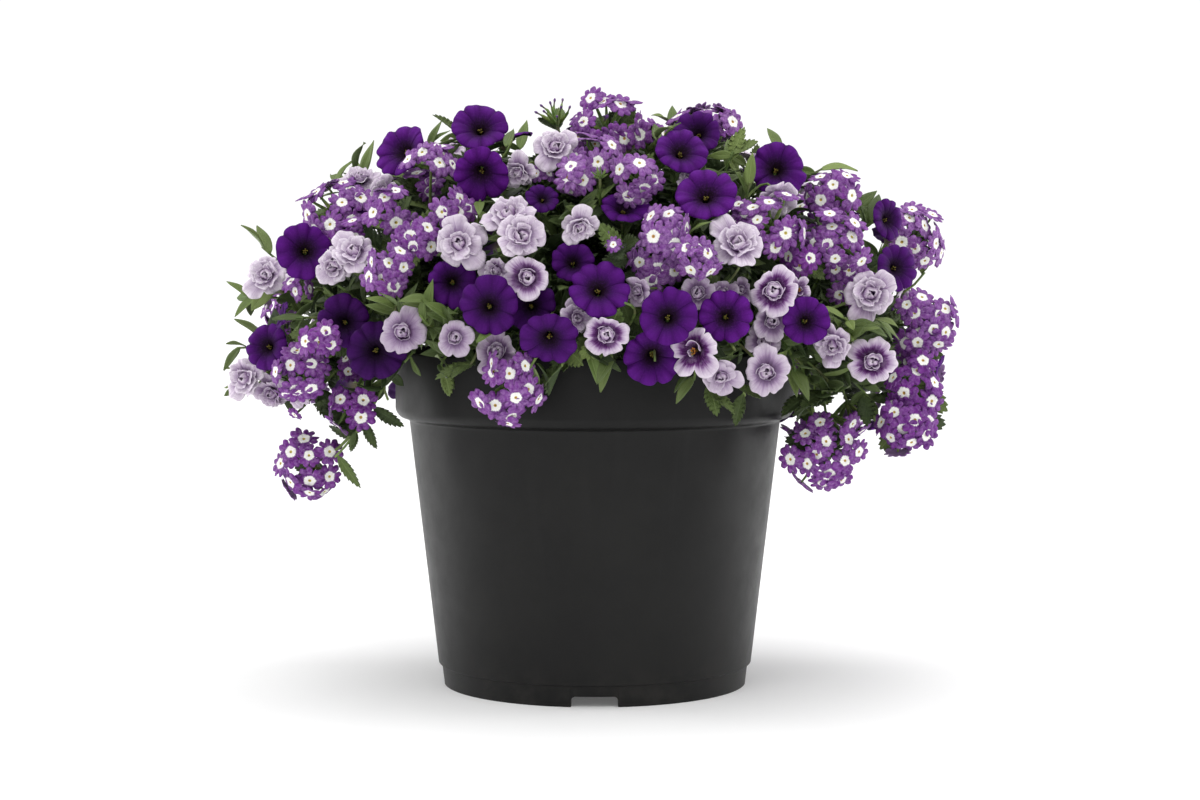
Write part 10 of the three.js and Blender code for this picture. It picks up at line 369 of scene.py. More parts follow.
        [405,-1060,2557,83,-51,24,-55,-62,56,243,105,1], [405,-1060,2557,-67,-57,47,74,-57,36,229,128,1], [424,-1133,2611,41,-25,88,-15,-97,-21,221,117,1], [424,-1133,2611,1,-99,-14,31,-13,94,249,130,1], [439,-1208,2665,-63,-34,70,64,-74,21,284,124,1], [439,-1208,2665,70,-71,4,-47,-42,78,299,157,1], [448,-1282,2719,77,-62,16,-56,-54,63,251,115,1], [448,-1282,2719,35,-14,93,-14,-99,-9,183,78,1], [450,-1355,2772,43,-12,89,-27,-96,0,214,114,1], [584,-1132,2632,53,28,80,60,-79,-12,304,147,1], [584,-1132,2632,75,-65,-7,32,28,91,224,124,1], [682,-1138,2677,49,-58,65,85,49,-21,207,89,1], [682,-1138,2677,90,43,-5,36,-68,64,271,152,1], [784,-1140,2722,70,-68,-22,50,24,83,303,156,1], [784,-1140,2722,30,28,91,83,-55,-10,200,100,1], [881,-1144,2766,51,27,82,66,-73,-17,129,76,1], [881,-1144,2766,35,-88,33,81,46,36,175,89,1], [962,-1157,2809,42,33,85,65,-76,-3,186,97,1], [962,-1157,2809,24,-62,75,97,20,-15,133,83,1], [392,-1005,2458,78,-36,51,-54,-80,26,216,115,1], [392,-1005,2458,-43,-87,24,80,-25,55,261,139,1], [398,-1079,2519,-8,-4,100,20,-98,-2,258,124,1], [398,-1079,2519,16,-98,-9,-1,-10,100,174,84,1], [394,-1153,2586,-83,-52,19,52,-61,60,285,123,1], [394,-1153,2586,54,-64,55,-84,-46,28,197,90,1], [384,-1227,2647,63,-66,42,-78,-48,41,197,101,1], [384,-1227,2647,-3,-8,100,3,-100,-8,202,85,1], [373,-1299,2694,29,-36,89,-33,-91,-27,268,121,1], [373,-1299,2694,6,-47,88,-11,-88,-46,156,95,1], [376,-1175,2588,24,-97,-1,-60,-16,78,215,94,1], [376,-1175,2588,-33,11,94,-9,-99,9,260,125,1], [327,-1238,2632,10,-52,85,-73,-62,-29,174,77,1], [327,-1238,2632,21,-67,72,-90,-42,-13,205,89,1], [268,-1301,2676,-27,-21,94,-28,-92,-28,155,81,1], [208,-1367,2719,-88,-41,-23,13,-68,72,214,116,1], [156,-1437,2758,26,-90,35,-94,-16,28,265,112,1], [156,-1437,2758,-60,-10,80,8,-99,-6,231,105,1], [119,-1514,2791,17,-96,-23,-44,-28,85,193,109,1], [436,-1110,2562,53,1,85,4,-100,-2,191,102,1], [436,-1110,2562,-19,-97,-17,60,-25,76,185,99,1], [471,-1192,2607,-20,-76,61,93,-34,-12,246,105,1], [471,-1192,2607,83,-55,7,-48,-63,62,207,100,1], [506,-1276,2648,76,-65,1,-47,-54,70,305,144,1], [506,-1276,2648,39,-17,91,10,-97,-22,241,102,1], [537,-1362,2685,71,-70,0,-51,-51,69,189,92,1], [537,-1362,2685,69,-66,-29,-22,-57,79,158,92,1], [562,-1447,2714,68,-68,-27,-30,-59,75,166,80,1], [562,-1447,2714,69,-39,61,-37,-91,-17,120,64,1], [511,-1025,2600,-5,9,99,90,-42,8,182,98,1], [511,-1025,2600,96,-23,-16,12,-18,98,204,89,1], [592,-1021,2664,40,-72,57,70,64,32,253,114,1], [592,-1021,2664,36,-88,32,66,48,59,213,99,1], [676,-1015,2731,99,-15,0,-2,-15,99,279,147,1], [676,-1015,2731,7,-3,100,96,-28,-8,246,127,1], [754,-1014,2797,42,41,81,56,-82,12,219,92,1], [754,-1014,2797,58,-74,34,38,61,69,217,93,1], [817,-1027,2860,8,-9,99,85,-51,-12,225,111,1], [817,-1027,2860,86,-49,13,-16,-1,99,226,110,1], [858,-1062,2917,25,8,96,31,-95,0,180,115,1], [858,-1062,2917,93,7,36,-15,-81,56,273,131,1], [624,-1145,2642,37,-12,92,90,-20,-39,178,86,1], [624,-1145,2642,90,-19,-40,38,-14,92,263,119,1], [727,-1132,2667,63,-70,33,71,70,13,173,74,1], [727,-1132,2667,67,70,25,65,-72,25,279,121,1], [836,-1115,2686,64,-55,54,75,59,-29,221,106,1], [836,-1115,2686,49,2,87,85,-24,-47,233,121,1], [945,-1101,2701,37,-47,80,93,16,-33,212,92,1], [945,-1101,2701,54,-82,19,80,57,18,270,150,1], [1045,-1098,2711,63,-7,78,72,-33,-61,267,124,1], [1045,-1098,2711,54,-43,-73,78,-7,62,228,97,1], [1129,-1112,2714,80,29,-52,56,-67,48,161,78,1], [1129,-1112,2714,74,10,66,50,-74,-45,292,133,1], [1188,-1150,2712,81,-32,-49,11,-74,66,175,94,1], [1188,-1150,2712,82,-28,-50,13,-76,63,223,115,1], [221,-589,2242,-45,-72,52,89,-32,34,231,116,1], [247,-651,2287,72,-68,-13,-25,-42,87,199,100,1], [275,-717,2328,19,-24,95,30,-91,-29,194,97,1], [304,-785,2366,-18,-98,-9,68,-19,71,279,140,1], [334,-855,2402,90,-32,29,-41,-86,31,260,130,1],
        [363,-923,2437,-30,-58,76,79,-60,-14,233,117,1], [390,-988,2472,40,-87,-29,9,-28,96,229,115,1], [415,-1048,2510,54,-12,83,-9,-99,-8,241,121,1], [176,-482,2120,-30,-92,25,32,15,93,234,128,1], [191,-518,2170,12,78,61,-8,-61,79,230,128,1], [209,-560,2215,86,45,24,-27,0,96,200,104,1], [229,-606,2255,-57,-71,42,66,-10,74,212,109,1], [250,-657,2292,74,-62,25,16,54,83,274,143,1], [273,-711,2325,86,-15,49,-48,-57,67,300,160,1], [296,-766,2356,27,-93,26,-15,23,96,309,148,1], [320,-823,2385,55,-72,43,-50,13,85,208,115,1], [344,-879,2414,35,-86,38,-23,32,92,283,143,1], [367,-934,2442,68,59,44,13,-68,72,220,102,1], [389,-987,2471,29,-89,35,-49,18,85,226,125,1], [410,-1036,2502,79,30,53,-47,-24,85,234,119,1], [429,-1081,2535,41,-89,19,-40,1,92,232,121,1], [355,-909,2440,2,-92,39,21,39,90,274,146,1], [371,-956,2478,6,85,52,1,-52,85,260,137,1], [388,-1006,2516,91,-39,16,-34,-44,83,266,131,1], [404,-1057,2555,83,26,49,-42,-29,86,190,104,1], [426,-1068,2533,-78,43,45,52,6,85,233,128,1], [343,-868,2398,6,-100,2,-21,1,98,220,105,1], [369,-922,2411,66,-67,34,-32,16,93,231,126,1], [386,-976,2439,40,75,54,-40,-39,83,195,101,1], [395,-1030,2477,52,77,36,-14,-34,93,206,106,1], [398,-1084,2523,18,-92,34,-33,27,90,192,99,1], [407,-1032,2505,65,69,32,-51,8,85,210,98,1], [411,-1082,2531,85,2,53,-53,4,85,210,116,1], [371,-948,2461,46,86,21,-20,-13,97,247,131,1], [388,-994,2492,80,25,54,-52,-15,84,205,115,1], [409,-1046,2524,-90,-36,23,17,18,97,272,146,1], [390,-984,2485,-59,62,52,71,9,70,244,123,1], [420,-1008,2520,72,56,41,-34,-23,91,206,115,1], [463,-1021,2559,77,-50,38,-31,22,92,213,109,1], [514,-1025,2603,93,12,36,-34,-14,93,258,124,1], [572,-1023,2649,89,-23,39,-33,25,91,236,118,1],
    ],
    "violet_calibrachoa_spray_08": [
        [-722,1271,2520,5,41,91,-20,90,-39,215,61,0], [-715,1310,2540,30,92,-25,-30,34,89,149,41,0], [-704,1347,2562,-57,61,55,78,62,11,216,75,0], [-690,1384,2586,-46,89,-2,57,32,76,189,66,0], [-675,1419,2610,-10,97,-24,21,25,94,233,64,0], [-662,1451,2635,-27,39,88,47,85,-23,153,52,0], [-652,1481,2660,77,64,4,-49,53,69,198,56,0], [-796,1243,2552,20,41,89,-89,46,-1,185,66,0], [-819,1264,2578,-65,76,-8,-8,4,100,169,50,0], [-842,1286,2605,-72,-10,68,1,99,15,193,64,0], [-864,1307,2635,50,65,57,-86,32,39,242,70,0], [-885,1329,2665,-92,36,15,33,51,80,234,63,0], [-905,1352,2696,26,50,83,-93,36,8,246,74,0], [-924,1375,2728,-11,99,2,-52,-8,85,172,50,0], [-384,736,2215,13,98,17,-78,0,62,207,71,0], [-426,791,2258,-96,27,4,23,72,66,239,81,0], [-470,850,2296,1,46,89,-77,57,-29,222,76,0], [-516,912,2330,-30,90,-33,-48,15,86,191,65,0], [-563,974,2362,-83,7,56,6,100,-3,224,76,0], [-608,1035,2394,22,86,46,-98,19,10,216,73,0], [-652,1093,2427,-81,53,-25,5,49,87,207,70,0], [-691,1146,2462,-26,15,96,-48,84,-26,221,75,0], [-315,644,2105,-53,69,50,59,-13,80,276,111,0], [-339,676,2153,-68,-48,55,57,12,81,295,121,0], [-368,714,2195,-35,81,48,21,-43,88,282,98,0], [-399,756,2232,75,-22,62,-61,12,78,299,114,0], [-434,802,2266,23,90,36,16,-40,90,197,79,0], [-470,850,2296,49,-69,53,-60,18,78,298,109,0], [-508,900,2324,9,-84,54,-23,51,83,229,88,0], [-545,951,2350,6,92,39,4,-40,92,294,121,0], [-583,1001,2376,-90,35,28,25,-11,96,291,112,0],
    ],
    "verbena_spray_14": [
        [-1077,-769,2590,-33,-66,68,-83,54,12,248,131,1], [-1077,-769,2590,-56,-39,73,-73,65,-21,240,116,1], [-1161,-744,2645,-88,-47,-2,-29,51,81,211,104,1], [-1161,-744,2645,-93,-34,-12,-25,37,89,215,99,1], [-1247,-715,2701,-57,-34,75,-69,69,-20,318,148,1], [-1247,-715,2701,-61,-39,69,-62,78,-11,242,120,1], [-1329,-688,2758,-28,47,84,-89,-45,-4,225,95,1], [-1329,-688,2758,-84,-46,-28,-45,31,84,287,160,1], [-1406,-669,2815,-76,65,3,-44,-54,72,179,79,1], [-1406,-669,2815,-33,-50,80,-85,53,-3,192,106,1], [-1472,-666,2868,-73,-68,6,-36,45,82,230,104,1], [-1472,-666,2868,-52,75,41,-59,-66,47,222,102,1], [-1524,-683,2919,-80,42,42,-21,-86,46,295,126,1], [-1524,-683,2919,-97,-2,25,20,-66,73,240,126,1], [-914,-812,2473,-32,-94,8,-69,29,66,217,119,1], [-914,-812,2473,-80,-8,59,2,-99,-12,176,76,1], [-971,-879,2510,15,-55,82,-89,-44,-13,199,102,1], [-971,-879,2510,-86,-34,-37,-11,-60,79,280,157,1], [-1026,-949,2544,-84,-4,53,3,-100,-2,216,115,1], [-1026,-949,2544,-16,-98,-6,-74,8,67,246,108,1], [-1076,-1023,2576,-84,-53,-12,24,-56,79,237,129,1], [-1076,-1023,2576,-4,-60,80,-80,-46,-38,254,133,1], [-1119,-1101,2603,3,-100,-3,-84,-4,55,214,114,1], [-1119,-1101,2603,-77,-8,63,0,-99,-12,209,94,1], [-1154,-1181,2626,-40,-44,80,-22,-81,-55,200,111,1], [-1154,-1181,2626,-87,-34,-36,5,-79,61,174,91,1], [-1179,-1262,2644,-88,-47,5,46,-83,33,174,87,1], [-1179,-1262,2644,-85,-52,-7,43,-77,47,185,96,1], [-1141,-904,2488,-83,21,52,-49,-72,-49,188,99,1], [-1141,-904,2488,-46,-70,-55,-84,13,53,237,111,1], [-1232,-936,2455,-68,-71,20,-62,41,-67,180,91,1], [-1232,-936,2455,-48,-76,43,-78,15,-61,240,126,1], [-1323,-969,2414,-35,-49,-80,-87,-14,47,270,124,1], [-1323,-969,2414,-89,12,44,-39,-68,-62,185,87,1], [-1410,-1006,2369,-70,32,-64,-55,-81,19,183,89,1], [-1410,-1006,2369,-78,-34,52,-42,-33,-85,310,151,1], [-1488,-1049,2326,-98,20,6,-21,-91,-36,214,96,1], [-1551,-1099,2288,-98,-20,-3,20,-92,-34,160,96,1], [-1618,-1228,2251,-94,-32,13,31,-95,-4,201,97,1], [-898,-739,2518,-37,42,83,-52,-83,19,236,112,1], [-898,-739,2518,-50,-84,21,-40,44,80,183,86,1], [-957,-772,2590,-97,7,21,12,-66,74,228,120,1], [-957,-772,2590,21,-67,71,-96,1,29,171,92,1], [-1012,-806,2665,-45,-89,9,-39,29,87,236,117,1], [-1012,-806,2665,-32,56,77,-51,-78,36,201,98,1], [-1064,-843,2738,18,-57,80,-98,-7,17,173,95,1], [-1064,-843,2738,-96,-14,26,29,-55,78,252,135,1], [-1109,-885,2809,-82,30,49,-3,-88,48,175,78,1], [-1109,-885,2809,-38,-85,37,-42,51,75,253,110,1], [-1147,-932,2873,-89,-36,29,44,-49,75,242,112,1], [-1147,-932,2873,30,-46,84,-92,-37,13,179,89,1], [-1175,-988,2929,27,-43,86,-84,-54,0,210,117,1], [-1175,-988,2929,-39,-91,-12,-18,-5,98,155,84,1], [-847,-760,2481,-92,2,39,17,-88,44,209,89,1], [-847,-760,2481,35,-82,46,-90,-16,39,304,158,1], [-892,-818,2543,-46,-89,-3,-25,9,96,165,92,1], [-892,-818,2543,-39,-7,92,-34,-92,-21,238,134,1], [-932,-880,2606,29,-85,43,-91,-10,40,240,121,1], [-932,-880,2606,-89,-9,45,28,-88,39,203,90,1], [-969,-946,2665,-20,-6,98,-43,-89,-14,316,157,1], [-969,-946,2665,-46,-85,-24,-20,-17,97,271,130,1], [-1000,-1015,2720,-90,-27,34,41,-80,43,302,133,1], [-1000,-1015,2720,36,-88,32,-87,-20,45,191,107,1], [-1024,-1088,2766,-46,-87,-19,-3,-20,98,294,144,1], [-1024,-1088,2766,-85,-26,46,40,-89,23,291,160,1], [-1042,-1164,2803,32,-47,82,-68,-72,-14,262,124,1], [-1042,-1164,2803,-11,-76,-64,-29,-59,75,123,71,1], [-1052,-1243,2826,-18,-52,-83,-20,-81,55,235,122,1], [-948,-774,2622,-80,46,38,7,-57,82,245,118,1], [-948,-774,2622,26,-50,82,-87,25,43,260,115,1], [-970,-766,2714,-86,-37,35,29,20,94,163,81,1], [-970,-766,2714,-68,-42,60,39,48,79,181,98,1], [-985,-754,2813,33,-76,56,-56,33,76,173,88,1], [-985,-754,2813,-80,39,45,26,-45,85,208,100,1], [-995,-743,2914,-42,-67,61,8,65,76,191,92,1], [-995,-743,2914,-51,-54,67,29,63,72,221,104,1],
        [-999,-737,3013,-94,4,35,33,-21,92,261,137,1], [-999,-737,3013,72,-31,62,-65,-1,76,237,114,1], [-898,-837,2584,47,-81,35,-72,-12,68,171,91,1], [-898,-837,2584,-72,3,69,32,-87,37,164,91,1], [-905,-887,2664,-63,-77,11,27,-8,96,219,115,1], [-905,-887,2664,-41,-88,24,16,19,97,170,73,1], [-903,-941,2747,-83,-26,50,55,-59,60,251,127,1], [-903,-941,2747,57,-59,57,-81,-27,53,193,98,1], [-895,-998,2827,-28,-96,3,11,0,99,192,101,1], [-895,-998,2827,-17,-95,27,5,27,96,318,138,1], [-881,-1060,2898,-70,-71,11,47,-33,82,259,117,1], [-881,-1060,2898,-64,-33,69,66,-70,27,178,85,1], [-865,-1126,2957,-66,-53,54,74,-59,32,123,74,1], [-865,-1126,2957,-27,-96,1,28,-6,96,173,90,1], [-892,-679,2556,-12,-75,66,-62,57,54,165,71,1], [-892,-679,2556,-23,-55,80,-64,71,31,230,105,1], [-930,-654,2646,-91,-10,39,37,17,91,277,140,1], [-930,-654,2646,-88,-7,48,46,16,87,196,93,1], [-963,-625,2741,-10,-66,75,-54,67,52,167,89,1], [-963,-625,2741,-16,-53,83,-54,75,38,192,104,1], [-990,-597,2838,-84,-10,53,51,20,84,298,133,1], [-990,-597,2838,-88,-13,45,42,20,88,315,140,1], [-1013,-579,2931,19,-53,83,-73,48,48,198,90,1], [-1013,-579,2931,-67,48,56,19,-62,76,229,103,1], [-1028,-577,3017,-39,57,72,-8,-80,59,300,166,1], [-1028,-577,3017,23,43,87,-63,-62,47,197,98,1], [-1038,-599,3092,-77,-8,64,54,-62,57,225,124,1], [-1038,-599,3092,-49,17,85,19,-94,30,213,112,1], [-1135,-817,2534,-61,-71,-35,-75,36,55,191,99,1], [-1135,-817,2534,-63,57,53,-73,-66,-16,223,102,1], [-1238,-810,2541,-69,-35,64,-73,29,-62,214,91,1], [-1238,-810,2541,-63,-23,74,-78,10,-62,253,108,1], [-1345,-800,2542,-68,58,46,-72,-66,-23,309,137,1], [-1345,-800,2542,-67,-68,-30,-72,51,47,267,149,1], [-1449,-794,2540,-68,-50,54,-73,43,-53,177,79,1], [-1449,-794,2540,-72,-38,58,-69,32,-65,185,78,1], [-1547,-795,2537,-37,-81,-44,-91,23,35,182,82,1], [-1547,-795,2537,-85,41,34,-51,-82,-27,201,111,1], [-1632,-809,2533,-75,4,66,-57,-54,-62,185,103,1], [-1632,-809,2533,-60,-42,-68,-73,-8,68,210,106,1], [-1700,-842,2532,-76,-26,-60,-42,-52,75,124,63,1], [-1700,-842,2532,-92,6,38,-19,-93,-30,125,61,1], [-1001,-765,2542,-36,-68,65,-88,48,2,218,115,1], [-1001,-765,2542,-98,18,3,-9,-63,77,206,93,1], [-1085,-779,2601,-37,27,89,-76,-64,-12,312,135,1], [-1085,-779,2601,-65,-76,-4,-48,37,80,312,168,1], [-1169,-793,2660,-92,39,-4,-29,-63,72,217,92,1], [-1169,-793,2660,-19,-80,57,-90,37,22,200,95,1], [-1248,-810,2717,-78,-62,-6,-29,28,92,194,94,1], [-1248,-810,2717,-17,34,93,-82,-57,6,185,101,1], [-1321,-835,2769,-74,35,57,-31,-93,17,265,126,1], [-1321,-835,2769,-92,34,-17,-36,-62,70,246,121,1], [-1381,-869,2814,-100,-1,2,2,-71,70,184,93,1], [-1381,-869,2814,-8,-82,57,-98,18,12,132,75,1], [-552,-479,2208,-94,12,33,8,-84,54,227,114,1], [-602,-522,2254,-27,-96,-3,-63,16,76,268,134,1], [-656,-569,2296,-31,-11,95,-64,-71,-29,280,140,1], [-712,-618,2334,-93,-30,-22,-3,-53,84,185,92,1], [-768,-667,2370,3,-89,46,-99,5,16,227,114,1], [-822,-714,2406,-77,16,62,-17,-98,5,190,95,1], [-873,-757,2444,-57,-80,-21,-34,-1,94,215,108,1], [-481,-416,2109,-31,73,61,13,-60,79,267,146,1], [-511,-443,2158,46,62,63,-23,-60,76,268,124,1], [-547,-474,2202,52,77,37,-30,-24,92,232,117,1], [-587,-509,2241,-99,1,16,16,18,97,198,105,1], [-629,-546,2276,17,89,41,-10,-40,91,190,94,1], [-674,-585,2308,58,-69,43,7,57,82,277,140,1], [-720,-624,2338,-38,-91,17,13,13,98,216,116,1], [-765,-664,2368,69,69,21,-13,-16,98,252,138,1], [-810,-702,2397,-49,84,22,53,10,84,252,138,1], [-852,-739,2428,33,87,36,11,-41,90,273,127,1], [-891,-773,2460,-41,-89,22,-7,27,96,281,144,1], [-884,-763,2461,16,95,28,-60,-13,79,194,99,1], [-757,-658,2366,-76,-63,16,7,17,98,298,158,1], [-797,-694,2394,56,-73,39,-1,46,89,250,118,1], [-838,-733,2422,-93,33,12,3,-27,96,191,104,1], [-880,-775,2450,50,-73,46,-72,-5,69,249,118,1], [-733,-635,2347,-85,-33,41,32,30,90,274,133,1],
        [-773,-664,2383,31,72,62,-21,-58,79,239,130,1], [-814,-691,2424,-76,62,21,17,-12,98,191,106,1], [-856,-716,2470,68,-48,55,-70,-63,32,264,128,1], [-899,-740,2519,-77,-57,27,21,16,96,286,152,1], [-707,-614,2327,85,1,53,-52,11,85,258,144,1], [-744,-648,2361,78,57,25,-10,-29,95,202,99,1], [-780,-684,2399,-62,-65,43,55,2,83,259,140,1], [-815,-722,2440,93,3,37,-37,17,91,223,125,1], [-849,-762,2484,-70,64,30,35,-5,93,224,108,1], [-856,-742,2443,86,-43,27,-12,34,93,298,150,1], [-888,-761,2482,-86,46,23,7,-34,94,223,118,1], [-829,-721,2422,37,-86,34,16,42,89,218,113,1], [-858,-753,2460,61,-73,32,-24,22,95,194,105,1], [-879,-786,2506,-63,-59,50,-21,75,63,222,122,1], [-779,-674,2384,-65,-64,40,1,52,85,299,167,1], [-814,-690,2423,-92,-26,28,22,25,94,266,124,1], [-847,-693,2471,18,-78,60,-42,49,77,223,111,1], [-878,-686,2526,-58,-59,56,41,38,83,250,129,1], [-906,-671,2588,60,-73,31,-26,18,95,278,128,1], [-933,-652,2654,3,91,42,13,-42,90,308,151,1], [-957,-630,2723,74,40,54,-51,-18,84,280,155,1], [-978,-609,2793,-91,20,36,29,-31,90,304,169,1], [-997,-591,2862,-87,-32,37,36,9,93,237,122,1], [-1012,-579,2929,79,52,33,-19,-30,93,295,143,1], [-1024,-576,2993,-80,51,31,48,25,84,192,104,1], [-808,-699,2404,-42,82,38,27,-29,92,307,152,1], [-853,-723,2436,-21,-95,22,-12,25,96,273,134,1], [-904,-742,2473,-46,81,38,5,-40,92,299,138,1],
    ],
    "lilac_calibrachoa_spray_10": [
        [1119,248,2636,94,17,31,-35,55,76,149,41,0], [1134,276,2670,-23,95,20,71,2,70,154,51,0], [1147,305,2704,45,-1,90,18,98,-8,171,47,0], [1159,335,2739,70,72,5,-8,1,100,234,81,0], [1171,366,2775,73,39,56,-68,47,56,167,51,0], [1182,396,2810,83,-13,54,-20,84,50,182,62,0], [1193,424,2846,-1,99,14,55,-12,83,217,74,0], [1203,450,2881,-12,-2,99,71,69,10,194,58,0], [1214,473,2915,83,38,41,-52,23,82,176,54,0], [1226,492,2949,-20,77,61,83,-20,53,181,58,0], [1238,505,2982,88,30,37,-42,9,90,131,47,0], [1252,513,3014,82,38,44,-35,-27,89,228,63,0], [1070,188,2580,55,63,55,12,-71,69,177,54,0], [1080,185,2619,87,-9,48,-47,9,88,173,47,0], [1088,180,2661,61,-55,57,-13,64,76,182,55,0], [1094,174,2706,32,81,50,24,-58,78,145,43,0], [1099,167,2753,82,31,49,-35,-41,84,196,71,0], [1102,160,2801,78,-17,60,-59,12,80,150,43,0], [1105,152,2850,-22,61,77,57,-56,60,201,58,0], [1108,145,2899,7,-63,77,41,72,55,188,58,0], [1111,138,2947,-12,41,91,66,-65,38,223,69,0], [1124,123,3083,-20,61,77,61,-54,58,183,52,0], [1086,197,2665,18,79,59,8,-61,79,166,61,0], [1078,203,2705,-61,-34,72,57,44,69,219,77,0], [1068,210,2747,65,-13,75,-63,45,63,206,70,0], [1056,218,2792,39,-52,76,-23,75,62,195,55,0], [1044,227,2838,-18,-32,93,41,83,36,235,87,0], [1031,236,2885,64,47,61,-59,-21,78,205,73,0], [1020,247,2932,57,-14,81,-62,57,54,160,53,0], [1009,258,2979,29,-51,81,-12,82,56,184,61,0], [1002,270,3026,39,81,44,-17,-41,90,216,78,0], [997,283,3073,72,26,65,-68,8,72,146,54,0], [997,297,3117,78,2,62,-58,41,71,195,54,0], [1001,311,3160,83,49,28,-30,-4,95,205,70,0], [1010,327,3201,-19,74,64,76,-31,58,236,78,0], [1427,250,2610,61,78,13,73,-49,-48,206,72,0], [1461,260,2586,33,86,-39,92,-38,-5,160,53,0], [1495,272,2559,96,-20,17,26,64,-72,176,60,0], [1530,284,2528,94,32,12,15,-5,-99,179,65,0], [1564,297,2496,76,65,-2,47,-57,-68,148,50,0], [1599,310,2464,80,-53,-29,48,84,-24,230,75,0], [1635,323,2432,96,-27,0,22,78,-59,223,75,0], [1670,337,2402,96,19,22,18,23,-96,162,58,0], [1705,351,2374,36,-47,-81,83,55,5,222,74,0], [1740,364,2350,53,84,-3,78,-51,-37,193,59,0], [1776,378,2330,96,-23,-14,21,97,-15,238,79,0], [1812,392,2316,49,37,-79,83,8,55,202,67,0], [1847,405,2309,51,36,78,81,11,-57,241,70,0], [1883,418,2310,82,-49,-28,57,72,40,221,65,0], [1245,94,2677,46,-34,82,-7,-94,-35,215,69,0], [1246,54,2696,88,-29,39,-45,-78,44,217,68,0], [1245,11,2717,84,-54,0,-34,-52,78,148,40,0], [1241,-34,2738,45,-89,-12,-7,-16,98,235,80,0], [1237,-81,2761,43,-4,90,-5,-100,-2,151,48,0], [1231,-128,2785,67,-43,60,-64,-74,19,182,64,0], [1225,-175,2810,77,-61,17,-50,-42,76,175,64,0], [1220,-219,2837,-19,-20,96,54,-84,-7,163,49,0], [1214,-261,2865,20,-15,97,11,-98,-17,207,70,0], [1210,-298,2895,73,-10,68,-43,-83,34,147,50,0], [1208,-331,2926,86,-43,28,-45,-39,80,204,61,0], [1207,-357,2958,69,-72,10,-20,-5,98,229,75,0], [1209,-377,2993,76,-58,31,-33,7,94,194,57,0], [1293,202,2561,81,-20,55,58,33,-74,200,57,0], [1332,202,2548,80,20,56,59,-18,-79,208,75,0], [1373,201,2533,71,67,21,69,-62,-37,166,58,0], [1415,200,2515,73,-64,23,67,62,-41,167,61,0], [1457,198,2496,78,-21,59,63,21,-75,222,68,0], [1500,196,2476,90,23,36,42,-32,-85,240,73,0], [1544,194,2456,76,61,22,63,-62,-47,165,60,0], [1588,191,2438,69,70,-18,71,-70,-3,236,71,0], [1632,189,2421,67,-53,53,74,39,-55,175,50,0], [1676,187,2407,91,-3,42,42,6,-90,238,85,0], [1719,185,2397,53,66,54,85,-38,-36,162,50,0], [1762,183,2391,73,23,65,69,-24,-69,190,58,0], [1804,182,2390,72,42,-55,69,-34,64,226,79,0], [1303,328,2657,95,-6,31,-6,93,36,210,63,0], [1329,360,2677,61,5,79,30,91,-29,194,71,0], [1354,394,2698,21,11,97,69,69,-22,159,52,0], [1379,428,2719,92,34,-18,-1,50,87,163,47,0], [1402,463,2742,95,-2,30,-11,90,41,158,53,0], [1425,497,2765,70,-33,64,26,94,19,151,45,0], [1446,530,2789,49,85,-17,36,-2,93,191,70,0], [1467,562,2813,-13,29,95,86,52,-4,174,51,0],
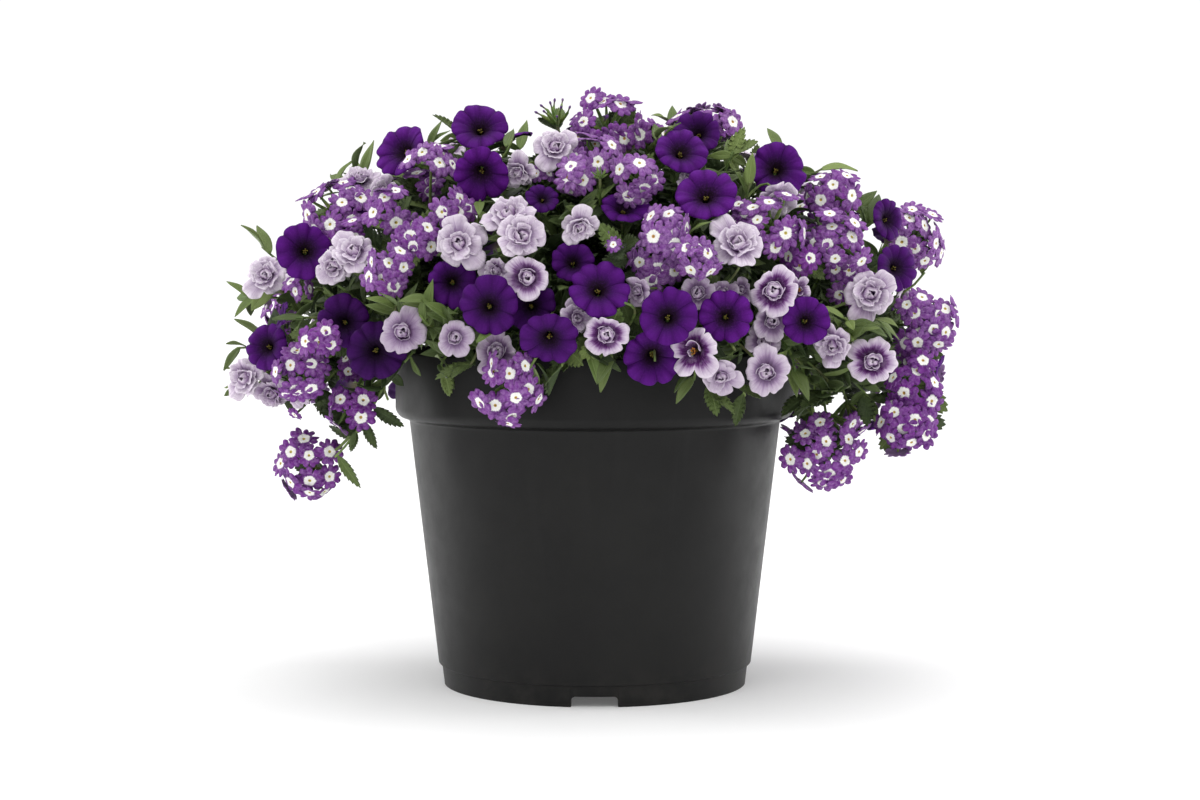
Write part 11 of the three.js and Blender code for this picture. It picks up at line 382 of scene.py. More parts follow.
        [1487,592,2838,98,-3,20,-10,80,60,168,54,0], [1505,619,2863,85,-16,50,-3,93,36,159,58,0], [1523,644,2889,28,-10,95,54,84,-7,195,55,0], [1540,664,2916,83,54,-9,2,14,99,241,76,0], [1556,681,2943,92,38,-3,-5,20,98,181,67,0], [684,122,2263,55,-61,58,51,79,35,187,64,0], [747,132,2313,85,51,-10,30,-32,90,208,71,0], [814,143,2358,22,15,96,97,3,-22,223,76,0], [884,154,2401,91,-41,-3,30,60,74,248,84,0], [955,165,2441,52,80,30,70,-60,38,196,67,0], [1026,175,2480,44,-42,79,78,62,-10,249,85,0], [1093,186,2520,96,16,-24,24,2,97,276,94,0], [1156,196,2562,22,53,82,93,-36,-2,261,89,0], [566,104,2124,66,-69,28,-44,-6,90,210,88,0], [602,110,2177,8,94,34,-39,-28,88,280,112,0], [644,116,2225,95,-3,31,-30,8,95,196,67,0], [691,124,2269,-12,92,36,58,-23,78,229,95,0], [742,131,2310,86,46,24,-6,-36,93,226,78,0], [797,140,2347,52,81,27,0,-32,95,231,83,0], [853,149,2382,17,95,27,-23,-23,95,307,107,0], [910,158,2416,-34,-89,30,-6,34,94,306,107,0], [968,167,2448,-18,-88,44,15,41,90,276,104,0], [1025,175,2480,-12,-93,34,-41,36,84,289,99,0], [1080,184,2512,32,-87,38,-16,34,93,301,106,0], [1133,192,2546,81,-56,17,-10,15,98,301,121,0], [1029,174,2496,-5,-82,57,-3,57,82,204,80,0], [1065,187,2540,-29,-76,58,29,51,81,301,112,0], [1095,214,2588,81,-47,35,-41,-4,91,306,107,0], [1120,250,2638,48,-78,40,-15,38,91,288,118,0], [1142,294,2691,80,42,42,-52,15,84,219,90,0], [988,175,2459,0,88,48,10,-48,87,267,94,0], [1024,185,2488,-78,32,54,57,0,82,305,105,0], [1051,190,2530,-86,-12,50,50,0,87,215,80,0], [1071,188,2584,-65,46,61,54,-28,79,302,119,0], [1085,182,2646,-33,-90,30,16,26,95,261,106,0], [1095,173,2715,62,-67,41,-36,22,91,266,97,0], [1101,162,2788,20,84,50,10,-52,85,276,96,0], [1106,150,2864,-73,42,54,-24,-90,38,310,111,0], [1111,139,2939,-85,-13,51,51,5,86,270,102,0], [1116,130,3012,-2,-91,42,36,38,85,209,79,0], [1123,123,3080,6,-89,46,-18,44,88,264,109,0], [1067,180,2518,60,-71,38,-47,7,88,308,120,0], [1086,183,2555,-17,80,58,62,-37,69,288,111,0], [1092,189,2602,89,-14,44,-45,-4,89,239,88,0], [1087,196,2657,-72,51,47,43,-21,88,310,118,0], [1075,206,2720,-1,96,27,-20,-26,94,299,121,0], [1057,217,2788,73,-46,50,-40,32,86,213,73,0], [1038,231,2859,51,-62,59,-16,61,78,260,98,0], [1020,247,2932,-31,83,47,63,-19,75,254,93,0], [1005,264,3005,-67,-49,55,49,26,83,216,81,0], [997,284,3077,-58,62,53,43,-32,84,250,91,0], [999,306,3145,-55,-55,62,26,59,76,263,96,0], [1013,330,3208,-79,43,44,40,-17,90,283,101,0], [1116,190,2549,95,8,30,-29,-11,95,282,100,0], [1163,197,2570,-6,93,36,62,-24,75,194,73,0], [1160,203,2569,-32,92,21,65,6,76,265,90,0],
    ],
    "verbena_spray_15": [
        [377,1065,2642,4,98,17,100,-4,-5,290,136,1], [377,1065,2642,11,98,-13,96,-8,26,175,90,1], [463,1112,2623,45,28,-85,63,57,53,199,97,1], [463,1112,2623,54,34,77,56,54,-63,245,126,1], [557,1158,2598,24,97,-10,97,-23,11,292,161,1], [557,1158,2598,24,97,1,97,-24,-2,175,81,1], [654,1204,2571,74,41,53,34,45,-82,299,165,1], [654,1204,2571,61,56,56,53,24,-81,208,105,1], [749,1249,2546,26,97,-2,97,-26,3,218,94,1], [749,1249,2546,31,95,-6,95,-30,8,292,142,1], [839,1295,2529,9,95,-31,95,0,31,219,96,1], [839,1295,2529,36,42,83,72,44,-54,183,91,1], [920,1340,2523,26,96,-10,92,-21,34,232,103,1], [920,1340,2523,9,99,10,99,-10,8,307,166,1], [987,1387,2533,68,14,72,27,87,-42,175,75,1], [987,1387,2533,61,41,-67,44,53,73,185,93,1], [1036,1435,2563,91,40,-7,-19,58,79,197,107,1], [1036,1435,2563,84,51,-20,-8,46,88,221,137,1], [285,862,2580,-14,63,76,98,19,3,260,142,1], [285,862,2580,-13,57,81,96,26,-3,159,79,1], [349,907,2634,28,96,-2,53,-14,84,225,108,1], [349,907,2634,38,-44,81,45,86,25,187,91,1], [417,952,2688,-7,59,81,98,17,-4,286,134,1], [417,952,2688,-16,46,87,94,33,0,309,167,1], [486,996,2742,55,-21,81,30,95,5,235,112,1], [486,996,2742,50,86,5,31,-23,92,303,150,1], [551,1039,2799,97,22,11,-22,57,79,314,158,1], [551,1039,2799,5,51,86,96,22,-18,182,96,1], [610,1083,2857,38,88,30,42,-45,79,307,162,1], [610,1083,2857,69,-23,68,8,97,24,292,123,1], [659,1127,2917,-13,50,85,96,28,-1,224,98,1], [659,1127,2917,88,47,-2,-17,35,92,284,119,1], [694,1173,2981,92,1,38,-27,74,62,183,88,1], [694,1173,2981,-50,52,70,87,34,37,175,96,1], [711,1219,3047,68,72,9,-33,19,93,147,87,1], [303,807,2716,29,64,71,54,-72,44,259,117,1], [303,807,2716,47,62,63,29,-78,56,187,99,1], [362,779,2788,98,0,17,-17,0,98,177,75,1], [362,779,2788,-24,-11,97,96,9,25,239,128,1], [425,744,2862,35,76,55,46,-65,61,162,76,1], [425,744,2862,43,57,70,39,-82,43,215,91,1], [488,705,2939,-12,-8,99,99,-3,12,212,111,1], [488,705,2939,90,-24,35,-31,20,93,291,137,1], [549,667,3016,34,44,83,48,-84,25,198,95,1], [549,667,3016,26,58,78,53,-76,38,244,133,1], [604,633,3095,93,-6,36,-36,-3,93,281,154,1], [604,633,3095,-44,13,89,87,-16,46,248,106,1], [652,607,3173,31,57,76,37,-81,46,271,115,1], [652,607,3173,27,-85,46,39,53,75,207,112,1], [689,594,3251,-18,-49,85,69,55,46,287,131,1], [689,594,3251,15,76,63,40,-63,66,203,100,1], [712,598,3328,71,-27,65,-37,64,67,222,114,1], [712,598,3328,-29,-59,75,47,60,65,193,90,1], [25,986,2734,-20,85,48,-86,-39,33,240,107,1], [25,986,2734,-78,-49,38,-30,83,46,269,139,1], [-62,1006,2775,-83,51,-22,-19,10,98,292,140,1], [-62,1006,2775,-14,-9,99,-79,61,-5,257,116,1], [-157,1022,2816,-39,77,51,-81,-55,20,178,91,1], [-157,1022,2816,-18,83,53,-91,-34,22,251,108,1], [-256,1036,2857,-17,-5,98,-85,52,-12,177,76,1], [-256,1036,2857,-79,52,-31,-34,5,94,188,88,1], [-354,1048,2901,-40,71,59,-83,-55,10,298,145,1], [-354,1048,2901,-30,83,46,-82,-48,33,308,132,1], [-445,1061,2948,-86,43,-28,-26,11,96,316,146,1], [-445,1061,2948,-3,-1,100,-89,45,-2,279,141,1], [-525,1076,3000,-17,74,65,-89,-39,22,255,136,1], [-525,1076,3000,-11,88,47,-82,-35,46,269,127,1], [-587,1095,3057,13,-16,98,-78,60,20,198,108,1], [-587,1095,3057,-78,63,4,-1,-7,100,228,114,1], [-628,1118,3121,-91,38,18,29,25,92,168,107,1], [-628,1118,3121,-79,-50,36,-8,67,74,286,134,1], [218,788,2732,60,-70,39,-19,35,92,241,130,1], [218,788,2732,-38,31,87,69,-53,49,272,131,1], [234,734,2803,70,13,70,-51,-59,62,196,88,1], [234,734,2803,67,12,73,-54,-61,59,200,89,1], [251,669,2876,-11,22,97,50,-83,24,191,103,1], [251,669,2876,69,-72,6,-10,-1,99,167,78,1], [267,596,2952,82,15,56,-39,-58,72,212,101,1], [267,596,2952,59,14,79,-44,-77,46,237,117,1], [283,521,3030,-25,18,95,57,-76,29,173,92,1], [283,521,3030,-30,23,93,57,-74,37,282,134,1], [297,449,3110,67,-12,73,-68,-48,55,267,119,1], [297,449,3110,71,24,66,-37,-68,64,272,133,1],
        [310,385,3190,-31,17,93,63,-70,34,225,96,1], [310,385,3190,-28,18,94,61,-72,32,260,129,1], [321,335,3271,63,25,73,-46,-64,62,198,103,1], [321,335,3271,-41,32,86,59,-62,51,157,76,1], [330,302,3353,-65,-53,54,53,18,83,126,62,1], [65,1071,2561,-86,32,39,18,92,-35,294,143,1], [65,1071,2561,46,74,-50,-73,63,26,298,125,1], [3,1146,2530,6,86,50,-71,39,-58,183,90,1], [3,1146,2530,-10,89,45,-64,28,-71,220,122,1], [-65,1223,2492,20,79,-58,-82,46,35,176,78,1], [-65,1223,2492,-95,25,21,17,93,-33,180,80,1], [-136,1301,2451,-33,91,25,-50,6,-86,289,126,1], [-136,1301,2451,-31,87,39,-46,23,-86,312,137,1], [-205,1379,2413,-89,32,32,15,87,-46,278,143,1], [-205,1379,2413,6,82,-57,-81,38,45,313,166,1], [-270,1455,2381,15,99,8,-96,16,-22,237,129,1], [-270,1455,2381,-68,17,-71,-15,92,36,284,135,1], [-327,1529,2361,8,96,-28,-90,19,39,199,103,1], [-327,1529,2361,-81,28,52,5,91,-41,271,143,1], [-370,1599,2357,-77,44,-46,13,82,56,308,137,1], [-370,1599,2357,45,89,-4,-87,44,22,245,104,1], [-398,1665,2375,48,88,-3,-75,43,50,129,79,1], [-398,1665,2375,-32,85,-42,-4,43,90,236,112,1], [224,882,2509,23,34,91,25,89,-39,242,108,1], [224,882,2509,-5,97,-23,51,22,83,255,121,1], [262,959,2541,87,48,12,-47,74,48,257,125,1], [262,959,2541,-51,71,49,85,51,13,263,111,1], [302,1039,2571,26,91,-32,27,25,93,261,119,1], [302,1039,2571,38,39,84,11,88,-46,198,105,1], [344,1120,2599,-33,90,29,93,27,23,226,110,1], [344,1120,2599,91,41,-5,-32,78,54,166,83,1], [384,1202,2628,31,34,89,21,89,-41,260,118,1], [384,1202,2628,17,85,-49,33,42,84,310,154,1], [422,1282,2658,95,25,17,-30,88,37,300,126,1], [422,1282,2658,-30,90,33,95,23,22,245,115,1], [456,1361,2692,-1,90,-45,40,41,82,263,123,1], [456,1361,2692,40,8,91,11,98,-14,239,119,1], [484,1436,2731,81,34,48,-47,86,19,185,100,1], [484,1436,2731,95,32,-1,-25,78,57,208,90,1], [193,973,2484,52,71,-47,-32,68,66,183,78,1], [193,973,2484,-41,72,56,63,67,-40,165,91,1], [206,1067,2471,52,71,47,-45,70,-56,188,102,1], [206,1067,2471,53,60,59,-32,79,-52,204,104,1], [218,1165,2452,-31,86,42,65,51,-56,293,154,1], [218,1165,2452,67,60,-44,-44,79,42,217,120,1], [228,1264,2431,60,64,48,-43,76,-49,292,130,1], [228,1264,2431,41,74,54,-31,66,-68,295,144,1], [237,1363,2413,55,65,-53,-38,76,53,183,99,1], [237,1363,2413,-44,80,41,67,59,-45,207,111,1], [244,1459,2401,48,59,65,-30,81,-51,311,153,1], [244,1459,2401,43,66,62,-32,75,-57,242,131,1], [248,1550,2401,14,67,73,-6,74,-67,182,91,1], [248,1550,2401,62,72,-31,-52,67,53,276,143,1], [249,1634,2416,82,54,20,-58,79,22,295,134,1], [249,1634,2416,-35,82,-46,34,56,75,182,88,1], [111,532,2233,80,45,40,-58,41,71,207,103,1], [122,584,2294,-41,89,20,58,8,81,183,91,1], [134,639,2351,18,3,98,2,100,-4,234,117,1], [146,697,2405,52,85,-1,-29,19,94,200,100,1], [158,755,2457,-58,53,62,80,50,32,222,111,1], [170,809,2509,71,19,68,-51,80,31,193,97,1], [180,859,2562,-9,99,7,27,-4,96,204,102,1], [332,296,3381,67,74,-1,72,-65,-25,150,78,1], [216,792,2724,-56,51,66,-12,-83,54,150,78,1], [97,466,2129,-43,77,46,29,-36,89,206,98,1], [104,499,2186,-4,97,26,6,-26,96,191,88,1], [112,537,2239,-37,-82,44,-9,50,86,297,164,1], [121,579,2289,84,-40,36,-40,-2,92,220,118,1], [131,624,2335,-80,13,59,58,-9,81,248,126,1], [140,670,2380,86,40,31,-28,-13,95,214,115,1], [150,717,2423,78,-58,25,-40,-15,90,208,110,1], [160,764,2465,-46,78,43,21,-37,90,256,132,1], [169,808,2508,-55,-55,63,54,35,77,217,112,1], [178,849,2551,-23,92,32,-19,-37,91,254,128,1], [193,905,2613,36,86,37,-14,-34,93,248,114,1], [216,942,2636,30,95,11,-42,3,91,275,127,1], [251,978,2649,94,32,12,-11,-4,99,267,140,1], [295,1013,2652,35,90,27,-31,-16,94,263,139,1], [347,1048,2647,99,-10,9,-11,-21,97,275,129,1], [406,1082,2636,-86,-27,43,44,4,90,276,148,1], [151,709,2415,-56,-59,58,66,10,74,254,121,1], [170,747,2455,-94,3,35,30,-43,85,283,146,1],
        [198,783,2494,32,91,25,7,-29,96,245,122,1], [233,819,2532,-54,-72,44,36,27,89,231,123,1], [274,853,2571,76,-45,46,-36,30,88,301,145,1], [319,886,2609,83,-33,46,-47,5,88,204,110,1], [366,919,2648,90,-12,42,-38,27,88,231,112,1], [416,951,2687,74,64,22,-5,-28,96,235,130,1], [466,983,2726,-86,-23,46,41,23,88,291,138,1], [515,1015,2766,7,-95,30,-1,30,95,289,136,1], [169,790,2503,4,-86,50,-12,49,86,264,145,1], [187,812,2546,-54,72,44,15,-43,89,229,108,1], [212,823,2590,63,69,36,-49,-2,87,250,118,1], [243,823,2637,-77,-8,63,63,-18,75,294,151,1], [280,815,2686,64,64,42,-8,-49,87,286,141,1], [320,800,2737,-71,61,34,34,-13,93,203,110,1], [363,779,2789,88,-25,42,-37,21,91,220,112,1], [408,754,2843,86,-10,50,-50,-38,78,248,121,1], [454,727,2897,87,-32,39,-41,-1,91,199,103,1], [499,698,2953,-40,68,62,12,-63,77,261,126,1], [543,670,3009,-28,-88,37,6,37,93,282,156,1], [584,645,3066,-75,-53,40,26,32,91,301,158,1], [622,623,3122,87,11,49,-42,-38,83,215,110,1], [655,606,3179,38,-83,41,-36,27,89,292,145,1], [682,596,3235,-8,82,57,32,-52,79,229,125,1], [703,594,3291,33,-76,55,-26,49,83,294,141,1], [715,602,3346,75,-33,57,-43,41,80,224,115,1], [179,876,2586,75,52,41,-42,-11,90,303,154,1], [168,908,2622,-85,31,42,43,-3,90,275,141,1], [142,935,2656,80,-30,53,-59,-17,79,214,114,1], [103,958,2688,42,83,37,-43,-17,89,309,169,1], [55,977,2718,-96,10,25,26,17,95,256,125,1], [-3,994,2748,-97,13,20,10,-54,84,283,154,1], [-67,1007,2777,58,76,29,-17,-23,96,230,114,1], [-135,1019,2806,-70,67,23,32,0,95,241,112,1], [-206,1029,2836,-86,45,25,31,6,95,199,94,1], [-278,1039,2867,-64,70,33,-36,-65,67,297,139,1], [-348,1048,2899,-38,88,28,22,-20,95,204,100,1], [-416,1057,2932,83,28,49,-43,-23,87,203,102,1], [-478,1067,2968,-93,-21,31,30,7,95,282,141,1], [172,817,2530,31,79,53,-27,-46,84,201,107,1], [181,834,2572,80,-28,53,-58,-15,80,276,134,1], [191,836,2616,-15,-80,58,-1,59,81,227,109,1], [202,824,2663,39,-77,50,-90,-20,38,264,124,1], [213,801,2711,-57,72,40,7,-44,90,249,118,1], [225,767,2761,-52,70,49,51,-21,84,286,146,1], [237,726,2813,93,-6,37,-36,5,93,244,119,1], [249,678,2866,-97,5,23,24,14,96,287,156,1], [260,627,2920,44,-88,20,-1,21,98,274,131,1], [272,573,2976,69,-56,46,-36,28,89,251,116,1], [283,519,3033,-75,39,53,16,-67,72,268,144,1], [294,467,3090,-90,26,34,33,-8,94,283,155,1], [303,418,3148,80,50,33,-33,-10,94,232,115,1], [312,374,3206,83,46,32,-10,-44,89,226,125,1], [320,338,3265,37,87,31,19,-40,90,191,91,1], [327,312,3323,-7,84,55,-5,-55,83,288,143,1], [174,851,2556,85,39,36,-46,21,86,258,124,1], [168,893,2577,-63,75,20,-4,-28,96,290,153,1], [150,939,2585,21,-94,26,25,31,92,266,132,1], [124,987,2583,-97,24,9,0,-37,93,256,140,1], [90,1038,2572,53,-85,-5,-16,-16,97,244,117,1], [49,1091,2554,-87,-37,33,23,30,93,255,141,1], [4,1145,2531,-46,89,9,5,-7,100,269,140,1], [143,681,2385,-61,62,49,32,-38,87,238,114,1], [157,726,2421,59,80,14,28,-37,89,268,131,1], [175,774,2452,-64,71,31,21,-22,95,250,139,1], [197,824,2481,92,2,38,-32,-48,81,210,99,1], [222,878,2507,-84,32,44,18,-61,78,248,119,1], [248,933,2531,19,-91,37,8,39,92,278,148,1], [277,990,2553,-69,62,36,-9,-57,81,232,125,1], [307,1048,2574,86,-30,42,-38,18,91,291,158,1], [336,1106,2594,36,-92,14,-18,8,98,287,138,1], [154,737,2441,14,88,45,-48,-34,81,262,145,1], [163,784,2466,88,-2,48,-38,59,72,244,112,1], [172,838,2481,-23,91,33,-6,-36,93,271,143,1], [182,896,2487,89,3,45,-33,-62,71,255,118,1], [191,959,2485,-91,17,38,38,1,92,250,130,1], [200,1026,2478,-70,64,33,26,-20,94,222,124,1], [209,1095,2466,76,60,25,-6,-32,95,228,113,1],
    ],
    "lilac_calibrachoa_spray_11": [
        [-350,-968,2644,-88,-30,37,45,-78,44,212,76,0], [-364,-1003,2669,32,-95,-6,-62,-26,74,180,51,0], [-378,-1038,2694,-36,-14,92,-5,-98,-17,188,54,0], [-392,-1074,2717,-66,-75,2,39,-32,87,144,44,0], [-405,-1111,2740,45,-74,50,-89,-38,24,226,79,0], [-418,-1148,2762,-71,-31,63,43,-90,4,217,76,0], [-430,-1184,2784,-8,-99,-14,-32,-10,94,196,70,0], [-442,-1220,2804,9,-12,99,-39,-92,-8,162,49,0], [-452,-1256,2824,-77,-61,18,58,-56,59,220,77,0], [-461,-1290,2843,43,-84,33,-87,-30,39,222,75,0], [-469,-1324,2861,-54,-21,81,23,-97,-10,197,54,0], [-475,-1356,2878,-42,-86,-28,11,-36,93,157,43,0], [-322,-915,2821,-28,-47,83,49,68,55,183,64,0], [-320,-908,2870,-60,-33,73,71,21,67,176,50,0], [-317,-900,2920,52,-27,81,-81,16,57,215,64,0], [-314,-893,2971,-63,38,67,49,-48,73,202,55,0], [-309,-886,3022,5,-75,66,-8,66,75,152,45,0], [-304,-881,3071,13,58,80,-13,-79,59,219,68,0], [-299,-878,3119,-59,-48,65,62,24,74,201,65,0], [-294,-877,3164,78,-21,59,-62,-10,78,222,63,0], [-288,-880,3206,65,-62,43,-46,13,88,168,70,0], [-282,-888,3244,58,43,69,-29,-68,67,196,56,0], [-275,-900,3277,56,22,80,-37,-80,48,180,64,0], [-269,-918,3304,46,-87,-16,-15,-25,96,130,45,0], [-264,-942,3325,-42,-32,85,60,-80,0,150,55,0], [-253,-1002,2766,-11,-99,13,36,8,93,229,66,0], [-237,-1032,2799,-56,-62,55,83,-37,43,204,58,0], [-220,-1063,2830,-40,-52,75,86,-50,12,228,83,0], [-202,-1094,2859,49,-87,3,-23,-10,97,219,64,0], [-183,-1126,2886,27,-13,95,6,-99,-16,188,68,0], [-164,-1158,2910,-43,-88,22,76,-22,61,224,75,0], [-146,-1190,2932,82,0,58,-21,-93,29,203,59,0], [-129,-1223,2950,-32,-50,81,73,-68,-13,147,52,0], [-114,-1256,2965,-17,-97,-16,51,-22,83,160,51,0], [-100,-1289,2977,56,-38,73,-33,-92,-22,218,64,0], [-89,-1322,2985,-45,-89,-4,74,-40,55,217,68,0], [-81,-1355,2989,49,-51,71,-35,-86,-37,133,56,0], [-77,-1388,2989,-63,-72,29,74,-67,-6,139,55,0], [-76,-1420,2984,50,-73,47,-62,-68,-40,162,52,0], [-340,-962,2818,-3,-87,50,-14,50,86,234,80,0], [-342,-968,2872,-59,-72,37,35,18,92,200,61,0], [-343,-973,2927,72,-14,68,-69,-26,67,233,70,0], [-343,-977,2982,-62,21,76,52,-61,60,202,74,0], [-343,-981,3035,-6,-91,40,-5,40,91,182,67,0], [-343,-984,3087,-76,-28,58,63,-11,77,213,72,0], [-343,-988,3135,-65,-31,69,74,-4,67,204,66,0], [-344,-993,3178,-64,44,63,29,-62,73,147,48,0], [-347,-999,3216,-63,25,73,42,-68,60,211,68,0], [-361,-1030,3289,-98,12,18,1,-78,63,217,61,0], [-199,-552,2241,-83,-22,52,53,-61,59,208,71,0], [-215,-603,2302,18,-98,10,-45,1,89,230,78,0], [-233,-658,2358,-4,-6,100,-28,-96,-7,204,69,0], [-251,-714,2412,-71,-70,4,36,-32,88,191,65,0], [-269,-771,2463,51,-69,50,-85,-31,43,249,85,0], [-287,-825,2515,-63,-6,77,33,-93,19,276,94,0], [-303,-875,2568,-18,-98,1,-11,3,99,193,66,0], [-176,-483,2128,20,83,52,17,-55,82,231,89,0], [-187,-514,2186,-83,47,29,27,-9,96,193,70,0], [-198,-551,2239,-73,62,29,42,6,91,217,74,0], [-211,-592,2289,-92,3,39,34,-43,83,291,101,0], [-226,-635,2336,-53,76,38,30,-25,92,295,113,0], [-240,-681,2380,-67,63,39,55,7,83,298,122,0], [-255,-727,2423,-66,-66,35,33,16,93,190,75,0], [-270,-773,2465,4,-97,24,26,24,93,193,68,0], [-284,-817,2507,73,58,35,-10,-42,90,300,121,0], [-298,-859,2550,-96,0,29,27,-36,89,216,84,0], [-310,-896,2593,91,16,37,-41,30,86,227,78,0], [-288,-823,2523,-96,16,21,17,-24,96,238,81,0], [-308,-867,2564,-28,81,52,55,-32,78,248,89,0], [-329,-916,2605,76,-33,56,-59,4,81,229,93,0], [-350,-968,2644,65,41,64,-73,12,67,273,112,0], [-372,-1022,2683,-92,6,39,38,-18,91,310,123,0], [-393,-1078,2719,52,-75,41,7,51,86,270,97,0], [-317,-915,2628,-76,-47,45,37,27,89,199,77,0], [-321,-923,2679,-6,81,58,17,-56,81,279,102,0], [-323,-922,2742,-48,-67,56,-15,70,70,200,79,0], [-322,-916,2813,53,74,40,-23,-33,91,231,94,0], [-319,-905,2889,-66,-57,48,53,10,84,205,78,0], [-314,-894,2967,24,-89,38,30,44,84,206,82,0],
        [-307,-884,3045,78,18,60,-61,-2,79,293,108,0], [-299,-878,3120,78,50,39,3,-65,76,275,109,0], [-290,-879,3188,66,56,51,-36,-35,86,207,75,0], [-281,-889,3248,-11,83,54,25,-51,83,208,77,0], [-294,-858,2570,-95,8,30,20,-57,80,193,76,0], [-292,-897,2630,-17,78,60,-43,-61,67,310,105,0], [-281,-939,2688,-81,13,57,49,-39,78,200,76,0], [-263,-983,2744,84,-9,54,-50,30,81,287,106,0], [-239,-1029,2796,94,18,29,-32,14,94,243,83,0], [-212,-1077,2843,62,64,46,3,-60,80,279,114,0], [-183,-1126,2886,47,66,59,-35,-47,81,213,83,0], [-311,-892,2595,70,-47,55,-38,40,83,295,114,0], [-325,-922,2652,66,48,58,-40,-43,81,209,76,0], [-335,-944,2722,-92,18,35,34,-13,93,237,91,0], [-340,-959,2801,-68,-57,47,53,7,85,193,67,0], [-342,-970,2885,62,-59,52,-37,36,86,299,115,0], [-343,-977,2970,-15,-93,33,39,25,88,256,107,0], [-343,-982,3052,80,3,60,-58,33,75,269,103,0], [-343,-988,3129,74,49,47,-40,-25,88,305,113,0], [-345,-995,3195,28,79,55,-22,-50,84,225,78,0],
    ],
    "violet_calibrachoa_spray_09": [
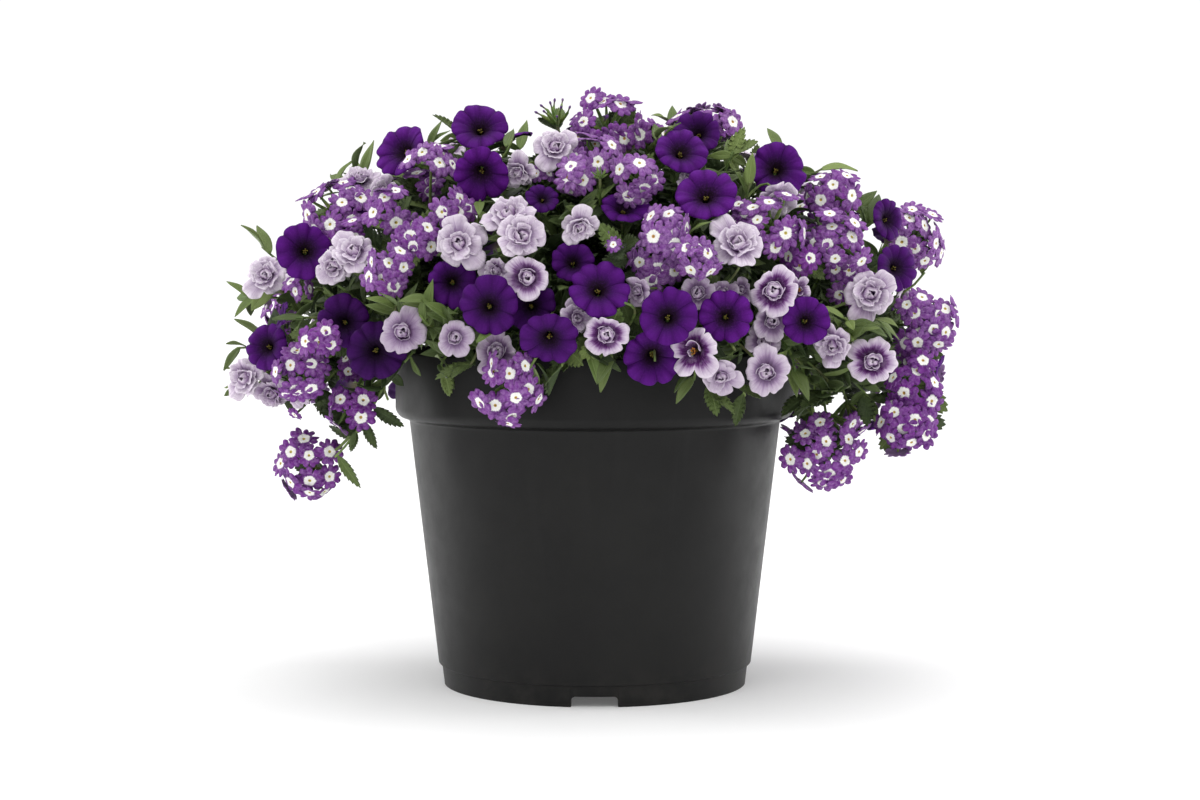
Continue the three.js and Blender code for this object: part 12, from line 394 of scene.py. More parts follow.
        [-973,-257,2815,-83,-36,43,40,16,90,152,53,0], [-983,-265,2857,-80,3,60,54,-42,73,211,59,0], [-993,-274,2901,15,-88,44,-54,30,79,162,46,0], [-1001,-284,2945,-22,59,77,-28,-80,53,190,69,0], [-1009,-295,2989,-75,-48,46,40,23,89,207,72,0], [-1017,-307,3032,-78,-2,62,56,-45,69,190,56,0], [-1024,-321,3074,-74,21,64,35,-70,63,227,65,0], [-1032,-336,3115,-13,-93,34,-33,36,87,209,76,0], [-1040,-353,3154,12,42,90,-52,-74,41,194,65,0], [-1049,-371,3191,-89,-38,26,35,-19,92,232,85,0], [-1059,-392,3225,-85,1,53,39,-67,63,162,51,0], [-1070,-414,3256,-63,38,68,-4,-89,46,243,66,0], [-1082,-439,3283,-72,-8,69,33,-91,24,189,55,0], [-1096,-466,3307,-63,23,74,-10,-97,22,154,45,0], [-961,-267,2892,-55,1,84,79,-33,52,216,63,0], [-947,-273,2933,-41,22,89,63,-64,44,237,85,0], [-931,-280,2974,-2,52,86,11,-85,52,228,68,0], [-912,-287,3016,-33,-74,59,44,43,79,210,57,0], [-891,-295,3058,-58,-31,75,79,2,61,145,52,0], [-868,-305,3100,-52,-5,86,82,-31,48,194,72,0], [-845,-315,3142,14,-92,35,9,37,93,175,48,0], [-822,-328,3182,-3,-79,61,31,57,76,157,51,0], [-799,-341,3222,-50,-43,75,82,2,57,181,59,0], [-778,-357,3260,-30,8,95,67,-69,27,149,54,0], [-758,-374,3297,3,14,99,23,-96,13,237,79,0], [-740,-394,3332,-33,-87,37,47,19,86,164,53,0], [-724,-416,3364,-63,-51,59,75,-19,63,213,68,0], [-713,-440,3394,-68,-59,43,65,-22,73,218,80,0], [-705,-467,3420,18,-3,98,-28,-96,2,132,51,0], [-1040,-212,2773,-34,-48,81,-78,63,5,193,65,0], [-1076,-209,2809,-44,71,54,-58,-69,43,157,55,0], [-1113,-207,2846,-76,-62,20,-28,59,76,178,60,0], [-1150,-206,2882,-5,-2,100,-100,-2,-5,145,45,0], [-1186,-205,2917,-100,-5,7,7,0,100,191,68,0], [-1221,-206,2951,18,10,98,-97,-14,19,208,65,0], [-1255,-208,2983,-72,69,-9,-48,-41,78,233,70,0], [-1287,-212,3013,-95,-31,1,-4,16,99,187,55,0], [-1317,-219,3041,-83,51,22,-24,-68,69,114,37,0], [-1345,-228,3066,-85,-52,9,-8,29,95,211,74,0], [-1370,-241,3088,-8,-90,43,-85,29,44,168,53,0], [-1408,-276,3119,-39,-5,92,-52,-81,-27,122,44,0], [-1422,-300,3129,-94,-24,24,32,-87,37,227,62,0], [-1431,-328,3133,-86,-26,44,27,-96,-4,193,68,0], [-1063,-125,2760,-19,6,98,-76,62,-19,151,55,0], [-1088,-91,2774,-57,0,82,-40,87,-28,225,64,0], [-1112,-55,2787,-89,5,45,11,99,12,174,55,0], [-1137,-17,2800,-4,55,84,-92,30,-25,173,54,0], [-1162,23,2813,-8,14,99,-75,65,-15,158,58,0], [-1186,63,2825,-20,14,97,-69,69,-24,194,56,0], [-1211,104,2839,-91,-2,41,6,98,17,175,61,0], [-1235,144,2852,-100,8,-6,2,77,64,201,73,0], [-1259,182,2867,-6,57,82,-93,27,-26,206,65,0], [-1283,218,2883,-49,-2,87,-44,87,-22,161,46,0], [-1307,251,2901,-75,-3,66,-8,100,-5,172,56,0], [-1331,281,2920,-100,-3,-2,-4,69,72,242,75,0], [-1354,306,2941,-95,30,-1,10,35,93,158,54,0], [-1378,327,2965,19,28,94,-96,26,11,165,47,0], [-1400,342,2991,-60,76,26,-31,-52,79,219,63,0], [-1009,-212,2635,-77,-61,20,-53,77,36,232,69,0], [-1051,-211,2645,-44,52,73,-86,-48,-18,207,58,0], [-1093,-210,2653,-57,3,82,-82,-9,-57,191,53,0], [-1137,-208,2661,-68,-32,66,-72,48,-51,161,55,0], [-1182,-206,2668,-74,67,-3,-62,-67,41,221,75,0], [-1227,-205,2674,-74,-65,-13,-61,60,51,155,42,0], [-1272,-204,2681,-59,19,79,-80,-29,-53,235,80,0], [-1317,-204,2687,-57,-29,76,-82,29,-50,168,53,0], [-1361,-204,2695,-52,-83,20,-81,55,21,226,71,0], [-1404,-206,2703,-74,41,53,-60,-76,-26,216,72,0], [-1446,-209,2713,-85,-18,-49,-50,3,87,210,68,0], [-1487,-213,2724,-53,-38,76,-85,32,-43,163,52,0], [-1526,-219,2738,-79,61,-1,-53,-68,51,204,75,0], [-1562,-226,2753,-94,29,-16,-30,-55,78,147,52,0], [-567,-142,2265,-76,51,39,-8,-68,73,223,76,0], [-616,-154,2328,-59,-77,24,-32,50,80,237,81,0], [-669,-167,2386,-10,20,98,-89,-46,0,195,66,0], [-724,-181,2442,-100,6,0,-2,-30,95,212,72,0], [-780,-195,2496,-19,-73,66,-81,49,31,277,94,0], [-833,-208,2550,-51,56,65,-47,-81,34,227,77,0], [-884,-220,2604,-84,-54,6,-11,28,95,218,74,0],
        [-1085,-444,3289,18,90,39,55,-42,72,150,60,0], [-491,-123,2134,74,-52,44,-46,10,88,257,98,0], [-520,-130,2194,-84,-30,45,52,-23,82,249,88,0], [-555,-139,2249,29,84,46,-51,-27,82,206,81,0], [-594,-148,2301,71,-41,57,-61,3,79,253,91,0], [-636,-159,2350,-95,15,27,30,23,93,204,80,0], [-679,-170,2397,33,70,63,-70,-26,66,204,69,0], [-724,-181,2443,52,76,40,-59,-2,81,252,87,0], [-769,-192,2487,72,19,67,-68,-1,74,310,116,0], [-814,-203,2530,92,8,39,-38,-8,92,234,87,0], [-856,-214,2574,-83,37,41,40,-12,91,268,98,0], [-896,-223,2618,-80,55,26,51,38,77,268,95,0], [-932,-232,2663,38,-71,59,-16,58,80,278,108,0], [-888,-222,2621,19,84,51,38,-54,75,247,89,0], [-919,-231,2670,-41,71,57,54,-31,78,209,73,0], [-945,-241,2727,-53,64,56,-1,-67,75,258,100,0], [-965,-252,2789,20,-79,57,-13,56,82,304,120,0], [-982,-264,2854,42,64,64,-28,-58,76,297,118,0], [-997,-279,2922,53,-75,41,37,63,68,259,89,0], [-1009,-295,2990,-44,75,49,11,-49,86,208,77,0], [-1021,-315,3056,77,20,60,-40,-59,70,299,110,0], [-1033,-338,3120,84,5,54,-53,29,80,232,91,0], [-1046,-365,3179,8,84,53,-26,-50,83,275,108,0], [-1061,-396,3232,35,69,63,-26,-57,78,270,98,0], [-1079,-433,3277,-2,84,55,-1,-55,84,284,113,0], [-954,-239,2695,-71,-62,34,20,29,94,278,105,0], [-973,-247,2742,-60,72,35,28,-22,93,235,83,0], [-978,-254,2795,-93,-13,35,35,1,94,223,86,0], [-971,-262,2853,93,9,35,-36,30,89,195,74,0], [-954,-270,2914,-76,29,58,42,-46,78,275,114,0], [-929,-280,2978,-51,61,61,15,-63,76,229,84,0], [-898,-292,3043,48,-75,46,-46,24,86,244,83,0], [-864,-307,3108,-39,73,56,46,-37,80,229,81,0], [-828,-324,3172,-66,-47,59,39,46,80,260,92,0], [-793,-346,3233,-69,54,49,21,-50,84,238,98,0], [-761,-371,3291,80,38,47,-46,-12,88,264,91,0], [-734,-402,3344,85,-32,41,-42,6,91,291,101,0], [-713,-438,3391,-89,-21,39,39,5,92,226,93,0], [-857,-213,2585,94,-3,33,-32,21,93,300,120,0], [-901,-217,2631,-92,26,29,32,7,95,244,91,0], [-950,-217,2682,-66,55,52,58,-7,81,231,87,0], [-1003,-214,2736,49,-63,61,-27,55,79,258,100,0], [-1059,-211,2792,-90,28,34,34,-5,94,216,86,0], [-1116,-207,2848,20,-86,46,19,50,85,253,101,0], [-924,-227,2656,-83,-49,25,23,11,97,210,87,0], [-962,-218,2690,-87,14,48,46,-13,88,219,81,0], [-1000,-193,2719,24,92,32,-16,-29,94,289,108,0], [-1038,-155,2745,65,-72,25,15,45,88,248,94,0], [-1076,-107,2768,-72,67,21,-30,-56,77,297,105,0], [-1115,-52,2788,-26,92,30,13,-28,95,299,103,0], [-1153,8,2808,-94,29,19,26,24,93,194,69,0], [-824,-204,2547,-96,11,26,21,-34,92,299,106,0], [-871,-210,2580,-2,-91,41,12,40,91,265,101,0], [-924,-213,2607,-60,-68,43,59,-2,81,220,91,0], [-983,-213,2627,45,88,19,-17,-13,98,271,106,0], [-1046,-211,2644,-96,26,6,-3,-32,95,285,119,0], [-1113,-209,2657,42,90,14,8,-19,98,276,102,0],
    ],
    "lilac_calibrachoa_spray_12": [
        [-908,-387,2661,-76,46,46,-35,-89,30,161,44,0], [-948,-392,2685,-67,-74,2,-50,47,72,184,54,0], [-989,-396,2708,-37,21,90,-84,-49,-23,180,61,0], [-1029,-400,2732,-90,25,-36,-43,-32,84,200,71,0], [-1070,-404,2756,-38,-74,56,-80,56,20,220,75,0], [-1110,-408,2780,-52,52,68,-65,-76,8,187,63,0], [-1149,-412,2805,-95,-26,-16,-17,4,98,196,65,0], [-1187,-417,2830,-98,20,-5,-14,-46,88,134,51,0], [-1224,-423,2855,-86,52,3,-35,-62,70,146,50,0], [-1259,-429,2880,-51,-81,29,-60,58,56,192,66,0], [-1292,-437,2906,-43,33,84,-67,-74,-5,202,60,0], [-1322,-446,2932,-97,-21,-12,-9,-14,99,232,67,0], [-1350,-456,2958,-59,56,58,-42,-83,37,140,57,0], [-914,-424,2759,-74,-66,-15,-33,16,93,163,54,0], [-950,-435,2795,12,-20,97,-98,-16,9,147,41,0], [-986,-447,2830,-87,44,23,-17,-70,69,195,66,0], [-1022,-459,2866,-45,-79,40,-55,61,58,235,84,0], [-1058,-471,2901,-32,34,88,-67,-74,4,186,64,0], [-1094,-485,2935,-95,-31,-3,0,-9,100,212,63,0], [-1128,-499,2968,-3,-59,81,-98,19,10,176,50,0], [-1160,-514,3000,-82,31,48,-8,-89,45,185,64,0], [-1191,-531,3029,-24,-88,42,-74,44,50,178,55,0], [-1245,-567,3082,12,-98,17,-79,1,61,171,46,0], [-1268,-588,3104,-11,-82,56,-92,29,25,174,51,0], [-1288,-610,3122,17,-69,71,-98,-14,11,160,59,0], [-755,-244,2631,-59,-41,70,-7,88,46,170,57,0], [-770,-227,2666,40,36,85,-91,3,41,203,70,0], [-783,-207,2702,-84,48,24,21,-11,97,155,57,0], [-796,-186,2739,-29,-33,90,-34,91,23,210,59,0], [-808,-164,2776,-59,-32,74,7,89,45,160,57,0], [-819,-142,2814,-85,26,45,50,16,85,142,51,0], [-829,-119,2853,33,4,94,-87,40,29,155,51,0], [-839,-97,2892,-43,89,14,-16,-23,96,186,67,0], [-848,-76,2931,-59,-31,74,15,86,49,234,77,0], [-857,-56,2971,-83,-1,55,48,47,74,223,77,0], [-866,-37,3011,-82,33,47,50,-1,87,200,57,0], [-875,-21,3052,14,-18,97,-76,62,22,207,75,0], [-884,-7,3092,-39,71,58,-6,-65,76,156,51,0], [-894,4,3132,-50,-44,75,7,84,54,146,47,0], [-903,11,3172,-70,-59,40,5,52,85,228,71,0], [-913,15,3212,-88,-6,47,47,11,88,213,67,0], [-767,-231,2571,3,-6,100,-98,20,4,138,41,0], [-798,-218,2600,-76,62,19,-22,-52,82,164,60,0], [-829,-205,2630,-68,-56,47,-33,81,48,156,46,0], [-860,-190,2660,-4,60,80,-93,-32,19,164,58,0], [-891,-174,2691,-99,16,-3,-2,9,100,203,63,0], [-923,-159,2722,-21,-35,91,-79,61,5,152,55,0], [-954,-143,2754,-65,-50,57,-32,86,39,172,54,0], [-985,-128,2786,-85,-31,42,1,79,61,145,39,0], [-1016,-113,2818,-9,22,97,-99,2,-10,156,52,0], [-1045,-99,2850,-88,46,7,-5,-24,97,183,53,0], [-1074,-86,2883,-56,-45,69,-37,89,28,234,74,0], [-1102,-74,2916,-9,64,76,-86,-44,27,234,82,0], [-1128,-64,2949,-69,-51,50,-19,81,56,240,81,0], [-1154,-57,2982,-13,-18,97,-91,41,-5,157,58,0], [-1177,-51,3015,-89,30,34,23,-35,91,165,55,0], [-1199,-48,3048,-15,41,90,-83,-55,11,121,41,0], [-1218,-48,3081,-55,63,55,-24,-75,62,161,55,0], [-863,-344,2606,-34,-47,82,-89,43,-12,212,65,0], [-901,-339,2624,-68,-60,43,-55,80,25,205,57,0], [-941,-332,2642,-30,71,63,-86,-48,14,203,72,0], [-982,-324,2660,-96,13,-24,-25,-7,97,166,51,0], [-1023,-314,2678,-52,-25,82,-80,48,-36,191,57,0], [-1064,-303,2696,-50,-63,60,-73,67,10,156,44,0], [-1106,-292,2715,-82,-51,27,-37,83,42,162,53,0], [-1147,-280,2734,-32,39,86,-94,-25,-24,206,69,0], [-1188,-267,2753,-84,39,-37,-45,-14,88,148,50,0], [-1228,-255,2773,-68,-35,64,-53,84,-12,160,58,0], [-1268,-242,2794,-82,-55,15,-39,73,57,179,53,0], [-1305,-230,2815,-95,-28,-12,-25,46,85,214,71,0], [-1342,-219,2838,-20,6,98,-97,12,-20,195,69,0], [-1376,-208,2861,-67,74,4,-49,-48,73,242,68,0], [-1409,-198,2886,-68,-56,48,-42,83,37,177,58,0], [-1439,-190,2912,-29,58,76,-83,-54,10,212,61,0], [-1466,-184,2939,-70,-56,45,-30,80,53,223,71,0], [-853,-307,2724,-40,-7,91,-46,87,-14,199,64,0], [-869,-278,2744,-75,-28,59,-9,94,34,213,78,0], [-885,-246,2764,-98,-1,18,12,72,69,166,61,0], [-901,-212,2785,8,21,97,-82,57,-6,144,45,0],
        [-917,-175,2805,-34,-12,93,-41,91,-4,184,55,0], [-932,-135,2826,-79,9,60,25,95,19,200,62,0], [-948,-95,2847,-97,22,10,22,64,73,218,67,0], [-964,-53,2869,-84,54,-2,19,33,92,173,56,0], [-979,-11,2891,-29,-19,94,-40,91,6,184,58,0], [-995,31,2914,-67,5,74,9,100,1,157,51,0], [-1011,72,2937,-89,20,40,39,78,49,156,45,0], [-1027,112,2962,34,35,87,-86,50,13,158,53,0], [-1044,151,2987,-12,30,95,-72,63,-29,176,49,0], [-1061,188,3014,-49,0,87,-16,98,-9,216,75,0], [-1078,222,3041,-82,6,57,32,88,36,222,61,0], [-1095,254,3070,-95,31,4,17,40,90,237,74,0], [-1113,281,3100,14,-5,99,-77,63,14,172,55,0], [-1132,305,3132,-42,91,-4,-35,-12,93,218,66,0], [-452,-168,2219,-86,29,43,10,-73,68,182,62,0], [-494,-198,2281,-36,-91,20,-42,35,84,215,73,0], [-540,-231,2338,-15,12,98,-69,-73,-1,268,91,0], [-588,-265,2392,-98,-21,1,9,-39,91,237,81,0], [-635,-299,2444,6,-77,63,-92,20,33,274,93,0], [-678,-330,2497,-62,37,69,-18,-92,34,191,65,0], [-404,-134,2128,-73,53,44,47,-8,88,269,106,0], [-432,-153,2185,80,23,55,-47,-32,82,297,118,0], [-464,-176,2238,-81,-44,40,40,9,91,307,115,0], [-499,-202,2287,6,89,45,-9,-44,89,280,106,0], [-537,-228,2333,54,-60,58,-48,35,81,194,80,0], [-575,-256,2378,49,-67,55,-35,42,83,242,94,0], [-614,-284,2421,-94,22,26,20,-27,94,281,115,0], [-651,-310,2463,53,-66,53,-41,34,84,219,89,0], [-685,-335,2506,76,-30,58,-58,8,81,198,69,0], [-717,-358,2551,-53,75,40,8,-42,90,236,81,0], [-687,-333,2510,11,96,24,14,-26,96,208,78,0], [-731,-351,2546,44,-87,25,14,34,93,233,82,0], [-782,-365,2582,76,-27,60,-62,1,79,270,105,0], [-837,-376,2618,10,-85,52,6,53,85,237,95,0], [-896,-385,2654,39,-79,47,29,59,75,240,92,0], [-957,-393,2690,-99,0,17,16,-23,96,207,77,0], [-1020,-399,2727,9,92,37,-18,-35,92,274,93,0], [-1082,-405,2764,-3,-91,40,50,33,80,250,98,0], [-711,-351,2545,-26,86,45,53,-26,81,253,88,0], [-748,-369,2587,-59,-63,50,54,14,83,229,88,0], [-792,-385,2634,-78,-39,49,57,-13,81,278,101,0], [-841,-402,2685,76,23,61,-62,0,78,280,99,0], [-893,-418,2738,65,68,34,-22,-26,94,237,81,0], [-948,-435,2793,2,83,55,-50,-47,73,284,109,0], [-1004,-453,2848,-97,14,18,16,-16,97,234,97,0], [-1060,-472,2903,6,94,33,7,-34,94,208,87,0], [-632,-287,2441,50,68,54,-17,-53,83,262,93,0], [-669,-290,2484,79,-9,60,-53,-59,61,221,76,0], [-701,-283,2531,-82,49,30,22,-21,95,223,80,0], [-730,-267,2580,-83,12,54,54,-8,84,218,77,0], [-755,-244,2632,-5,-85,53,6,53,85,256,95,0], [-778,-216,2686,-82,37,44,33,-32,89,224,93,0], [-797,-184,2743,-34,87,36,22,-30,93,191,79,0], [-815,-149,2801,-81,53,23,4,-35,94,194,81,0], [-831,-115,2861,-79,-31,52,44,30,85,227,89,0], [-846,-81,2922,18,-92,34,22,38,90,265,105,0], [-860,-50,2983,36,87,33,-51,-11,85,276,103,0], [-874,-23,3046,-47,81,35,-11,-45,89,258,103,0], [-888,-2,3108,-63,65,42,52,-6,85,226,92,0], [-903,11,3170,45,79,41,-36,-26,90,283,98,0], [-919,15,3232,51,63,58,-39,-44,81,208,77,0], [-599,-264,2405,23,78,57,-29,-51,81,227,92,0], [-636,-265,2443,64,-68,36,19,59,78,304,115,0], [-676,-260,2483,59,62,51,-35,-37,86,277,101,0], [-719,-248,2525,-95,4,31,31,9,95,261,92,0], [-764,-232,2568,51,-78,37,2,45,90,263,105,0], [-811,-212,2613,80,48,37,-15,-43,89,274,99,0], [-860,-190,2660,-92,12,38,35,-22,91,283,100,0], [-909,-166,2708,-18,-87,45,37,36,86,270,96,0], [-957,-142,2756,47,75,47,-24,-41,88,303,111,0], [-1005,-118,2806,42,-86,28,33,43,84,230,90,0], [-1051,-96,2856,78,-23,57,-60,-4,80,270,100,0], [-1095,-77,2907,41,70,58,-55,-32,77,299,107,0], [-1136,-62,2958,-89,0,45,45,2,89,271,111,0], [-1173,-52,3009,-5,82,57,-23,-56,79,285,103,0], [-657,-315,2475,-89,-25,37,33,20,92,266,99,0], [-696,-334,2508,-68,-71,19,4,22,97,306,113,0], [-742,-344,2540,-19,-91,37,28,31,91,229,87,0], [-793,-348,2570,-83,44,35,37,-4,93,255,88,0], [-849,-345,2599,63,49,60,-37,-49,79,222,88,0], [-909,-338,2627,80,-38,46,-59,-33,74,289,106,0],
        [-971,-326,2655,-32,91,27,38,-14,91,249,97,0], [-1035,-311,2683,-23,96,17,-58,-28,76,207,83,0], [-1099,-294,2712,10,89,44,4,-45,89,225,89,0], [-738,-373,2580,72,-39,58,-39,45,80,283,111,0], [-767,-380,2616,10,93,36,-12,-35,93,279,96,0], [-795,-371,2651,90,15,40,-43,43,80,260,106,0], [-821,-350,2684,45,-68,57,-37,44,82,280,114,0], [-847,-316,2716,-96,-21,18,24,-27,93,297,121,0], [-872,-273,2748,-18,-77,62,30,56,78,286,112,0], [-897,-221,2779,46,86,21,5,-26,97,232,90,0], [-921,-164,2811,-79,-53,31,27,15,95,298,120,0], [-945,-102,2844,85,28,45,-51,17,85,294,101,0], [-969,-38,2877,-93,33,15,22,16,96,231,93,0], [-994,27,2912,-60,79,12,-30,-36,88,269,104,0], [-1019,91,2949,85,-48,20,-14,15,98,199,73,0], [-1044,152,2988,-57,-61,55,48,30,83,238,92,0], [-1070,208,3029,-50,-75,44,-26,61,75,190,69,0], [-1097,257,3073,53,79,31,-43,-6,90,220,78,0], [-1125,298,3121,21,88,42,-38,-32,87,257,102,0],
    ],
    "violet_calibrachoa_spray_10": [
        [491,-830,2760,32,-14,94,27,-94,-23,153,45,0], [509,-861,2783,-24,-97,10,73,-11,67,187,54,0], [528,-893,2806,90,-19,40,-35,-85,40,223,77,0], [547,-926,2829,-25,-59,77,90,-43,-3,223,76,0], [565,-960,2851,29,-94,-16,27,-8,96,207,70,0], [582,-994,2873,64,-2,77,-7,-100,4,232,65,0], [598,-1029,2894,-50,-80,34,84,-35,42,229,83,0], [612,-1064,2915,78,-60,-16,-21,-50,84,173,59,0], [625,-1100,2936,12,-6,99,30,-95,-9,163,53,0], [636,-1135,2958,1,-97,-25,35,-23,91,238,78,0], [644,-1169,2979,72,-43,55,-61,-77,20,232,77,0], [649,-1204,3001,-74,-67,2,54,-58,62,207,71,0], [614,-779,2882,12,23,97,92,-39,-2,229,83,0], [655,-772,2911,77,-60,21,25,59,77,216,73,0], [696,-764,2939,53,-68,51,55,73,40,231,85,0], [739,-756,2967,5,-35,94,97,22,3,200,72,0], [782,-747,2995,90,-34,-26,33,16,93,164,47,0], [825,-739,3022,33,64,70,75,-62,22,184,68,0], [866,-732,3047,50,-61,62,65,74,20,207,73,0], [906,-727,3072,54,-40,74,71,69,-15,150,55,0], [944,-724,3096,3,-1,100,99,-17,-3,151,55,0], [978,-725,3119,79,-60,13,23,48,85,237,79,0], [1010,-729,3140,77,61,18,40,-68,62,233,81,0], [1036,-738,3160,89,-38,-25,20,-17,97,236,72,0], [1058,-752,3178,82,-57,-2,-4,-9,99,184,65,0], [1075,-771,3194,36,24,90,35,-93,10,173,58,0], [1085,-797,3209,92,-40,-3,-26,-66,70,110,36,0], [439,-749,2787,43,-81,40,-16,36,92,157,50,0], [445,-759,2829,60,44,67,-17,-74,65,143,49,0], [450,-769,2872,-62,-56,55,68,-2,74,143,48,0], [454,-779,2916,67,-45,59,-65,4,76,161,52,0], [458,-789,2960,49,-72,49,-35,35,87,199,56,0], [462,-800,3003,11,-92,39,13,40,91,219,62,0], [466,-812,3046,62,-7,78,-66,-60,46,171,59,0], [469,-825,3087,-56,-36,75,83,-21,52,209,68,0], [473,-840,3127,61,-69,39,-44,12,89,187,67,0], [476,-857,3165,7,38,92,15,-92,37,173,54,0], [480,-877,3200,-24,-80,55,68,27,68,158,48,0], [485,-899,3232,-14,25,96,32,-91,28,229,74,0], [354,-773,2665,-30,-95,-2,10,-6,99,196,57,0], [335,-806,2686,30,-42,86,-69,-72,-11,164,48,0], [314,-840,2707,36,-82,45,-92,-22,34,169,52,0], [291,-875,2727,20,-98,-2,-59,-14,80,169,59,0], [268,-910,2748,-23,-12,97,-17,-97,-16,157,54,0], [244,-945,2768,21,-34,92,-61,-78,-15,198,64,0], [222,-980,2789,50,-64,59,-86,-47,21,173,59,0], [202,-1014,2811,52,-85,11,-69,-34,64,224,71,0], [184,-1047,2834,6,-95,-32,-27,-32,91,191,57,0], [171,-1078,2858,33,-25,91,-55,-83,-3,205,73,0], [163,-1108,2884,-70,-68,22,59,-37,72,191,59,0], [511,-696,2885,89,39,25,-21,-14,97,220,71,0], [526,-674,2927,-26,20,95,96,2,26,143,47,0], [541,-648,2969,73,-47,50,-12,63,77,213,60,0], [556,-622,3012,26,-46,85,24,88,40,156,48,0], [570,-595,3055,-21,-17,96,79,55,26,178,63,0], [584,-568,3098,88,35,34,-36,-1,93,173,52,0], [597,-542,3140,77,-9,63,-51,51,70,147,42,0], [609,-519,3181,33,-51,79,11,85,51,193,55,0], [619,-499,3220,-11,-23,97,71,66,23,176,57,0], [629,-484,3258,-55,-2,84,82,17,54,171,48,0], [636,-473,3294,65,-24,72,-56,48,67,162,50,0], [642,-469,3327,72,-35,60,-52,31,80,224,74,0], [646,-472,3357,77,-10,63,-63,-26,73,121,50,0], [648,-482,3384,77,-41,49,-60,-21,77,180,64,0], [266,-454,2273,-46,-58,67,85,-8,51,253,86,0], [289,-494,2339,76,-63,14,-28,-13,95,257,88,0], [314,-537,2402,11,11,99,35,-93,6,209,71,0], [340,-581,2461,-9,-97,22,55,14,82,242,82,0], [366,-626,2519,89,-13,45,-40,-69,60,238,81,0], [392,-670,2576,-36,-31,88,85,-49,18,226,77,0], [416,-711,2634,48,-88,9,-2,9,100,199,68,0], [464,-806,3025,-90,-43,7,41,-89,-19,150,60,0], [230,-393,2139,-16,77,62,-33,-64,70,220,81,0], [244,-417,2201,-45,-67,59,14,60,79,265,104,0], [261,-445,2258,-50,-66,56,37,42,83,217,84,0], [279,-477,2313,46,-82,33,-29,21,93,234,95,0], [299,-511,2365,-24,-94,24,-2,25,97,272,98,0], [320,-547,2415,-6,76,65,42,-57,70,219,86,0], [341,-583,2463,90,-4,44,-44,-1,90,197,71,0], [362,-620,2510,-78,19,60,60,-9,80,252,102,0], [383,-655,2557,-36,76,54,77,-8,63,238,97,0], [403,-690,2603,-3,-92,39,-5,39,92,203,71,0],
        [422,-722,2650,-6,76,64,42,-56,71,194,73,0], [416,-711,2642,-46,-79,41,37,25,90,209,73,0], [439,-747,2684,95,20,22,-22,-2,97,206,80,0], [464,-788,2724,-85,-42,32,-12,74,66,265,106,0], [492,-833,2762,-68,50,53,14,-63,77,212,81,0], [521,-881,2798,-5,82,57,37,-52,77,238,92,0], [550,-932,2833,52,84,18,-3,-19,98,249,85,0], [577,-985,2867,68,69,25,-7,-28,96,273,109,0], [451,-764,2724,-65,-61,46,39,25,89,201,68,0], [483,-781,2767,31,-91,27,-14,23,96,292,107,0], [527,-786,2811,72,-59,37,-47,-3,88,288,111,0], [580,-784,2856,-46,-86,21,1,24,97,257,99,0], [640,-775,2901,96,-20,20,-24,-15,96,199,77,0], [704,-763,2945,-77,58,26,30,-2,95,194,70,0], [771,-749,2988,83,30,46,-47,-7,88,209,77,0], [836,-737,3029,46,82,34,-31,-21,93,235,98,0], [899,-728,3068,52,71,48,-42,-28,87,240,92,0], [400,-682,2606,-19,91,36,27,-30,92,233,97,0], [415,-708,2658,61,56,56,-45,-33,83,200,71,0], [428,-729,2716,92,3,40,-40,-4,92,245,87,0], [438,-747,2779,-83,-33,45,19,60,78,308,126,0], [447,-763,2845,52,73,45,-13,-45,88,290,110,0], [454,-778,2912,-78,-42,46,39,24,89,249,86,0], [460,-794,2980,91,18,36,-40,25,88,306,106,0], [466,-812,3046,86,-19,48,-48,4,88,206,79,0], [471,-833,3110,95,16,27,-26,-12,96,292,108,0], [477,-859,3168,-92,-11,38,36,15,92,213,87,0], [483,-891,3222,81,6,58,-58,-6,81,269,95,0], [382,-655,2563,16,-88,45,23,48,85,215,87,0], [384,-693,2603,-46,-84,30,38,11,92,292,116,0], [371,-737,2640,-94,-29,15,-4,55,83,203,69,0], [347,-785,2673,77,33,54,-35,-49,80,247,94,0], [316,-837,2705,-55,67,49,60,-8,79,196,79,0], [280,-891,2737,-94,-8,32,29,-65,70,274,98,0], [244,-946,2769,-96,9,25,25,-1,97,212,82,0], [210,-999,2802,-59,-67,44,3,54,84,212,84,0], [183,-1051,2837,-90,1,43,40,-32,86,235,87,0], [165,-1098,2875,-90,-37,23,20,13,97,229,93,0], [433,-736,2685,76,-40,51,-47,19,86,239,89,0], [453,-744,2735,-89,19,41,45,49,75,229,91,0], [475,-735,2791,41,73,56,-11,-56,82,270,93,0], [498,-713,2851,89,-14,43,-45,-31,84,204,80,0], [522,-680,2915,-66,-49,57,34,49,80,303,115,0], [545,-642,2980,90,9,43,-40,55,73,195,68,0], [568,-600,3047,96,14,22,-25,20,95,258,91,0], [589,-559,3113,-89,33,32,18,-39,90,291,102,0], [608,-521,3177,90,26,35,-43,43,79,241,89,0], [636,-473,3294,36,82,45,-33,-34,88,276,97,0], [644,-470,3344,-77,46,43,17,-51,85,256,102,0], [648,-484,3387,-82,-46,34,58,-64,51,252,90,0],
    ],
    "lilac_calibrachoa_spray_13": [
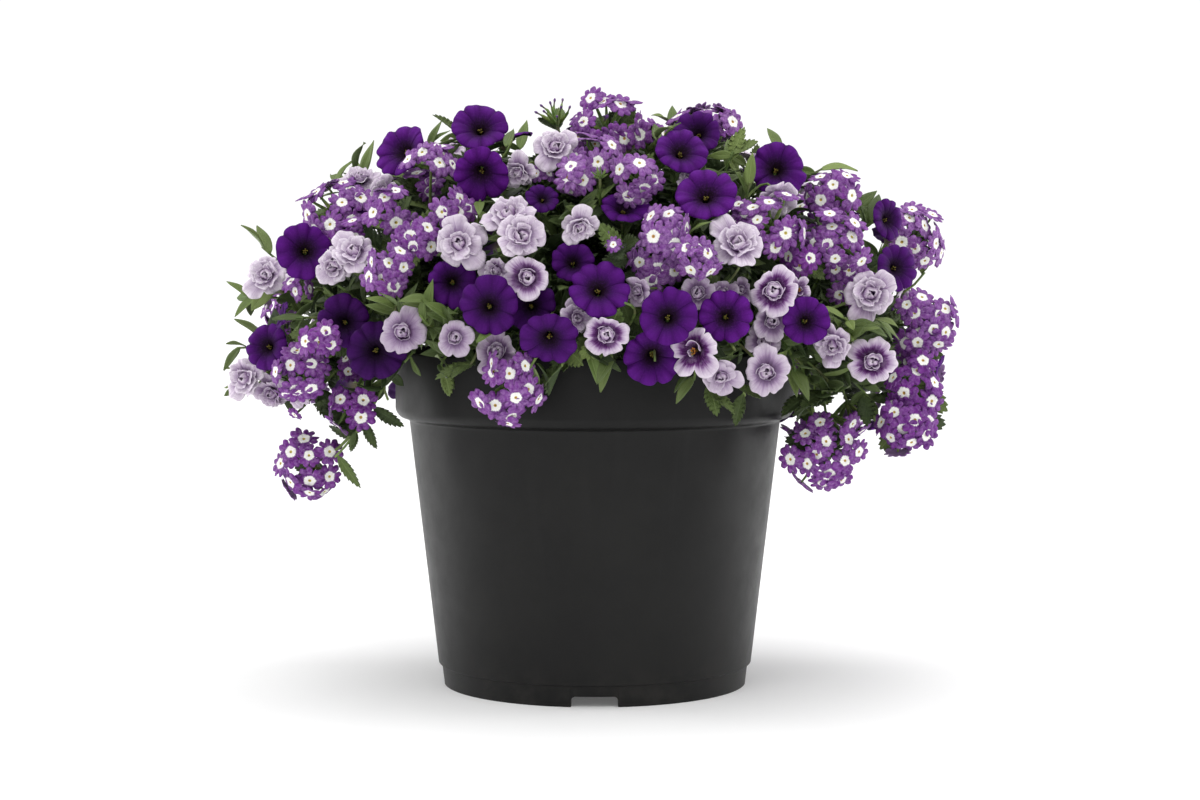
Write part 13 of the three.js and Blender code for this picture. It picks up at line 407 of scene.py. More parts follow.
        [-348,767,2819,-54,78,31,-44,-58,69,223,67,0], [-379,751,2843,-63,35,69,-27,-94,22,216,75,0], [-412,733,2867,-24,19,95,-87,-48,-13,160,52,0], [-446,712,2891,3,-1,100,-98,-19,3,163,57,0], [-481,689,2915,-88,32,36,2,-73,68,223,67,0], [-516,666,2940,-66,51,55,-32,-85,41,146,44,0], [-551,641,2965,-21,29,93,-80,-60,1,164,55,0], [-586,617,2990,0,-18,98,-99,-10,-2,165,59,0], [-620,593,3016,2,-66,76,-91,30,28,161,50,0], [-653,571,3043,-77,35,54,-6,-87,49,192,53,0], [-684,550,3071,-53,-83,-16,-49,14,86,196,54,0], [-713,531,3101,-15,18,97,-86,-52,-4,201,56,0], [-740,515,3131,-98,18,-1,-6,-26,96,161,49,0], [-764,502,3163,-70,48,53,0,-74,68,183,59,0], [-785,493,3197,-13,72,68,-54,-63,56,234,71,0], [-802,489,3232,-98,-12,16,14,16,98,211,58,0], [-815,489,3269,39,51,76,-79,-24,56,156,52,0], [-158,919,2712,69,51,51,-60,80,3,201,68,0], [-144,959,2724,-35,83,-44,43,56,71,194,53,0], [-128,1000,2734,14,58,80,17,78,-60,149,42,0], [-112,1042,2743,-48,60,64,72,68,-10,213,74,0], [-95,1084,2752,-47,88,9,82,39,41,216,59,0], [-78,1127,2761,57,29,77,-19,96,-23,149,48,0], [-61,1169,2770,8,39,92,25,88,-40,217,80,0], [-44,1210,2780,-19,55,81,56,74,-37,227,67,0], [-29,1251,2791,91,40,12,-41,82,39,237,79,0], [-14,1290,2803,-30,95,-5,68,25,69,196,71,0], [-1,1328,2818,25,47,84,-2,87,-49,205,64,0], [10,1363,2835,67,73,-12,-38,48,79,167,53,0], [20,1397,2855,-45,54,71,77,64,1,183,67,0], [27,1427,2878,65,36,67,-60,78,17,216,70,0], [31,1454,2904,71,61,36,-67,41,62,156,63,0], [-203,860,2677,-28,57,77,44,80,-42,159,55,0], [-206,898,2697,59,74,33,-79,44,43,167,54,0], [-208,937,2717,-72,69,-3,48,53,70,197,64,0], [-211,976,2737,22,15,97,-28,96,-8,144,48,0], [-214,1016,2756,28,94,-19,-40,30,86,206,72,0], [-217,1056,2774,-65,62,44,75,61,24,146,43,0], [-221,1095,2793,68,40,61,-61,77,18,189,56,0], [-225,1134,2812,-34,89,-30,14,36,92,217,70,0], [-229,1173,2831,-12,17,98,-5,98,-18,164,51,0], [-234,1210,2851,57,81,-12,-53,47,71,174,59,0], [-239,1246,2872,-69,66,29,70,50,51,189,69,0], [-244,1281,2894,25,40,88,-56,81,-20,163,54,0], [-250,1313,2917,-7,97,-21,-15,20,97,232,76,0], [-257,1344,2941,-35,15,92,15,98,-10,207,64,0], [-264,1372,2968,59,79,18,-64,32,69,150,50,0], [-139,450,2241,44,82,36,-58,-5,81,182,62,0], [-150,495,2307,-80,49,35,55,35,76,259,88,0], [-162,544,2369,28,7,96,-52,85,9,194,66,0], [-174,594,2428,-2,100,5,-19,-6,98,275,94,0], [-186,644,2486,-67,8,74,45,83,32,241,82,0], [-197,691,2543,59,52,62,-81,34,48,280,95,0], [-208,734,2601,-63,74,23,40,6,92,247,84,0], [-687,548,3074,-61,36,-71,-38,-91,-13,150,60,0], [-126,395,2136,-37,74,57,1,-61,79,244,97,0], [-133,424,2196,-20,87,45,-13,-48,87,240,84,0], [-141,457,2253,70,64,33,-42,0,91,280,113,0], [-150,494,2306,-16,92,37,41,-28,87,203,83,0], [-159,534,2357,-43,-77,47,31,36,88,287,110,0], [-169,574,2405,47,81,35,12,-45,89,224,82,0], [-179,615,2452,-14,-77,62,29,57,77,292,121,0], [-189,655,2499,-14,-89,43,-4,44,90,282,96,0], [-198,693,2546,-92,-28,29,16,41,90,242,102,0], [-206,728,2593,24,92,29,-25,-24,94,238,81,0], [-217,766,2651,86,-30,40,-40,7,91,203,83,0], [-235,787,2695,-73,-42,54,50,21,84,288,110,0], [-264,793,2736,85,-38,37,-19,43,88,252,102,0], [-300,786,2776,-85,-21,49,47,13,87,244,102,0], [-343,770,2814,96,-9,26,-28,-38,88,253,93,0], [-391,745,2852,18,-92,36,-18,32,93,207,84,0], [-443,714,2889,-13,83,54,6,-54,84,202,82,0], [-497,679,2926,-74,-65,18,6,20,98,301,109,0], [-551,641,2965,-95,27,16,18,6,98,199,77,0], [-605,604,3004,45,-87,19,-46,-5,89,274,103,0], [-656,569,3046,-41,77,49,66,-12,74,224,79,0], [-703,537,3090,-35,-92,18,24,10,97,276,115,0], [-745,512,3137,-57,76,31,-21,-50,84,300,125,0], [-780,495,3188,-10,82,57,14,-56,82,306,121,0], [-806,488,3242,19,85,50,-60,-30,74,229,85,0], [-203,735,2608,-36,-73,58,59,31,75,305,112,0], [-198,778,2646,73,55,41,-37,-18,91,261,101,0],
        [-187,829,2677,-43,-68,59,63,24,74,273,113,0], [-170,884,2701,-3,-84,55,14,54,83,197,75,0], [-149,945,2720,-62,-55,57,78,-35,51,220,75,0], [-125,1008,2736,-15,-95,27,0,27,96,219,85,0], [-99,1073,2750,15,-79,60,-29,55,79,255,100,0], [-73,1139,2763,-75,64,17,21,-1,98,265,99,0], [-190,676,2533,-25,-88,40,-5,42,91,306,112,0], [-194,720,2578,26,-71,66,-3,67,74,220,75,0], [-198,769,2618,93,-17,32,-23,40,89,279,97,0], [-201,823,2655,40,87,28,-20,-22,96,297,109,0], [-205,881,2688,-28,89,36,6,-36,93,195,80,0], [-209,940,2719,-32,93,16,80,18,58,216,81,0], [-213,1001,2749,-11,-98,19,-26,21,94,218,91,0], [-218,1063,2778,-51,-77,38,3,43,90,254,99,0], [-224,1124,2807,-53,77,36,16,-32,93,204,74,0],
    ],
    "verbena_spray_16": [
        [181,-619,2982,-15,-17,97,91,36,21,160,77,1], [181,-619,2982,-4,-11,99,93,36,8,190,82,1], [253,-570,3033,-4,92,39,75,-23,62,195,88,1], [253,-570,3033,79,-41,46,9,81,58,209,90,1], [330,-512,3083,13,11,99,93,32,-16,227,120,1], [330,-512,3083,14,-1,99,88,46,-12,230,97,1], [409,-451,3133,82,-31,49,3,86,50,223,118,1], [409,-451,3133,70,-40,59,19,90,38,279,124,1], [486,-391,3185,11,11,99,93,35,-14,301,166,1], [486,-391,3185,12,14,98,94,31,-16,286,137,1], [556,-338,3239,75,-43,50,12,83,54,185,87,1], [556,-338,3239,97,-17,19,-7,54,84,315,162,1], [616,-296,3297,53,-49,70,26,87,41,208,105,1], [616,-296,3297,-17,63,76,88,-25,41,216,109,1], [661,-270,3360,88,6,47,-47,6,88,193,100,1], [661,-270,3360,24,79,56,40,-61,69,233,115,1], [36,-779,2847,79,-57,23,-58,-55,60,236,131,1], [36,-779,2847,-73,-54,43,69,-57,45,171,86,1], [36,-859,2894,-15,-20,97,16,-97,-18,273,121,1], [36,-859,2894,-20,-96,-19,19,-23,95,185,89,1], [36,-943,2939,-62,-68,39,78,-47,41,248,135,1], [36,-943,2939,74,-65,18,-61,-53,59,288,139,1], [35,-1028,2984,4,-91,-41,-2,-41,91,280,139,1], [35,-1028,2984,1,-23,97,-1,-97,-23,206,106,1], [34,-1110,3032,-38,-86,-34,21,-44,87,209,117,1], [29,-605,2713,-33,-1,94,52,-83,17,200,99,1], [29,-605,2713,43,-74,52,-57,22,79,254,134,1], [28,-642,2798,-52,-69,51,63,10,77,169,86,1], [28,-642,2798,69,23,69,-40,-67,62,189,85,1], [27,-680,2884,32,-87,38,-36,27,90,240,133,1], [27,-680,2884,-50,13,85,49,-78,40,220,108,1], [25,-720,2968,46,0,89,-57,-76,30,279,120,1], [25,-720,2968,-63,-70,35,52,-5,85,305,157,1], [24,-764,3050,-44,12,89,43,-84,32,288,125,1], [24,-764,3050,46,-83,33,-46,9,88,221,111,1], [23,-811,3129,-67,-74,10,37,-22,90,172,92,1], [23,-811,3129,-34,-82,45,51,24,83,133,78,1], [22,-863,3201,42,-86,30,-48,7,88,197,109,1], [22,-863,3201,-9,-100,0,6,-1,100,263,135,1], [80,-695,2820,71,-69,16,-35,-15,93,188,84,1], [80,-695,2820,-30,-2,95,60,-78,17,250,125,1], [109,-750,2896,79,13,60,-27,-81,52,187,93,1], [109,-750,2896,-38,-79,48,78,0,62,184,79,1], [139,-809,2967,-17,-1,99,51,-86,8,275,143,1], [139,-809,2967,72,-69,-9,-17,-29,94,246,122,1], [170,-872,3032,-8,-99,-10,36,-12,93,162,80,1], [170,-872,3032,81,-6,59,-36,-83,42,217,111,1], [198,-940,3088,59,-79,-17,-15,-32,94,316,133,1], [198,-940,3088,-66,-65,36,72,-44,53,176,80,1], [221,-1012,3133,82,-16,55,-37,-89,28,209,92,1], [238,-1088,3163,-24,-38,89,44,-86,-25,184,79,1], [238,-1088,3163,46,-43,77,-36,-89,-28,237,112,1], [1,-652,2762,68,-34,65,-73,-42,54,189,92,1], [1,-652,2762,-78,-54,33,52,-25,82,268,140,1], [-17,-702,2844,-27,33,90,4,-93,36,237,116,1], [-17,-702,2844,11,-91,39,-39,32,86,258,120,1], [-36,-756,2923,-80,-46,38,56,-37,74,231,106,1], [-36,-756,2923,49,-36,80,-82,-49,29,229,110,1], [-56,-814,2997,8,-98,15,-30,12,95,252,107,1], [-56,-814,2997,-28,3,96,9,-99,6,197,87,1], [-75,-877,3063,37,-52,77,-88,-45,13,213,97,1], [-75,-877,3063,-77,-51,39,62,-45,64,289,142,1], [-91,-944,3119,-30,-7,95,11,-99,-4,180,92,1], [-91,-944,3119,76,-57,32,-63,-52,57,316,160,1], [46,-596,2897,-62,-35,71,66,25,70,267,125,1], [46,-596,2897,-57,-40,72,65,32,69,166,81,1], [53,-575,3000,6,-56,83,3,83,56,217,115,1], [53,-575,3000,-12,-47,87,33,81,48,201,93,1], [60,-550,3103,76,-4,65,-65,5,76,166,88,1], [60,-550,3103,-66,5,75,75,-4,66,280,124,1], [67,-530,3203,58,-55,61,-41,44,79,295,148,1], [67,-530,3203,81,-6,58,-58,3,81,231,99,1], [73,-520,3296,43,74,51,-16,-50,85,181,108,1], [73,-520,3296,-26,-63,73,41,61,68,174,76,1], [78,-527,3376,82,-22,52,-56,-17,81,313,163,1], [78,-527,3376,-64,-28,71,76,-8,65,187,104,1], [81,-556,3441,-68,-16,71,66,-57,50,157,81,1], [81,-556,3441,66,-54,51,-69,-19,70,160,80,1], [-14,-608,2955,-21,-37,91,-12,93,35,287,126,1], [-14,-608,2955,-35,87,34,-7,-39,92,234,129,1], [-46,-561,3035,50,26,83,-86,5,51,296,146,1], [-46,-561,3035,-87,-14,47,39,40,83,284,152,1],
        [-82,-507,3117,-17,-24,96,-28,94,19,184,79,1], [-82,-507,3117,-9,-33,94,-36,89,27,283,121,1], [-119,-452,3199,-86,-4,51,46,40,80,211,117,1], [-119,-452,3199,57,31,76,-81,7,58,290,122,1], [-155,-404,3281,-7,-40,91,-38,86,35,163,86,1], [-155,-404,3281,-88,36,30,32,-1,95,192,81,1], [-187,-369,3362,41,54,73,-71,-31,63,212,101,1], [-187,-369,3362,-36,-46,82,4,86,50,193,88,1], [-212,-354,3440,-63,-70,35,12,36,93,176,93,1], [-212,-354,3440,-78,25,57,49,-33,81,118,74,1], [-228,-366,3517,-23,45,86,4,-88,47,128,78,1], [-42,-651,2767,-89,11,45,24,-70,67,208,114,1], [-42,-651,2767,32,-74,59,-84,7,54,208,96,1], [-89,-692,2839,-40,-91,0,-16,8,98,195,92,1], [-89,-692,2839,-3,6,100,-55,-84,4,287,123,1], [-140,-735,2909,30,-68,67,-92,-2,39,203,92,1], [-140,-735,2909,38,-67,64,-89,-8,44,264,127,1], [-191,-782,2977,-13,-1,99,-49,-87,-7,296,126,1], [-191,-782,2977,-46,-89,4,-11,11,99,249,113,1], [-238,-832,3042,-93,3,35,22,-74,64,263,116,1], [-238,-832,3042,37,-63,69,-93,-18,33,222,106,1], [-278,-887,3103,-31,-95,10,-13,14,98,207,102,1], [-278,-887,3103,-12,-15,98,-39,-90,-18,274,130,1], [-306,-947,3159,-2,-3,100,-30,-95,-4,277,116,1], [-306,-947,3159,-82,-25,51,51,-73,46,238,114,1], [22,-396,2294,-69,-26,68,72,-31,62,273,137,1], [24,-431,2367,44,-84,31,-36,15,92,202,101,1], [26,-468,2436,8,23,97,-5,-97,24,266,133,1], [28,-507,2503,-48,-81,34,50,6,86,274,137,1], [30,-546,2568,73,-38,57,-68,-35,64,237,118,1], [32,-584,2632,-52,2,86,57,-74,36,245,122,1], [34,-620,2696,8,-96,26,-4,26,97,254,127,1], [82,-599,3477,-33,56,76,-9,-82,56,195,101,1], [82,-599,3477,30,12,94,-18,-97,18,186,97,1], [81,-557,3441,66,16,73,35,-93,-11,284,148,1], [-199,-359,3399,100,2,8,0,-97,25,150,78,1], [388,-467,3119,65,69,-30,58,-72,-38,150,78,1], [350,-496,3096,84,-8,-53,-16,-98,-11,150,78,1], [19,-343,2150,78,37,51,-33,-45,83,295,141,1], [20,-364,2216,81,12,57,-56,40,72,258,135,1], [22,-389,2279,51,72,48,-64,-6,76,269,151,1], [23,-416,2338,42,71,57,-20,-54,82,255,132,1], [25,-446,2396,-89,-15,43,37,29,88,251,141,1], [27,-477,2452,78,-35,52,-55,0,83,200,112,1], [28,-509,2506,88,-18,44,-42,12,90,251,130,1], [30,-541,2559,69,60,40,-42,-10,90,250,133,1], [32,-572,2611,-50,-72,48,-2,57,82,213,99,1], [33,-602,2663,-32,-77,56,16,53,83,236,113,1], [35,-630,2715,-85,8,52,53,13,84,235,112,1], [40,-668,2800,41,-86,31,12,38,92,239,132,1], [56,-677,2844,66,57,48,7,-69,72,213,108,1], [82,-673,2886,85,18,50,-53,32,79,305,151,1], [117,-658,2926,-54,79,28,46,0,89,195,97,1], [160,-633,2965,-27,-80,54,6,54,84,268,138,1], [209,-601,3002,-94,28,20,20,-4,98,284,159,1], [262,-563,3038,-65,-58,49,-1,65,76,267,139,1], [317,-521,3075,95,-28,14,-22,-29,93,293,153,1], [374,-477,3111,-84,43,33,36,-2,93,285,157,1], [431,-433,3147,-84,29,47,43,-18,88,250,120,1], [486,-391,3185,78,52,34,-15,-38,92,193,90,1], [538,-351,3224,42,83,36,5,-42,91,285,143,1], [585,-317,3265,96,-10,27,-27,-4,96,202,106,1], [625,-290,3307,66,56,50,-49,-18,85,254,138,1], [657,-272,3353,-80,52,29,28,-10,95,257,131,1], [680,-264,3401,22,82,52,5,-54,84,212,117,1], [34,-622,2707,-76,-56,32,22,24,94,277,134,1], [35,-659,2752,-68,60,42,16,-43,89,245,121,1], [36,-704,2794,93,27,24,-29,15,95,309,162,1], [36,-755,2831,65,73,21,-32,1,95,216,120,1], [36,-811,2866,87,33,37,-42,7,91,289,143,1], [36,-870,2900,73,63,27,-17,-22,96,211,101,1], [36,-931,2932,79,57,23,3,-40,92,252,136,1], [35,-992,2965,20,86,47,-1,-48,88,203,99,1], [35,-1053,2998,-42,79,44,-1,-49,87,261,130,1], [34,-1111,3033,-59,58,57,27,-52,81,212,102,1], [34,-1166,3071,27,71,65,-59,-41,70,239,133,1], [28,-503,2492,-79,43,44,39,-21,90,210,110,1], [29,-530,2546,72,-39,58,-62,2,78,233,130,1], [29,-557,2603,34,69,64,34,-72,60,213,102,1], [29,-583,2662,-62,47,63,12,-74,66,309,161,1], [29,-609,2723,-50,-80,34,13,32,94,276,150,1], [28,-636,2784,-91,0,40,40,-4,91,224,124,1],
        [27,-663,2846,83,-30,48,-38,34,86,298,149,1], [26,-691,2908,-89,8,44,37,-43,82,289,157,1], [25,-721,2969,19,-83,52,19,55,81,279,154,1], [24,-752,3029,33,68,65,-22,-62,75,247,135,1], [23,-785,3087,-91,15,39,36,-23,91,260,138,1], [22,-820,3142,-86,5,50,46,-34,82,259,139,1], [22,-858,3194,-94,-3,34,33,17,93,238,132,1], [21,-898,3242,80,54,26,-48,31,82,276,130,1], [33,-574,2621,-41,63,66,43,-51,75,271,150,1], [40,-603,2673,89,-8,46,-46,-10,88,225,109,1], [52,-636,2728,84,33,43,-51,21,83,214,112,1], [68,-670,2783,-91,-31,27,30,-4,95,289,154,1], [87,-708,2838,79,23,56,-47,-37,81,223,103,1], [107,-747,2893,-37,-90,23,-13,29,95,212,118,1], [129,-789,2945,32,-80,50,45,59,66,274,131,1], [152,-834,2994,-85,-43,29,29,7,96,230,117,1], [174,-880,3040,-88,-11,46,46,3,89,215,109,1], [194,-929,3080,-50,57,65,19,-66,73,295,149,1], [212,-980,3115,-78,16,61,47,-49,74,243,126,1], [227,-1034,3143,99,-10,13,-12,8,99,267,136,1], [238,-1089,3163,16,84,52,43,-54,73,296,158,1], [244,-1147,3174,99,-12,8,-3,37,93,191,95,1], [28,-527,2537,73,54,42,-31,-29,91,233,110,1], [26,-556,2590,-82,35,45,34,-33,88,213,115,1], [20,-586,2646,-92,12,37,38,20,90,211,116,1], [11,-619,2705,96,0,27,-26,21,94,204,100,1], [1,-653,2764,27,77,57,-47,-41,78,210,99,1], [-12,-689,2823,-49,60,64,36,-53,77,230,124,1], [-25,-727,2881,-68,54,49,25,-46,85,258,144,1], [-40,-767,2937,-50,82,29,-7,-37,93,271,132,1], [-54,-809,2990,22,-94,26,19,30,93,307,145,1], [-68,-853,3039,0,80,60,-2,-59,80,289,135,1], [-81,-900,3084,86,4,51,-51,-3,86,279,146,1], [-92,-949,3122,-85,47,25,5,-41,91,206,103,1], [-102,-1001,3154,67,64,38,-41,-10,91,234,115,1], [-109,-1055,3178,29,87,40,-13,-38,92,285,131,1], [33,-595,2665,30,-81,49,-35,39,85,235,119,1], [36,-607,2722,66,-68,32,-21,24,95,275,148,1], [39,-609,2786,-33,-82,46,-9,51,85,214,108,1], [43,-603,2855,-71,-39,59,71,-38,60,190,105,1], [48,-590,2928,61,66,44,-63,6,77,219,108,1], [53,-574,3002,82,-42,39,-24,37,90,275,144,1], [58,-556,3077,65,-48,59,-43,41,81,227,123,1], [63,-540,3151,-51,-60,62,43,44,79,199,102,1], [68,-527,3222,37,-74,56,-38,43,82,205,101,1], [72,-520,3288,86,-34,38,-30,27,92,203,106,1], [76,-522,3349,-8,83,56,-10,-56,82,201,93,1], [79,-534,3401,-14,75,64,63,-43,64,254,119,1], [35,-642,2753,-84,-10,54,53,-37,76,221,115,1], [29,-651,2805,76,14,64,-37,-70,60,191,106,1], [17,-645,2858,-7,85,51,1,-52,86,237,126,1], [1,-627,2914,-65,62,44,39,-23,89,253,127,1], [-20,-600,2971,67,-50,56,-51,24,83,211,112,1], [-43,-565,3028,-79,53,32,19,-29,94,279,136,1], [-69,-527,3087,-82,48,31,33,-4,94,226,119,1], [-95,-487,3146,25,-86,44,28,49,82,240,124,1], [-122,-448,3206,-15,-93,33,12,31,94,233,126,1], [-148,-413,3265,-33,89,31,45,-14,88,286,147,1], [-172,-383,3323,-48,70,53,0,-60,80,257,143,1], [-194,-363,3381,20,84,51,6,-53,85,223,123,1], [28,-549,2578,19,-92,33,1,34,94,273,143,1], [19,-577,2629,87,35,35,-21,-38,90,299,141,1], [2,-604,2681,-21,-92,32,-35,38,86,290,154,1], [-23,-632,2733,-89,-15,44,43,8,90,202,110,1], [-53,-661,2785,-11,95,29,-13,-30,95,272,150,1], [-87,-690,2836,34,-77,54,-26,48,84,218,121,1], [-124,-721,2887,77,31,56,-57,-6,82,235,132,1], [-161,-754,2937,70,-46,54,-40,37,84,250,126,1], [-197,-788,2986,-91,3,41,41,22,89,301,160,1], [-232,-824,3033,53,-63,56,-50,30,81,237,129,1], [-263,-863,3078,91,-17,38,-38,8,92,200,103,1], [-288,-904,3120,81,-3,58,-51,45,74,217,109,1], [-306,-948,3161,-94,1,33,33,2,94,239,129,1], [-317,-996,3198,-88,35,32,30,-12,95,242,128,1],
    ],
    "violet_calibrachoa_spray_11": [
        [-41,225,2961,3,51,86,6,-86,51,184,56,0], [-36,207,2999,42,41,81,-32,-77,55,176,65,0], [-31,187,3038,-62,-40,68,74,1,67,167,59,0], [-24,165,3076,-45,6,89,73,-56,40,186,67,0], [-17,142,3115,-18,33,93,37,-85,37,144,49,0], [-9,119,3153,32,31,89,-21,-89,39,209,76,0], [-1,97,3192,52,25,82,-41,-77,49,157,47,0], [7,75,3231,-42,-9,90,85,-40,36,162,57,0], [16,56,3270,-29,19,94,61,-71,34,207,58,0], [24,39,3309,15,54,83,5,-84,54,188,64,0], [33,25,3348,-30,-67,68,55,46,70,237,64,0], [41,14,3387,38,58,72,-15,-73,67,101,35,0], [-37,309,2930,-14,-43,89,23,86,45,168,50,0], [-32,323,2970,74,47,49,-56,1,83,178,53,0], [-26,338,3011,-60,53,60,68,-6,73,192,60,0], [-21,352,3051,27,-28,92,-23,91,34,222,71,0], [-15,367,3092,25,85,46,-16,-43,89,176,60,0], [-10,382,3133,-60,-4,80,68,49,54,221,76,0], [-6,397,3174,76,25,60,-65,20,73,214,79,0], [-2,411,3215,-55,53,64,70,-13,71,173,61,0], [1,424,3256,21,-41,89,-17,88,44,172,50,0], [3,436,3297,-8,86,51,12,-50,86,193,67,0], [3,447,3337,-18,-44,88,19,86,47,178,58,0], [2,457,3378,57,57,59,-60,-21,77,205,61,0], [-1,465,3417,37,-63,68,-29,62,73,168,57,0], [-164,263,2987,-35,47,81,-59,-79,20,151,42,0], [-199,255,3013,-8,5,100,-98,-16,-7,145,40,0], [-236,246,3038,11,-54,84,-90,30,31,180,60,0], [-275,236,3063,-70,57,42,-25,-75,61,145,47,0], [-315,226,3088,-38,54,75,-61,-76,23,192,64,0], [-355,215,3113,-26,-1,97,-95,-20,-26,193,59,0], [-394,204,3138,-6,-5,100,-99,-11,-7,211,76,0], [-431,193,3165,-31,-76,58,-63,62,47,214,78,0], [-466,183,3192,-42,63,65,-48,-76,43,233,84,0], [-498,174,3220,17,24,96,-92,-31,24,158,46,0], [-525,167,3250,-58,66,48,-22,-69,69,184,63,0], [-548,161,3282,-76,63,19,-11,-41,90,239,88,0], [-565,157,3316,-2,79,62,-43,-57,70,128,46,0], [1,432,3030,48,9,87,-15,99,-2,184,59,0], [19,470,3049,15,39,91,32,85,-42,146,42,0], [38,510,3067,-28,58,76,88,48,-4,170,46,0], [57,552,3084,-44,78,44,88,29,37,171,62,0], [78,594,3101,65,8,76,-18,98,6,195,63,0], [98,635,3118,19,29,94,28,90,-33,156,49,0], [118,676,3136,-21,53,82,82,55,-15,161,54,0], [138,716,3154,97,22,12,-25,75,62,236,81,0], [157,753,3173,-26,95,16,71,8,70,145,50,0], [174,788,3194,12,8,99,32,94,-12,153,45,0], [190,818,3217,-22,17,96,63,77,0,216,67,0], [204,845,3242,-32,29,90,80,60,9,150,52,0], [215,867,3269,78,30,56,-63,48,61,201,55,0], [223,883,3300,0,88,48,29,-46,84,181,53,0], [228,893,3333,15,90,42,1,-42,91,208,66,0], [-33,168,2326,-22,81,54,16,-52,84,260,89,0], [-36,182,2405,-45,-41,80,41,70,59,202,69,0], [-39,197,2481,67,27,69,-72,2,69,245,83,0], [-42,213,2556,-58,60,56,50,-28,82,257,88,0], [-45,230,2628,7,-52,85,-13,84,52,201,68,0], [-48,245,2700,34,75,57,-39,-44,81,229,78,0], [-51,260,2771,-70,-8,71,64,36,67,188,64,0], [-54,273,2841,66,-2,75,-72,26,64,212,72,0], [-3,469,3436,-99,-4,-15,6,-98,-19,150,60,0], [-29,145,2162,-85,7,53,52,-11,85,307,108,0], [-30,153,2232,9,85,51,11,-52,85,203,71,0], [-32,163,2300,79,36,50,-54,0,84,233,90,0], [-34,174,2365,-77,-18,62,56,27,78,245,85,0], [-37,187,2429,65,-57,51,-48,22,85,240,97,0], [-39,199,2491,94,13,31,-30,-9,95,256,106,0], [-42,212,2551,-41,71,57,29,-49,82,268,110,0], [-44,225,2610,3,-83,56,-27,53,80,266,100,0], [-47,238,2669,73,51,46,-58,11,81,260,107,0], [-49,251,2726,8,87,48,48,-45,75,281,106,0], [-52,263,2784,-77,51,38,25,-30,92,219,81,0], [-54,273,2841,70,-36,61,-53,32,79,218,84,0], [-52,261,2792,-62,73,29,41,-1,91,252,89,0], [-51,259,2849,34,-86,38,-8,37,92,294,111,0], [-47,245,2907,55,64,53,-31,-43,84,219,87,0], [-41,223,2966,-77,-31,56,14,77,62,290,119,0], [-33,194,3025,-50,77,39,7,-41,91,282,101,0], [-23,160,3084,-2,-88,48,-22,47,86,262,91,0], [-11,125,3144,78,34,53,-55,-5,84,241,89,0], [1,90,3204,-86,7,50,50,4,86,267,97,0], [14,59,3264,-54,-62,57,16,59,80,191,73,0], [28,33,3325,-36,70,62,69,-25,68,228,92,0], [41,15,3385,-50,59,64,51,-39,76,282,116,0],
        [-50,253,2745,-12,-92,38,-1,39,92,279,104,0], [-48,268,2804,75,-27,60,-50,36,79,271,111,0], [-44,286,2864,37,-81,45,19,54,82,248,102,0], [-37,307,2925,-44,78,44,62,-8,78,288,111,0], [-30,329,2987,81,28,51,-51,-5,86,247,99,0], [-21,352,3050,-9,95,29,-29,-30,91,199,73,0], [-13,375,3113,-25,-89,37,39,26,89,232,80,0], [-5,398,3177,-70,63,32,13,-32,94,211,84,0], [0,419,3240,-73,-61,31,-3,48,87,297,103,0], [3,438,3303,-65,54,53,40,-35,85,236,88,0], [3,454,3366,-43,70,57,71,-13,69,208,71,0], [-56,272,2842,-81,-41,42,41,11,90,200,82,0], [-76,275,2892,38,77,51,-41,-35,84,256,107,0], [-110,273,2938,-87,4,48,45,45,77,225,87,0], [-155,265,2980,-79,-57,23,18,13,97,255,97,0], [-209,253,3020,73,53,44,-35,-27,90,235,87,0], [-268,238,3059,75,-52,42,-18,45,88,253,98,0], [-329,222,3097,-95,7,29,28,-12,95,262,107,0], [-390,205,3136,-96,-23,15,20,-22,95,230,88,0], [-448,189,3177,-52,-84,16,5,16,99,255,101,0], [-498,174,3220,90,7,43,-41,-23,88,240,99,0], [-539,163,3268,88,8,46,-45,41,79,259,96,0], [-566,157,3320,-82,32,47,46,-12,88,240,86,0], [-55,285,2893,-16,92,36,19,-33,93,263,91,0], [-48,312,2939,73,-55,40,-38,15,91,295,104,0], [-33,352,2979,-82,-27,51,52,4,86,200,76,0], [-12,401,3013,78,60,17,-12,-12,99,305,126,0], [14,459,3044,-77,63,14,42,33,84,207,80,0], [43,521,3071,-69,-44,58,44,38,81,210,88,0], [74,585,3098,98,1,21,-21,-11,97,204,84,0], [105,650,3124,-86,-2,51,51,-10,86,276,104,0], [136,712,3152,-34,90,29,31,-18,93,244,95,0], [165,769,3182,7,98,17,14,-18,97,265,95,0], [190,818,3216,-65,-45,62,63,15,77,214,83,0], [210,857,3256,-75,50,44,44,-11,89,268,92,0], [224,884,3302,80,-35,50,-48,14,87,279,102,0],
    ],
    "leafy_shoot_01": [
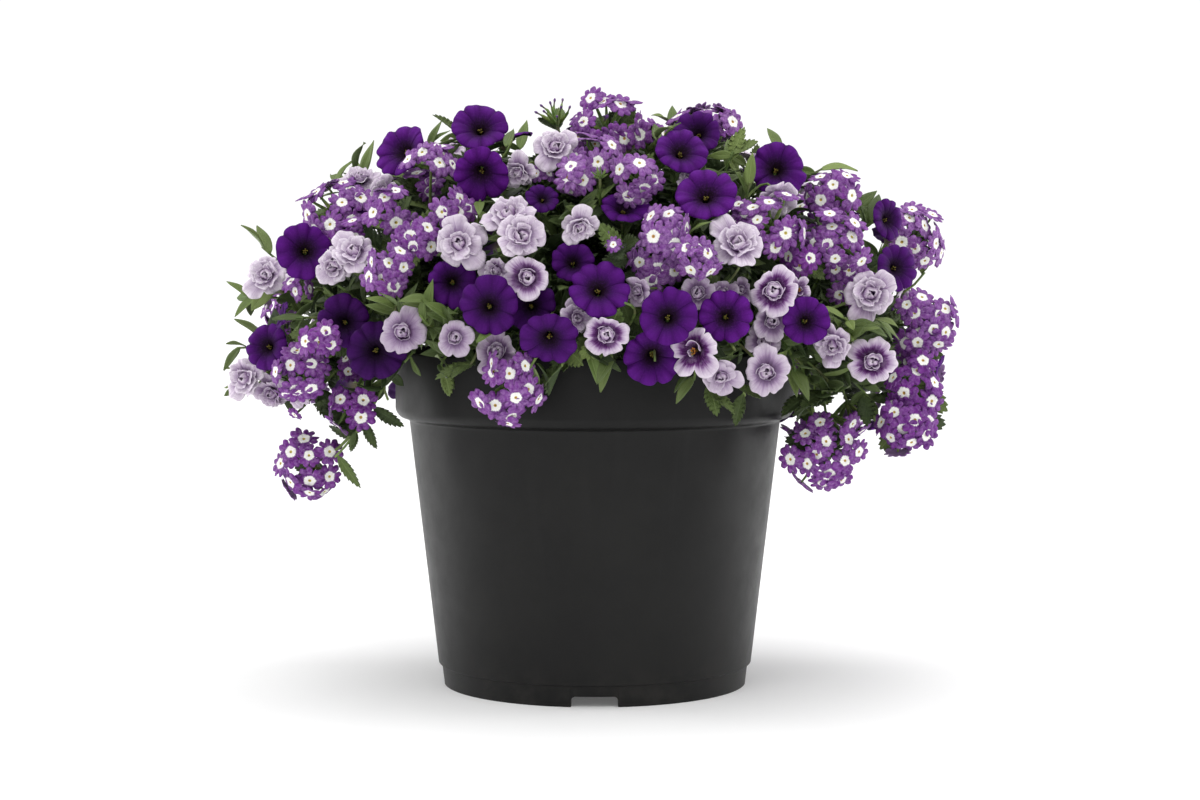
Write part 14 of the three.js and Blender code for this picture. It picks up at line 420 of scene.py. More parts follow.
        [-926,1262,3079,-22,21,95,23,-94,26,184,71,1], [-1600,963,2884,-11,-12,99,26,-96,-9,226,72,0], [-923,1607,2571,-58,76,28,-8,-40,91,225,72,0], [-915,1570,2551,0,99,13,0,-13,99,248,79,0], [-1642,1262,2329,-79,50,35,4,-53,85,223,72,0], [-998,1669,1955,-48,53,70,17,-72,67,212,68,0], [-980,1621,1974,8,68,-73,32,68,66,257,82,0], [-1181,1027,1627,2,7,-100,5,-100,-6,213,68,0], [-1169,1024,1663,0,0,-100,0,-100,0,244,78,0], [-820,1104,2375,-4,96,27,-42,-26,87,222,107,1], [-828,1117,2430,-65,-35,67,14,82,56,199,96,1], [-834,1127,2491,50,48,72,-84,9,53,244,117,1], [-839,1136,2556,-86,37,35,43,16,89,202,97,1], [-844,1145,2623,-51,73,46,26,-38,89,258,124,1], [-849,1153,2692,-2,83,55,-38,-52,77,278,133,1], [-855,1162,2762,-80,-23,56,32,63,71,254,122,1], [-862,1173,2830,-84,41,36,44,11,89,221,106,1], [-871,1187,2896,-90,-7,43,33,54,78,173,83,1], [-882,1203,2958,-59,-24,77,19,89,42,178,85,1], [-897,1223,3016,21,81,54,-76,-21,61,218,105,1], [-915,1248,3067,-92,29,27,39,47,80,229,110,1], [-1015,1148,2378,-91,26,-32,-34,-4,94,273,131,1], [-1062,1135,2409,-89,44,15,-18,-62,77,228,109,1], [-1110,1116,2441,-62,61,49,-58,-78,24,171,82,1], [-1158,1093,2475,-29,43,86,-88,-47,-7,222,107,1], [-1207,1067,2510,-6,-7,100,-100,-4,-6,167,80,1], [-1255,1040,2547,-97,20,12,1,-50,87,205,98,1], [-1303,1012,2584,-65,67,35,-51,-73,46,195,94,1], [-1350,987,2623,-29,56,78,-81,-58,12,260,125,1], [-1396,964,2663,-97,-25,-6,-11,21,97,245,118,1], [-1441,946,2703,-95,30,5,-6,-37,93,195,94,1], [-1484,934,2745,-97,-17,-15,-18,23,96,257,123,1], [-1524,929,2787,-8,22,97,-100,-1,-8,276,133,1], [-1562,934,2831,6,24,97,-99,14,3,241,116,1], [-785,1100,2308,-74,65,-18,25,52,82,171,82,1], [-808,1155,2334,-19,18,97,-36,90,-24,234,112,1], [-827,1209,2359,22,95,-21,-68,31,67,231,111,1], [-843,1262,2384,-87,41,26,48,84,27,199,96,1], [-858,1315,2408,44,48,76,-69,72,-5,233,112,1], [-870,1366,2432,-32,82,-47,-14,45,88,196,94,1], [-881,1416,2457,-59,17,79,10,99,-13,232,111,1], [-891,1464,2482,45,86,24,-87,35,35,162,78,1], [-901,1510,2507,-85,49,-17,27,70,66,171,82,1], [-910,1554,2533,5,36,93,-46,84,-29,192,92,1], [-919,1596,2560,1,100,-9,-47,8,88,171,82,1], [-946,1141,2297,-57,82,2,-80,-56,21,279,134,1], [-1009,1146,2300,-65,63,43,-75,-44,-49,228,109,1], [-1078,1148,2299,-53,26,81,-81,12,-57,259,124,1], [-1151,1148,2298,-77,-26,58,-60,62,-51,254,122,1], [-1226,1147,2295,-47,87,-16,-88,-43,20,233,112,1], [-1301,1146,2292,-68,66,31,-73,-57,-38,183,88,1], [-1374,1148,2289,-67,35,65,-71,-4,-71,260,125,1], [-1443,1152,2288,-52,48,-71,-80,0,60,181,87,1], [-1507,1161,2290,-50,83,-25,-83,-38,40,259,124,1], [-1563,1176,2294,-39,88,28,-92,-38,-12,217,104,1], [-1609,1198,2302,-59,25,77,-56,56,-61,172,82,1], [-1644,1229,2314,-10,66,74,-87,31,-39,240,115,1], [-785,1103,2196,-65,66,37,14,59,-80,263,126,1], [-805,1153,2175,-91,42,3,38,86,-35,235,113,1], [-825,1203,2151,-87,17,-45,17,98,5,209,100,1], [-844,1255,2123,-13,96,25,-53,14,-83,273,131,1], [-863,1309,2094,-54,78,31,7,41,-91,232,111,1], [-882,1363,2064,-87,49,10,37,77,-52,203,97,1], [-901,1418,2036,54,84,6,-78,52,-35,266,128,1], [-921,1473,2010,-56,37,-75,1,90,43,269,129,1], [-942,1529,1987,-43,71,56,-15,55,-82,196,94,1], [-964,1586,1968,-79,57,24,35,74,-58,247,118,1], [-987,1643,1956,-98,16,-10,16,99,-4,221,106,1], [-880,1026,2181,-89,43,11,-22,-20,-95,260,125,1], [-926,1022,2145,-90,-7,42,-42,32,-85,160,77,1], [-972,1015,2102,-28,67,-68,-91,-42,-4,166,79,1], [-1016,1006,2052,-64,66,-40,-50,-75,-44,265,127,1], [-1058,996,1998,-89,39,-22,5,-39,-92,190,91,1], [-1097,986,1940,-100,6,7,-6,18,-98,214,103,1], [-1130,979,1880,24,60,-76,-92,-12,-38,178,85,1], [-1158,977,1819,-74,-63,-22,-29,60,-74,254,122,1], [-1178,980,1759,-11,82,-56,-67,-48,-57,257,123,1], [-1190,990,1701,-23,87,-43,-36,-48,-80,181,87,1],
        [-1192,1009,1645,6,99,-15,-39,-11,-91,174,83,1], [-450,605,2116,38,-83,41,-69,4,72,247,93,0], [-483,649,2142,-44,-72,53,-5,61,79,240,92,0], [-521,699,2163,85,-42,32,-23,25,94,250,87,0], [-561,752,2179,10,-95,31,2,31,95,202,81,0], [-603,808,2191,-86,36,35,26,-26,93,203,80,0], [-646,865,2201,-62,76,21,7,-21,97,213,76,0], [-689,921,2210,-86,35,37,35,-12,93,237,87,0], [-696,933,2225,36,85,39,7,-44,89,244,102,0],
    ],
    "leafy_shoot_02": [
        [-2230,-261,2156,-54,-38,-75,-28,-76,59,188,60,0], [-2193,-257,2163,-58,-78,24,43,-5,90,178,57,0], [-2238,-325,1897,-40,-90,-18,12,-25,96,163,52,0], [-2189,-316,1920,-94,34,-2,-18,-44,88,163,52,0], [-2172,358,2205,-77,-19,61,61,-49,62,219,70,0], [-1408,-175,2319,-76,62,-19,-65,-74,16,199,66,0], [-1468,-180,2308,-64,-65,-41,-77,53,36,163,54,0], [-1529,-185,2295,-79,13,59,-61,-29,-74,163,54,0], [-1592,-191,2280,-71,-38,59,-69,23,-68,180,59,0], [-1654,-196,2265,-68,-71,17,-72,62,-31,208,68,0], [-1717,-202,2249,-79,59,14,-60,-74,-29,206,68,0], [-1780,-208,2233,-56,-77,-30,-83,55,12,157,52,0], [-1544,-203,2277,-73,-36,58,-66,17,-73,238,78,0], [-1604,-212,2257,-55,-79,27,-81,43,-39,151,50,0], [-1666,-221,2234,-78,63,6,-62,-73,-29,206,68,0], [-1728,-230,2210,-44,-85,-28,-88,47,-3,183,60,0], [-1791,-239,2184,-66,75,2,-72,-64,-26,156,52,0], [-1449,-190,2281,-76,38,53,-65,-45,-61,217,72,0], [-1504,-197,2259,-87,-17,47,-47,1,-88,215,71,0], [-1559,-204,2233,-75,-61,24,-60,49,-63,228,75,0], [-1614,-212,2204,-51,-84,-18,-82,54,-19,202,67,0], [-1670,-220,2173,-82,47,31,-55,-56,-62,213,70,0], [-1726,-228,2141,-94,-7,33,-32,-13,-94,155,51,0], [-1782,-237,2108,-70,59,-39,-63,-78,-5,196,65,0], [-1838,-245,2075,-60,73,-32,-72,-67,-16,195,64,0], [-1894,-254,2043,-51,-86,-2,-79,48,-38,189,62,0], [-1486,-93,2244,-87,-49,4,-49,86,-16,239,79,0], [-1539,-61,2230,-33,85,41,-91,-16,-38,228,75,0], [-1591,-27,2216,-65,17,-74,-65,38,65,216,71,0], [-1644,11,2204,-89,16,43,-29,53,-80,206,68,0], [-1696,51,2193,-97,-19,14,-22,94,-25,166,55,0], [-1748,92,2183,-94,-8,-33,-21,89,40,177,59,0], [-1800,133,2175,-46,58,67,-78,10,-62,205,68,0], [-1852,174,2169,-68,-3,-74,-61,59,53,235,78,0], [-1902,213,2166,-39,62,68,-84,7,-54,176,58,0], [-1953,250,2165,-39,42,-82,-81,26,53,226,74,0], [-731,-90,2120,-81,-52,28,24,14,96,196,80,0], [-763,-95,2177,-63,-71,32,0,41,91,286,112,0], [-803,-100,2226,-54,-79,29,-10,40,91,253,100,0], [-850,-107,2269,-50,-76,41,36,25,90,305,120,0], [-903,-114,2303,17,93,34,-16,-31,94,269,104,0], [-960,-122,2329,-81,-47,36,13,45,88,262,94,0], [-1020,-130,2347,24,94,24,13,-28,95,207,86,0], [-1082,-139,2356,-85,51,10,12,0,99,285,118,0], [-1145,-148,2356,-6,100,-2,21,3,98,271,111,0],
    ],
    "leafy_shoot_03": [
        [386,-815,3428,-14,76,63,2,-64,77,185,59,0], [827,-924,3343,79,-11,60,-56,-54,63,189,74,1], [817,-910,3304,35,4,94,-45,-87,21,233,90,1], [916,-1117,3153,10,2,100,-16,-99,4,214,69,0], [901,-1090,3120,15,11,98,-19,-97,14,210,67,0], [1380,-633,3256,98,-1,19,-17,-51,85,249,80,0], [1338,-636,3222,88,-10,-47,34,-57,75,229,73,0], [619,-667,2704,73,-46,51,-59,-5,80,157,52,0], [614,-681,2760,21,-82,54,-14,52,84,172,57,0], [605,-692,2817,42,46,78,-28,-76,59,222,73,0], [593,-703,2875,76,-5,65,-63,-35,70,159,52,0], [577,-712,2934,53,-60,60,-62,21,76,221,73,0], [559,-721,2993,-4,-78,63,-8,63,78,224,74,0], [539,-730,3053,-52,-68,51,40,33,85,162,53,0], [516,-738,3112,63,-5,77,-74,-33,59,203,67,0], [493,-747,3171,39,-53,75,-77,25,58,152,50,0], [469,-758,3229,10,-87,48,-32,43,85,155,51,0], [422,-782,3342,-36,-85,38,10,37,92,186,61,0], [399,-796,3396,40,-42,82,-90,0,44,216,71,0], [378,-814,3449,35,-82,46,-54,23,81,219,72,0], [648,-674,2642,-11,-98,16,53,7,85,170,56,0], [664,-699,2696,87,4,49,-35,-66,66,226,74,0], [679,-722,2752,77,-46,43,-53,-9,84,173,57,0], [693,-743,2810,47,-83,31,-6,32,94,160,53,0], [705,-764,2869,45,58,68,9,-78,61,229,75,0], [717,-783,2929,-48,-63,61,77,3,63,162,54,0], [729,-802,2989,87,-35,34,-42,-19,89,177,58,0], [740,-820,3047,56,-77,30,-17,26,95,202,67,0], [752,-838,3105,7,-96,26,32,27,91,204,67,0], [765,-856,3161,78,38,50,-13,-68,72,195,64,0], [794,-891,3266,14,33,93,36,-90,27,222,73,0], [811,-910,3314,12,33,94,41,-88,25,154,51,0], [633,-652,2600,69,-72,5,-9,-1,100,184,61,0], [659,-687,2639,44,3,90,23,-97,-8,183,60,0], [686,-722,2678,-14,-93,35,82,9,56,152,50,0], [712,-758,2717,98,-17,12,-20,-64,74,192,63,0], [738,-794,2755,-4,-27,96,77,-62,-14,225,74,0], [763,-831,2795,27,-95,-19,37,-8,93,157,52,0], [787,-868,2835,74,9,67,-12,-96,26,156,51,0], [811,-905,2875,-46,-64,62,89,-28,37,193,64,0], [833,-942,2918,81,-58,-10,-11,-32,94,173,57,0], [854,-979,2962,17,11,98,38,-93,3,209,69,0], [891,-1052,3055,6,20,98,39,-91,16,152,50,0], [906,-1087,3105,-40,-15,90,75,-62,23,165,54,0], [758,-678,2701,20,-63,75,82,52,22,223,74,0], [799,-678,2748,-25,-38,89,95,7,29,182,60,0], [843,-675,2797,96,-24,11,-9,11,99,225,74,0], [887,-668,2845,72,-66,19,25,51,82,200,66,0], [933,-660,2894,50,-59,64,50,79,34,206,68,0], [980,-650,2942,11,-46,88,90,43,11,174,57,0], [1028,-640,2989,-3,2,100,100,-6,3,169,56,0], [1076,-630,3034,88,-44,18,7,49,87,233,77,0], [1124,-621,3077,57,-67,48,46,74,48,177,59,0], [1171,-613,3117,8,-61,78,88,42,23,176,58,0], [1217,-609,3155,99,0,-13,13,-11,99,229,75,0], [1263,-608,3188,46,-84,29,62,54,57,155,51,0], [1307,-611,3218,84,-55,1,24,37,90,225,74,0], [824,-922,3343,-99,9,-7,-8,-99,-7,150,60,0], [800,-897,3283,72,67,20,66,-74,11,150,60,0], [824,-922,3343,73,45,-50,36,-89,-28,150,60,0], [434,-775,3314,-75,44,-49,-31,-90,-32,150,60,0], [450,-766,3275,-43,88,19,-89,-45,9,150,60,0], [811,-910,3314,52,53,-67,61,-78,-14,150,60,0], [1346,-618,3242,-98,14,16,-11,-98,17,150,60,0], [279,-243,2123,59,-76,26,-19,19,96,216,89,0], [305,-272,2175,68,48,55,-56,-13,82,281,109,0], [336,-306,2221,-24,75,62,14,-60,79,231,86,0], [370,-344,2263,-48,-75,45,6,49,87,208,81,0], [405,-384,2302,-78,53,33,54,32,78,255,93,0], [443,-426,2338,-7,-92,39,-15,40,90,205,82,0], [480,-468,2373,-16,-87,46,-12,48,87,212,84,0], [517,-509,2408,-84,11,53,54,22,81,231,86,0], [552,-548,2443,97,-4,23,-22,10,97,229,82,0], [584,-584,2479,87,-27,41,-47,-19,86,286,99,0], [590,-592,2509,-17,-89,41,-25,44,86,261,101,0], [607,-618,2561,-13,-84,53,14,51,85,282,117,0], [616,-640,2616,62,-59,52,-38,36,85,248,85,0], [620,-658,2673,-85,-5,53,43,-64,63,259,97,0], [617,-674,2733,-59,73,35,59,9,80,200,73,0], [609,-688,2794,-48,79,38,35,-22,91,253,97,0], [597,-700,2857,30,84,45,-51,-26,82,209,77,0], [581,-710,2920,2,-89,45,13,44,89,216,80,0],
        [562,-720,2984,85,35,40,-20,-48,85,196,71,0], [540,-729,3049,-87,-29,39,33,25,91,236,84,0], [516,-738,3113,-15,-95,28,0,28,96,262,107,0], [491,-748,3177,-82,-36,44,31,38,87,264,100,0], [465,-759,3240,-9,-96,26,-40,28,87,243,84,0], [439,-772,3301,20,93,32,39,-37,84,291,101,0], [567,-567,2473,72,60,34,-26,-22,94,228,90,0], [595,-602,2518,69,65,32,-30,-15,94,257,100,0], [619,-634,2568,77,40,49,-29,-47,83,285,109,0], [641,-664,2622,-33,-84,43,40,29,87,199,76,0], [659,-691,2679,17,-83,53,-12,52,85,203,70,0], [676,-717,2740,-71,-44,56,55,17,82,214,83,0], [691,-740,2802,35,-89,29,4,33,94,207,80,0], [704,-763,2866,53,-69,50,-49,24,84,283,103,0], [717,-784,2930,-68,-54,50,34,38,86,238,85,0], [730,-804,2995,31,89,33,-6,-32,94,201,83,0], [743,-824,3059,-91,-13,40,26,58,77,270,102,0], [756,-843,3121,25,79,55,27,-61,75,244,86,0], [770,-862,3181,-65,59,49,0,-64,77,200,76,0], [537,-534,2449,30,-86,41,-4,42,91,292,120,0], [565,-567,2495,86,3,51,-48,36,80,201,82,0], [593,-601,2539,42,-87,24,27,37,89,283,97,0], [621,-637,2583,-56,59,58,69,-5,72,262,91,0], [650,-674,2625,93,-32,18,-19,-2,98,263,93,0], [679,-712,2667,55,-73,39,3,49,87,266,103,0], [707,-751,2709,79,47,39,-46,3,89,197,68,0], [735,-790,2751,30,91,29,17,-35,92,286,114,0], [762,-830,2793,-73,-49,48,53,4,85,222,78,0], [789,-870,2837,-86,26,44,25,-54,80,274,115,0], [622,-626,2532,-9,-95,29,2,29,96,309,110,0], [655,-650,2575,47,-84,27,-4,29,96,205,75,0], [692,-666,2621,-46,-71,54,65,15,74,203,82,0], [732,-675,2669,-30,73,61,-12,-66,74,195,71,0], [775,-678,2720,-26,90,36,-19,-41,89,245,91,0], [820,-677,2772,94,18,28,-31,13,94,242,84,0], [868,-671,2824,-69,60,40,37,-17,91,237,99,0], [917,-663,2877,81,-41,41,-49,-12,86,215,79,0], [968,-653,2929,8,93,35,-39,-29,87,201,78,0],
    ],
    "leafy_shoot_04": [
        [472,1748,2474,59,3,81,-55,-72,43,243,78,0], [-236,1820,2213,-87,36,34,10,-55,83,276,88,0], [-205,1790,2210,44,15,89,-42,-84,35,258,83,0], [945,1696,2061,-23,94,-23,-21,18,96,216,69,0], [311,1572,1711,-96,19,-23,-29,-46,84,229,73,0], [307,1326,2305,94,33,3,-33,94,9,233,77,0], [335,1381,2308,-12,94,-33,72,31,62,215,71,0], [364,1438,2317,32,53,78,22,76,-61,201,66,0], [393,1495,2333,74,54,-42,-12,71,70,171,56,0], [421,1551,2354,-57,75,33,82,55,17,172,57,0], [445,1606,2379,73,34,60,-34,93,-11,163,54,0], [464,1658,2407,-27,24,93,48,87,-8,161,53,0], [476,1706,2438,36,29,89,-12,96,-27,192,63,0], [480,1749,2470,68,73,-4,-48,49,73,213,70,0], [215,1424,2242,-3,57,-82,-56,67,49,223,73,0], [172,1463,2223,20,88,-43,-92,32,23,181,60,0], [121,1502,2206,-8,100,5,-96,-7,-27,161,53,0], [66,1540,2192,-13,80,59,-70,35,-62,175,58,0], [8,1578,2182,-59,44,68,-30,66,-69,201,66,0], [-50,1617,2174,-14,89,-43,-82,14,56,209,69,0], [-105,1656,2171,4,100,6,-100,4,0,151,50,0], [-154,1696,2173,-7,84,55,-82,26,-51,200,66,0], [-197,1737,2179,-51,67,-54,-19,52,83,236,78,0], [-229,1779,2191,14,89,-43,-62,41,67,223,73,0], [438,1446,2268,14,46,-87,82,44,37,189,62,0], [497,1469,2237,49,70,51,59,17,-79,180,59,0], [560,1490,2203,42,91,-2,78,-37,-50,234,77,0], [625,1509,2166,28,83,-48,96,-24,15,181,60,0], [689,1527,2129,95,11,30,16,64,-75,214,71,0], [751,1546,2095,62,59,52,51,20,-84,154,51,0], [808,1566,2065,40,90,14,76,-24,-61,191,63,0], [859,1587,2042,25,92,-29,97,-25,4,227,75,0], [902,1611,2028,28,76,-59,81,15,56,226,75,0], [934,1639,2025,41,53,74,45,59,-67,226,75,0], [954,1671,2034,73,57,-37,-14,66,74,229,75,0], [298,1353,2269,-65,67,-36,76,50,-42,185,61,0], [309,1379,2220,72,63,-28,-60,37,-71,180,60,0], [318,1402,2162,36,93,-8,-11,-4,-99,172,57,0], [327,1423,2097,-12,90,-42,58,-28,-76,158,52,0], [333,1443,2028,76,5,-65,-44,78,-45,227,75,0], [337,1463,1958,76,56,-32,-56,32,-76,158,52,0], [339,1483,1889,26,89,-37,-29,-29,-91,157,52,0], [142,656,2112,32,-70,64,-22,60,77,302,107,0], [148,687,2166,-52,66,55,47,-31,83,304,115,0], [156,725,2215,-39,82,41,-1,-45,89,247,100,0], [166,771,2258,-74,-48,46,28,40,87,300,124,0], [177,822,2294,-46,-70,55,39,40,83,221,77,0], [189,878,2325,71,-64,29,14,53,83,223,91,0], [202,938,2348,56,-73,39,-40,18,90,226,79,0], [215,1000,2364,0,99,13,3,-13,99,293,121,0], [228,1064,2373,97,22,8,-11,13,99,286,100,0], [242,1129,2373,-89,-10,45,45,-5,89,228,90,0],
    ],
    "leafy_shoot_05": [
        [-1478,-394,3265,11,-54,83,-89,32,33,235,75,0], [-1448,-385,3227,31,8,95,-38,-90,20,243,78,0], [-1604,-395,3183,47,-18,87,-72,-64,26,187,60,0], [-1562,-383,3150,-45,67,59,8,-62,78,227,73,0], [-1026,-578,3409,78,-26,58,-63,-43,65,182,58,0], [-1025,-565,3374,37,-20,91,-71,-69,14,219,70,0], [-533,-877,3393,21,75,63,-4,-64,77,196,63,0], [-873,219,3504,-72,-32,61,69,-38,61,227,88,1], [-1545,230,3212,0,75,66,0,-66,75,225,72,0], [-1518,205,3189,-30,77,56,3,-58,81,195,63,0], [-990,-282,2742,-76,53,38,-29,-80,53,160,53,0], [-1037,-288,2781,-71,-67,22,-34,60,72,194,64,0], [-1086,-294,2819,-17,17,97,-93,-36,-10,209,69,0], [-1136,-300,2858,-98,18,-12,-18,-33,93,184,61,0], [-1186,-306,2898,-20,-27,94,-98,13,-17,201,66,0], [-1235,-313,2938,-79,60,12,-35,-61,71,200,66,0], [-1282,-321,2980,-87,-50,-2,-19,28,94,234,77,0], [-1327,-330,3022,9,-19,98,-100,-5,8,236,78,0], [-1368,-340,3066,-99,-12,10,11,-13,98,161,53,0], [-1405,-351,3112,15,-6,99,-97,-20,13,158,52,0], [-1437,-363,3160,-61,43,66,-17,-89,42,167,55,0], [-1464,-377,3210,-51,-83,23,-25,39,89,177,59,0], [-1073,-286,2810,-98,14,-11,-15,-30,94,231,76,0], [-1127,-290,2843,-45,-61,65,-78,63,5,234,77,0], [-1182,-295,2874,-53,67,52,-65,-72,25,212,70,0], [-1238,-301,2904,-88,-46,-13,-30,32,90,199,66,0], [-1294,-307,2932,-5,-18,98,-100,-4,-5,169,56,0], [-1349,-314,2961,-90,44,-1,-31,-62,72,222,73,0], [-1401,-323,2990,-32,-12,94,-93,-11,-34,239,79,0], [-1496,-344,3053,-74,-67,8,-33,47,82,227,75,0], [-1537,-357,3088,6,-55,84,-98,14,16,159,52,0], [-1573,-372,3126,-88,-45,-15,-17,1,98,154,51,0], [-962,-331,2797,-37,-85,37,-25,48,84,188,62,0], [-978,-355,2850,-77,-64,6,7,1,100,176,58,0], [-991,-381,2905,-84,-28,46,53,-27,81,226,75,0], [-1001,-408,2961,-69,4,73,44,-77,46,176,58,0], [-1008,-435,3018,-38,48,79,-8,-87,49,208,69,0], [-1014,-463,3075,-43,-83,36,9,36,93,225,74,0], [-1018,-489,3133,-74,-49,46,53,0,85,175,58,0], [-1022,-536,3248,6,52,85,-31,-80,52,225,74,0], [-988,-431,2953,-46,-59,66,88,-25,40,183,60,0], [-961,-471,2989,-46,-12,88,60,-77,21,233,77,0], [-928,-513,3024,14,-1,99,14,-99,-3,185,61,0], [-890,-557,3057,57,30,76,-3,-92,38,224,74,0], [-849,-601,3090,-20,-83,53,89,7,45,194,64,0], [-805,-645,3121,-28,-44,85,86,-52,1,152,50,0], [-760,-688,3153,-19,-52,83,91,-41,-5,173,57,0], [-715,-730,3185,12,-99,4,37,8,92,225,74,0], [-670,-769,3217,-18,-88,44,81,12,57,227,75,0], [-628,-805,3251,-40,-86,33,75,-10,65,180,59,0], [-988,-216,2888,-50,-6,86,45,83,32,206,68,0], [-976,-178,2931,-72,39,57,68,28,67,172,57,0], [-961,-136,2976,-64,77,8,30,15,94,190,63,0], [-943,-90,3021,5,-13,99,-12,98,13,152,50,0], [-923,-43,3069,-47,-2,89,50,82,28,181,60,0], [-904,5,3117,-60,43,67,80,30,52,160,53,0], [-885,52,3167,68,-27,68,-36,69,63,218,72,0], [-869,96,3218,-56,71,44,56,-7,82,240,79,0], [-856,136,3270,26,-20,95,-39,88,29,163,54,0], [-847,171,3324,-14,-25,96,-1,97,25,214,71,0], [-845,199,3378,17,-33,93,-44,82,37,154,51,0], [-849,219,3434,16,91,39,-40,-30,87,167,55,0], [-1082,-215,2848,22,27,94,-96,22,16,173,57,0], [-1121,-180,2879,-27,-6,96,-77,62,-17,178,59,0], [-1162,-141,2908,-72,-9,69,-20,98,-9,203,67,0], [-1203,-98,2935,-96,-17,24,-3,86,52,179,59,0], [-1244,-53,2962,-96,5,-29,-22,54,81,203,67,0], [-1285,-7,2988,-94,-7,33,7,91,41,237,78,0], [-1326,39,3015,-62,-17,76,-36,93,-8,179,59,0], [-1366,84,3042,-91,-21,35,-6,92,39,155,51,0], [-1405,125,3070,4,64,77,-100,4,2,222,73,0], [-1443,163,3099,-100,-3,0,-2,62,79,207,68,0], [-865,229,3503,-96,5,-27,-3,-100,-5,150,60,0], [-461,-180,2140,-57,-66,48,7,55,83,241,88,0], [-491,-186,2200,78,-18,61,-61,6,79,241,93,0], [-525,-193,2257,77,57,30,-28,-13,95,252,87,0], [-563,-201,2309,63,-71,32,-29,16,94,220,83,0], [-605,-210,2359,87,1,50,-46,-36,81,207,81,0], [-649,-219,2407,19,-95,24,-25,19,95,236,84,0], [-695,-229,2452,46,75,49,-21,-44,87,307,113,0],
        [-742,-239,2496,-81,41,43,20,-50,84,308,122,0], [-789,-249,2539,70,-43,57,-71,-28,65,212,72,0], [-836,-259,2581,40,-72,56,-46,38,81,226,89,0], [-882,-268,2623,-49,69,53,47,-30,83,249,93,0], [-925,-277,2665,-93,-27,24,2,63,78,297,107,0], [-966,-286,2709,-84,39,37,11,-54,83,191,67,0], [-851,-262,2608,-48,68,56,25,-50,83,295,103,0], [-889,-269,2651,-52,-79,32,24,22,94,269,96,0], [-933,-275,2693,52,73,44,-39,-26,88,196,68,0], [-981,-281,2735,-89,5,45,45,-6,89,278,97,0], [-1033,-287,2777,17,84,51,-63,-30,71,259,89,0], [-1086,-294,2819,95,9,29,-27,-20,94,233,89,0], [-1140,-300,2861,54,60,59,-34,-49,80,201,71,0], [-923,-274,2682,-37,81,45,23,-39,89,252,94,0], [-969,-278,2730,91,-32,26,-13,37,92,223,80,0], [-1020,-282,2773,67,-60,43,-35,25,90,209,80,0], [-1076,-286,2812,72,-30,63,-42,53,73,241,88,0], [-1134,-291,2847,94,21,27,-27,-4,96,261,104,0], [-885,-272,2643,-59,63,50,58,-10,81,219,85,0], [-916,-288,2693,-85,-29,43,44,5,90,299,108,0], [-942,-309,2745,-82,50,28,45,26,86,200,76,0], [-963,-332,2801,44,78,45,-12,-45,89,264,90,0], [-980,-359,2859,75,54,37,-32,-18,93,271,109,0], [-993,-388,2918,86,12,49,-45,-24,86,308,114,0], [-1003,-417,2979,-7,-94,33,6,32,94,233,90,0], [-1011,-447,3041,84,16,51,-48,-20,85,217,83,0], [-1016,-476,3104,-84,39,37,29,-24,92,285,103,0], [-1019,-503,3167,0,85,53,43,-48,76,207,74,0], [-1022,-529,3229,89,-1,46,-46,-16,87,258,96,0], [-1023,-551,3290,82,-10,56,-37,64,67,244,91,0], [-1024,-569,3350,83,2,56,-56,1,83,250,100,0], [-1016,-309,2792,-82,16,55,57,12,81,292,112,0], [-1023,-337,2842,-83,-46,30,23,20,95,215,79,0], [-1017,-370,2887,54,66,52,-27,-45,85,252,92,0], [-1001,-408,2930,-22,93,29,14,-26,95,269,107,0], [-976,-450,2971,-75,-62,24,3,33,94,273,113,0], [-943,-495,3009,-79,40,47,33,-37,87,200,72,0], [-904,-542,3046,-6,-95,31,-23,32,92,191,67,0], [-860,-590,3081,-46,79,41,-30,-57,76,217,76,0], [-813,-637,3116,-30,-83,47,64,19,75,266,99,0], [-764,-684,3150,80,38,47,-22,-54,81,301,125,0], [-715,-729,3185,-63,75,22,25,-7,97,247,97,0], [-667,-771,3220,-28,79,54,18,-51,84,201,75,0], [-622,-810,3256,65,-68,32,-10,34,94,210,87,0], [-581,-844,3293,-50,-84,23,11,20,97,262,107,0], [-981,-287,2747,-29,-84,46,-5,49,87,220,75,0], [-993,-277,2789,-28,-72,64,-12,69,72,271,105,0], [-995,-256,2832,-32,77,55,30,-46,83,269,109,0], [-990,-224,2877,83,-45,33,-39,-4,92,304,114,0], [-978,-185,2923,83,33,46,-20,-59,79,307,121,0], [-962,-140,2971,-66,59,47,32,-35,88,191,72,0], [-943,-91,3021,-55,-74,39,43,15,89,224,87,0], [-922,-39,3072,-91,-22,36,30,26,92,243,100,0], [-901,12,3125,-13,-86,49,38,41,83,291,102,0], [-881,63,3179,-56,-66,49,21,46,86,230,90,0], [-864,110,3235,71,-61,36,-40,7,91,212,79,0], [-852,151,3292,-51,80,33,45,-8,89,223,82,0], [-845,186,3350,-76,60,25,40,13,91,274,112,0], [-956,-280,2717,76,-18,62,-64,-12,76,246,92,0], [-992,-271,2762,-40,88,26,-9,-32,94,283,97,0], [-1031,-252,2802,-85,35,39,31,-26,91,261,107,0], [-1072,-223,2839,80,12,59,-36,-68,64,279,113,0], [-1114,-187,2873,93,20,31,-22,-39,90,197,70,0], [-1158,-145,2905,78,-42,47,-48,9,87,266,95,0],
    ],
    "leafy_shoot_06": [
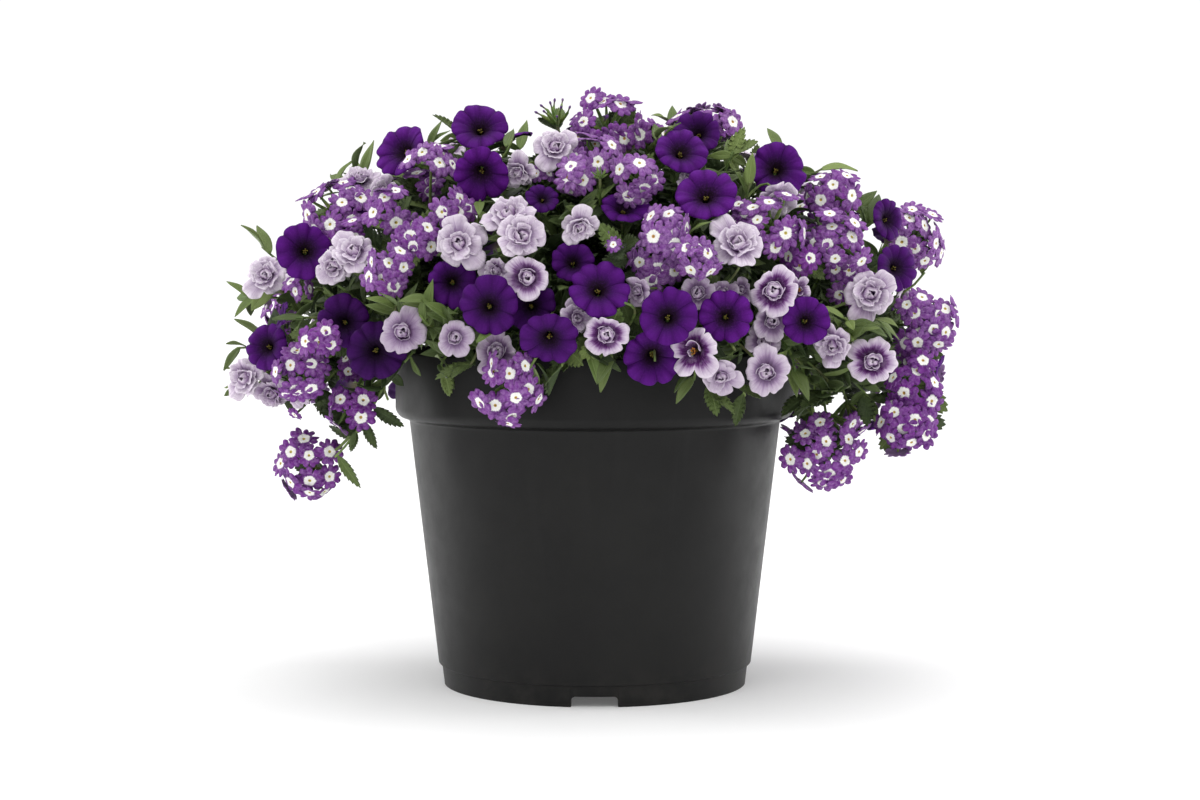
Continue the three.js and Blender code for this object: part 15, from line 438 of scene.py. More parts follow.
        [1665,-1228,2367,49,-86,-14,-16,-25,96,223,71,0], [1626,-1213,2358,89,20,-42,46,-46,76,241,77,0], [1459,-1376,2373,-88,-9,47,44,-51,74,198,63,0], [1430,-1339,2361,-94,28,18,1,-50,86,175,56,0], [1384,-946,1918,-62,-76,-20,13,-35,93,261,120,1], [1359,-936,1950,-83,-28,48,56,-41,72,228,105,1], [1690,-703,1849,98,22,2,9,-48,87,239,110,1], [1650,-715,1885,5,-57,-82,2,-82,57,224,103,1], [1804,-606,1951,77,35,54,-23,-63,74,189,87,1], [1770,-619,1964,84,-4,-54,42,-58,70,190,88,1], [1302,-966,1860,-58,52,-62,-78,-14,61,191,88,1], [1283,-955,1898,-76,-39,-53,-21,-62,75,226,104,1], [1169,-1337,2070,33,-74,-59,5,-61,79,261,83,0], [1153,-1311,2093,16,-56,-81,8,-82,57,217,70,0], [1063,-989,2273,13,-97,21,99,10,-13,224,74,0], [1119,-1018,2271,28,-67,69,87,-12,-47,168,55,0], [1177,-1044,2270,52,-15,84,70,-49,-52,168,55,0], [1236,-1067,2272,42,-82,-38,83,18,53,209,69,0], [1296,-1088,2277,40,-91,13,91,41,5,191,63,0], [1355,-1108,2284,20,-72,66,96,0,-28,205,68,0], [1413,-1127,2293,71,-29,-65,58,-30,76,174,57,0], [1470,-1145,2303,76,15,63,48,-78,-40,223,74,0], [1524,-1163,2315,48,-87,11,84,50,23,199,66,0], [1575,-1182,2329,92,27,-30,39,-74,54,209,69,0], [1664,-1223,2361,42,-77,-49,70,-8,71,236,78,0], [1051,-962,2285,31,-83,-46,84,1,54,197,65,0], [1114,-1005,2280,97,22,2,22,-97,4,239,79,0], [1179,-1048,2276,35,-83,44,87,10,-49,182,60,0], [1242,-1092,2275,68,-41,-61,44,-43,78,184,61,0], [1302,-1134,2276,76,-1,65,39,-80,-46,203,67,0], [1358,-1176,2279,70,-36,-62,40,-52,76,211,69,0], [1407,-1215,2284,95,1,-30,15,-88,46,193,64,0], [1447,-1253,2292,-16,-85,50,96,-24,-11,174,58,0], [1477,-1288,2304,31,-87,-38,58,-14,80,157,52,0], [1494,-1319,2318,94,-33,1,-28,-80,53,197,65,0], [1498,-1347,2336,82,-57,7,-47,-61,64,189,63,0], [1486,-1371,2358,9,-98,-20,-27,-22,94,174,57,0], [999,-837,2276,82,-37,44,44,-10,-89,163,54,0], [1068,-849,2241,91,17,38,40,-59,-70,229,76,0], [1138,-860,2200,33,-87,-37,92,38,-8,206,68,0], [1206,-869,2156,68,-73,-5,59,58,-56,194,64,0], [1270,-877,2109,90,-40,15,21,11,-97,181,60,0], [1328,-885,2063,92,10,38,38,-43,-82,197,65,0], [1375,-893,2020,99,0,16,14,-45,-88,206,68,0], [1410,-903,1980,41,-90,-17,65,42,-63,238,78,0], [1430,-913,1947,59,-80,-10,19,26,-95,212,70,0], [1432,-926,1922,-33,-94,-1,42,-14,-90,217,72,0], [1413,-941,1908,-29,-83,48,-39,-36,-85,227,75,0], [1116,-886,2281,84,-54,3,52,78,-36,164,54,0], [1170,-873,2259,91,-21,35,40,25,-88,224,74,0], [1225,-856,2234,48,-14,-87,88,14,46,190,63,0], [1280,-837,2204,47,-70,-54,84,55,3,213,70,0], [1335,-815,2170,79,-60,-11,53,76,-38,159,52,0], [1388,-793,2134,91,-29,29,38,39,-83,234,77,0], [1441,-770,2095,88,24,42,45,-12,-88,225,74,0], [1491,-749,2054,45,-53,-72,81,58,8,187,62,0], [1539,-731,2013,67,-70,-24,58,70,-41,184,61,0], [1583,-715,1971,87,-46,18,38,41,-82,229,76,0], [1624,-704,1929,96,4,28,28,-8,-96,161,53,0], [1661,-698,1887,89,42,-16,20,-68,-70,152,50,0], [1155,-893,2254,67,-41,-61,71,58,40,223,74,0], [1205,-871,2226,88,-42,-23,39,90,-17,190,63,0], [1255,-845,2195,95,-23,21,30,50,-81,187,62,0], [1307,-815,2161,83,22,51,52,1,-85,177,58,0], [1358,-784,2126,57,-32,-75,74,59,31,162,53,0], [1410,-751,2090,86,-34,-38,35,94,-3,195,64,0], [1462,-719,2056,92,-34,18,37,63,-68,191,63,0], [1514,-688,2024,88,11,46,44,14,-89,169,56,0], [1567,-660,1995,66,59,47,69,-23,-69,166,55,0], [1619,-636,1972,70,-63,-35,67,75,-1,196,65,0], [1671,-617,1953,91,-40,11,40,78,-49,197,65,0], [1723,-604,1942,74,-23,64,68,23,-70,181,60,0], [1774,-598,1940,66,-33,-67,74,18,65,203,67,0], [946,-818,2297,84,-36,40,33,-24,-91,189,63,0], [1005,-836,2269,13,-69,-71,98,-3,20,172,57,0], [1065,-853,2235,32,-90,-28,92,37,-12,184,61,0], [1123,-868,2196,60,-79,10,63,40,-67,179,59,0], [1178,-883,2153,84,-42,34,34,-8,-94,169,56,0], [1228,-896,2107,100,3,-2,1,-65,-76,226,75,0],
        [1270,-909,2059,8,-89,-44,91,25,-33,195,64,0], [1303,-922,2011,45,-87,-20,52,44,-73,186,61,0], [1324,-935,1963,75,-63,-18,-10,15,-98,168,55,0], [1332,-948,1917,48,-87,-9,5,12,-99,235,77,0], [1324,-961,1873,-28,-91,-30,38,18,-91,202,67,0], [867,-873,2344,-7,-92,38,95,-18,-27,150,50,0], [906,-927,2339,20,-64,74,64,-48,-60,220,73,0], [945,-983,2330,69,-51,51,7,-66,-75,187,62,0], [983,-1039,2318,95,-24,19,-17,-94,-29,153,51,0], [1020,-1093,2302,94,-5,-33,0,-99,15,184,61,0], [1054,-1146,2282,15,-81,57,64,-36,-68,204,67,0], [1086,-1195,2257,63,-54,56,21,-58,-79,162,53,0], [1114,-1240,2229,96,-22,18,-9,-83,-55,199,66,0], [1138,-1279,2196,-17,-96,-23,93,-8,-36,218,72,0], [1157,-1310,2158,25,-96,-11,52,23,-83,154,51,0], [1170,-1334,2116,69,-67,-29,-41,-3,-91,183,61,0], [1647,-700,1903,-10,99,-13,-99,-11,-6,150,60,0], [1647,-700,1903,-58,54,-61,-34,-84,-42,150,60,0], [1688,-699,1853,28,19,-94,28,-95,-11,166,66,0], [437,-414,2111,91,11,40,-41,4,91,209,76,0], [460,-437,2161,3,-92,39,13,39,91,205,82,0], [490,-466,2205,80,43,42,-45,-3,89,212,84,0], [525,-499,2242,15,93,34,9,-36,93,195,73,0], [565,-538,2274,40,85,33,2,-37,93,263,95,0], [608,-579,2299,-54,-71,45,26,37,89,254,100,0], [654,-624,2318,51,-83,22,-12,19,97,262,93,0], [702,-670,2331,97,-4,22,-20,27,94,270,102,0], [751,-718,2338,-62,65,44,65,11,75,203,80,0], [801,-766,2339,24,-92,32,-9,31,95,261,103,0], [850,-814,2334,69,61,39,-47,-3,88,193,68,0], [830,-785,2326,-73,65,21,24,-5,97,295,122,0], [793,-752,2332,64,-76,14,-32,-9,94,289,118,0], [842,-778,2329,88,46,6,-21,28,94,198,69,0], [754,-725,2339,93,-33,14,-12,7,99,190,66,0], [791,-771,2344,-78,59,19,-1,-31,95,275,96,0], [831,-823,2346,80,54,24,-45,30,84,291,117,0],
    ],
    "leafy_shoot_07": [
        [538,-1429,2864,65,-62,44,-62,-10,78,210,67,0], [673,-1592,1959,66,-49,-57,17,-64,74,217,84,1], [659,-1577,1999,24,-57,-78,11,-79,60,225,87,1], [867,-1498,1940,-28,4,-96,-45,-89,9,212,82,1], [841,-1492,1978,69,-66,-30,-5,-45,89,179,70,1], [570,-1607,2040,-54,-50,-67,-19,-71,68,206,66,0], [558,-1576,2073,-64,35,-68,-77,-36,53,180,58,0], [468,-1349,2373,-1,-94,35,99,2,10,161,53,0], [518,-1371,2393,4,-58,81,96,-21,-20,184,61,0], [571,-1390,2422,13,-3,99,80,-59,-12,239,79,0], [626,-1406,2458,85,-49,-19,12,-17,98,204,67,0], [680,-1422,2498,16,-10,98,80,-57,-19,199,66,0], [442,-1237,2320,-3,-84,-53,84,-31,45,216,71,0], [486,-1278,2311,-13,-99,-1,99,-13,2,231,76,0], [532,-1320,2304,1,-86,51,86,-25,-44,192,63,0], [579,-1363,2298,38,-55,74,51,-54,-67,165,55,0], [625,-1407,2292,74,-16,65,22,-86,-46,173,57,0], [669,-1452,2285,-1,-73,-68,75,-46,48,153,51,0], [709,-1498,2275,99,-8,14,-6,-98,-18,152,50,0], [366,-1242,2427,59,-80,-13,-7,-20,98,160,53,0], [388,-1270,2470,22,-97,13,33,20,92,235,77,0], [414,-1296,2522,75,-66,3,-18,-16,97,208,69,0], [443,-1321,2581,95,-13,29,-31,-60,74,227,75,0], [499,-1370,2710,89,-11,43,-41,-61,68,151,50,0], [524,-1393,2775,74,-61,30,-41,-5,91,193,64,0], [443,-1339,2364,-7,-99,14,93,-12,-34,213,70,0], [478,-1380,2343,21,-81,55,55,-37,-75,198,65,0], [515,-1421,2316,76,-59,28,-11,-54,-84,179,59,0], [551,-1459,2282,98,-21,-7,-22,-88,-43,181,60,0], [585,-1493,2241,-25,-75,-61,95,-30,-3,152,50,0], [617,-1525,2195,43,-90,-7,24,20,-95,205,68,0], [643,-1551,2144,82,-57,0,-24,-35,-91,207,68,0], [503,-1399,2347,95,16,28,27,-86,-43,221,73,0], [552,-1420,2319,12,-99,-1,91,12,-39,181,60,0], [604,-1437,2282,18,-98,-10,89,20,-42,188,62,0], [656,-1450,2240,93,-30,20,6,-42,-91,156,51,0], [707,-1461,2194,92,-31,25,13,-35,-93,181,60,0], [755,-1470,2144,57,-81,16,45,14,-88,197,65,0], [859,-1491,1989,93,17,-33,-10,-73,-67,188,62,0], [393,-1222,2362,31,-71,62,29,-56,-78,175,58,0], [425,-1278,2341,77,-54,34,-25,-74,-62,161,53,0], [457,-1333,2314,97,-22,-8,-23,-95,-20,209,69,0], [488,-1387,2281,-8,-99,12,80,-14,-58,186,61,0], [517,-1439,2245,26,-82,51,31,-42,-85,207,68,0], [543,-1487,2206,72,-69,9,-36,-49,-79,218,72,0], [563,-1530,2166,71,-66,25,-19,-51,-84,169,56,0], [326,-1171,2377,-50,-82,28,79,-56,-24,193,64,0], [331,-1232,2368,-14,-84,52,43,-53,-73,238,79,0], [336,-1294,2354,32,-79,53,-20,-60,-78,231,76,0], [339,-1355,2335,65,-74,14,-65,-65,-39,226,75,0], [342,-1416,2311,82,-47,-32,-49,-87,1,194,64,0], [345,-1474,2283,-28,-91,30,50,-41,-76,177,58,0], [211,-706,2115,-83,-14,54,51,19,84,224,77,0], [220,-736,2171,68,45,57,-47,-33,82,254,105,0], [232,-775,2223,92,29,27,-9,-50,86,299,120,0], [245,-819,2268,-83,28,48,39,-34,86,203,83,0], [260,-869,2307,30,-93,22,39,33,86,204,79,0], [276,-924,2340,68,-58,44,-44,15,88,238,92,0], [293,-982,2365,86,-40,31,-15,38,91,193,71,0], [311,-1042,2384,-96,-6,29,28,15,95,271,107,0], [329,-1103,2396,-85,-24,47,41,27,87,276,96,0], [326,-1085,2382,-74,44,50,42,-27,87,299,118,0], [307,-1037,2378,88,-21,43,-36,30,88,239,90,0], [316,-1093,2381,95,-27,15,-15,0,99,275,99,0],
    ],
    "leafy_shoot_08": [
        [-1720,-1091,2363,-97,-22,5,16,-47,87,208,67,0], [-1109,-1266,2124,-65,35,-68,-76,-36,54,212,82,1], [-1092,-1236,2146,-92,25,-32,-40,-44,80,234,91,1], [-1343,-898,1825,82,-6,-57,-13,-99,-8,248,70,1], [-1397,-890,1738,39,-7,-92,-15,-99,1,205,60,1], [-1442,-882,1672,-32,-10,-94,-14,-98,16,143,56,1], [-1561,-862,1529,55,-6,-83,-13,-99,-2,262,66,1], [-1451,-880,1659,-87,23,44,-3,-91,41,129,76,1], [-1302,-903,1896,-94,29,19,-20,-91,37,173,80,1], [-1018,-804,2304,-100,8,0,-8,-98,17,237,78,0], [-1062,-836,2309,-35,-90,-26,-80,15,58,211,70,0], [-1110,-868,2320,-40,-10,91,-69,-62,-37,191,63,0], [-1161,-902,2337,-93,-22,-29,-11,-58,81,177,58,0], [-1213,-936,2359,-18,-89,43,-98,21,2,167,55,0], [-1266,-970,2385,-76,34,56,-38,-92,3,157,52,0], [-1318,-1004,2415,-17,-82,54,-98,18,-4,191,63,0], [-1369,-1038,2447,-2,-38,92,-91,-37,-17,211,70,0], [-1418,-1072,2480,-98,21,-7,-21,-78,59,214,71,0], [-1463,-1106,2515,25,-76,60,-97,-17,19,187,62,0], [-1179,-888,2318,-43,-56,71,-81,-11,-57,196,65,0], [-1236,-911,2320,-34,-87,35,-94,29,-20,159,53,0], [-1294,-933,2323,-76,54,36,-60,-80,-5,177,58,0], [-1351,-952,2329,-65,-60,-47,-64,8,77,182,60,0], [-1409,-970,2336,-58,-38,72,-74,-14,-66,206,68,0], [-1466,-987,2344,-79,-16,-59,-50,-36,78,193,64,0], [-1523,-1004,2351,-59,-31,75,-72,-22,-66,191,63,0], [-1578,-1023,2358,-93,33,17,-33,-94,5,177,58,0], [-1631,-1042,2364,-72,-26,-64,-56,-32,77,206,68,0], [-1732,-1087,2370,-25,-82,-51,-89,-1,46,211,70,0], [-1005,-754,2320,-92,-3,39,-27,-67,-70,202,67,0], [-1055,-777,2288,-71,-47,52,-49,-20,-85,155,51,0], [-1105,-800,2249,-47,-86,20,-68,20,-71,229,76,0], [-1151,-821,2203,-20,-92,-33,-91,30,-30,200,66,0], [-1193,-841,2153,-98,5,-17,7,-77,-64,185,61,0], [-1228,-860,2100,-19,-90,-39,-81,37,-46,233,77,0], [-1254,-877,2045,-62,63,-46,-37,-75,-54,169,56,0], [-1268,-892,1990,-86,8,-50,27,-76,-60,183,60,0], [-1270,-905,1936,-71,41,-58,9,-76,-65,191,63,0], [-1106,-797,2296,-43,-89,-17,-84,47,-29,166,55,0], [-1152,-806,2258,-86,49,17,-49,-65,-58,209,69,0], [-1197,-812,2213,-100,-1,9,-8,-44,-90,206,68,0], [-1241,-817,2163,-88,-46,10,-18,15,-97,229,75,0], [-1281,-821,2107,-29,-74,-61,-85,50,-20,171,56,0], [-1317,-825,2049,-21,-83,-51,-80,45,-41,173,57,0], [-1348,-829,1988,-20,-90,-40,-70,42,-58,179,59,0], [-1373,-834,1926,-98,-17,-5,9,-23,-97,182,60,0], [-1390,-841,1865,-97,4,-23,19,-46,-87,222,73,0], [-1399,-850,1807,-83,19,-52,25,-70,-67,229,76,0], [-1398,-862,1751,-41,57,-72,-8,-80,-59,162,54,0], [-1160,-894,2166,-87,-47,-18,15,11,-98,180,60,0], [-1187,-901,2114,-63,-74,-25,-30,52,-80,189,62,0], [-1215,-905,2060,-30,-81,-51,-72,54,-44,231,76,0], [-1244,-906,2005,-89,46,1,-29,-54,-79,158,52,0], [-1274,-905,1948,-82,-57,-4,-15,29,-95,202,67,0], [-1305,-903,1891,-81,55,-21,-26,-66,-70,194,64,0], [-1406,-888,1724,-76,61,-23,-32,-66,-67,223,74,0], [-1442,-881,1671,-28,-60,-75,-84,54,-12,156,52,0], [-908,-802,2359,-44,-63,63,-19,-63,-76,203,67,0], [-926,-862,2352,-59,-54,-61,-1,-74,67,196,65,0], [-943,-924,2341,-92,-30,-24,26,-95,17,194,64,0], [-960,-987,2325,-84,-50,20,40,-83,-39,214,71,0], [-976,-1048,2305,-54,-63,56,-4,-64,-77,213,70,0], [-994,-1105,2282,-12,-91,40,-53,-28,-80,201,66,0], [-1013,-1158,2254,-81,-23,-54,16,-97,17,186,61,0], [-1035,-1204,2223,6,-100,3,-84,-7,-54,236,78,0], [-1060,-1241,2188,-16,-99,2,-72,10,-69,150,50,0], [-1089,-1267,2149,37,-68,-63,-93,-29,-24,186,61,0], [-1231,-906,2028,53,57,-62,41,-82,-40,150,60,0], [-480,-362,2109,43,76,49,-55,-21,81,285,109,0], [-505,-382,2158,-84,42,36,39,-1,92,274,110,0], [-537,-408,2202,93,-7,37,-37,-8,92,305,115,0], [-574,-438,2241,16,-93,33,-25,28,93,203,80,0], [-616,-472,2274,43,-85,30,-23,22,95,307,117,0], [-662,-510,2302,44,-89,15,70,44,56,267,104,0], [-712,-550,2325,-5,88,48,5,-48,88,248,102,0], [-763,-591,2342,-92,-6,40,39,12,91,285,106,0],
        [-817,-635,2354,-61,-78,16,0,20,98,235,89,0], [-871,-678,2362,63,-75,17,-24,2,97,261,91,0], [-925,-722,2364,-94,18,30,30,-3,95,257,98,0], [-918,-720,2335,66,-74,14,3,22,98,202,76,0], [-885,-687,2354,-60,71,38,23,-30,93,282,113,0], [-931,-715,2349,-86,49,12,8,-11,99,205,73,0], [-843,-663,2357,-91,-31,26,33,-18,93,295,104,0], [-871,-712,2362,-39,-85,35,32,23,92,228,84,0],
    ],
    "leafy_shoot_09": [
        [-2081,-228,2779,-42,-56,72,86,1,51,240,77,0], [-2038,-232,2747,-42,47,78,20,-79,58,241,77,0], [-2149,-332,2473,-80,4,60,46,-60,66,192,61,0], [-2109,-330,2470,-68,-56,-48,-9,-58,81,209,67,0], [-1560,-316,2419,-68,-56,48,-57,81,14,194,64,0], [-1610,-302,2450,-87,-50,-1,-38,65,66,186,61,0], [-1662,-286,2482,-32,27,91,-95,-11,-30,161,53,0], [-1716,-269,2515,-80,48,-36,-50,-20,84,178,59,0], [-1771,-252,2549,-64,-49,59,-60,80,1,238,79,0], [-1825,-237,2584,-65,76,7,-58,-56,59,229,76,0], [-1879,-224,2620,-31,-13,94,-93,25,-27,219,72,0], [-1931,-215,2656,-35,82,46,-80,-52,31,164,54,0], [-1558,-333,2394,-85,26,-46,-52,-27,81,222,73,0], [-1618,-328,2412,-66,-58,49,-72,68,-16,163,54,0], [-1680,-322,2427,-66,67,35,-72,-70,-2,156,51,0], [-1743,-315,2440,-73,-41,-55,-68,32,66,233,77,0], [-1805,-308,2450,-43,48,77,-90,-31,-30,202,67,0], [-1868,-302,2458,-67,-74,4,-73,66,20,227,75,0], [-1700,-274,2505,-35,-88,-31,84,-44,31,150,60,0], [-2160,-327,2475,-72,70,-3,-68,-69,22,150,60,0], [-2160,-327,2475,4,38,-92,28,-89,-36,150,60,0], [-1892,-301,2460,37,59,-72,28,-80,-52,150,60,0], [-878,-201,2118,70,55,46,-31,-35,88,267,96,0], [-931,-214,2151,-63,-69,34,15,33,93,295,109,0], [-989,-228,2179,-89,-22,40,43,-15,89,269,111,0], [-1051,-244,2202,-30,-95,14,15,10,98,196,74,0], [-1116,-260,2222,88,20,42,-41,-11,91,225,79,0],
    ],
    "leafy_shoot_10": [
        [-240,298,3595,10,78,62,-2,-62,78,184,71,1], [-505,867,3431,19,43,88,-12,-88,46,246,79,0], [267,1065,3361,61,76,20,13,-35,93,165,64,1], [244,1050,3332,3,87,49,0,-49,87,194,75,1], [-314,1537,2945,-15,97,-18,-12,16,98,185,72,1], [-205,729,2969,-73,-1,68,66,-26,70,222,107,1], [-209,696,3019,-48,40,78,31,-76,57,181,87,1], [-212,654,3070,3,32,95,-19,-93,32,273,131,1], [-215,607,3122,45,-1,89,-72,-59,36,279,134,1], [-217,556,3174,85,-19,49,-52,-35,78,231,111,1], [-219,503,3227,-53,-1,85,61,-70,37,234,113,1], [-220,451,3279,-10,39,91,0,-92,39,165,79,1], [-222,403,3331,41,18,90,-53,-76,39,201,97,1], [-224,359,3383,-16,17,97,11,-98,19,183,88,1], [-233,281,3533,-63,-58,52,36,37,85,206,99,1], [-237,280,3580,-14,86,49,-4,-50,86,216,104,1], [-204,697,2824,-75,65,13,15,-3,99,277,133,1], [-230,712,2874,-17,-51,84,-34,83,43,234,112,1], [-259,727,2925,12,84,53,-68,-32,66,202,97,1], [-291,743,2978,18,45,87,-98,-2,21,195,94,1], [-323,760,3032,32,-6,95,-81,51,30,244,117,1], [-356,776,3088,-49,81,32,-7,-40,91,251,120,1], [-388,792,3144,2,89,45,-57,-36,73,255,122,1], [-419,808,3200,45,58,68,-82,-2,57,167,80,1], [-447,824,3257,-92,36,19,25,14,96,268,129,1], [-472,839,3315,-3,93,36,-41,-34,85,183,88,1], [-493,853,3372,-92,26,28,34,20,92,224,107,1], [-124,789,2870,36,93,4,4,-6,100,243,117,1], [-93,819,2914,-20,30,93,85,53,2,261,125,1], [-58,850,2958,-17,73,67,94,-9,34,274,131,1], [-18,880,3001,2,97,22,57,-19,80,249,120,1], [25,909,3044,8,-22,97,52,84,15,219,105,1], [69,937,3087,-12,27,95,89,46,-2,200,96,1], [112,963,3130,-16,69,70,95,-7,30,195,93,1], [153,988,3173,1,96,29,63,-23,74,175,84,1], [191,1011,3216,53,83,18,7,-25,97,183,88,1], [225,1032,3260,8,85,52,60,-46,65,224,108,1], [251,1050,3304,-41,54,73,88,5,46,185,89,1], [270,1064,3349,-15,82,56,57,-39,73,253,121,1], [-207,863,2820,-91,32,26,39,88,27,260,125,1], [-223,922,2829,47,57,67,-68,72,-13,208,100,1], [-241,986,2834,-8,62,78,-31,73,-61,207,99,1], [-258,1053,2837,-53,53,66,29,84,-45,277,133,1], [-276,1122,2839,70,71,-4,-67,68,30,252,121,1], [-292,1192,2841,-75,62,-22,43,72,55,277,133,1], [-306,1260,2845,6,65,76,-40,71,-58,171,82,1], [-318,1326,2851,-37,60,71,25,80,-55,204,98,1], [-326,1389,2862,-81,36,47,43,90,6,242,116,1], [-330,1446,2877,70,71,-7,-58,62,54,209,100,1], [-329,1496,2899,-24,96,-11,27,18,95,164,79,1], [-322,1538,2929,81,58,11,-48,54,69,185,89,1], [-77,335,2149,76,29,59,-28,-67,69,307,115,0], [-83,359,2212,4,-82,57,-9,57,82,214,85,0], [-89,388,2272,-93,12,34,36,18,92,192,80,0], [-97,420,2330,86,7,51,-41,-50,76,304,114,0], [-106,454,2384,-90,31,30,25,-19,95,300,108,0], [-114,491,2437,-49,-60,63,51,39,77,207,83,0], [-123,528,2488,-53,-72,45,47,20,86,250,90,0], [-133,567,2538,-85,-29,43,52,-37,77,280,117,0], [-142,604,2586,-85,-8,51,52,-1,86,242,95,0], [-150,641,2635,-86,21,46,49,8,87,278,103,0], [-159,676,2683,63,-48,61,-64,13,76,266,104,0], [-167,709,2732,4,86,50,44,-47,77,227,81,0], [-179,752,2805,33,82,46,-22,-41,88,298,117,0], [-189,765,2852,-26,80,55,8,-55,83,208,83,0], [-197,759,2903,-48,66,58,40,-43,81,204,72,0], [-203,738,2955,-73,35,59,37,-51,77,205,84,0], [-208,704,3008,-47,-76,44,9,46,88,233,91,0], [-212,660,3063,-9,-92,39,-59,36,72,205,84,0], [-215,609,3119,-81,-42,41,37,17,91,211,81,0], [-217,554,3176,24,86,45,-31,-37,88,291,101,0], [-219,497,3233,-2,-97,25,1,25,97,277,108,0], [-221,441,3289,88,0,47,-47,-5,88,258,101,0], [-222,390,3346,63,68,37,13,-57,81,245,92,0], [-225,345,3402,0,91,41,3,-41,91,197,68,0], [-154,655,2679,-9,-87,48,37,41,83,258,105,0], [-165,668,2726,-56,-63,54,34,42,84,278,116,0], [-183,683,2776,79,27,55,-59,6,81,278,107,0], [-207,698,2828,84,37,40,-44,3,90,199,72,0], [-235,715,2883,68,37,63,-62,-15,77,310,118,0], [-267,732,2939,-32,-90,28,0,30,95,206,78,0], [-302,749,2997,87,20,46,-47,1,88,244,96,0], [-337,767,3056,-19,84,51,2,-51,86,255,90,0],
        [-373,784,3116,-85,-24,47,19,69,70,251,99,0], [-407,802,3178,-95,7,30,30,-8,95,221,79,0], [-439,819,3239,-24,-77,59,-29,64,71,288,102,0], [-467,835,3301,-95,13,30,28,-18,94,280,111,0], [-507,866,3425,-70,-61,37,13,41,90,235,91,0], [-164,694,2724,-87,-34,36,30,20,93,258,95,0], [-162,725,2774,44,-65,62,16,74,65,236,88,0], [-148,757,2823,-54,-62,57,38,43,82,271,111,0], [-123,790,2871,76,-39,52,-61,-17,77,205,83,0], [-90,823,2919,2,-89,46,16,46,87,234,94,0], [-50,855,2966,-10,87,48,-13,-49,86,281,103,0], [-6,888,3013,-55,61,57,7,-65,76,281,98,0], [40,919,3059,22,-88,41,-9,41,91,255,88,0], [88,949,3106,55,82,17,27,-37,89,261,106,0], [134,977,3152,47,-73,49,-24,43,87,266,106,0], [177,1002,3199,-46,-65,61,32,52,79,248,103,0], [215,1026,3246,-50,-72,49,-2,57,82,306,110,0], [246,1046,3294,28,93,22,45,-33,83,199,73,0], [268,1062,3342,85,-42,32,-38,-7,92,261,104,0], [-169,721,2756,95,10,30,-32,18,93,261,93,0], [-178,758,2785,10,98,18,-15,-16,98,191,75,0], [-191,806,2806,-86,18,47,37,-42,83,251,105,0], [-207,863,2821,6,94,34,81,-25,54,257,96,0], [-225,928,2829,-30,95,6,-23,-13,96,262,99,0], [-244,998,2834,77,61,18,-7,-21,98,224,90,0], [-263,1071,2837,-90,-10,42,41,4,91,260,102,0],
    ],
    "leafy_shoot_11": [
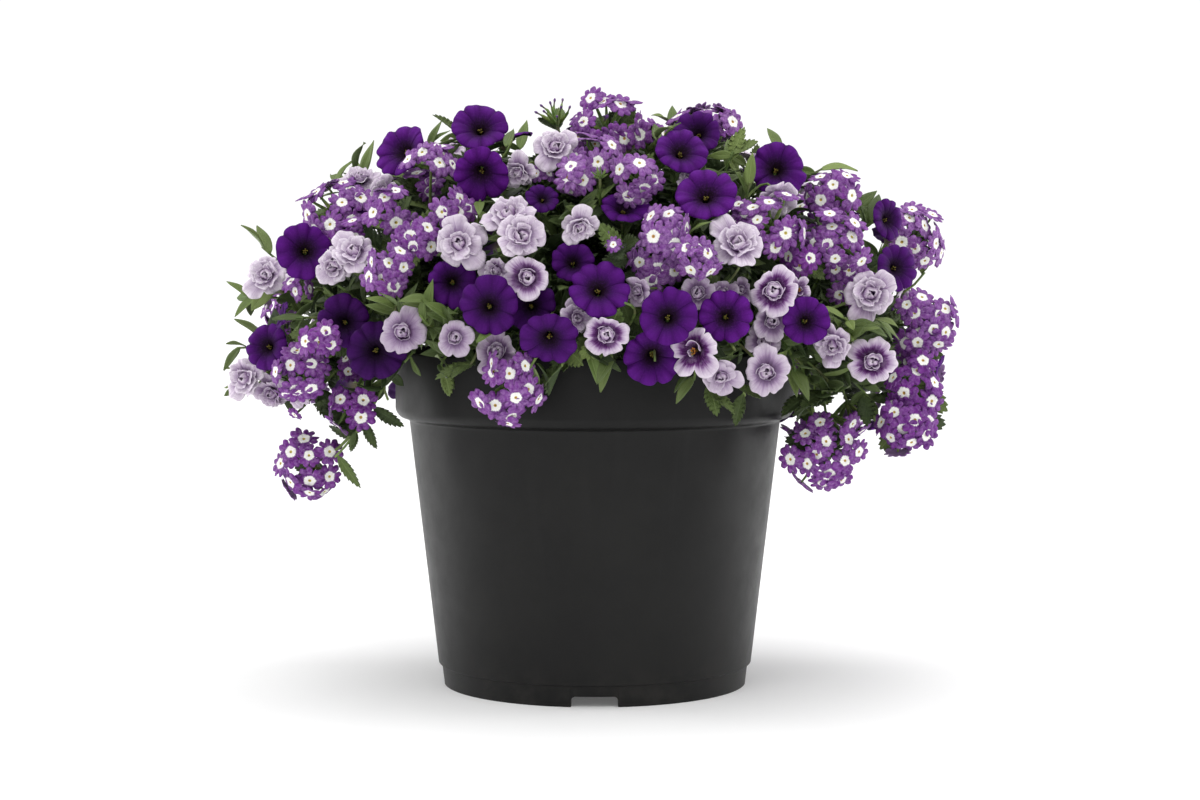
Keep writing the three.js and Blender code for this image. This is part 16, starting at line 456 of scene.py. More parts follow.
        [2097,96,2613,10,50,86,-6,-86,51,235,91,1], [1477,1339,2502,71,42,56,-20,-64,74,221,71,0], [1462,1312,2491,96,23,13,0,-50,87,228,73,0], [1939,921,2309,80,-58,14,-36,-28,89,202,78,1], [1448,1368,1863,84,47,-25,43,-32,84,268,86,0], [1445,579,1599,-41,-2,-91,-51,-83,24,167,65,1], [1345,728,2381,92,35,-15,38,-88,30,272,131,1], [1395,689,2378,81,8,-59,53,-52,67,275,132,1], [1446,645,2376,63,-21,75,68,-32,-66,169,81,1], [1497,598,2375,88,10,47,34,-82,-46,242,116,1], [1547,547,2376,97,25,1,25,-95,18,182,87,1], [1598,494,2378,91,-13,-39,24,-59,77,186,89,1], [1648,440,2383,53,-26,-81,71,-39,59,170,82,1], [1697,387,2389,78,6,63,42,-79,-45,225,108,1], [1745,334,2398,95,27,18,25,-96,11,203,97,1], [1792,284,2409,92,30,23,29,-95,10,207,99,1], [1838,236,2423,30,-30,91,85,-35,-39,230,110,1], [1096,810,2354,75,-7,-65,46,77,45,259,124,1], [1144,852,2349,-9,98,20,99,10,-5,176,85,1], [1192,896,2348,87,-14,47,28,93,-24,263,126,1], [1239,942,2349,35,64,-69,65,36,67,264,127,1], [1284,989,2353,13,60,79,80,41,-44,264,127,1], [1326,1037,2360,98,-6,-21,13,92,37,165,79,1], [1365,1086,2370,-1,100,-6,93,4,37,248,119,1], [1400,1134,2384,62,26,74,22,85,-48,245,118,1], [1430,1182,2402,60,59,-54,25,50,83,230,110,1], [1454,1229,2423,89,43,-14,-22,68,70,279,134,1], [1473,1275,2448,93,21,30,-31,90,32,260,125,1], [1484,1318,2478,-30,95,-7,67,27,69,276,132,1], [1168,803,2365,77,7,63,54,45,-71,218,105,1], [1228,815,2356,62,52,60,74,-12,-66,163,78,1], [1291,825,2347,58,79,19,81,-54,-23,193,93,1], [1355,832,2338,46,83,-31,88,-39,27,182,87,1], [1421,838,2330,82,-12,56,54,50,-68,229,110,1], [1487,844,2322,57,38,73,80,-4,-60,172,83,1], [1553,848,2315,64,71,30,76,-54,-35,185,89,1], [1619,854,2310,83,-53,16,55,82,-13,190,91,1], [1682,860,2305,62,77,-12,78,-60,20,278,134,1], [1744,867,2302,57,26,78,79,10,-61,179,86,1], [1802,876,2301,48,72,50,87,-31,-38,161,77,1], [1858,888,2301,49,87,1,86,-49,11,204,98,1], [1908,903,2304,83,-18,52,45,77,-45,186,89,1], [1131,886,2341,99,0,-11,-4,95,-32,162,78,1], [1163,924,2304,89,32,32,6,62,-78,231,111,1], [1193,963,2262,58,79,21,26,7,-96,246,118,1], [1222,1002,2216,19,98,-9,75,-20,-63,178,85,1], [1251,1042,2167,93,0,-36,-11,94,-31,166,80,1], [1279,1083,2117,92,38,-3,-27,60,-75,236,113,1], [1305,1123,2067,63,72,28,16,23,-96,206,99,1], [1331,1164,2019,15,97,17,60,5,-80,242,116,1], [1356,1204,1974,-16,94,-30,93,5,-36,229,110,1], [1380,1245,1934,94,33,-4,-28,72,-64,268,129,1], [1404,1285,1899,68,64,35,9,40,-91,219,105,1], [1426,1325,1872,68,52,51,17,57,-80,185,89,1], [1447,1364,1854,91,-1,-40,3,100,4,219,105,1], [1198,795,2341,75,66,4,47,-49,-73,163,78,1], [1232,791,2301,50,68,-53,70,-68,-21,234,112,1], [1264,783,2254,13,48,-87,95,-32,-4,208,100,1], [1293,773,2202,99,-4,15,15,10,-98,250,120,1], [1320,759,2144,89,28,-37,-19,-51,-84,193,93,1], [1345,744,2083,57,74,-35,41,-62,-67,176,84,1], [1367,726,2019,57,-78,-25,38,52,-76,197,95,1], [1387,706,1954,14,79,-60,63,-53,-56,265,127,1], [1404,685,1888,92,1,-38,-38,-15,-91,198,95,1], [1419,663,1821,77,49,-40,0,-63,-77,223,107,1], [1436,627,1720,-91,-23,-35,24,-97,0,150,60,0], [1441,612,1679,-93,33,18,-35,-93,-9,150,60,0], [1445,597,1640,-83,50,25,-45,-86,25,150,60,0], [591,428,2117,-71,55,44,37,-23,90,276,111,0], [616,447,2174,-86,-10,50,51,-18,84,254,90,0], [647,471,2226,-77,47,43,34,-26,90,290,108,0], [684,500,2272,57,77,30,-21,-21,95,242,92,0], [725,531,2312,-51,-81,27,0,32,95,262,103,0], [770,566,2346,17,-86,48,7,50,87,256,93,0], [818,602,2374,-90,39,18,4,-35,94,276,103,0], [867,640,2396,81,-48,33,-44,-15,88,261,107,0], [917,678,2412,-66,63,42,34,-24,91,230,84,0], [939,692,2386,-28,96,-2,-1,2,100,193,72,0],
    ],
    "leafy_shoot_12": [
        [-181,-1648,2113,-61,52,-60,-76,-15,63,294,115,1], [-166,-1601,2128,-54,56,-63,-78,-6,62,293,114,1], [100,-1665,2159,-33,-82,-48,0,-50,86,274,73,0], [93,-1627,2167,-29,3,-96,-46,-88,12,229,73,0], [-50,-1684,2205,86,-26,-44,22,-58,78,254,81,0], [-43,-1638,2213,38,-11,-92,42,-86,28,236,75,0], [-356,-1664,2105,8,57,-82,67,57,47,221,71,0], [-329,-1632,2119,50,53,-68,84,-8,54,234,75,0], [68,-1187,2246,63,-71,30,-74,-45,49,225,108,1], [55,-1222,2285,12,-98,16,-49,8,87,193,93,1], [36,-1254,2329,-42,-91,0,10,-5,99,180,86,1], [13,-1283,2377,-87,-49,5,30,-45,84,272,131,1], [-14,-1309,2429,45,-75,48,-83,-16,53,189,91,1], [-43,-1335,2482,6,-98,17,-51,12,85,207,99,1], [-73,-1360,2537,-50,-83,23,14,18,97,271,130,1], [85,-1108,2244,-39,-91,13,56,-12,82,265,127,1], [86,-1143,2289,82,-39,42,-57,-63,53,273,131,1], [82,-1179,2339,50,-85,18,-57,-16,81,254,122,1], [73,-1215,2393,-5,-100,6,-8,6,99,201,96,1], [61,-1251,2448,43,-4,90,-50,-84,20,230,111,1], [46,-1287,2503,-91,-33,25,41,-60,69,238,114,1], [29,-1322,2557,39,-87,29,-69,-7,72,279,134,1], [10,-1358,2606,-5,-100,-3,-25,-1,97,179,86,1], [124,-1237,2244,42,-80,-43,-6,-50,86,229,110,1], [146,-1299,2269,45,-32,83,-8,-94,-32,211,101,1], [168,-1363,2296,-37,-93,6,83,-30,46,259,124,1], [189,-1426,2322,91,-41,-13,-30,-82,49,172,83,1], [207,-1488,2349,-31,-30,90,43,-89,-15,214,103,1], [222,-1548,2375,78,-61,9,-59,-69,42,164,79,1], [34,-1098,2227,54,-83,12,-79,-46,40,237,114,1], [25,-1155,2249,-47,-29,83,22,-95,-21,169,81,1], [16,-1215,2269,-21,-91,-36,11,-39,91,219,105,1], [6,-1278,2288,48,-62,62,-64,-73,-23,177,85,1], [-3,-1343,2307,-85,-47,23,51,-84,18,181,87,1], [-10,-1407,2326,41,-87,-28,-52,-47,71,208,100,1], [-15,-1471,2345,-1,-40,91,-3,-91,-40,243,117,1], [-15,-1531,2364,58,-76,-28,-48,-60,64,247,118,1], [-8,-1126,2182,29,-74,61,-68,-61,-41,177,85,1], [-50,-1259,2209,38,-85,-35,-64,-52,57,185,89,1], [-73,-1326,2219,-21,-41,89,-14,-89,-44,237,114,1], [-96,-1391,2226,-2,-71,-71,-30,-67,68,182,87,1], [-118,-1453,2228,61,-75,23,-76,-65,-9,204,98,1], [-138,-1510,2224,-85,-32,41,22,-94,-27,167,80,1], [-155,-1560,2212,38,-82,-43,-81,-52,27,226,108,1], [33,-1090,2180,-9,-47,88,13,-88,-46,210,101,1], [36,-1160,2201,79,-51,34,-56,-82,8,233,112,1], [39,-1231,2221,82,-46,33,-51,-86,9,273,131,1], [42,-1303,2239,-56,-67,49,68,-71,-19,237,114,1], [46,-1372,2255,29,-73,-62,-15,-68,72,226,108,1], [51,-1439,2265,32,-62,72,-27,-78,-56,274,131,1], [56,-1500,2271,-68,-69,-25,62,-72,32,266,127,1], [62,-1555,2269,30,-75,59,-20,-66,-73,275,132,1], [70,-1602,2258,-68,-59,-45,61,-79,11,232,112,1], [29,-1086,2206,-73,-47,49,55,-84,1,234,112,1], [25,-1153,2228,64,-77,-2,-68,-58,44,188,90,1], [20,-1222,2249,21,-44,87,-24,-89,-39,160,77,1], [14,-1294,2267,-68,-71,-19,55,-66,50,267,128,1], [7,-1364,2282,61,-79,0,-76,-58,31,246,118,1], [0,-1433,2292,-77,-60,22,62,-78,2,218,104,1], [-9,-1498,2297,-17,-76,-63,4,-64,77,193,93,1], [-27,-1609,2285,55,-54,-64,-50,-82,26,185,89,1], [-22,-1188,2194,36,-74,57,-75,-59,-29,236,113,1], [-51,-1250,2206,52,-85,6,-85,-50,19,162,78,1], [-83,-1312,2216,-69,-18,70,2,-97,-23,196,94,1], [-117,-1374,2223,-30,-75,-60,-21,-56,80,242,116,1], [-152,-1434,2228,44,-88,17,-89,-45,-1,206,99,1], [-187,-1490,2228,-23,-72,-65,-36,-56,75,207,99,1], [-222,-1541,2224,35,-92,16,-91,-38,-16,175,84,1], [-257,-1586,2213,-62,-63,47,3,-61,-79,188,90,1], [-1,-753,2093,-60,-69,41,34,25,91,201,82,0], [13,-817,2113,18,90,39,-43,-28,86,298,120,0], [27,-884,2128,-29,87,39,31,-29,90,255,88,0], [42,-952,2141,-34,-85,41,68,7,73,260,104,0], [55,-1016,2156,-97,0,25,25,-8,96,253,95,0], [67,-1072,2175,-91,-38,15,5,27,96,200,71,0], [72,-1095,2184,-67,-71,22,33,-2,94,286,101,0], [74,-1144,2211,-97,-18,16,15,8,98,208,79,0], [64,-1030,2171,47,83,30,-40,-11,91,254,106,0], [78,-1068,2201,-74,52,43,28,-35,90,195,67,0],
        [85,-1106,2242,-47,79,39,37,-23,90,270,98,0], [86,-1145,2291,-8,94,34,42,-27,86,234,81,0], [69,-1073,2180,-79,-53,31,-2,53,85,200,80,0], [86,-1129,2201,-81,-28,52,35,47,81,262,101,0], [44,-975,2161,35,-91,20,-18,15,97,282,96,0], [43,-1018,2189,-8,83,55,83,-25,50,204,74,0], [38,-1069,2215,68,-62,38,2,54,84,257,92,0], [30,-1127,2239,69,66,30,-24,-18,95,232,91,0], [33,-956,2143,-69,-65,33,34,11,93,220,77,0], [22,-1015,2156,-30,75,59,45,-43,78,267,107,0], [5,-1080,2172,-54,62,57,63,-15,76,196,81,0], [-15,-1150,2187,-20,-92,33,9,32,94,237,92,0], [26,-899,2128,-99,13,8,5,-16,99,196,73,0], [28,-959,2143,97,6,23,-21,-22,95,202,78,0], [31,-1026,2162,10,86,50,42,-49,76,264,102,0], [34,-1098,2183,29,83,47,-35,-37,86,253,87,0], [37,-1175,2205,81,-49,33,-25,23,94,306,128,0], [31,-922,2140,84,-51,16,-21,-5,98,295,120,0], [32,-972,2162,95,-26,19,-11,27,96,205,81,0], [31,-1032,2186,18,-95,25,-14,23,96,208,73,0], [28,-1100,2211,-70,56,45,51,-7,86,212,82,0], [24,-1173,2235,84,18,51,-54,34,77,263,98,0], [42,-1015,2159,-78,-60,20,16,12,98,304,106,0], [25,-1071,2171,24,-94,23,-40,12,91,193,80,0], [1,-1133,2183,-51,-85,11,-6,17,98,219,77,0],
    ],
    "leafy_shoot_13": [
        [-977,-1504,2379,14,-24,96,-44,-89,-15,245,79,0], [-1151,-1464,2450,-39,-79,47,53,23,82,204,65,0], [-1119,-1427,2430,46,29,84,-33,-82,46,194,62,0], [-561,-1627,2326,-57,-75,-34,5,-44,90,203,65,0], [-673,-1304,3052,2,-98,-22,-1,-22,98,197,63,0], [-715,-1587,2111,-96,-20,-20,-7,-52,85,239,93,1], [-707,-1542,2127,-54,-80,-26,10,-36,93,225,87,1], [-891,-1442,2094,31,27,-91,76,-65,6,208,81,1], [-872,-1401,2110,35,54,-76,90,2,43,206,80,1], [-757,-1027,2267,-95,-24,20,28,-94,18,153,50,0], [-788,-1078,2283,-1,-97,-25,-74,-16,65,178,59,0], [-817,-1133,2299,-30,-43,85,-38,-76,-52,207,68,0], [-845,-1191,2316,-77,-55,-33,15,-66,74,176,58,0], [-871,-1249,2334,35,-88,31,-93,-34,11,202,67,0], [-893,-1307,2355,-74,-29,60,22,-96,-18,198,65,0], [-912,-1363,2379,-16,-86,-49,-34,-42,84,225,74,0], [-927,-1416,2407,-78,-16,60,25,-97,6,171,56,0], [-937,-1464,2439,-86,-47,17,48,-68,56,207,68,0], [-942,-1506,2477,-85,-49,16,46,-58,67,218,72,0], [-734,-1037,2255,-74,-49,-46,2,-70,72,157,52,0], [-764,-1093,2265,35,-89,30,-93,-37,-1,172,57,0], [-795,-1152,2273,-86,-25,45,17,-96,-21,233,77,0], [-825,-1211,2281,-16,-79,-59,-50,-45,74,185,61,0], [-855,-1270,2289,-9,-71,70,-65,-49,-58,206,68,0], [-884,-1327,2298,-96,-15,-23,6,-93,37,171,56,0], [-912,-1382,2309,19,-98,-5,-91,-19,37,150,50,0], [-938,-1434,2323,-54,-21,81,-16,-93,-34,212,70,0], [-962,-1481,2341,30,-73,62,-88,-45,-11,176,58,0], [-984,-1522,2364,-8,-37,92,-57,-74,-35,172,57,0], [-745,-1123,2278,-2,-80,-61,-49,-52,70,181,60,0], [-768,-1185,2288,-3,-66,75,-57,-60,-55,176,58,0], [-790,-1248,2298,-89,-40,-22,28,-86,44,156,52,0], [-810,-1309,2306,41,-91,-8,-85,-41,32,232,77,0], [-826,-1369,2316,-52,-47,72,9,-86,-50,220,73,0], [-838,-1426,2328,-34,-82,-46,-2,-49,87,198,65,0], [-843,-1479,2342,-46,-49,73,26,-87,-42,159,53,0], [-840,-1527,2361,-79,-51,34,59,-78,20,164,54,0], [-829,-1570,2384,-56,-71,42,83,-51,23,233,77,0], [-808,-1606,2413,-4,-99,13,47,10,88,219,72,0], [-804,-1104,2295,13,-99,7,-97,-12,23,195,64,0], [-853,-1150,2306,-77,-10,63,-19,-91,-38,221,73,0], [-906,-1196,2315,-58,-56,-60,-42,-42,80,169,56,0], [-959,-1241,2324,-4,-74,67,-90,-26,-35,153,51,0], [-1011,-1284,2333,-52,-61,-60,-49,-36,80,160,53,0], [-1060,-1325,2344,-6,-67,74,-87,-32,-36,167,55,0], [-1101,-1364,2359,-32,-14,94,-57,-76,-31,172,57,0], [-1154,-1433,2405,-91,-29,31,41,-78,47,196,65,0], [-1160,-1462,2438,-77,-49,40,63,-50,60,199,66,0], [-763,-1112,2313,-56,-79,-23,44,-52,73,175,58,0], [-749,-1166,2334,-65,-72,24,76,-60,25,230,76,0], [-726,-1224,2353,-50,-52,69,56,-80,-19,152,50,0], [-698,-1286,2370,4,-42,91,15,-89,-42,232,77,0], [-667,-1349,2382,-23,-90,-38,51,-44,74,234,77,0], [-635,-1412,2390,-53,-85,2,83,-51,21,197,65,0], [-604,-1475,2391,-45,-89,-6,87,-45,21,230,76,0], [-808,-1127,2405,-7,-95,29,-25,30,92,153,50,0], [-805,-1146,2460,-42,-85,33,30,21,93,205,68,0], [-797,-1162,2519,-62,-55,57,70,-6,71,195,65,0], [-784,-1176,2581,-60,-15,79,72,-52,45,182,60,0], [-768,-1189,2645,52,-72,47,-54,15,83,209,69,0], [-750,-1201,2709,2,-97,24,3,24,97,153,50,0], [-731,-1213,2774,10,-93,34,-4,34,94,220,73,0], [-713,-1226,2837,8,-98,20,-1,20,98,236,78,0], [-696,-1241,2897,-37,12,92,48,-82,30,153,51,0], [-652,-1039,2218,-75,-54,37,53,-84,-16,232,76,0], [-655,-1107,2226,-37,-61,70,15,-78,-61,152,50,0], [-656,-1177,2232,12,-72,68,-42,-66,-63,230,76,0], [-657,-1247,2236,-64,-72,-26,56,-67,48,167,55,0], [-657,-1316,2236,-82,-53,21,52,-85,-11,169,56,0], [-659,-1382,2231,-52,-57,63,22,-81,-54,236,78,0], [-662,-1442,2222,-49,-77,39,38,-60,-71,163,54,0], [-679,-982,2200,36,-93,5,-93,-35,14,184,61,0], [-708,-1045,2205,35,-93,3,-93,-35,13,238,78,0], [-737,-1109,2208,-72,-49,49,21,-83,-52,228,75,0], [-765,-1173,2207,29,-79,-54,-73,-55,41,210,69,0], [-792,-1236,2203,20,-77,61,-71,-54,-45,183,61,0],
        [-818,-1294,2194,-93,-33,-14,32,-95,6,221,73,0], [-842,-1347,2180,-87,-34,36,14,-86,-48,189,62,0], [-863,-1392,2161,-52,-71,48,-11,-50,-86,160,53,0], [-880,-1429,2135,-16,-98,8,-55,2,-84,211,70,0], [-895,-1454,2102,19,-92,-35,-85,3,-53,216,71,0], [-675,-1274,2998,57,-42,-70,9,-82,56,150,60,0], [-687,-1252,2937,99,2,17,3,-100,-8,150,60,0], [-695,-1242,2904,47,83,-29,67,-55,-49,150,60,0], [-714,-1226,2834,87,48,11,49,-83,-26,150,60,0], [-483,-675,2110,81,-25,53,-58,-26,77,216,75,0], [-519,-722,2138,-10,-98,17,-13,18,97,196,81,0], [-559,-773,2160,-21,-94,26,-20,30,93,204,77,0], [-600,-826,2179,-87,44,23,1,-44,90,282,109,0], [-641,-880,2197,-19,-96,18,-22,22,95,264,107,0], [-681,-932,2215,-90,-26,34,41,-30,86,296,120,0], [-674,-917,2220,-16,82,56,32,-49,81,292,117,0], [-651,-897,2210,-91,23,34,41,56,72,275,106,0], [-681,-945,2231,-97,12,20,21,8,97,208,81,0], [-625,-871,2190,-42,77,48,0,-53,85,194,76,0], [-639,-928,2201,-87,32,39,39,-5,92,192,76,0], [-606,-840,2178,60,-78,17,17,33,93,234,95,0], [-635,-893,2188,20,89,40,-2,-40,91,212,85,0], [-666,-955,2196,20,-96,20,3,21,98,266,91,0],
    ],
    "leafy_shoot_14": [
        [492,314,3570,-48,-74,47,60,12,79,227,72,0], [508,326,3522,-1,56,83,1,-83,56,246,79,0], [1194,230,3393,-32,49,81,16,-81,56,234,75,0], [1699,505,3050,78,61,12,16,-38,91,218,70,0], [1660,501,3029,81,30,51,-25,-61,75,207,66,0], [785,519,2781,-54,66,52,38,-35,85,216,71,0], [768,509,2835,-11,61,78,8,-78,62,179,59,0], [746,496,2889,21,32,92,-59,-71,38,222,73,0], [721,479,2944,40,-10,91,-91,1,41,203,67,0], [692,460,2999,40,-57,72,-62,42,67,240,79,0], [661,439,3056,-23,75,62,-5,-65,76,214,71,0], [630,418,3112,17,45,88,-48,-74,47,199,66,0], [599,396,3170,52,6,85,-82,-26,51,207,68,0], [570,375,3227,54,-45,71,-71,22,67,179,59,0], [543,355,3284,11,-78,61,-31,56,77,170,56,0], [520,338,3341,66,-31,68,-69,12,72,177,58,0], [846,430,2651,29,61,73,63,-70,33,218,72,0], [880,418,2698,69,65,31,24,-62,75,163,54,0], [914,403,2747,96,8,27,-25,-24,94,222,73,0], [949,385,2797,89,-41,21,-8,31,95,199,66,0], [984,366,2850,31,49,81,57,-78,25,227,75,0], [1019,345,2904,71,47,53,6,-79,62,219,72,0], [1052,324,2959,69,44,58,4,-81,58,170,56,0], [1083,304,3016,-24,21,95,89,-35,30,230,76,0], [1112,284,3073,62,57,53,12,-74,66,164,54,0], [1138,266,3132,13,59,80,55,-72,44,162,53,0], [914,475,2697,95,16,-28,28,-1,96,183,60,0], [969,473,2721,42,40,82,89,-36,-28,159,52,0], [1028,469,2741,62,66,43,68,-72,12,169,56,0], [1090,465,2760,74,67,-7,56,-56,61,176,58,0], [1155,460,2777,51,-22,83,84,35,-42,231,76,0], [1220,456,2792,36,32,88,93,-20,-30,222,73,0], [1286,452,2808,56,65,51,77,-63,-4,185,61,0], [1351,449,2825,42,-79,44,83,53,16,228,75,0], [1414,448,2843,79,46,-41,55,-25,79,176,58,0], [1474,448,2863,36,19,91,93,-5,-35,203,67,0], [1530,451,2886,89,-46,-2,35,64,68,222,73,0], [1582,456,2913,47,85,25,71,-53,47,172,57,0], [1627,465,2945,20,-49,85,80,58,15,210,69,0], [1665,477,2982,94,33,4,-5,0,100,171,56,0], [1695,493,3025,99,2,16,-15,41,90,158,52,0], [1701,498,3037,78,18,60,3,-97,25,201,80,0], [1701,498,3037,92,28,27,27,-96,8,164,66,0], [1701,498,3037,77,63,9,55,-73,41,150,60,0], [1701,498,3037,96,2,-28,-9,-92,-38,150,60,0], [554,200,2121,71,42,56,-55,-17,82,207,71,0], [573,226,2179,88,-26,39,-36,16,92,196,82,0], [596,256,2233,86,8,51,-36,-63,69,276,101,0], [621,290,2284,82,-38,43,-44,8,90,206,70,0], [647,325,2331,-95,-2,32,30,-35,89,281,115,0], [674,361,2377,-79,37,48,44,-20,87,254,87,0], [701,397,2422,23,-81,54,25,58,77,307,125,0], [726,431,2466,30,89,34,22,-42,88,192,80,0], [749,463,2512,-19,86,47,23,-42,88,269,107,0], [781,499,2580,-63,64,44,22,-39,89,280,115,0], [796,515,2632,86,33,39,-34,-21,92,199,70,0], [800,522,2685,56,58,59,-54,-29,79,230,96,0], [794,522,2741,-76,45,47,38,-28,88,259,108,0], [781,516,2798,-83,7,55,53,-22,82,201,75,0], [760,504,2856,30,86,42,-13,-40,91,242,96,0], [735,488,2915,3,96,29,11,-29,95,219,78,0], [705,469,2975,73,18,66,-64,-19,75,260,105,0], [672,447,3035,-95,-11,29,29,0,96,248,92,0], [639,424,3097,-86,-39,32,29,14,95,293,117,0], [605,400,3158,-5,-89,46,17,45,88,191,79,0], [573,377,3220,-78,-43,45,51,-2,86,236,89,0], [544,356,3282,-74,43,51,25,-53,81,285,100,0], [519,337,3344,9,90,43,-14,-41,90,212,78,0], [738,436,2495,24,90,36,-19,-32,93,309,125,0], [764,443,2535,-42,83,36,42,-18,89,257,94,0], [794,442,2578,-76,-38,53,16,68,72,200,80,0], [826,436,2624,-82,-15,55,53,16,83,260,91,0], [862,425,2673,-76,-10,64,63,15,76,204,71,0], [899,410,2725,86,3,50,-49,26,83,282,115,0], [937,392,2779,35,76,55,-7,-56,82,268,107,0], [975,371,2835,-41,77,49,-3,-55,84,305,122,0], [1012,349,2893,-49,59,64,37,-53,76,299,119,0], [1048,327,2953,-53,-75,40,54,8,84,219,83,0], [1082,304,3014,15,86,49,-9,-48,87,283,118,0], [1113,283,3077,-92,22,32,33,2,94,256,94,0], [1141,264,3140,-52,74,43,43,-21,88,246,87,0], [757,463,2548,-75,-15,65,43,63,65,266,94,0], [786,471,2597,-6,-94,33,-25,33,91,271,110,0], [825,475,2638,58,-75,30,-24,19,95,308,121,0],
        [872,476,2673,-85,19,49,51,3,86,277,98,0], [927,475,2703,-48,-72,50,28,41,87,252,93,0], [988,472,2728,68,58,45,-16,-48,86,249,101,0], [1053,468,2749,100,-1,7,-7,12,99,262,108,0],
    ],
    "leafy_shoot_15": [
        [1061,846,3285,12,13,98,-16,-98,15,202,78,1], [934,1411,2908,10,99,5,5,-6,100,236,76,0], [776,818,2702,56,68,47,9,-61,78,224,107,1], [805,820,2756,94,34,10,-10,-2,99,229,110,1], [834,819,2812,-37,53,76,85,-13,50,233,112,1], [864,816,2869,20,71,67,58,-64,50,177,85,1], [894,813,2926,63,62,46,2,-61,79,183,88,1], [924,809,2984,93,30,22,-19,-11,98,189,91,1], [952,806,3041,93,-20,31,-21,40,89,265,127,1], [980,806,3097,7,62,78,73,-57,38,199,96,1], [1005,808,3152,33,82,46,34,-56,76,262,126,1], [731,881,2616,68,71,-16,-16,37,92,223,107,1], [750,933,2643,-46,71,53,88,45,16,202,97,1], [769,988,2668,85,8,52,-18,97,14,168,80,1], [788,1045,2692,0,90,-44,45,40,80,220,106,1], [807,1103,2715,-3,46,89,57,74,-36,204,98,1], [825,1161,2739,90,43,-9,-28,72,63,274,132,1], [844,1217,2764,-46,88,12,81,36,46,207,99,1], [863,1270,2790,51,22,83,-2,97,-24,235,113,1], [902,1363,2850,53,5,85,2,100,-8,251,120,1], [1004,808,3150,-76,-1,65,-36,-83,-43,150,60,0], [398,450,2118,51,-71,48,-42,29,86,233,92,0], [422,477,2173,-84,26,48,54,28,80,216,88,0], [450,509,2223,80,-40,45,-50,-3,86,200,73,0], [481,544,2269,-18,-92,35,-35,39,85,274,99,0], [514,581,2312,38,91,19,-25,-10,96,206,77,0], [548,619,2353,34,-86,38,1,41,91,309,130,0], [581,657,2393,-82,52,24,17,-18,97,309,115,0], [614,694,2433,-80,-15,59,51,35,78,248,103,0], [645,729,2473,-71,37,60,67,10,74,283,101,0], [673,760,2515,21,93,28,-7,-27,96,310,108,0], [693,782,2552,-86,34,37,32,-22,92,292,116,0], [720,801,2601,-62,-50,60,73,-8,68,244,93,0], [749,813,2654,83,36,42,-47,6,88,230,96,0], [780,819,2710,-85,40,36,49,31,82,276,99,0], [812,820,2769,-35,89,28,21,-22,95,299,125,0], [844,819,2830,-60,72,35,23,-26,94,285,103,0], [667,756,2517,-41,88,25,19,-19,96,203,77,0], [691,794,2556,-4,93,37,-8,-37,92,207,80,0], [713,839,2590,82,46,36,-31,-18,93,222,83,0], [735,892,2622,84,53,12,-20,11,97,292,121,0],
    ],
}

# ---------------------------------------------------------------- small geometry kit
MM = 0.001
TAU = 2 * math.pi


def unit(v):
    v = np.asarray(v, float)
    return v / max(float(np.linalg.norm(v)), 1e-9)


def step01(lo_, hi_, x):
    t = np.clip((x - lo_) / (hi_ - lo_), 0, 1)
    return t * t * (3 - 2 * t)


def curve(points, n):
    """n points evenly spread along a smooth curve through points."""
    p = np.array(points, float)
    p = np.vstack([2 * p[0] - p[1], p, 2 * p[-1] - p[-2]])
    out = []
    for i in range(1, len(p) - 2):
        t = np.linspace(0, 1, 12, endpoint=False)[:, None]
        a, b, c, d = p[i - 1], p[i], p[i + 1], p[i + 2]
        out.append(0.5 * (2 * b + (c - a) * t + (2 * a - 5 * b + 4 * c - d) * t * t + (3 * b - a - 3 * c + d) * t ** 3))
    out.append(p[-2][None])
    q = np.vstack(out)
    s = np.concatenate([[0], np.cumsum(np.linalg.norm(np.diff(q, axis=0), axis=1))])
    u = np.linspace(0, s[-1], n)
    return np.stack([np.interp(u, s, q[:, k]) for k in range(q.shape[1])], 1)


def bezier(q, n):
    q = np.array(q, float)
    t = np.linspace(0, 1, n)[:, None]
    u = 1 - t
    return u ** 3 * q[0] + 3 * u * u * t * q[1] + 3 * u * t * t * q[2] + t ** 3 * q[3]


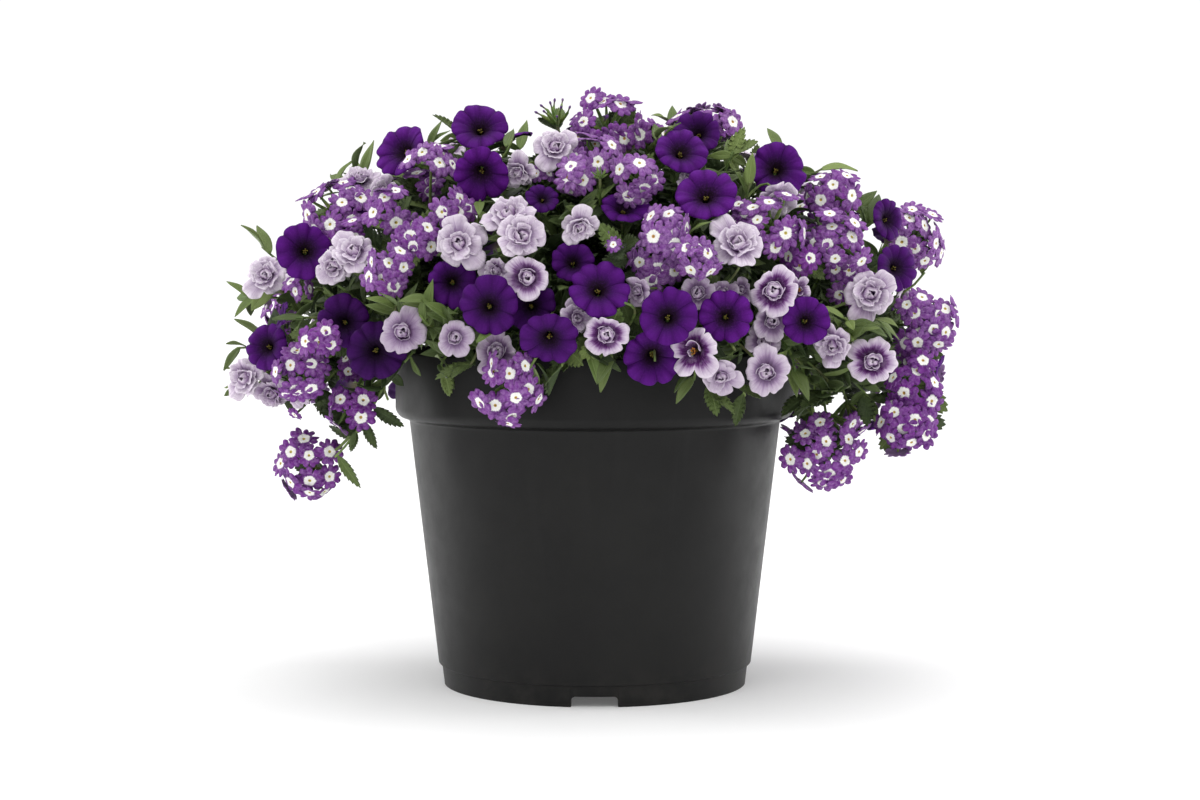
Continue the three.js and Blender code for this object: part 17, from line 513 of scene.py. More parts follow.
class Form:
    """Vertices, faces, a slot number for each face and two vectors for each vertex."""

    def __init__(self):
        self.v, self.pq, self.rq, self.q, self.t, self.mq, self.mt = [], [], [], [], [], [], []
        self.n = 0

    def add(self, v, quads=None, tris=None, slot=0, pq=None, rq=None):
        v = np.asarray(v, float).reshape(-1, 3)
        k = len(v)
        self.v.append(v)
        self.pq.append(np.zeros((k, 3)) if pq is None else np.asarray(pq, float).reshape(-1, 3))
        self.rq.append(np.zeros((k, 3)) if rq is None else np.broadcast_to(np.asarray(rq, float), (k, 3)))
        if quads is not None and len(quads):
            quads = np.asarray(quads, np.int64).reshape(-1, 4)
            self.q.append(quads + self.n)
            self.mq.append(np.broadcast_to(slot, (len(quads),)).astype(np.int32))
        if tris is not None and len(tris):
            tris = np.asarray(tris, np.int64).reshape(-1, 3)
            self.t.append(tris + self.n)
            self.mt.append(np.broadcast_to(slot, (len(tris),)).astype(np.int32))
        self.n += k

    def done(self):
        z4, z3 = np.zeros((0, 4), np.int64), np.zeros((0, 3), np.int64)
        z = np.zeros(0, np.int32)
        return dict(v=np.vstack(self.v), pq=np.vstack(self.pq), rq=np.vstack(self.rq), q=np.vstack(self.q) if self.q else z4,
                    t=np.vstack(self.t) if self.t else z3, mq=np.concatenate(self.mq) if self.mq else z,
                    mt=np.concatenate(self.mt) if self.mt else z)

    def put(self, form, turn=None, at=(0, 0, 0), size=1.0, rq=None, pq=None):
        """Adds a copy of a finished form, scaled, turned and moved."""
        v = form["v"] * np.asarray(size, float)
        if turn is not None:
            v = v @ np.asarray(turn, float).T
        v = v + np.asarray(at, float)
        self.v.append(v)
        self.pq.append(form["pq"] if pq is None else pq)
        self.rq.append(form["rq"] if rq is None else np.broadcast_to(np.asarray(rq, float), (len(v), 3)))
        if len(form["q"]):
            self.q.append(form["q"] + self.n)
            self.mq.append(form["mq"])
        if len(form["t"]):
            self.t.append(form["t"] + self.n)
            self.mt.append(form["mt"])
        self.n += len(v)


def sheet(form, P, pq, thick, wrap, slot=0, under=None, flip=False):
    """A thin closed sheet on a grid of points P[i, j]. pq's third number gets 0.5 more on the underside."""
    nu, nv = P.shape[:2]
    pq = np.asarray(pq, float)
    if flip:
        P, pq = P[::-1], pq[::-1]
    if wrap:
        du = np.roll(P, -1, 0) - np.roll(P, 1, 0)
    else:
        du = np.gradient(P, axis=0)
    dv = np.gradient(P, axis=1)
    N = np.cross(du, dv)
    N /= np.maximum(np.linalg.norm(N, axis=2, keepdims=True), 1e-12)
    top, bot = P + N * thick / 2, P - N * thick / 2
    idx = np.arange(nu * nv).reshape(nu, nv)
    i0 = np.arange(nu if wrap else nu - 1)
    i1 = (i0 + 1) % nu
    a, b = idx[i0][:, :-1], idx[i1][:, :-1]
    c, d = idx[i1][:, 1:], idx[i0][:, 1:]
    f = np.stack([a, b, c, d], -1).reshape(-1, 4)
    m = nu * nv
    g = f[:, ::-1] + m
    rims = []
    e0, e1 = idx[i0][:, -1], idx[i1][:, -1]
    rims.append(np.stack([e0, e1, e1 + m, e0 + m], -1))
    e0, e1 = idx[i0][:, 0], idx[i1][:, 0]
    rims.append(np.stack([e0, e0 + m, e1 + m, e1], -1))
    if not wrap:
        e0, e1 = idx[-1, :-1], idx[-1, 1:]
        rims.append(np.stack([e0, e0 + m, e1 + m, e1], -1))
        e0, e1 = idx[0, :-1], idx[0, 1:]
        rims.append(np.stack([e0, e1, e1 + m, e0 + m], -1))
    r = np.vstack(rims)
    pq = np.asarray(pq, float).reshape(-1, 3)
    low = pq.copy()
    low[:, 2] += 0.5
    quads = np.vstack([f, r, g])
    under = slot if under is None else under
    slots = np.concatenate([np.full(len(f) + len(r), slot), np.full(len(g), under)])
    form.add(np.vstack([top.reshape(-1, 3), bot.reshape(-1, 3)]), quads, None, slots, np.vstack([pq, low]))


def tube(form, P, radius, sides=6, slot=0, rq=None, around=None, tip=0.6):
    """A round closed tube along points P. pq is (along from 0 to 1, angle, tip)."""
    P = np.asarray(P, float)
    n = len(P)
    R = np.broadcast_to(np.asarray(radius, float), (n,))
    T = np.gradient(P, axis=0)
    T /= np.maximum(np.linalg.norm(T, axis=1, keepdims=True), 1e-9)
    a = np.cross(T[0], [0.31, 0.17, 0.93])
    if np.linalg.norm(a) < 0.1:
        a = np.cross(T[0], [1, 0, 0])
    a = unit(a)
    rings, pq = [], []
    ang = np.arange(sides) / sides * TAU
    for i in range(n):
        a = unit(a - T[i] * float(a @ T[i]))
        b = np.cross(T[i], a)
        rings.append(P[i] + R[i] * (np.cos(ang)[:, None] * a + np.sin(ang)[:, None] * b))
        pq.append(np.stack([np.full(sides, i / (n - 1)), ang / TAU, np.zeros(sides)], 1))
    v = np.vstack(rings + [[P[0] - T[0] * R[0] * tip], [P[-1] + T[-1] * R[-1] * tip]])
    pq = np.vstack(pq + [[[0, 0, 0]], [[1, 0, 0]]])
    k = np.arange(sides)
    k1 = (k + 1) % sides
    quads = np.vstack([np.stack([i * sides + k, i * sides + k1, (i + 1) * sides + k1, (i + 1) * sides + k], 1) for i in range(n - 1)])
    s = n * sides
    e = (n - 1) * sides
    tris = np.vstack([np.stack([k1, k, np.full(sides, s)], 1), np.stack([e + k, e + k1, np.full(sides, s + 1)], 1)])
    form.add(v, quads, tris, slot, pq, rq)


def bead(form, at, size, axis=(0, 0, 1), slot=0, n=6, m=4, pq=(0, 0, 0)):
    """A small rounded body, stretched along an axis."""
    w = unit(axis)
    u = unit(np.cross(w, [0.3, 0.9, 0.1]))
    k = np.cross(w, u)
    size = np.broadcast_to(np.asarray(size, float), (2,))
    lat = np.linspace(-1, 1, m + 2)[1:-1] * math.pi / 2
    ang = np.arange(n) / n * TAU
    v = []
    for la in lat:
        v.append(np.asarray(at) + size[0] * math.cos(la) * (np.cos(ang)[:, None] * u + np.sin(ang)[:, None] * k) + size[1] * math.sin(la) * w)
    v = np.vstack(v + [[np.asarray(at) - size[1] * w], [np.asarray(at) + size[1] * w]])
    j = np.arange(n)
    j1 = (j + 1) % n
    quads = np.vstack([np.stack([i * n + j, i * n + j1, (i + 1) * n + j1, (i + 1) * n + j], 1) for i in range(m - 1)])
    s, e = m * n, (m - 1) * n
    tris = np.vstack([np.stack([j1, j, np.full(n, s)], 1), np.stack([e + j, e + j1, np.full(n, s + 1)], 1)])
    form.add(v, quads, tris, slot, np.tile(pq, (len(v), 1)))


def turn_to(n, spin=0.0, up=None):
    """Rotation whose third column is n."""
    w = unit(n)
    ref = np.array([0, 0, 1.0]) if up is None else unit(up)
    if abs(float(ref @ w)) > 0.98:
        ref = np.array([0, 1.0, 0])
    u = unit(np.cross(ref, w))
    k = np.cross(w, u)
    c, s = math.cos(spin), math.sin(spin)
    return np.stack([u * c + k * s, k * c - u * s, w], 1)


# slots of every plant piece, in this order
PETAL, POLLEN, GREEN, STEM, LEAF, BUD = range(6)


def wave(rng, th, lows=(2, 3, 4), power=1.0):
    w = np.zeros_like(th)
    for k in lows:
        w += rng.normal(0, 1 / k ** power) * np.cos(k * th + rng.uniform(0, TAU))
    return w / max(1e-6, float(np.abs(w).max()))


# ---------------------------------------------------------------- blooms, each 1 across its radius
def sepals(form, base, top, spread, wide, count, rng, slot=GREEN):
    """A calyx: narrow pointed sepals that rise from base and spread at their tips."""
    for k in range(count):
        a = TAU * (k + rng.uniform(-0.1, 0.1)) / count
        tip = spread * rng.uniform(0.75, 1.2)
        line = curve([(0.075, base), (0.12, base + (top - base) * 0.35), (0.13 + tip * 0.4, base + (top - base) * 0.7), (0.11 + tip, top)], 6)
        w = wide * np.array([0.7, 1.0, 1.05, 0.9, 0.55, 0.04])
        e = np.array([-1, 0, 1.0])
        ct, st = math.cos(a), math.sin(a)
        P = np.zeros((6, 3, 3))
        for i in range(6):
            r, z = line[i]
            c = np.array([r * ct, r * st, z])
            side = np.array([-st, ct, 0])
            P[i] = c + side * (e * w[i])[:, None] + np.array([ct, st, 0]) * (-0.02 * np.abs(e))[:, None]
        pq = np.zeros((6, 3, 3))
        pq[:, :, 0] = e
        pq[:, :, 1] = np.linspace(0, 1, 6)[:, None]
        sheet(form, P.transpose(1, 0, 2), pq.transpose(1, 0, 2), 0.02, False, slot)


def violet_bloom(seed):
    rng = np.random.default_rng(seed)
    f = Form()
    nu, nv = 110, 15
    th = np.arange(nu) / nu * TAU
    line = curve([(0.075, -0.70), (0.10, -0.50), (0.14, -0.36), (0.21, -0.235), (0.34, -0.125), (0.56, -0.04), (0.82, 0.0), (1.0, -0.02)], nv)
    s = np.linspace(0, 1, nv)[None]
    r, z = line[:, 0][None], line[:, 1][None]
    warp = 0.09 * wave(rng, th, (1, 2, 3))[:, None]
    t5 = th[:, None] + warp
    k = np.floor(5 * t5 / TAU).astype(int) % 5
    off = 2 * ((5 * t5 / TAU) % 1.0) - 1  # -1 to 1 across each lobe, clefts at the ends
    edge = 1 - np.abs(off)
    lobe = np.clip(1 - np.abs(off) ** 4, 0, 1)
    deep, split = rng.uniform(0.06, 0.15, 5), rng.uniform(0.0, 0.075, 5)
    reach, twist, lift = 1 + rng.normal(0, 0.045, 5), rng.normal(0, 0.055, 5), rng.normal(0, 0.05, 5)
    after = np.where(off > 0, deep[(k + 1) % 5], deep[k])
    cut = after * np.exp(-(edge / 0.17) ** 1.5) + split[k] * np.exp(-(np.abs(off) / 0.22) ** 2)
    big = 1 + 0.05 * wave(rng, th, (1, 2, 3))[:, None]
    rho = (1 - cut) * (1 + (reach[k] - 1) * lobe) * big
    grow = step01(0.45, 1.0, s)
    R = r * (1 - (1 - rho) * grow)
    Z = z + 0.055 * np.clip(edge / 0.35, 0, 1) ** 0.6 * step01(0.3, 0.95, s)
    Z = Z - 0.040 * np.exp(-(edge / 0.10) ** 2) * step01(0.25, 0.7, s) - 0.030 * np.exp(-(np.abs(off) / 0.14) ** 2) * step01(0.25, 0.8, s)
    Z = Z + (twist[k] * off * np.clip(edge / 0.12, 0, 1) + lift[k] * lobe) * s ** 2.5
    Z = Z - rng.uniform(0.03, 0.08) * step01(0.74, 1.0, s) ** 1.3
    Z = Z + rng.uniform(-0.05, 0.12) * s ** 2
    Z = Z + rng.uniform(0.03, 0.08) * wave(rng, th, (2, 3, 4), 0.4)[:, None] * s ** 2 + 0.030 * wave(rng, th, (7, 9, 13, 17), 0)[:, None] * s ** 4
    Z = Z + 0.06 * rng.uniform(-1, 1) * np.cos(th[:, None] + rng.uniform(0, TAU)) * s
    P = np.stack([R * np.cos(th)[:, None], R * np.sin(th)[:, None], Z], 2)
    pq = np.stack([r * np.cos(t5), r * np.sin(t5), np.zeros_like(r * t5)], 2)
    sheet(f, P, pq, 0.016, True, PETAL, flip=True)
    for k in range(5):
        a = TAU * k / 5 + rng.uniform(-0.4, 0.4)
        d = rng.uniform(0.04, 0.085)
        top = np.array([d * math.cos(a), d * math.sin(a), rng.uniform(-0.30, -0.20)])
        tube(f, [np.array([0.3, 0.3, 1]) * np.array([top[0], top[1], -0.50]), top * [0.8, 0.8, 1.3], top], [0.010, 0.010, 0.009], 4, POLLEN)
        bead(f, top, (0.030, 0.044), (math.cos(a) * 0.5, math.sin(a) * 0.5, 1), POLLEN, 6, 3, (rng.uniform(), 0, 0))
    bead(f, (rng.uniform(-.02, .02), rng.uniform(-.02, .02), -0.21), (0.034, 0.026), (0, 0, 1), POLLEN, 6, 3, (0.9, 0, 0))
    sepals(f, -0.72, -0.36, 0.13, 0.055, 5, rng)
    bead(f, (0, 0, -0.70), (0.085, 0.06), (0, 0, 1), GREEN, 8, 3)
    return f.done()


def lobed(form, rng, line, nu, lobes, deep, wide, turn, whorl, tilt, spread, fine, thick, tip=0.0):
    """One corolla of a double bloom: a surface of revolution with lobes that lean and stretch by chance."""
    nv = len(line)
    th = np.arange(nu) / nu * TAU
    s = np.linspace(0, 1, nv)[None]
    r, z = line[:, 0][None], line[:, 1][None]
    t5 = th[:, None] + turn + 0.07 * wave(rng, th, (1, 2, 3))[:, None]
    w = np.abs(np.sin(lobes * t5 / 2))
    k = np.floor(lobes * t5 / TAU).astype(int) % lobes
    lean, reach, twist = rng.normal(0, tilt, lobes), 1 + rng.normal(0, spread, lobes), rng.normal(0, 0.5, lobes)
    cut = deep * np.exp(-(w / wide) ** 1.6)
    grow = step01(0.30, 1.0, s)
    soft = w ** 0.8
    R = r * (1 - cut * grow) * (1 + (reach[k] - 1) * soft * grow)
    off = np.sin(lobes * t5)
    Z = z + lean[k] * soft * s ** 2 + twist[k] * off * 0.10 * s ** 2
    Z = Z + 0.05 * soft * step01(0.3, 0.9, s) - 0.03 * (1 - w) * step01(0.3, 0.8, s)
    Z = Z + fine * wave(rng, th, (7, 9, 12, 15), 0)[:, None] * s ** 3 + fine * wave(rng, th, (3, 4, 5, 6), 0)[:, None] * s ** 1.5
    R = R * (1 + fine * 0.8 * wave(rng, th, (2, 3, 6, 9, 13), 0)[:, None] * s ** 3)
    R = R * (1 - tip * step01(0.75, 1, s))
    P = np.stack([R * np.cos(th)[:, None], R * np.sin(th)[:, None], Z], 2)
    q = (r / r.max() if whorl == 0 else s)
    pq = np.stack([q * np.cos(t5), q * np.sin(t5), np.full_like(s * t5, float(whorl))], 2)
    sheet(form, P, pq, thick, True, PETAL, flip=True)


def petaloid(form, rng, a0, span, foot, rim, low, high, swell, lean=0.0, whorl=2, flip=True):
    """A curled inner petal round the throat. Its radius goes from foot to rim as it rises from low to high."""
    n, m = 19, 8
    e = np.linspace(-1, 1, n)[:, None]
    a = a0 + e * span / 2
    s = np.linspace(0, 1, m)[None]
    top = high * rng.uniform(0.75, 1.15) * (1 - 0.55 * np.abs(e) ** 3) * (1 + 0.20 * np.cos(4 * e + rng.uniform(0, 6)))
    R = foot + (rim - foot) * s ** 1.2 + swell * np.sin(math.pi * s)
    R = R * (1 + lean * e) + 0.040 * np.sin(rng.uniform(2.5, 4.5) * e + rng.uniform(0, 6)) * s + 0.010 * np.sin(9 * e + rng.uniform(0, 6)) * s ** 2
    Z = low + (top - low) * s - 0.04 * step01(0.8, 1.0, s)
    P = np.stack([R * np.cos(a), R * np.sin(a), Z + 0 * a], 2)
    pq = np.stack([s * np.cos(a), s * np.sin(a), np.full_like(s * a, float(whorl))], 2)
    sheet(form, P, pq, 0.020, False, PETAL, flip=flip)


def lilac_bloom(seed, kind):
    """kind: 0 rosebud centre, 1 with a second ruffled corolla, 2 half open, 3 open with stamens showing, 4 full double."""
    rng = np.random.default_rng(seed)
    f = Form()
    outer = curve([(0.085, -0.70), (0.11, -0.50), (0.16, -0.34), (0.27, -0.19), (0.43, -0.09), (0.68, -0.02), (0.90, -0.01), (1.0, -0.06)], 14)
    if kind == 2:
        outer[:, 1] += 0.24 * np.linspace(0, 1, 14) ** 2
    lobed(f, rng, outer, 120, 5, rng.uniform(0.10, 0.26), 0.22, 0.0, 0, 0.20, 0.13, 0.075, 0.018)
    a0 = rng.uniform(0, 6)
    up = 0.08 * (kind == 2)
    if kind == 1:
        ruff = curve([(0.10, -0.36), (0.22, -0.17), (0.36, -0.03), (0.50, 0.07), (0.62, 0.14), (0.70, 0.15)], 11)
        lobed(f, rng, ruff, 96, 5, rng.uniform(0.12, 0.24), 0.26, 0.63 + rng.uniform(-0.3, 0.3), 1, 0.10, 0.22, 0.045, 0.018)
    elif kind == 4:
        ruff = curve([(0.10, -0.36), (0.24, -0.16), (0.42, -0.02), (0.60, 0.08), (0.73, 0.15), (0.80, 0.14)], 12)
        lobed(f, rng, ruff, 110, 5, rng.uniform(0.14, 0.28), 0.24, 0.63 + rng.uniform(-0.3, 0.3), 1, 0.14, 0.16, 0.060, 0.018)
        cup = curve([(0.10, -0.32), (0.20, -0.10), (0.33, 0.07), (0.45, 0.20), (0.53, 0.26)], 10)
        lobed(f, rng, cup, 90, 4, rng.uniform(0.20, 0.36), 0.28, rng.uniform(0, 6), 2, 0.10, 0.20, 0.055, 0.018)
        up = 0.10
    elif kind != 3:
        cup = curve([(0.10, -0.36), (0.19, -0.17), (0.27, -0.03), (0.33, 0.08), (0.36, 0.14)], 9)
        lobed(f, rng, cup, 72, 4, rng.uniform(0.20, 0.38), 0.34, rng.uniform(0, 6), 2, 0.10, 0.20, 0.05, 0.018)
    if kind == 3:
        for k in range(9):
            a, d = TAU * k / 9 + rng.uniform(-.3, .3), rng.uniform(0.05, 0.16)
            top = np.array([d * math.cos(a), d * math.sin(a), rng.uniform(-0.02, 0.10)])
            tube(f, [[top[0] * .3, top[1] * .3, -0.35], top * [.8, .8, 1] - [0, 0, .1], top], 0.012, 4, POLLEN)
            bead(f, top, (0.035, 0.05), (math.cos(a), math.sin(a), 1), POLLEN, 6, 3, (0.1, 1, 0))
        petaloid(f, rng, a0, 2.6, 0.24, 0.40, -0.2, 0.20, 0.03, 0.1)
        petaloid(f, rng, a0 + 2.2, 1.4, 0.20, 0.16, -0.2, 0.24, 0.05, 0.2, 3, False)
    else:
        # flaring petals, then overlapping ones that close over the centre like a bud
        for j in range(4):
            petaloid(f, rng, a0 + j * 1.6 + rng.uniform(-0.3, 0.3), rng.uniform(1.5, 2.1), rng.uniform(0.22, 0.30), rng.uniform(0.31, 0.44), -0.16, rng.uniform(0.14, 0.24) + up, 0.03, rng.uniform(-0.2, 0.2))
        petaloid(f, rng, a0 + 0.7, rng.uniform(2.2, 2.8), 0.31, 0.16, -0.06, 0.27 + up, 0.07, rng.uniform(-0.25, 0.25), 3, False)
        petaloid(f, rng, a0 + 2.9, rng.uniform(2.0, 2.6), 0.27, 0.09, -0.06, 0.31 + up, 0.06, rng.uniform(-0.25, 0.25), 3, False)
        petaloid(f, rng, a0 + 4.6, rng.uniform(1.9, 2.6), 0.22, 0.03, -0.06, 0.33 + up, 0.05, rng.uniform(-0.3, 0.3), 3, False)
        petaloid(f, rng, a0 + 1.6, 2.9, 0.11, -0.05, -0.06, 0.30 + up, 0.04, 0.1, 3, False)
    sepals(f, -0.76, -0.36, 0.14, 0.060, 5, rng)
    bead(f, (0, 0, -0.74), (0.095, 0.07), (0, 0, 1), GREEN, 8, 3)
    return f.done()


def floret(seed):
    """One verbena floret, 1 across its radius, facing +Z."""
    rng = np.random.default_rng(seed)
    f = Form()
    nu, nv = 70, 7
    th = np.arange(nu) / nu * TAU
    line = curve([(0.02, -0.03), (0.08, 0.0), (0.18, 0.018), (0.38, 0.025), (0.62, 0.03), (0.84, 0.01), (1.0, -0.03)], nv)
    s = np.linspace(0, 1, nv)[None]
    r, z = line[:, 0][None], line[:, 1][None]
    o = ((th * 5 / TAU) % 1.0) - 0.5
    w = np.abs(o)[:, None] * 2
    k = np.floor(th * 5 / TAU).astype(int) % 5
    reach, lean, roll = 1 + rng.normal(0, 0.07, 5), rng.normal(-0.03, 0.12, 5), rng.normal(0, 0.14, 5)
    notch = rng.uniform(0.08, 0.24, 5)
    rho = 0.54 + 0.46 * np.clip(1 - w ** 4.6, 0, 1) ** 0.50
    rho = rho * (1 - notch[k][:, None] * np.exp(-(w / 0.17) ** 2)) + 0.045 * np.exp(-((w - 0.45) / 0.18) ** 2) + 0.015 * wave(rng, th, (11, 14), 0)[:, None]
    rho = rho * (1 + (reach[k][:, None] - 1) * (1 - w ** 2))
    grow = step01(0.20, 1.0, s)
    R = r * (1 - (1 - rho) * grow)
    soft = (1 - w ** 2)
    Z = z + lean[k][:, None] * s ** 2 * soft + roll[k][:, None] * o[:, None] * 2 * s ** 2 * 0.5 - 0.05 * w ** 2 * step01(.3, 1, s) - 0.05 * np.exp(-(w / .3) ** 2) * s ** 2
    P = np.stack([R * np.cos(th)[:, None], R * np.sin(th)[:, None], Z], 2)
    pq = np.stack([R * np.cos(th)[:, None], R * np.sin(th)[:, None], 0 * Z], 2)
    sheet(f, P, pq, 0.030, True, PETAL, flip=True)
    return f.done()


FLORETS = [floret(300 + k) for k in range(8)]


def umbel(rng, kind, size):
    """A verbena head, 1 across its radius; size is that radius in mm, so that florets stay the same size on every head.
    The stalk meets it at z = -0.47. kind: 'o' open, 'b' buds, 'g' spent green fan, 's' one floret."""
    f = Form()
    foot = np.array([0, 0, -0.47])
    wide = min(0.66, 9.1 / size)
    fine = min(1.6, 25.0 / size)
    count = {"o": max(1, int(round(1.46 * (size / 8.4) ** 2 + rng.uniform(-0.8, 0.8)))), "b": 9, "g": 11, "s": 5}[kind]
    skip = int(rng.integers(0, 3)) if kind == "o" and size > 14 else 0
    total = count + skip
    steep = math.radians(66 if total > 6 else 56)
    reach = (1.0 - wide * math.cos(steep) * 0.9) / math.sin(steep) if count > 1 else 0.0
    for k in range(total):
        bloom_here = (kind == "o" and k >= skip) or (kind == "s" and k == 0)
        c = 1 - (k + 0.35) / (total - 0.4) * (1 - math.cos(steep))
        p = math.acos(c) + rng.normal(0, 0.08)
        a = 2.39996 * k + rng.normal(0, 0.16)
        d = np.array([math.sin(p) * math.cos(a), math.sin(p) * math.sin(a), math.cos(p)])
        at = np.array([reach, reach, reach * 0.60]) * d * (1 + rng.normal(-0.02, 0.075)) + [0, 0, rng.normal(-0.34, 0.04)]
        face = unit(d * [0.88, 0.88, 1.1] + rng.normal(0, 0.19, 3))
        if kind == "b":
            at = np.array([0.80, 0.80, 0.42]) * d * rng.uniform(0.8, 1.1) + [0, 0, -0.05]
        if kind == "g":
            at = np.array([0.86, 0.86, 0.46]) * d * rng.uniform(0.8, 1.1) + [0, 0, -0.10]
        if kind == "o" and k < skip:
            at = at * [0.6, 0.6, 0.45] - [0, 0, 0.10]
        mid = foot * 0.62 + at * 0.38 - face * 0.04
        path = curve([foot, mid, at - face * 0.15, at - face * 0.03], 6)
        if bloom_here:
            tube(f, path, np.array([0.034, 0.050, 0.052, 0.042, 0.030, 0.026]) * fine, 5, GREEN, around=None)
            tube(f, curve([path[2], path[4], at - face * 0.05, at - face * 0.025], 4), np.array([0.030, 0.028, 0.028, 0.024]) * fine, 5, BUD)
            f.put(FLORETS[int(rng.integers(0, 8))], turn_to(face, rng.uniform(0, TAU)), at, wide * rng.uniform(0.86, 1.08))
        else:
            fat = (0.046 if kind != "g" else 0.040) * fine
            tube(f, path, [0.022, fat, fat * 1.12, fat * 1.0, fat * 0.8, 0.018], 5, GREEN)
            if kind in "bs" or (kind == "o" and rng.random() < 0.35):
                end = unit(path[-1] - path[-2])
                tube(f, [path[-2], path[-1] + end * 0.04, path[-1] + end * 0.12, path[-1] + end * 0.17], [0.026, 0.030, 0.050, 0.030], 6, BUD, tip=1.0)
            else:
                for j in range(3):
                    end = unit(unit(path[-1] - path[-2]) + rng.normal(0, 0.25, 3))
                    tube(f, [path[-2], path[-1] + end * 0.05], [0.018, 0.006], 4, GREEN, tip=1.5)
    bead(f, foot, (0.055, 0.05), (0, 0, 1), GREEN, 8, 3)
    return f.done()


# ---------------------------------------------------------------- leaves, 1 long along +Y, 1 wide along X, facing +Z
def petunia_leaf(seed):
    rng = np.random.default_rng(seed)
    f = Form()
    nu, nv = 5, 11
    v = np.linspace(-1, 1, nu)[:, None]
    u = np.linspace(0, 1, nv)[None]
    w = 0.5 * (np.sin(math.pi * u ** 0.82) ** 0.85) * (1 - 0.12 * u) + 0.045 * (1 - u) ** 2
    w[:, -1] = 0.012
    bend, fold, roll = rng.uniform(0.03, 0.22), rng.uniform(0.05, 0.16), rng.uniform(-0.05, 0.05)
    twist = rng.uniform(-0.5, 0.5)
    X = v * w
    Y = u - 0.35 * bend * u ** 3 + 0 * v
    Z = fold * np.abs(v) ** 1.5 * w * 1.2 - bend * u ** 2.2 + roll * v * u + twist * X * u * 0.5 + 0.010 * np.sin(9 * u + 3 * v)
    P = np.stack([X, Y, Z], 2)
    pq = np.stack([v + 0 * u, u + 0 * v, 0 * u * v], 2)
    sheet(f, P, pq, 0.016, False, LEAF)
    return f.done()


def verbena_leaf(seed):
    rng = np.random.default_rng(seed)
    f = Form()
    teeth = 6
    u = [0.0, 0.06, 0.12, 0.18]
    mul = [1, 1, 1, 1.0]
    for k in range(teeth):
        a, b = 0.18 + 0.74 * k / teeth, 0.18 + 0.74 * (k + 1) / teeth
        u += [a + (b - a) * 0.45, a + (b - a) * 0.90, a + (b - a) * 1.0]
        mul += [1.0, 1.16, 0.84]
    u += [0.97, 1.0]
    mul += [1.0, 1.0]
    u, mul = np.array(u)[None], np.array(mul)[None]
    nu = 7
    v = np.linspace(-1, 1, nu)[:, None]
    w = 0.5 * np.sin(math.pi * np.clip((u - 0.10) / 0.90, 0, 1) ** 0.80) ** 0.80 + 0.05 * (1 - u)
    w[:, -1] = 0.01
    edge = np.abs(v) ** 3
    X = v * w * (1 + (mul - 1) * edge)
    bend, fold, twist = rng.uniform(0.06, 0.26), rng.uniform(0.08, 0.2), rng.uniform(-0.4, 0.4)
    Y = u + 0.035 * (mul - 1) / 0.16 * edge * (np.abs(mul - 1) > 0) - 0.4 * bend * u ** 3 - 0.05 * np.abs(v) * (1 - u)
    crease = 0.012 * np.cos(TAU * teeth * (u - 0.18 + 0.16 * np.abs(v)) / 0.74)
    Z = fold * np.abs(v) ** 1.3 * w + crease * np.abs(v) - bend * u ** 2.0 + twist * X * u * 0.5
    P = np.stack([X, Y, Z], 2)
    pq = np.stack([v + 0 * u, u + 0 * v, 0 * u * v], 2)
    sheet(f, P, pq, 0.018, False, LEAF)
    return f.done()


VIOLETS = [violet_bloom(100 + k) for k in range(9)]
LILACS = [lilac_bloom(200 + k, (0, 1, 0, 2, 0, 4, 3, 1, 4, 2, 4, 0, 4)[k]) for k in range(13)]
SMOOTH = [petunia_leaf(500 + k) for k in range(8)]
TOOTHED = [verbena_leaf(520 + k) for k in range(8)]

# ---------------------------------------------------------------- materials


def lin(r, g, b):
    """A colour from 0 to 255 sRGB to linear."""
    c = np.array([r, g, b]) / 255.0
    c = np.where(c <= 0.04045, c / 12.92, ((c + 0.055) / 1.055) ** 2.4)
    return (float(c[0]), float(c[1]), float(c[2]), 1.0)


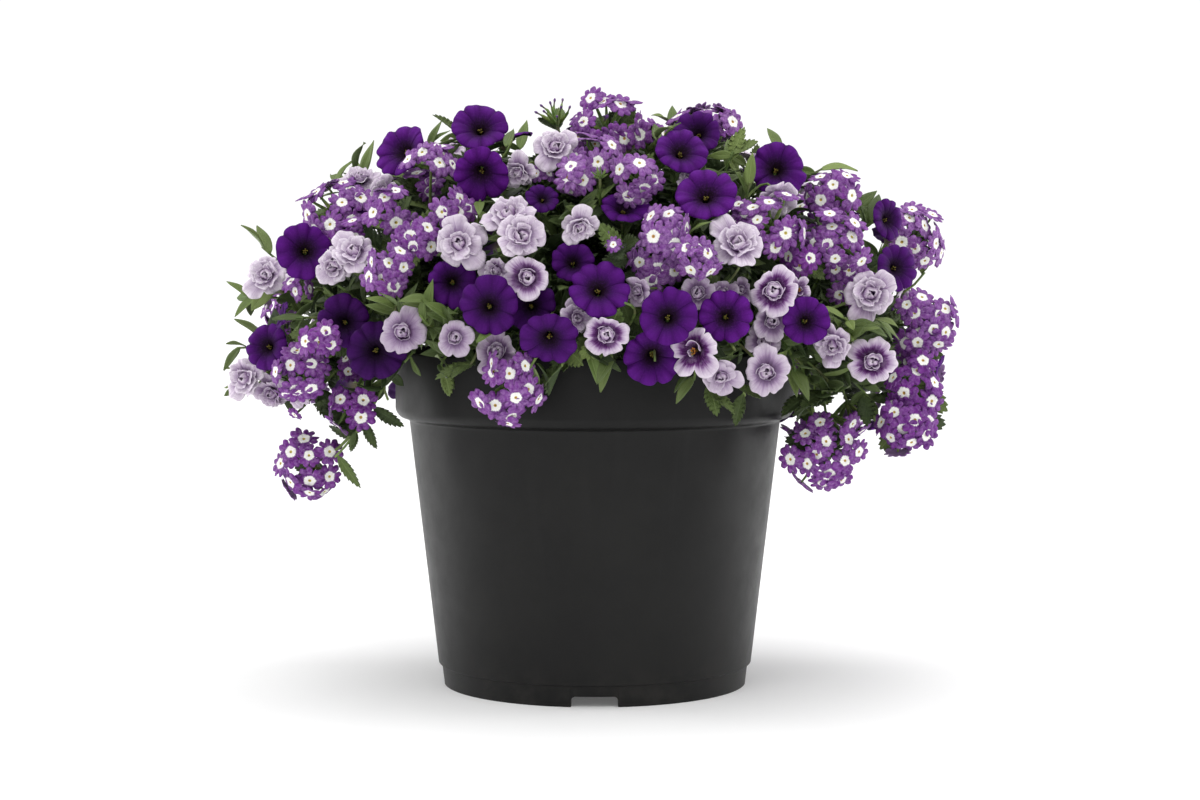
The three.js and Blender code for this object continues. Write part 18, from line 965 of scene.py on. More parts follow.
class Look:
    """Builds one node material."""

    def __init__(self, name):
        self.m = bpy.data.materials.new(name)
        self.m.use_nodes = True
        self.t = self.m.node_tree
        self.t.nodes.clear()
        self.out = self.t.nodes.new("ShaderNodeOutputMaterial")
        self.b = self.t.nodes.new("ShaderNodeBsdfPrincipled")
        self.t.links.new(self.b.outputs[0], self.out.inputs[0])

    def node(self, kind, ins=(), **props):
        n = self.t.nodes.new(kind)
        for k, v in props.items():
            setattr(n, k, v)
        for k, v in dict(ins).items():
            self.plug(n.inputs[k], v)
        return n

    def plug(self, socket, v):
        if isinstance(v, bpy.types.NodeSocket):
            self.t.links.new(v, socket)
        elif v is not None:
            socket.default_value = v

    def math(self, op, a, b=None, c=None, clamp=False):
        n = self.node("ShaderNodeMath", operation=op, use_clamp=clamp)
        self.plug(n.inputs[0], a)
        if b is not None:
            self.plug(n.inputs[1], b)
        if c is not None:
            self.plug(n.inputs[2], c)
        return n.outputs[0]

    def split(self, name):
        a = self.node("ShaderNodeAttribute", attribute_name=name)
        s = self.node("ShaderNodeSeparateXYZ", {0: a.outputs["Vector"]})
        return s.outputs[0], s.outputs[1], s.outputs[2], a.outputs["Vector"]

    def join(self, x, y, z):
        n = self.node("ShaderNodeCombineXYZ")
        for i, v in enumerate((x, y, z)):
            self.plug(n.inputs[i], v)
        return n.outputs[0]

    def place(self):
        return self.node("ShaderNodeTexCoord").outputs["Object"]

    def noise(self, vec, scale, detail=3.0, rough=0.5, twist=0.0):
        n = self.node("ShaderNodeTexNoise", {"Vector": vec, "Scale": scale, "Detail": detail, "Roughness": rough, "Distortion": twist})
        return n.outputs["Fac"]

    def cells(self, vec, scale, feature="F1"):
        n = self.node("ShaderNodeTexVoronoi", {"Vector": vec, "Scale": scale}, feature=feature)
        return n.outputs["Distance"]

    def span(self, v, a, b, c=0.0, d=1.0, smooth=True):
        n = self.node("ShaderNodeMapRange", {"Value": v, "From Min": a, "From Max": b, "To Min": c, "To Max": d},
                      interpolation_type="SMOOTHSTEP" if smooth else "LINEAR")
        return n.outputs[0]

    def ramp(self, v, stops, ease="LINEAR"):
        n = self.node("ShaderNodeValToRGB", {0: v})
        r = n.color_ramp
        r.interpolation = ease
        while len(r.elements) < len(stops):
            r.elements.new(0.5)
        for e, (p, c) in zip(r.elements, stops):
            e.position, e.color = p, c
        return n.outputs[0]

    def mix(self, f, a, b, kind="MIX"):
        n = self.node("ShaderNodeMix", data_type="RGBA", blend_type=kind, clamp_factor=True)
        self.plug(n.inputs[0], f)
        self.plug(n.inputs[6], a)
        self.plug(n.inputs[7], b)
        return n.outputs[2]

    def bump(self, height, strength, distance, before=None):
        n = self.node("ShaderNodeBump", {"Height": height, "Strength": strength, "Distance": distance})
        if before is not None:
            self.plug(n.inputs["Normal"], before)
        return n.outputs[0]

    def finish(self, colour, rough, normal=None, **fixed):
        self.plug(self.b.inputs["Base Color"], colour)
        self.plug(self.b.inputs["Roughness"], rough)
        if normal is not None:
            self.plug(self.b.inputs["Normal"], normal)
        for k, v in fixed.items():
            self.b.inputs[k.replace("_", " ")].default_value = v
        return self.m


def petal_angles(L):
    x, y, z, vec = L.split("pq")
    s = L.math("SQRT", L.math("ADD", L.math("MULTIPLY", x, x), L.math("MULTIPLY", y, y)))
    th = L.math("ARCTAN2", y, x)
    safe = L.math("MAXIMUM", s, 0.001)
    cx, cy = L.math("DIVIDE", x, safe), L.math("DIVIDE", y, safe)
    under = L.math("GREATER_THAN", L.math("FRACT", z), 0.25)
    return x, y, z, s, th, cx, cy, under


def violet_look():
    L = Look("violet_petal_velvet")
    x, y, z, s, th, cx, cy, under = petal_angles(L)
    rnd, tone, _, _ = L.split("rq")
    w = L.math("ABSOLUTE", L.math("SINE", L.math("MULTIPLY", th, 5.0)))
    cleft = L.span(L.math("COSINE", L.math("MULTIPLY", th, 5.0)), -0.6, 0.6, 0.35, 1.0)
    seed = L.math("MULTIPLY", rnd, 37.0)
    streak = L.noise(L.join(L.math("MULTIPLY", cx, 9.0), L.math("MULTIPLY", cy, 9.0), L.math("ADD", L.math("MULTIPLY", s, 1.2), seed)), 1.0, 4.0, 0.6)
    mottle = L.noise(L.place(), 900.0, 3.0, 0.6)
    edge = L.math("ADD", s, L.math("MULTIPLY", L.math("SUBTRACT", streak, 0.5), 0.22))
    base = L.ramp(edge, [(0.0, lin(36, 30, 20)), (0.12, lin(32, 21, 22)), (0.25, lin(30, 12, 33)), (0.38, lin(44, 12, 58)), (0.50, lin(60, 13, 86)), (0.64, lin(74, 15, 103)), (0.82, lin(80, 17, 111)), (1.0, lin(77, 18, 106))])
    # painted highlight: the raised pillows either side of each lobe's midrib, towards the rim, are coloured brighter
    lit = L.mix(L.math("MULTIPLY", L.span(w, 0.2, 1.0), L.span(s, 0.5, 0.95)), base, lin(96, 26, 134))
    # darker along the clefts and, less, the midribs: the flower's dark veining, deepened as painted shade in the
    # creases
    dark = L.math("MULTIPLY", L.math("MULTIPLY", L.span(w, 0.0, 0.20, 1.0, 0.0), cleft), L.math("MULTIPLY", L.span(s, 0.25, 0.5), L.span(s, 1.15, 0.7, 0.35, 0.8)))
    col = L.mix(dark, lit, lin(34, 8, 48))
    col = L.mix(L.math("MULTIPLY", L.span(streak, 0.35, 0.75, 0.0, 0.40), L.span(s, 0.3, 0.6)), col, lin(56, 10, 82))
    col = L.mix(L.math("MULTIPLY", L.span(mottle, 0.45, 0.7), 0.12), col, lin(120, 50, 160))
    col = L.mix(L.math("MULTIPLY", rnd, 0.40), col, L.mix(L.span(s, 0.2, 0.6), lin(22, 12, 24), lin(58, 12, 88)))
    # painted shade: tone, taken from SHADE, darkens violets that hang in shadow toward near-black purple
    col = L.mix(L.math("MULTIPLY", tone, 0.75), col, lin(20, 7, 30))
    back = L.mix(streak, lin(78, 44, 108), lin(108, 72, 134))
    back = L.mix(L.span(s, 0.5, 0.1), back, lin(122, 116, 92))
    col = L.mix(under, col, back)
    rough = L.span(streak, 0.2, 0.8, 0.52, 0.68)
    fine = L.noise(L.place(), 2600.0, 2.0, 0.5)
    n1 = L.bump(L.math("ADD", streak, L.math("MULTIPLY", fine, 0.35)), 0.35, 0.0006)
    return L.finish(col, rough, n1, Sheen_Weight=0.0, Specular_IOR_Level=0.07)


def lilac_look():
    L = Look("lilac_petal_soft")
    x, y, z, s, th, cx, cy, under = petal_angles(L)
    rnd, tone, painted_shade, _ = L.split("rq")
    whorl = L.math("FLOOR", L.math("ADD", z, 0.001))
    seed = L.math("MULTIPLY", rnd, 29.0)
    streak = L.noise(L.join(L.math("MULTIPLY", cx, 8.0), L.math("MULTIPLY", cy, 8.0), L.math("ADD", L.math("MULTIPLY", s, 0.9), seed)), 1.0, 4.0, 0.62)
    veins = L.noise(L.join(L.math("MULTIPLY", cx, 24.0), L.math("MULTIPLY", cy, 24.0), L.math("ADD", L.math("MULTIPLY", s, 1.6), seed)), 1.0, 2.0, 0.5)
    cloud = L.noise(L.place(), 230.0, 5.0, 0.62)
    shift = L.math("MULTIPLY", L.math("SUBTRACT", streak, 0.5), 0.34)
    e0 = L.math("ADD", L.math("ADD", s, shift), L.math("MULTIPLY", L.math("SUBTRACT", rnd, 0.5), 0.10))
    # the dark band near 0.44 to 0.54 is the throat's own purple ring, deepened as painted shade of the gap round the
    # inner petals
    outer = L.ramp(e0, [(0.0, lin(46, 34, 36)), (0.20, lin(50, 14, 54)), (0.44, lin(60, 14, 70)), (0.54, lin(78, 24, 90)), (0.61, lin(118, 74, 130)), (0.69, lin(180, 156, 188)), (0.82, lin(214, 200, 217)), (1.0, lin(233, 222, 234))])
    mid = L.ramp(e0, [(0.0, lin(44, 20, 50)), (0.34, lin(78, 32, 92)), (0.55, lin(150, 118, 164)), (0.75, lin(202, 186, 206)), (1.0, lin(228, 216, 230))])
    inner = L.ramp(e0, [(0.0, lin(50, 20, 58)), (0.45, lin(84, 36, 98)), (0.70, lin(158, 126, 172)), (0.88, lin(212, 196, 214)), (1.0, lin(232, 221, 233))])
    bud = L.ramp(e0, [(0.0, lin(60, 22, 70)), (0.30, lin(96, 48, 110)), (0.52, lin(170, 142, 180)), (0.75, lin(214, 198, 216)), (1.0, lin(236, 226, 236))])
    plain = L.ramp(e0, [(0.0, lin(46, 34, 36)), (0.18, lin(56, 22, 62)), (0.32, lin(104, 62, 118)), (0.42, lin(168, 142, 180)), (0.62, lin(200, 184, 206)), (0.82, lin(219, 206, 221)), (1.0, lin(235, 225, 236))])
    plain_mid = L.ramp(e0, [(0.0, lin(48, 22, 54)), (0.22, lin(96, 50, 110)), (0.40, lin(170, 143, 182)), (0.68, lin(214, 199, 217)), (1.0, lin(238, 229, 239))])
    outer, mid, inner = L.mix(tone, plain, outer), L.mix(tone, plain_mid, mid), L.mix(tone, plain_mid, inner)
    col = L.mix(L.math("GREATER_THAN", whorl, 0.5), outer, mid)
    col = L.mix(L.math("GREATER_THAN", whorl, 1.5), col, inner)
    col = L.mix(L.math("GREATER_THAN", whorl, 2.5), col, bud)
    fade = L.span(s, 0.35, 1.0, 0.55, 0.16)
    col = L.mix(L.math("MULTIPLY", L.span(veins, 0.54, 0.66), fade), col, lin(116, 70, 136))
    col = L.mix(L.math("MULTIPLY", L.span(cloud, 0.44, 0.66), 0.30), col, lin(172, 144, 182))
    # painted shade: blooms in shadow are coloured darker and more mauve, more towards the rim
    col = L.mix(L.math("MULTIPLY", painted_shade, L.span(s, 0.2, 1.0, 0.25, 0.50)), col, lin(122, 98, 132))
    back = L.mix(L.span(cloud, 0.35, 0.7), lin(208, 192, 214), lin(180, 156, 192))
    back = L.mix(L.span(veins, 0.56, 0.66, 0.0, 0.30), back, lin(134, 96, 168))
    back = L.mix(L.span(s, 0.45, 0.12), back, lin(168, 176, 128))
    col = L.mix(under, col, back)
    fine = L.noise(L.place(), 2200.0, 2.0, 0.5)
    n1 = L.bump(L.math("ADD", L.math("MULTIPLY", veins, 0.7), L.math("MULTIPLY", fine, 0.3)), 0.40, 0.0008)
    n1 = L.bump(cloud, 0.5, 0.0022, n1)
    return L.finish(col, L.span(streak, 0.2, 0.8, 0.50, 0.66), n1, Sheen_Weight=0.0, Specular_IOR_Level=0.15)


def verbena_look():
    L = Look("verbena_petal_mottled")
    x, y, z, s, th, cx, cy, under = petal_angles(L)
    rnd, tone, _, _ = L.split("rq")
    seed = L.math("MULTIPLY", rnd, 23.0)
    streak = L.noise(L.join(L.math("MULTIPLY", cx, 7.0), L.math("MULTIPLY", cy, 7.0), L.math("ADD", L.math("MULTIPLY", s, 2.5), seed)), 1.0, 3.0, 0.6)
    speck = L.noise(L.place(), 460.0, 3.0, 0.62)
    patch = L.noise(L.place(), 120.0, 2.0, 0.5)
    deep = L.mix(L.span(patch, 0.35, 0.65), lin(84, 24, 106), lin(114, 44, 136))
    pale = L.mix(L.span(streak, 0.35, 0.65), lin(176, 140, 190), lin(150, 104, 170))
    # the pale speckled mottling is the petals' own pattern; tone sets how much of it a head shows and is higher on the
    # upper, lit heads in BLOOMS, so it also paints light
    amount = L.math("ADD", L.math("MULTIPLY", tone, 0.75), L.math("MULTIPLY", L.math("SUBTRACT", speck, 0.5), L.math("ADD", 1.5, L.math("MULTIPLY", tone, 1.8))), clamp=True)
    col = L.mix(amount, deep, pale)
    w = L.math("ABSOLUTE", L.math("SINE", L.math("MULTIPLY", th, 2.5)))
    col = L.mix(L.math("MULTIPLY", L.span(w, 0.97, 1.0), L.span(s, 0.3, 0.7, 0.45, 0.15)), col, lin(80, 28, 100))
    col = L.mix(L.span(s, 0.55, 1.0, 0.0, 0.25), col, lin(138, 78, 162))
    e = L.math("ADD", s, L.math("MULTIPLY", L.math("SUBTRACT", streak, 0.5), 0.20))
    e = L.math("SUBTRACT", e, L.math("MULTIPLY", L.math("SUBTRACT", 1.0, w), 0.04))
    col = L.mix(L.span(e, 0.42, 0.33), col, L.mix(L.span(streak, 0.35, 0.8), lin(255, 254, 250), lin(236, 236, 226)))
    col = L.mix(L.span(s, 0.125, 0.085), col, L.mix(rnd, lin(200, 186, 84), lin(200, 150, 76)))
    col = L.mix(L.span(s, 0.045, 0.02), col, lin(150, 122, 66))
    back = L.mix(streak, lin(150, 116, 168), lin(176, 148, 188))
    col = L.mix(under, col, back)
    n1 = L.bump(L.math("ADD", L.math("MULTIPLY", speck, 0.5), streak), 0.35, 0.0005)
    return L.finish(col, L.span(speck, 0.3, 0.7, 0.50, 0.66), n1, Sheen_Weight=0.0, Specular_IOR_Level=0.12)


def pollen_look():
    L = Look("anthers")
    x, y, z, vec = L.split("pq")
    g = L.noise(L.place(), 1500.0, 3.0)
    col = L.mix(L.span(g, 0.35, 0.65), lin(78, 70, 26), lin(126, 112, 44))
    col = L.mix(L.math("GREATER_THAN", y, 0.5), col, L.mix(g, lin(128, 78, 26), lin(196, 130, 52)))
    return L.finish(col, L.span(g, 0.2, 0.8, 0.6, 0.8), L.bump(g, 0.5, 0.0004), Specular_IOR_Level=0.25)


def calyx_look():
    L = Look("calyx_green")
    x, y, z, vec = L.split("pq")
    rnd, tone, _, _ = L.split("rq")
    g = L.noise(L.place(), 420.0, 3.0)
    col = L.mix(L.span(g, 0.3, 0.7), lin(84, 112, 50), lin(122, 148, 74))
    col = L.mix(L.math("MULTIPLY", L.span(L.noise(L.place(), 150.0, 2.0), 0.5, 0.7), 0.5), col, lin(150, 160, 84))
    fine = L.noise(L.place(), 2400.0, 2.0)
    return L.finish(col, L.span(g, 0.2, 0.8, 0.50, 0.66), L.bump(L.math("ADD", g, fine), 0.4, 0.0005), Sheen_Weight=0.12, Specular_IOR_Level=0.35)


def bud_look():
    L = Look("bud_and_tube")
    x, y, z, vec = L.split("pq")
    g = L.noise(L.place(), 500.0, 3.0)
    col = L.mix(L.span(x, 0.05, 0.75), lin(112, 108, 84), L.mix(g, lin(88, 50, 116), lin(126, 84, 154)))
    return L.finish(col, L.span(g, 0.2, 0.8, 0.50, 0.68), L.bump(g, 0.35, 0.0005), Sheen_Weight=0.12, Specular_IOR_Level=0.3)


def stem_look():
    L = Look("stem_green")
    g = L.noise(L.place(), 130.0, 3.0)
    ridge = L.noise(L.place(), 900.0, 2.0)
    col = L.mix(L.span(g, 0.35, 0.68), lin(84, 108, 52), lin(120, 140, 74))
    col = L.mix(L.math("MULTIPLY", L.span(L.noise(L.place(), 60.0, 2.0), 0.48, 0.70), 0.55), col, lin(96, 72, 66))
    return L.finish(col, L.span(ridge, 0.2, 0.8, 0.46, 0.62), L.bump(ridge, 0.4, 0.0005), Specular_IOR_Level=0.4)


def leaf_look():
    L = Look("leaf_green")
    v, u, side, vec = L.split("pq")
    rnd, tone, kind, _ = L.split("rq")
    under = L.math("GREATER_THAN", side, 0.25)
    av = L.math("ABSOLUTE", v)
    cloud = L.noise(L.place(), 110.0, 3.0, 0.55)
    # tone from add_leaf is partly painted shade: inner leaves darker, outer ones lighter
    dark = L.mix(rnd, lin(34, 46, 26), lin(62, 77, 42))
    light = L.mix(rnd, lin(98, 120, 62), lin(132, 150, 84))
    col = L.mix(tone, dark, light)
    col = L.mix(L.math("MULTIPLY", L.span(cloud, 0.42, 0.68), 0.20), col, lin(96, 116, 58))
    # side veins slant forward from the midrib, and are clear on the toothed leaves
    phase = L.math("MULTIPLY", L.math("SUBTRACT", u, L.math("MULTIPLY", av, 0.17)), L.math("ADD", 44.0, L.math("MULTIPLY", kind, 7.0)))
    rib = L.span(L.math("ABSOLUTE", L.math("SINE", L.math("MULTIPLY", phase, 0.5))), 0.20, 0.0)
    rib = L.math("MULTIPLY", rib, L.span(av, 0.95, 0.5))
    net = L.cells(L.place(), 900.0, "DISTANCE_TO_EDGE")
    mid = L.span(av, 0.13, 0.02)
    ribs = L.math("MAXIMUM", L.math("MULTIPLY", rib, L.math("ADD", 0.22, L.math("MULTIPLY", kind, 0.55))), L.math("MULTIPLY", mid, 0.85))
    col = L.mix(L.math("MULTIPLY", ribs, 0.42), col, L.mix(tone, lin(66, 84, 48), lin(160, 180, 110)))
    col = L.mix(L.math("MULTIPLY", L.span(u, 0.18, 0.0), 0.6), col, lin(116, 138, 76))
    back = L.mix(tone, lin(66, 82, 52), lin(128, 146, 100))
    col = L.mix(L.math("MULTIPLY", under, 0.75), col, back)
    height = L.math("SUBTRACT", L.math("MULTIPLY", L.span(net, 0.0, 0.25), L.math("ADD", 0.12, L.math("MULTIPLY", kind, 0.4))), ribs)
    rough = L.math("ADD", L.span(cloud, 0.3, 0.7, 0.40, 0.54), L.math("MULTIPLY", kind, 0.10))
    return L.finish(col, rough, L.bump(height, 0.55, 0.0006), Sheen_Weight=0.0, Specular_IOR_Level=0.28)


def pot_look():
    L = Look("charcoal_pot_plastic")
    p = L.place()
    grain = L.noise(p, 1900.0, 3.0, 0.6)
    cloud = L.noise(p, 14.0, 4.0, 0.6)
    haze = L.noise(p, 60.0, 4.0, 0.65)
    sx = L.node("ShaderNodeSeparateXYZ", {0: p})
    # patchy, lighter and warmer colour within 35 mm of the bottom
    low_band = L.math("MULTIPLY", L.span(sx.outputs[2], 0.035, 0.0), L.span(haze, 0.4, 0.7))
    streak = L.noise(L.join(L.math("MULTIPLY", sx.outputs[0], 60.0), L.math("MULTIPLY", sx.outputs[1], 60.0), L.math("MULTIPLY", sx.outputs[2], 3.0)), 1.0, 3.0, 0.6)
    col = L.mix(L.span(cloud, 0.35, 0.7), lin(17, 17, 17), lin(23, 23, 22))
    col = L.mix(L.math("MULTIPLY", L.span(grain, 0.5, 0.75), 0.20), col, lin(40, 40, 40))
    col = L.mix(L.math("MULTIPLY", L.span(streak, 0.55, 0.8), 0.14), col, lin(42, 42, 42))
    col = L.mix(L.math("MULTIPLY", low_band, 0.22), col, lin(64, 61, 57))
    rough = L.math("ADD", L.span(haze, 0.3, 0.75, 0.36, 0.44), L.math("MULTIPLY", grain, 0.08))
    n = L.bump(grain, 0.22, 0.0003)
    n = L.bump(cloud, 0.15, 0.0020, n)
    return L.finish(col, rough, n, Specular_IOR_Level=0.21)


def soil_look():
    L = Look("potting_mix_crumb")
    p = L.place()
    g = L.noise(p, 260.0, 5.0, 0.7)
    c = L.cells(p, 420.0)
    big = L.noise(p, 40.0, 3.0)
    col = L.ramp(g, [(0.25, lin(30, 22, 16)), (0.5, lin(58, 44, 32)), (0.68, lin(86, 66, 48)), (0.82, lin(120, 98, 74))])
    col = L.mix(L.span(big, 0.4, 0.7, 0.0, 0.5), col, lin(40, 30, 22))
    n = L.bump(L.math("ADD", g, c), 0.8, 0.0018)
    return L.finish(col, L.span(g, 0.2, 0.8, 0.82, 0.97), n, Specular_IOR_Level=0.2)


MV, ML, MB = violet_look(), lilac_look(), verbena_look()
MPOLLEN, MGREEN, MSTEM, MLEAF, MBUD = pollen_look(), calyx_look(), stem_look(), leaf_look(), bud_look()
MPOT, MSOIL = pot_look(), soil_look()


def make(name, form, looks, node, smooth=True):
    """One Blender piece from a finished form, in metres."""
    me = bpy.data.meshes.new(name)
    v = (form["v"] * MM).astype(np.float32)
    q, t = form["q"], form["t"]
    me.vertices.add(len(v))
    me.vertices.foreach_set("co", v.ravel())
    loops = np.concatenate([q.ravel(), t.ravel()]).astype(np.int32)
    starts = np.concatenate([np.arange(len(q)) * 4, len(q) * 4 + np.arange(len(t)) * 3]).astype(np.int32)
    me.loops.add(len(loops))
    me.loops.foreach_set("vertex_index", loops)
    me.polygons.add(len(starts))
    me.polygons.foreach_set("loop_start", starts)
    for m in looks:
        me.materials.append(m)
    me.polygons.foreach_set("material_index", np.concatenate([form["mq"], form["mt"]]).astype(np.int32))
    me.polygons.foreach_set("use_smooth", np.full(len(starts), smooth))
    for k in ("pq", "rq"):
        a = me.attributes.new(k, "FLOAT_VECTOR", "POINT")
        a.data.foreach_set("vector", form[k].astype(np.float32).ravel())
    me.update(calc_edges=True)
    me.validate()
    ob = bpy.data.objects.new(name, me)
    bpy.context.scene.collection.objects.link(ob)
    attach(ob, "root")
    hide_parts(node)
    return ob


# ---------------------------------------------------------------- plants
CENTRE = np.array([0, 0, 190.0])


def soil_height(x, y):
    return 203.0 - 7.0 * min(1.0, (x * x + y * y) / 122.4 ** 2)


def add_leaf(f, row, rng, bright=0.0):
    P, d, n = np.array(row[0:3]) / 10.0, unit(row[3:6]), np.array(row[6:9], float)
    L, W, kind = row[9] / 10.0, row[10] / 10.0, row[11]
    n = unit(n - d * float(n @ d))
    side = np.cross(d, n)
    turn = np.stack([side, d, n], 1)
    tmpl = (TOOTHED if kind else SMOOTH)[int(rng.integers(0, 8))]
    # tone rises for leaves further out and falls for those deep inside: painted shade of the plant's interior, mixed
    # with random tone, a few pale leaves and darker toothed leaves
    far = np.linalg.norm((P + d * L * 0.5 - CENTRE) / [228, 190, 170])
    tone = float(np.clip((far - 0.84) * 1.7 + rng.normal(0.06, 0.18) + bright - 0.12 * kind + (0.5 if rng.random() < 0.14 else 0.0), 0, 1))
    f.put(tmpl, turn, P - d * 0.4, (W, L, L * (0.9 if kind else 1.0)), rq=(rng.uniform(), tone, float(kind)))


def build_plant(name, rows, trunk, branches, blooms, letter, seed):
    rng = np.random.default_rng(seed)
    f = Form()
    thick = {"V": 1.9, "L": 1.9, "B": 2.1, "S": 2.0}[letter]
    thin = {"V": 0.85, "L": 0.85, "B": 1.0, "S": 0.9}[letter]
    P = bezier(trunk, 16)
    P[0] = [P[0][0], P[0][1], soil_height(P[0][0], P[0][1]) - 3.0]
    wob = 0.5 * np.sin(np.linspace(0, 9, 16) + rng.uniform(0, 6))[:, None] * rng.normal(0, 0.5, 3) * np.sin(np.linspace(0, math.pi, 16))[:, None]
    tube(f, P + wob, np.linspace(thick, thick * 0.72, 16) * (1 + 0.06 * np.sin(np.linspace(0, 30, 16))), 8, STEM)
    for q in branches:
        P = bezier(q, 12)
        tube(f, P, np.linspace(thick * 0.62, thin * 0.8, 12), 6, STEM)
    for b in blooms:
        t, at, n, R, tone, state = b[0], np.array(b[1:4]), np.array(b[4:7]), b[7], b[8], b[9]
        k = int(rng.integers(0, 1000))
        if t == "V":
            # tone here is the painted shade of violets that hang under others
            tone = SHADE.get(b[10], 0.0)
            f.put(VIOLETS[k % 9], turn_to(n, rng.uniform(0, TAU)), at, R, rq=(rng.uniform(), tone, 0))
        elif t == "L":
            form, ring, painted_shade = LILAC_STYLE.get(b[10], (("ring", "pale")[k % 2], rng.uniform(0.2, 0.9), rng.uniform(0.0, 0.3)))
            pick = LILAC_FORMS[form]
            f.put(LILACS[pick[k % len(pick)]], turn_to(n, rng.uniform(0, TAU)), at, R, rq=(rng.uniform(), ring, painted_shade))
        else:
            head = umbel(rng, state if state in ("b", "g", "s") else "o", R)
            f.put(head, turn_to(n, rng.uniform(0, TAU)), at, R, rq=(rng.uniform(), tone, 0))
    for row in rows:
        add_leaf(f, row, rng, 0.22 if letter == "S" else 0.0)
    return f.done()


# lilac blooms: form, strength of the purple ring, and painted shade, which makes them darker and more mauve
LILAC_FORMS = {"ring": (0, 2, 9, 3, 4, 11), "pale": (5, 8, 10, 12, 1, 7), "open": (6,)}
LILAC_STYLE = {
    "L13": ("pale", 0.35, 0.0), "L30": ("pale", 0.45, 0.1), "L5": ("pale", 0.05, 0.1), "L24": ("ring", 1.0, 0.0), "L27": ("open", 1.0, 0.0),
    "L6": ("pale", 0.0, 0.0), "L7": ("pale", 0.25, 0.05), "L1": ("pale", 0.1, 0.0), "L32": ("ring", 1.0, 0.1), "L34": ("pale", 0.35, 0.0),
    "L0": ("pale", 0.05, 0.0), "L8": ("ring", 0.9, 0.0), "L19": ("ring", 1.0, 0.1), "L10": ("pale", 0.0, 0.0), "L17": ("ring", 0.6, 0.6),
    "L14": ("pale", 0.0, 0.0), "L3": ("pale", 0.0, 0.0), "L11": ("pale", 0.1, 0.0), "L29": ("ring", 0.55, 0.5), "L28": ("pale", 0.4, 0.6),
    "L2": ("pale", 0.1, 0.1), "L16": ("ring", 0.45, 0.8), "L15": ("ring", 0.3, 0.75), "L31": ("pale", 0.5, 0.2), "L35": ("pale", 0.5, 0.5),
    "L26": ("ring", 0.6, 0.3), "L21": ("ring", 0.6, 0.8), "L25": ("open", 0.8, 0.1), "L12": ("pale", 0.3, 0.0), "L9": ("pale", 0.6, 0.2),
    "L4": ("pale", 0.0, 0.1), "L18": ("pale", 0.6, 0.6), "L36": ("pale", 0.4, 0.4), "L37": ("pale", 0.2, 0.2), "L20": ("pale", 0.4, 0.8),
    "L33": ("ring", 0.6, 0.7), "L22": ("pale", 0.4, 0.8), "L23": ("ring", 0.5, 0.8),
}

# blooms that hang in the shade under others; their colour gets this much painted shade
SHADE = {"V10": 0.70, "V11": 0.80, "V13": 0.35, "V15": 0.30, "V24": 0.35, "V14": 0.45, "V25": 0.45, "V4": 0.55, "V22": 0.45, "V21": 0.50, "V9": 0.35,
         "V23": 0.35, "V12": 0.2, "F64": 0.8, "F7": 0.7}

PIECE_SLOT = {"V": ("violet_petal", MV), "L": ("lilac_petal", ML), "B": ("verbena_petal", MB)}
for i, s in enumerate(SPRAYS):
    slot_name, petal = PIECE_SLOT[s["t"]]
    form = build_plant(s["name"], LEAVES[s["name"]], s["tr"], s["br"], [BLOOMS[k] for k in s["g"]], s["t"], 1000 + i)
    make(s["name"] + "_visual", form, [petal, MPOLLEN, MGREEN, MSTEM, MLEAF, MBUD], s["name"])
for i, s in enumerate(SHOOTS):
    form = build_plant(s["name"], LEAVES[s["name"]], s["tr"], s["br"], [], "S", 2000 + i)
    make(s["name"] + "_visual", form, [MV, MPOLLEN, MGREEN, MSTEM, MLEAF, MBUD], s["name"])

# ---------------------------------------------------------------- pot
NOTCH_HALF, NOTCH_HIGH = 14.5, 6.4


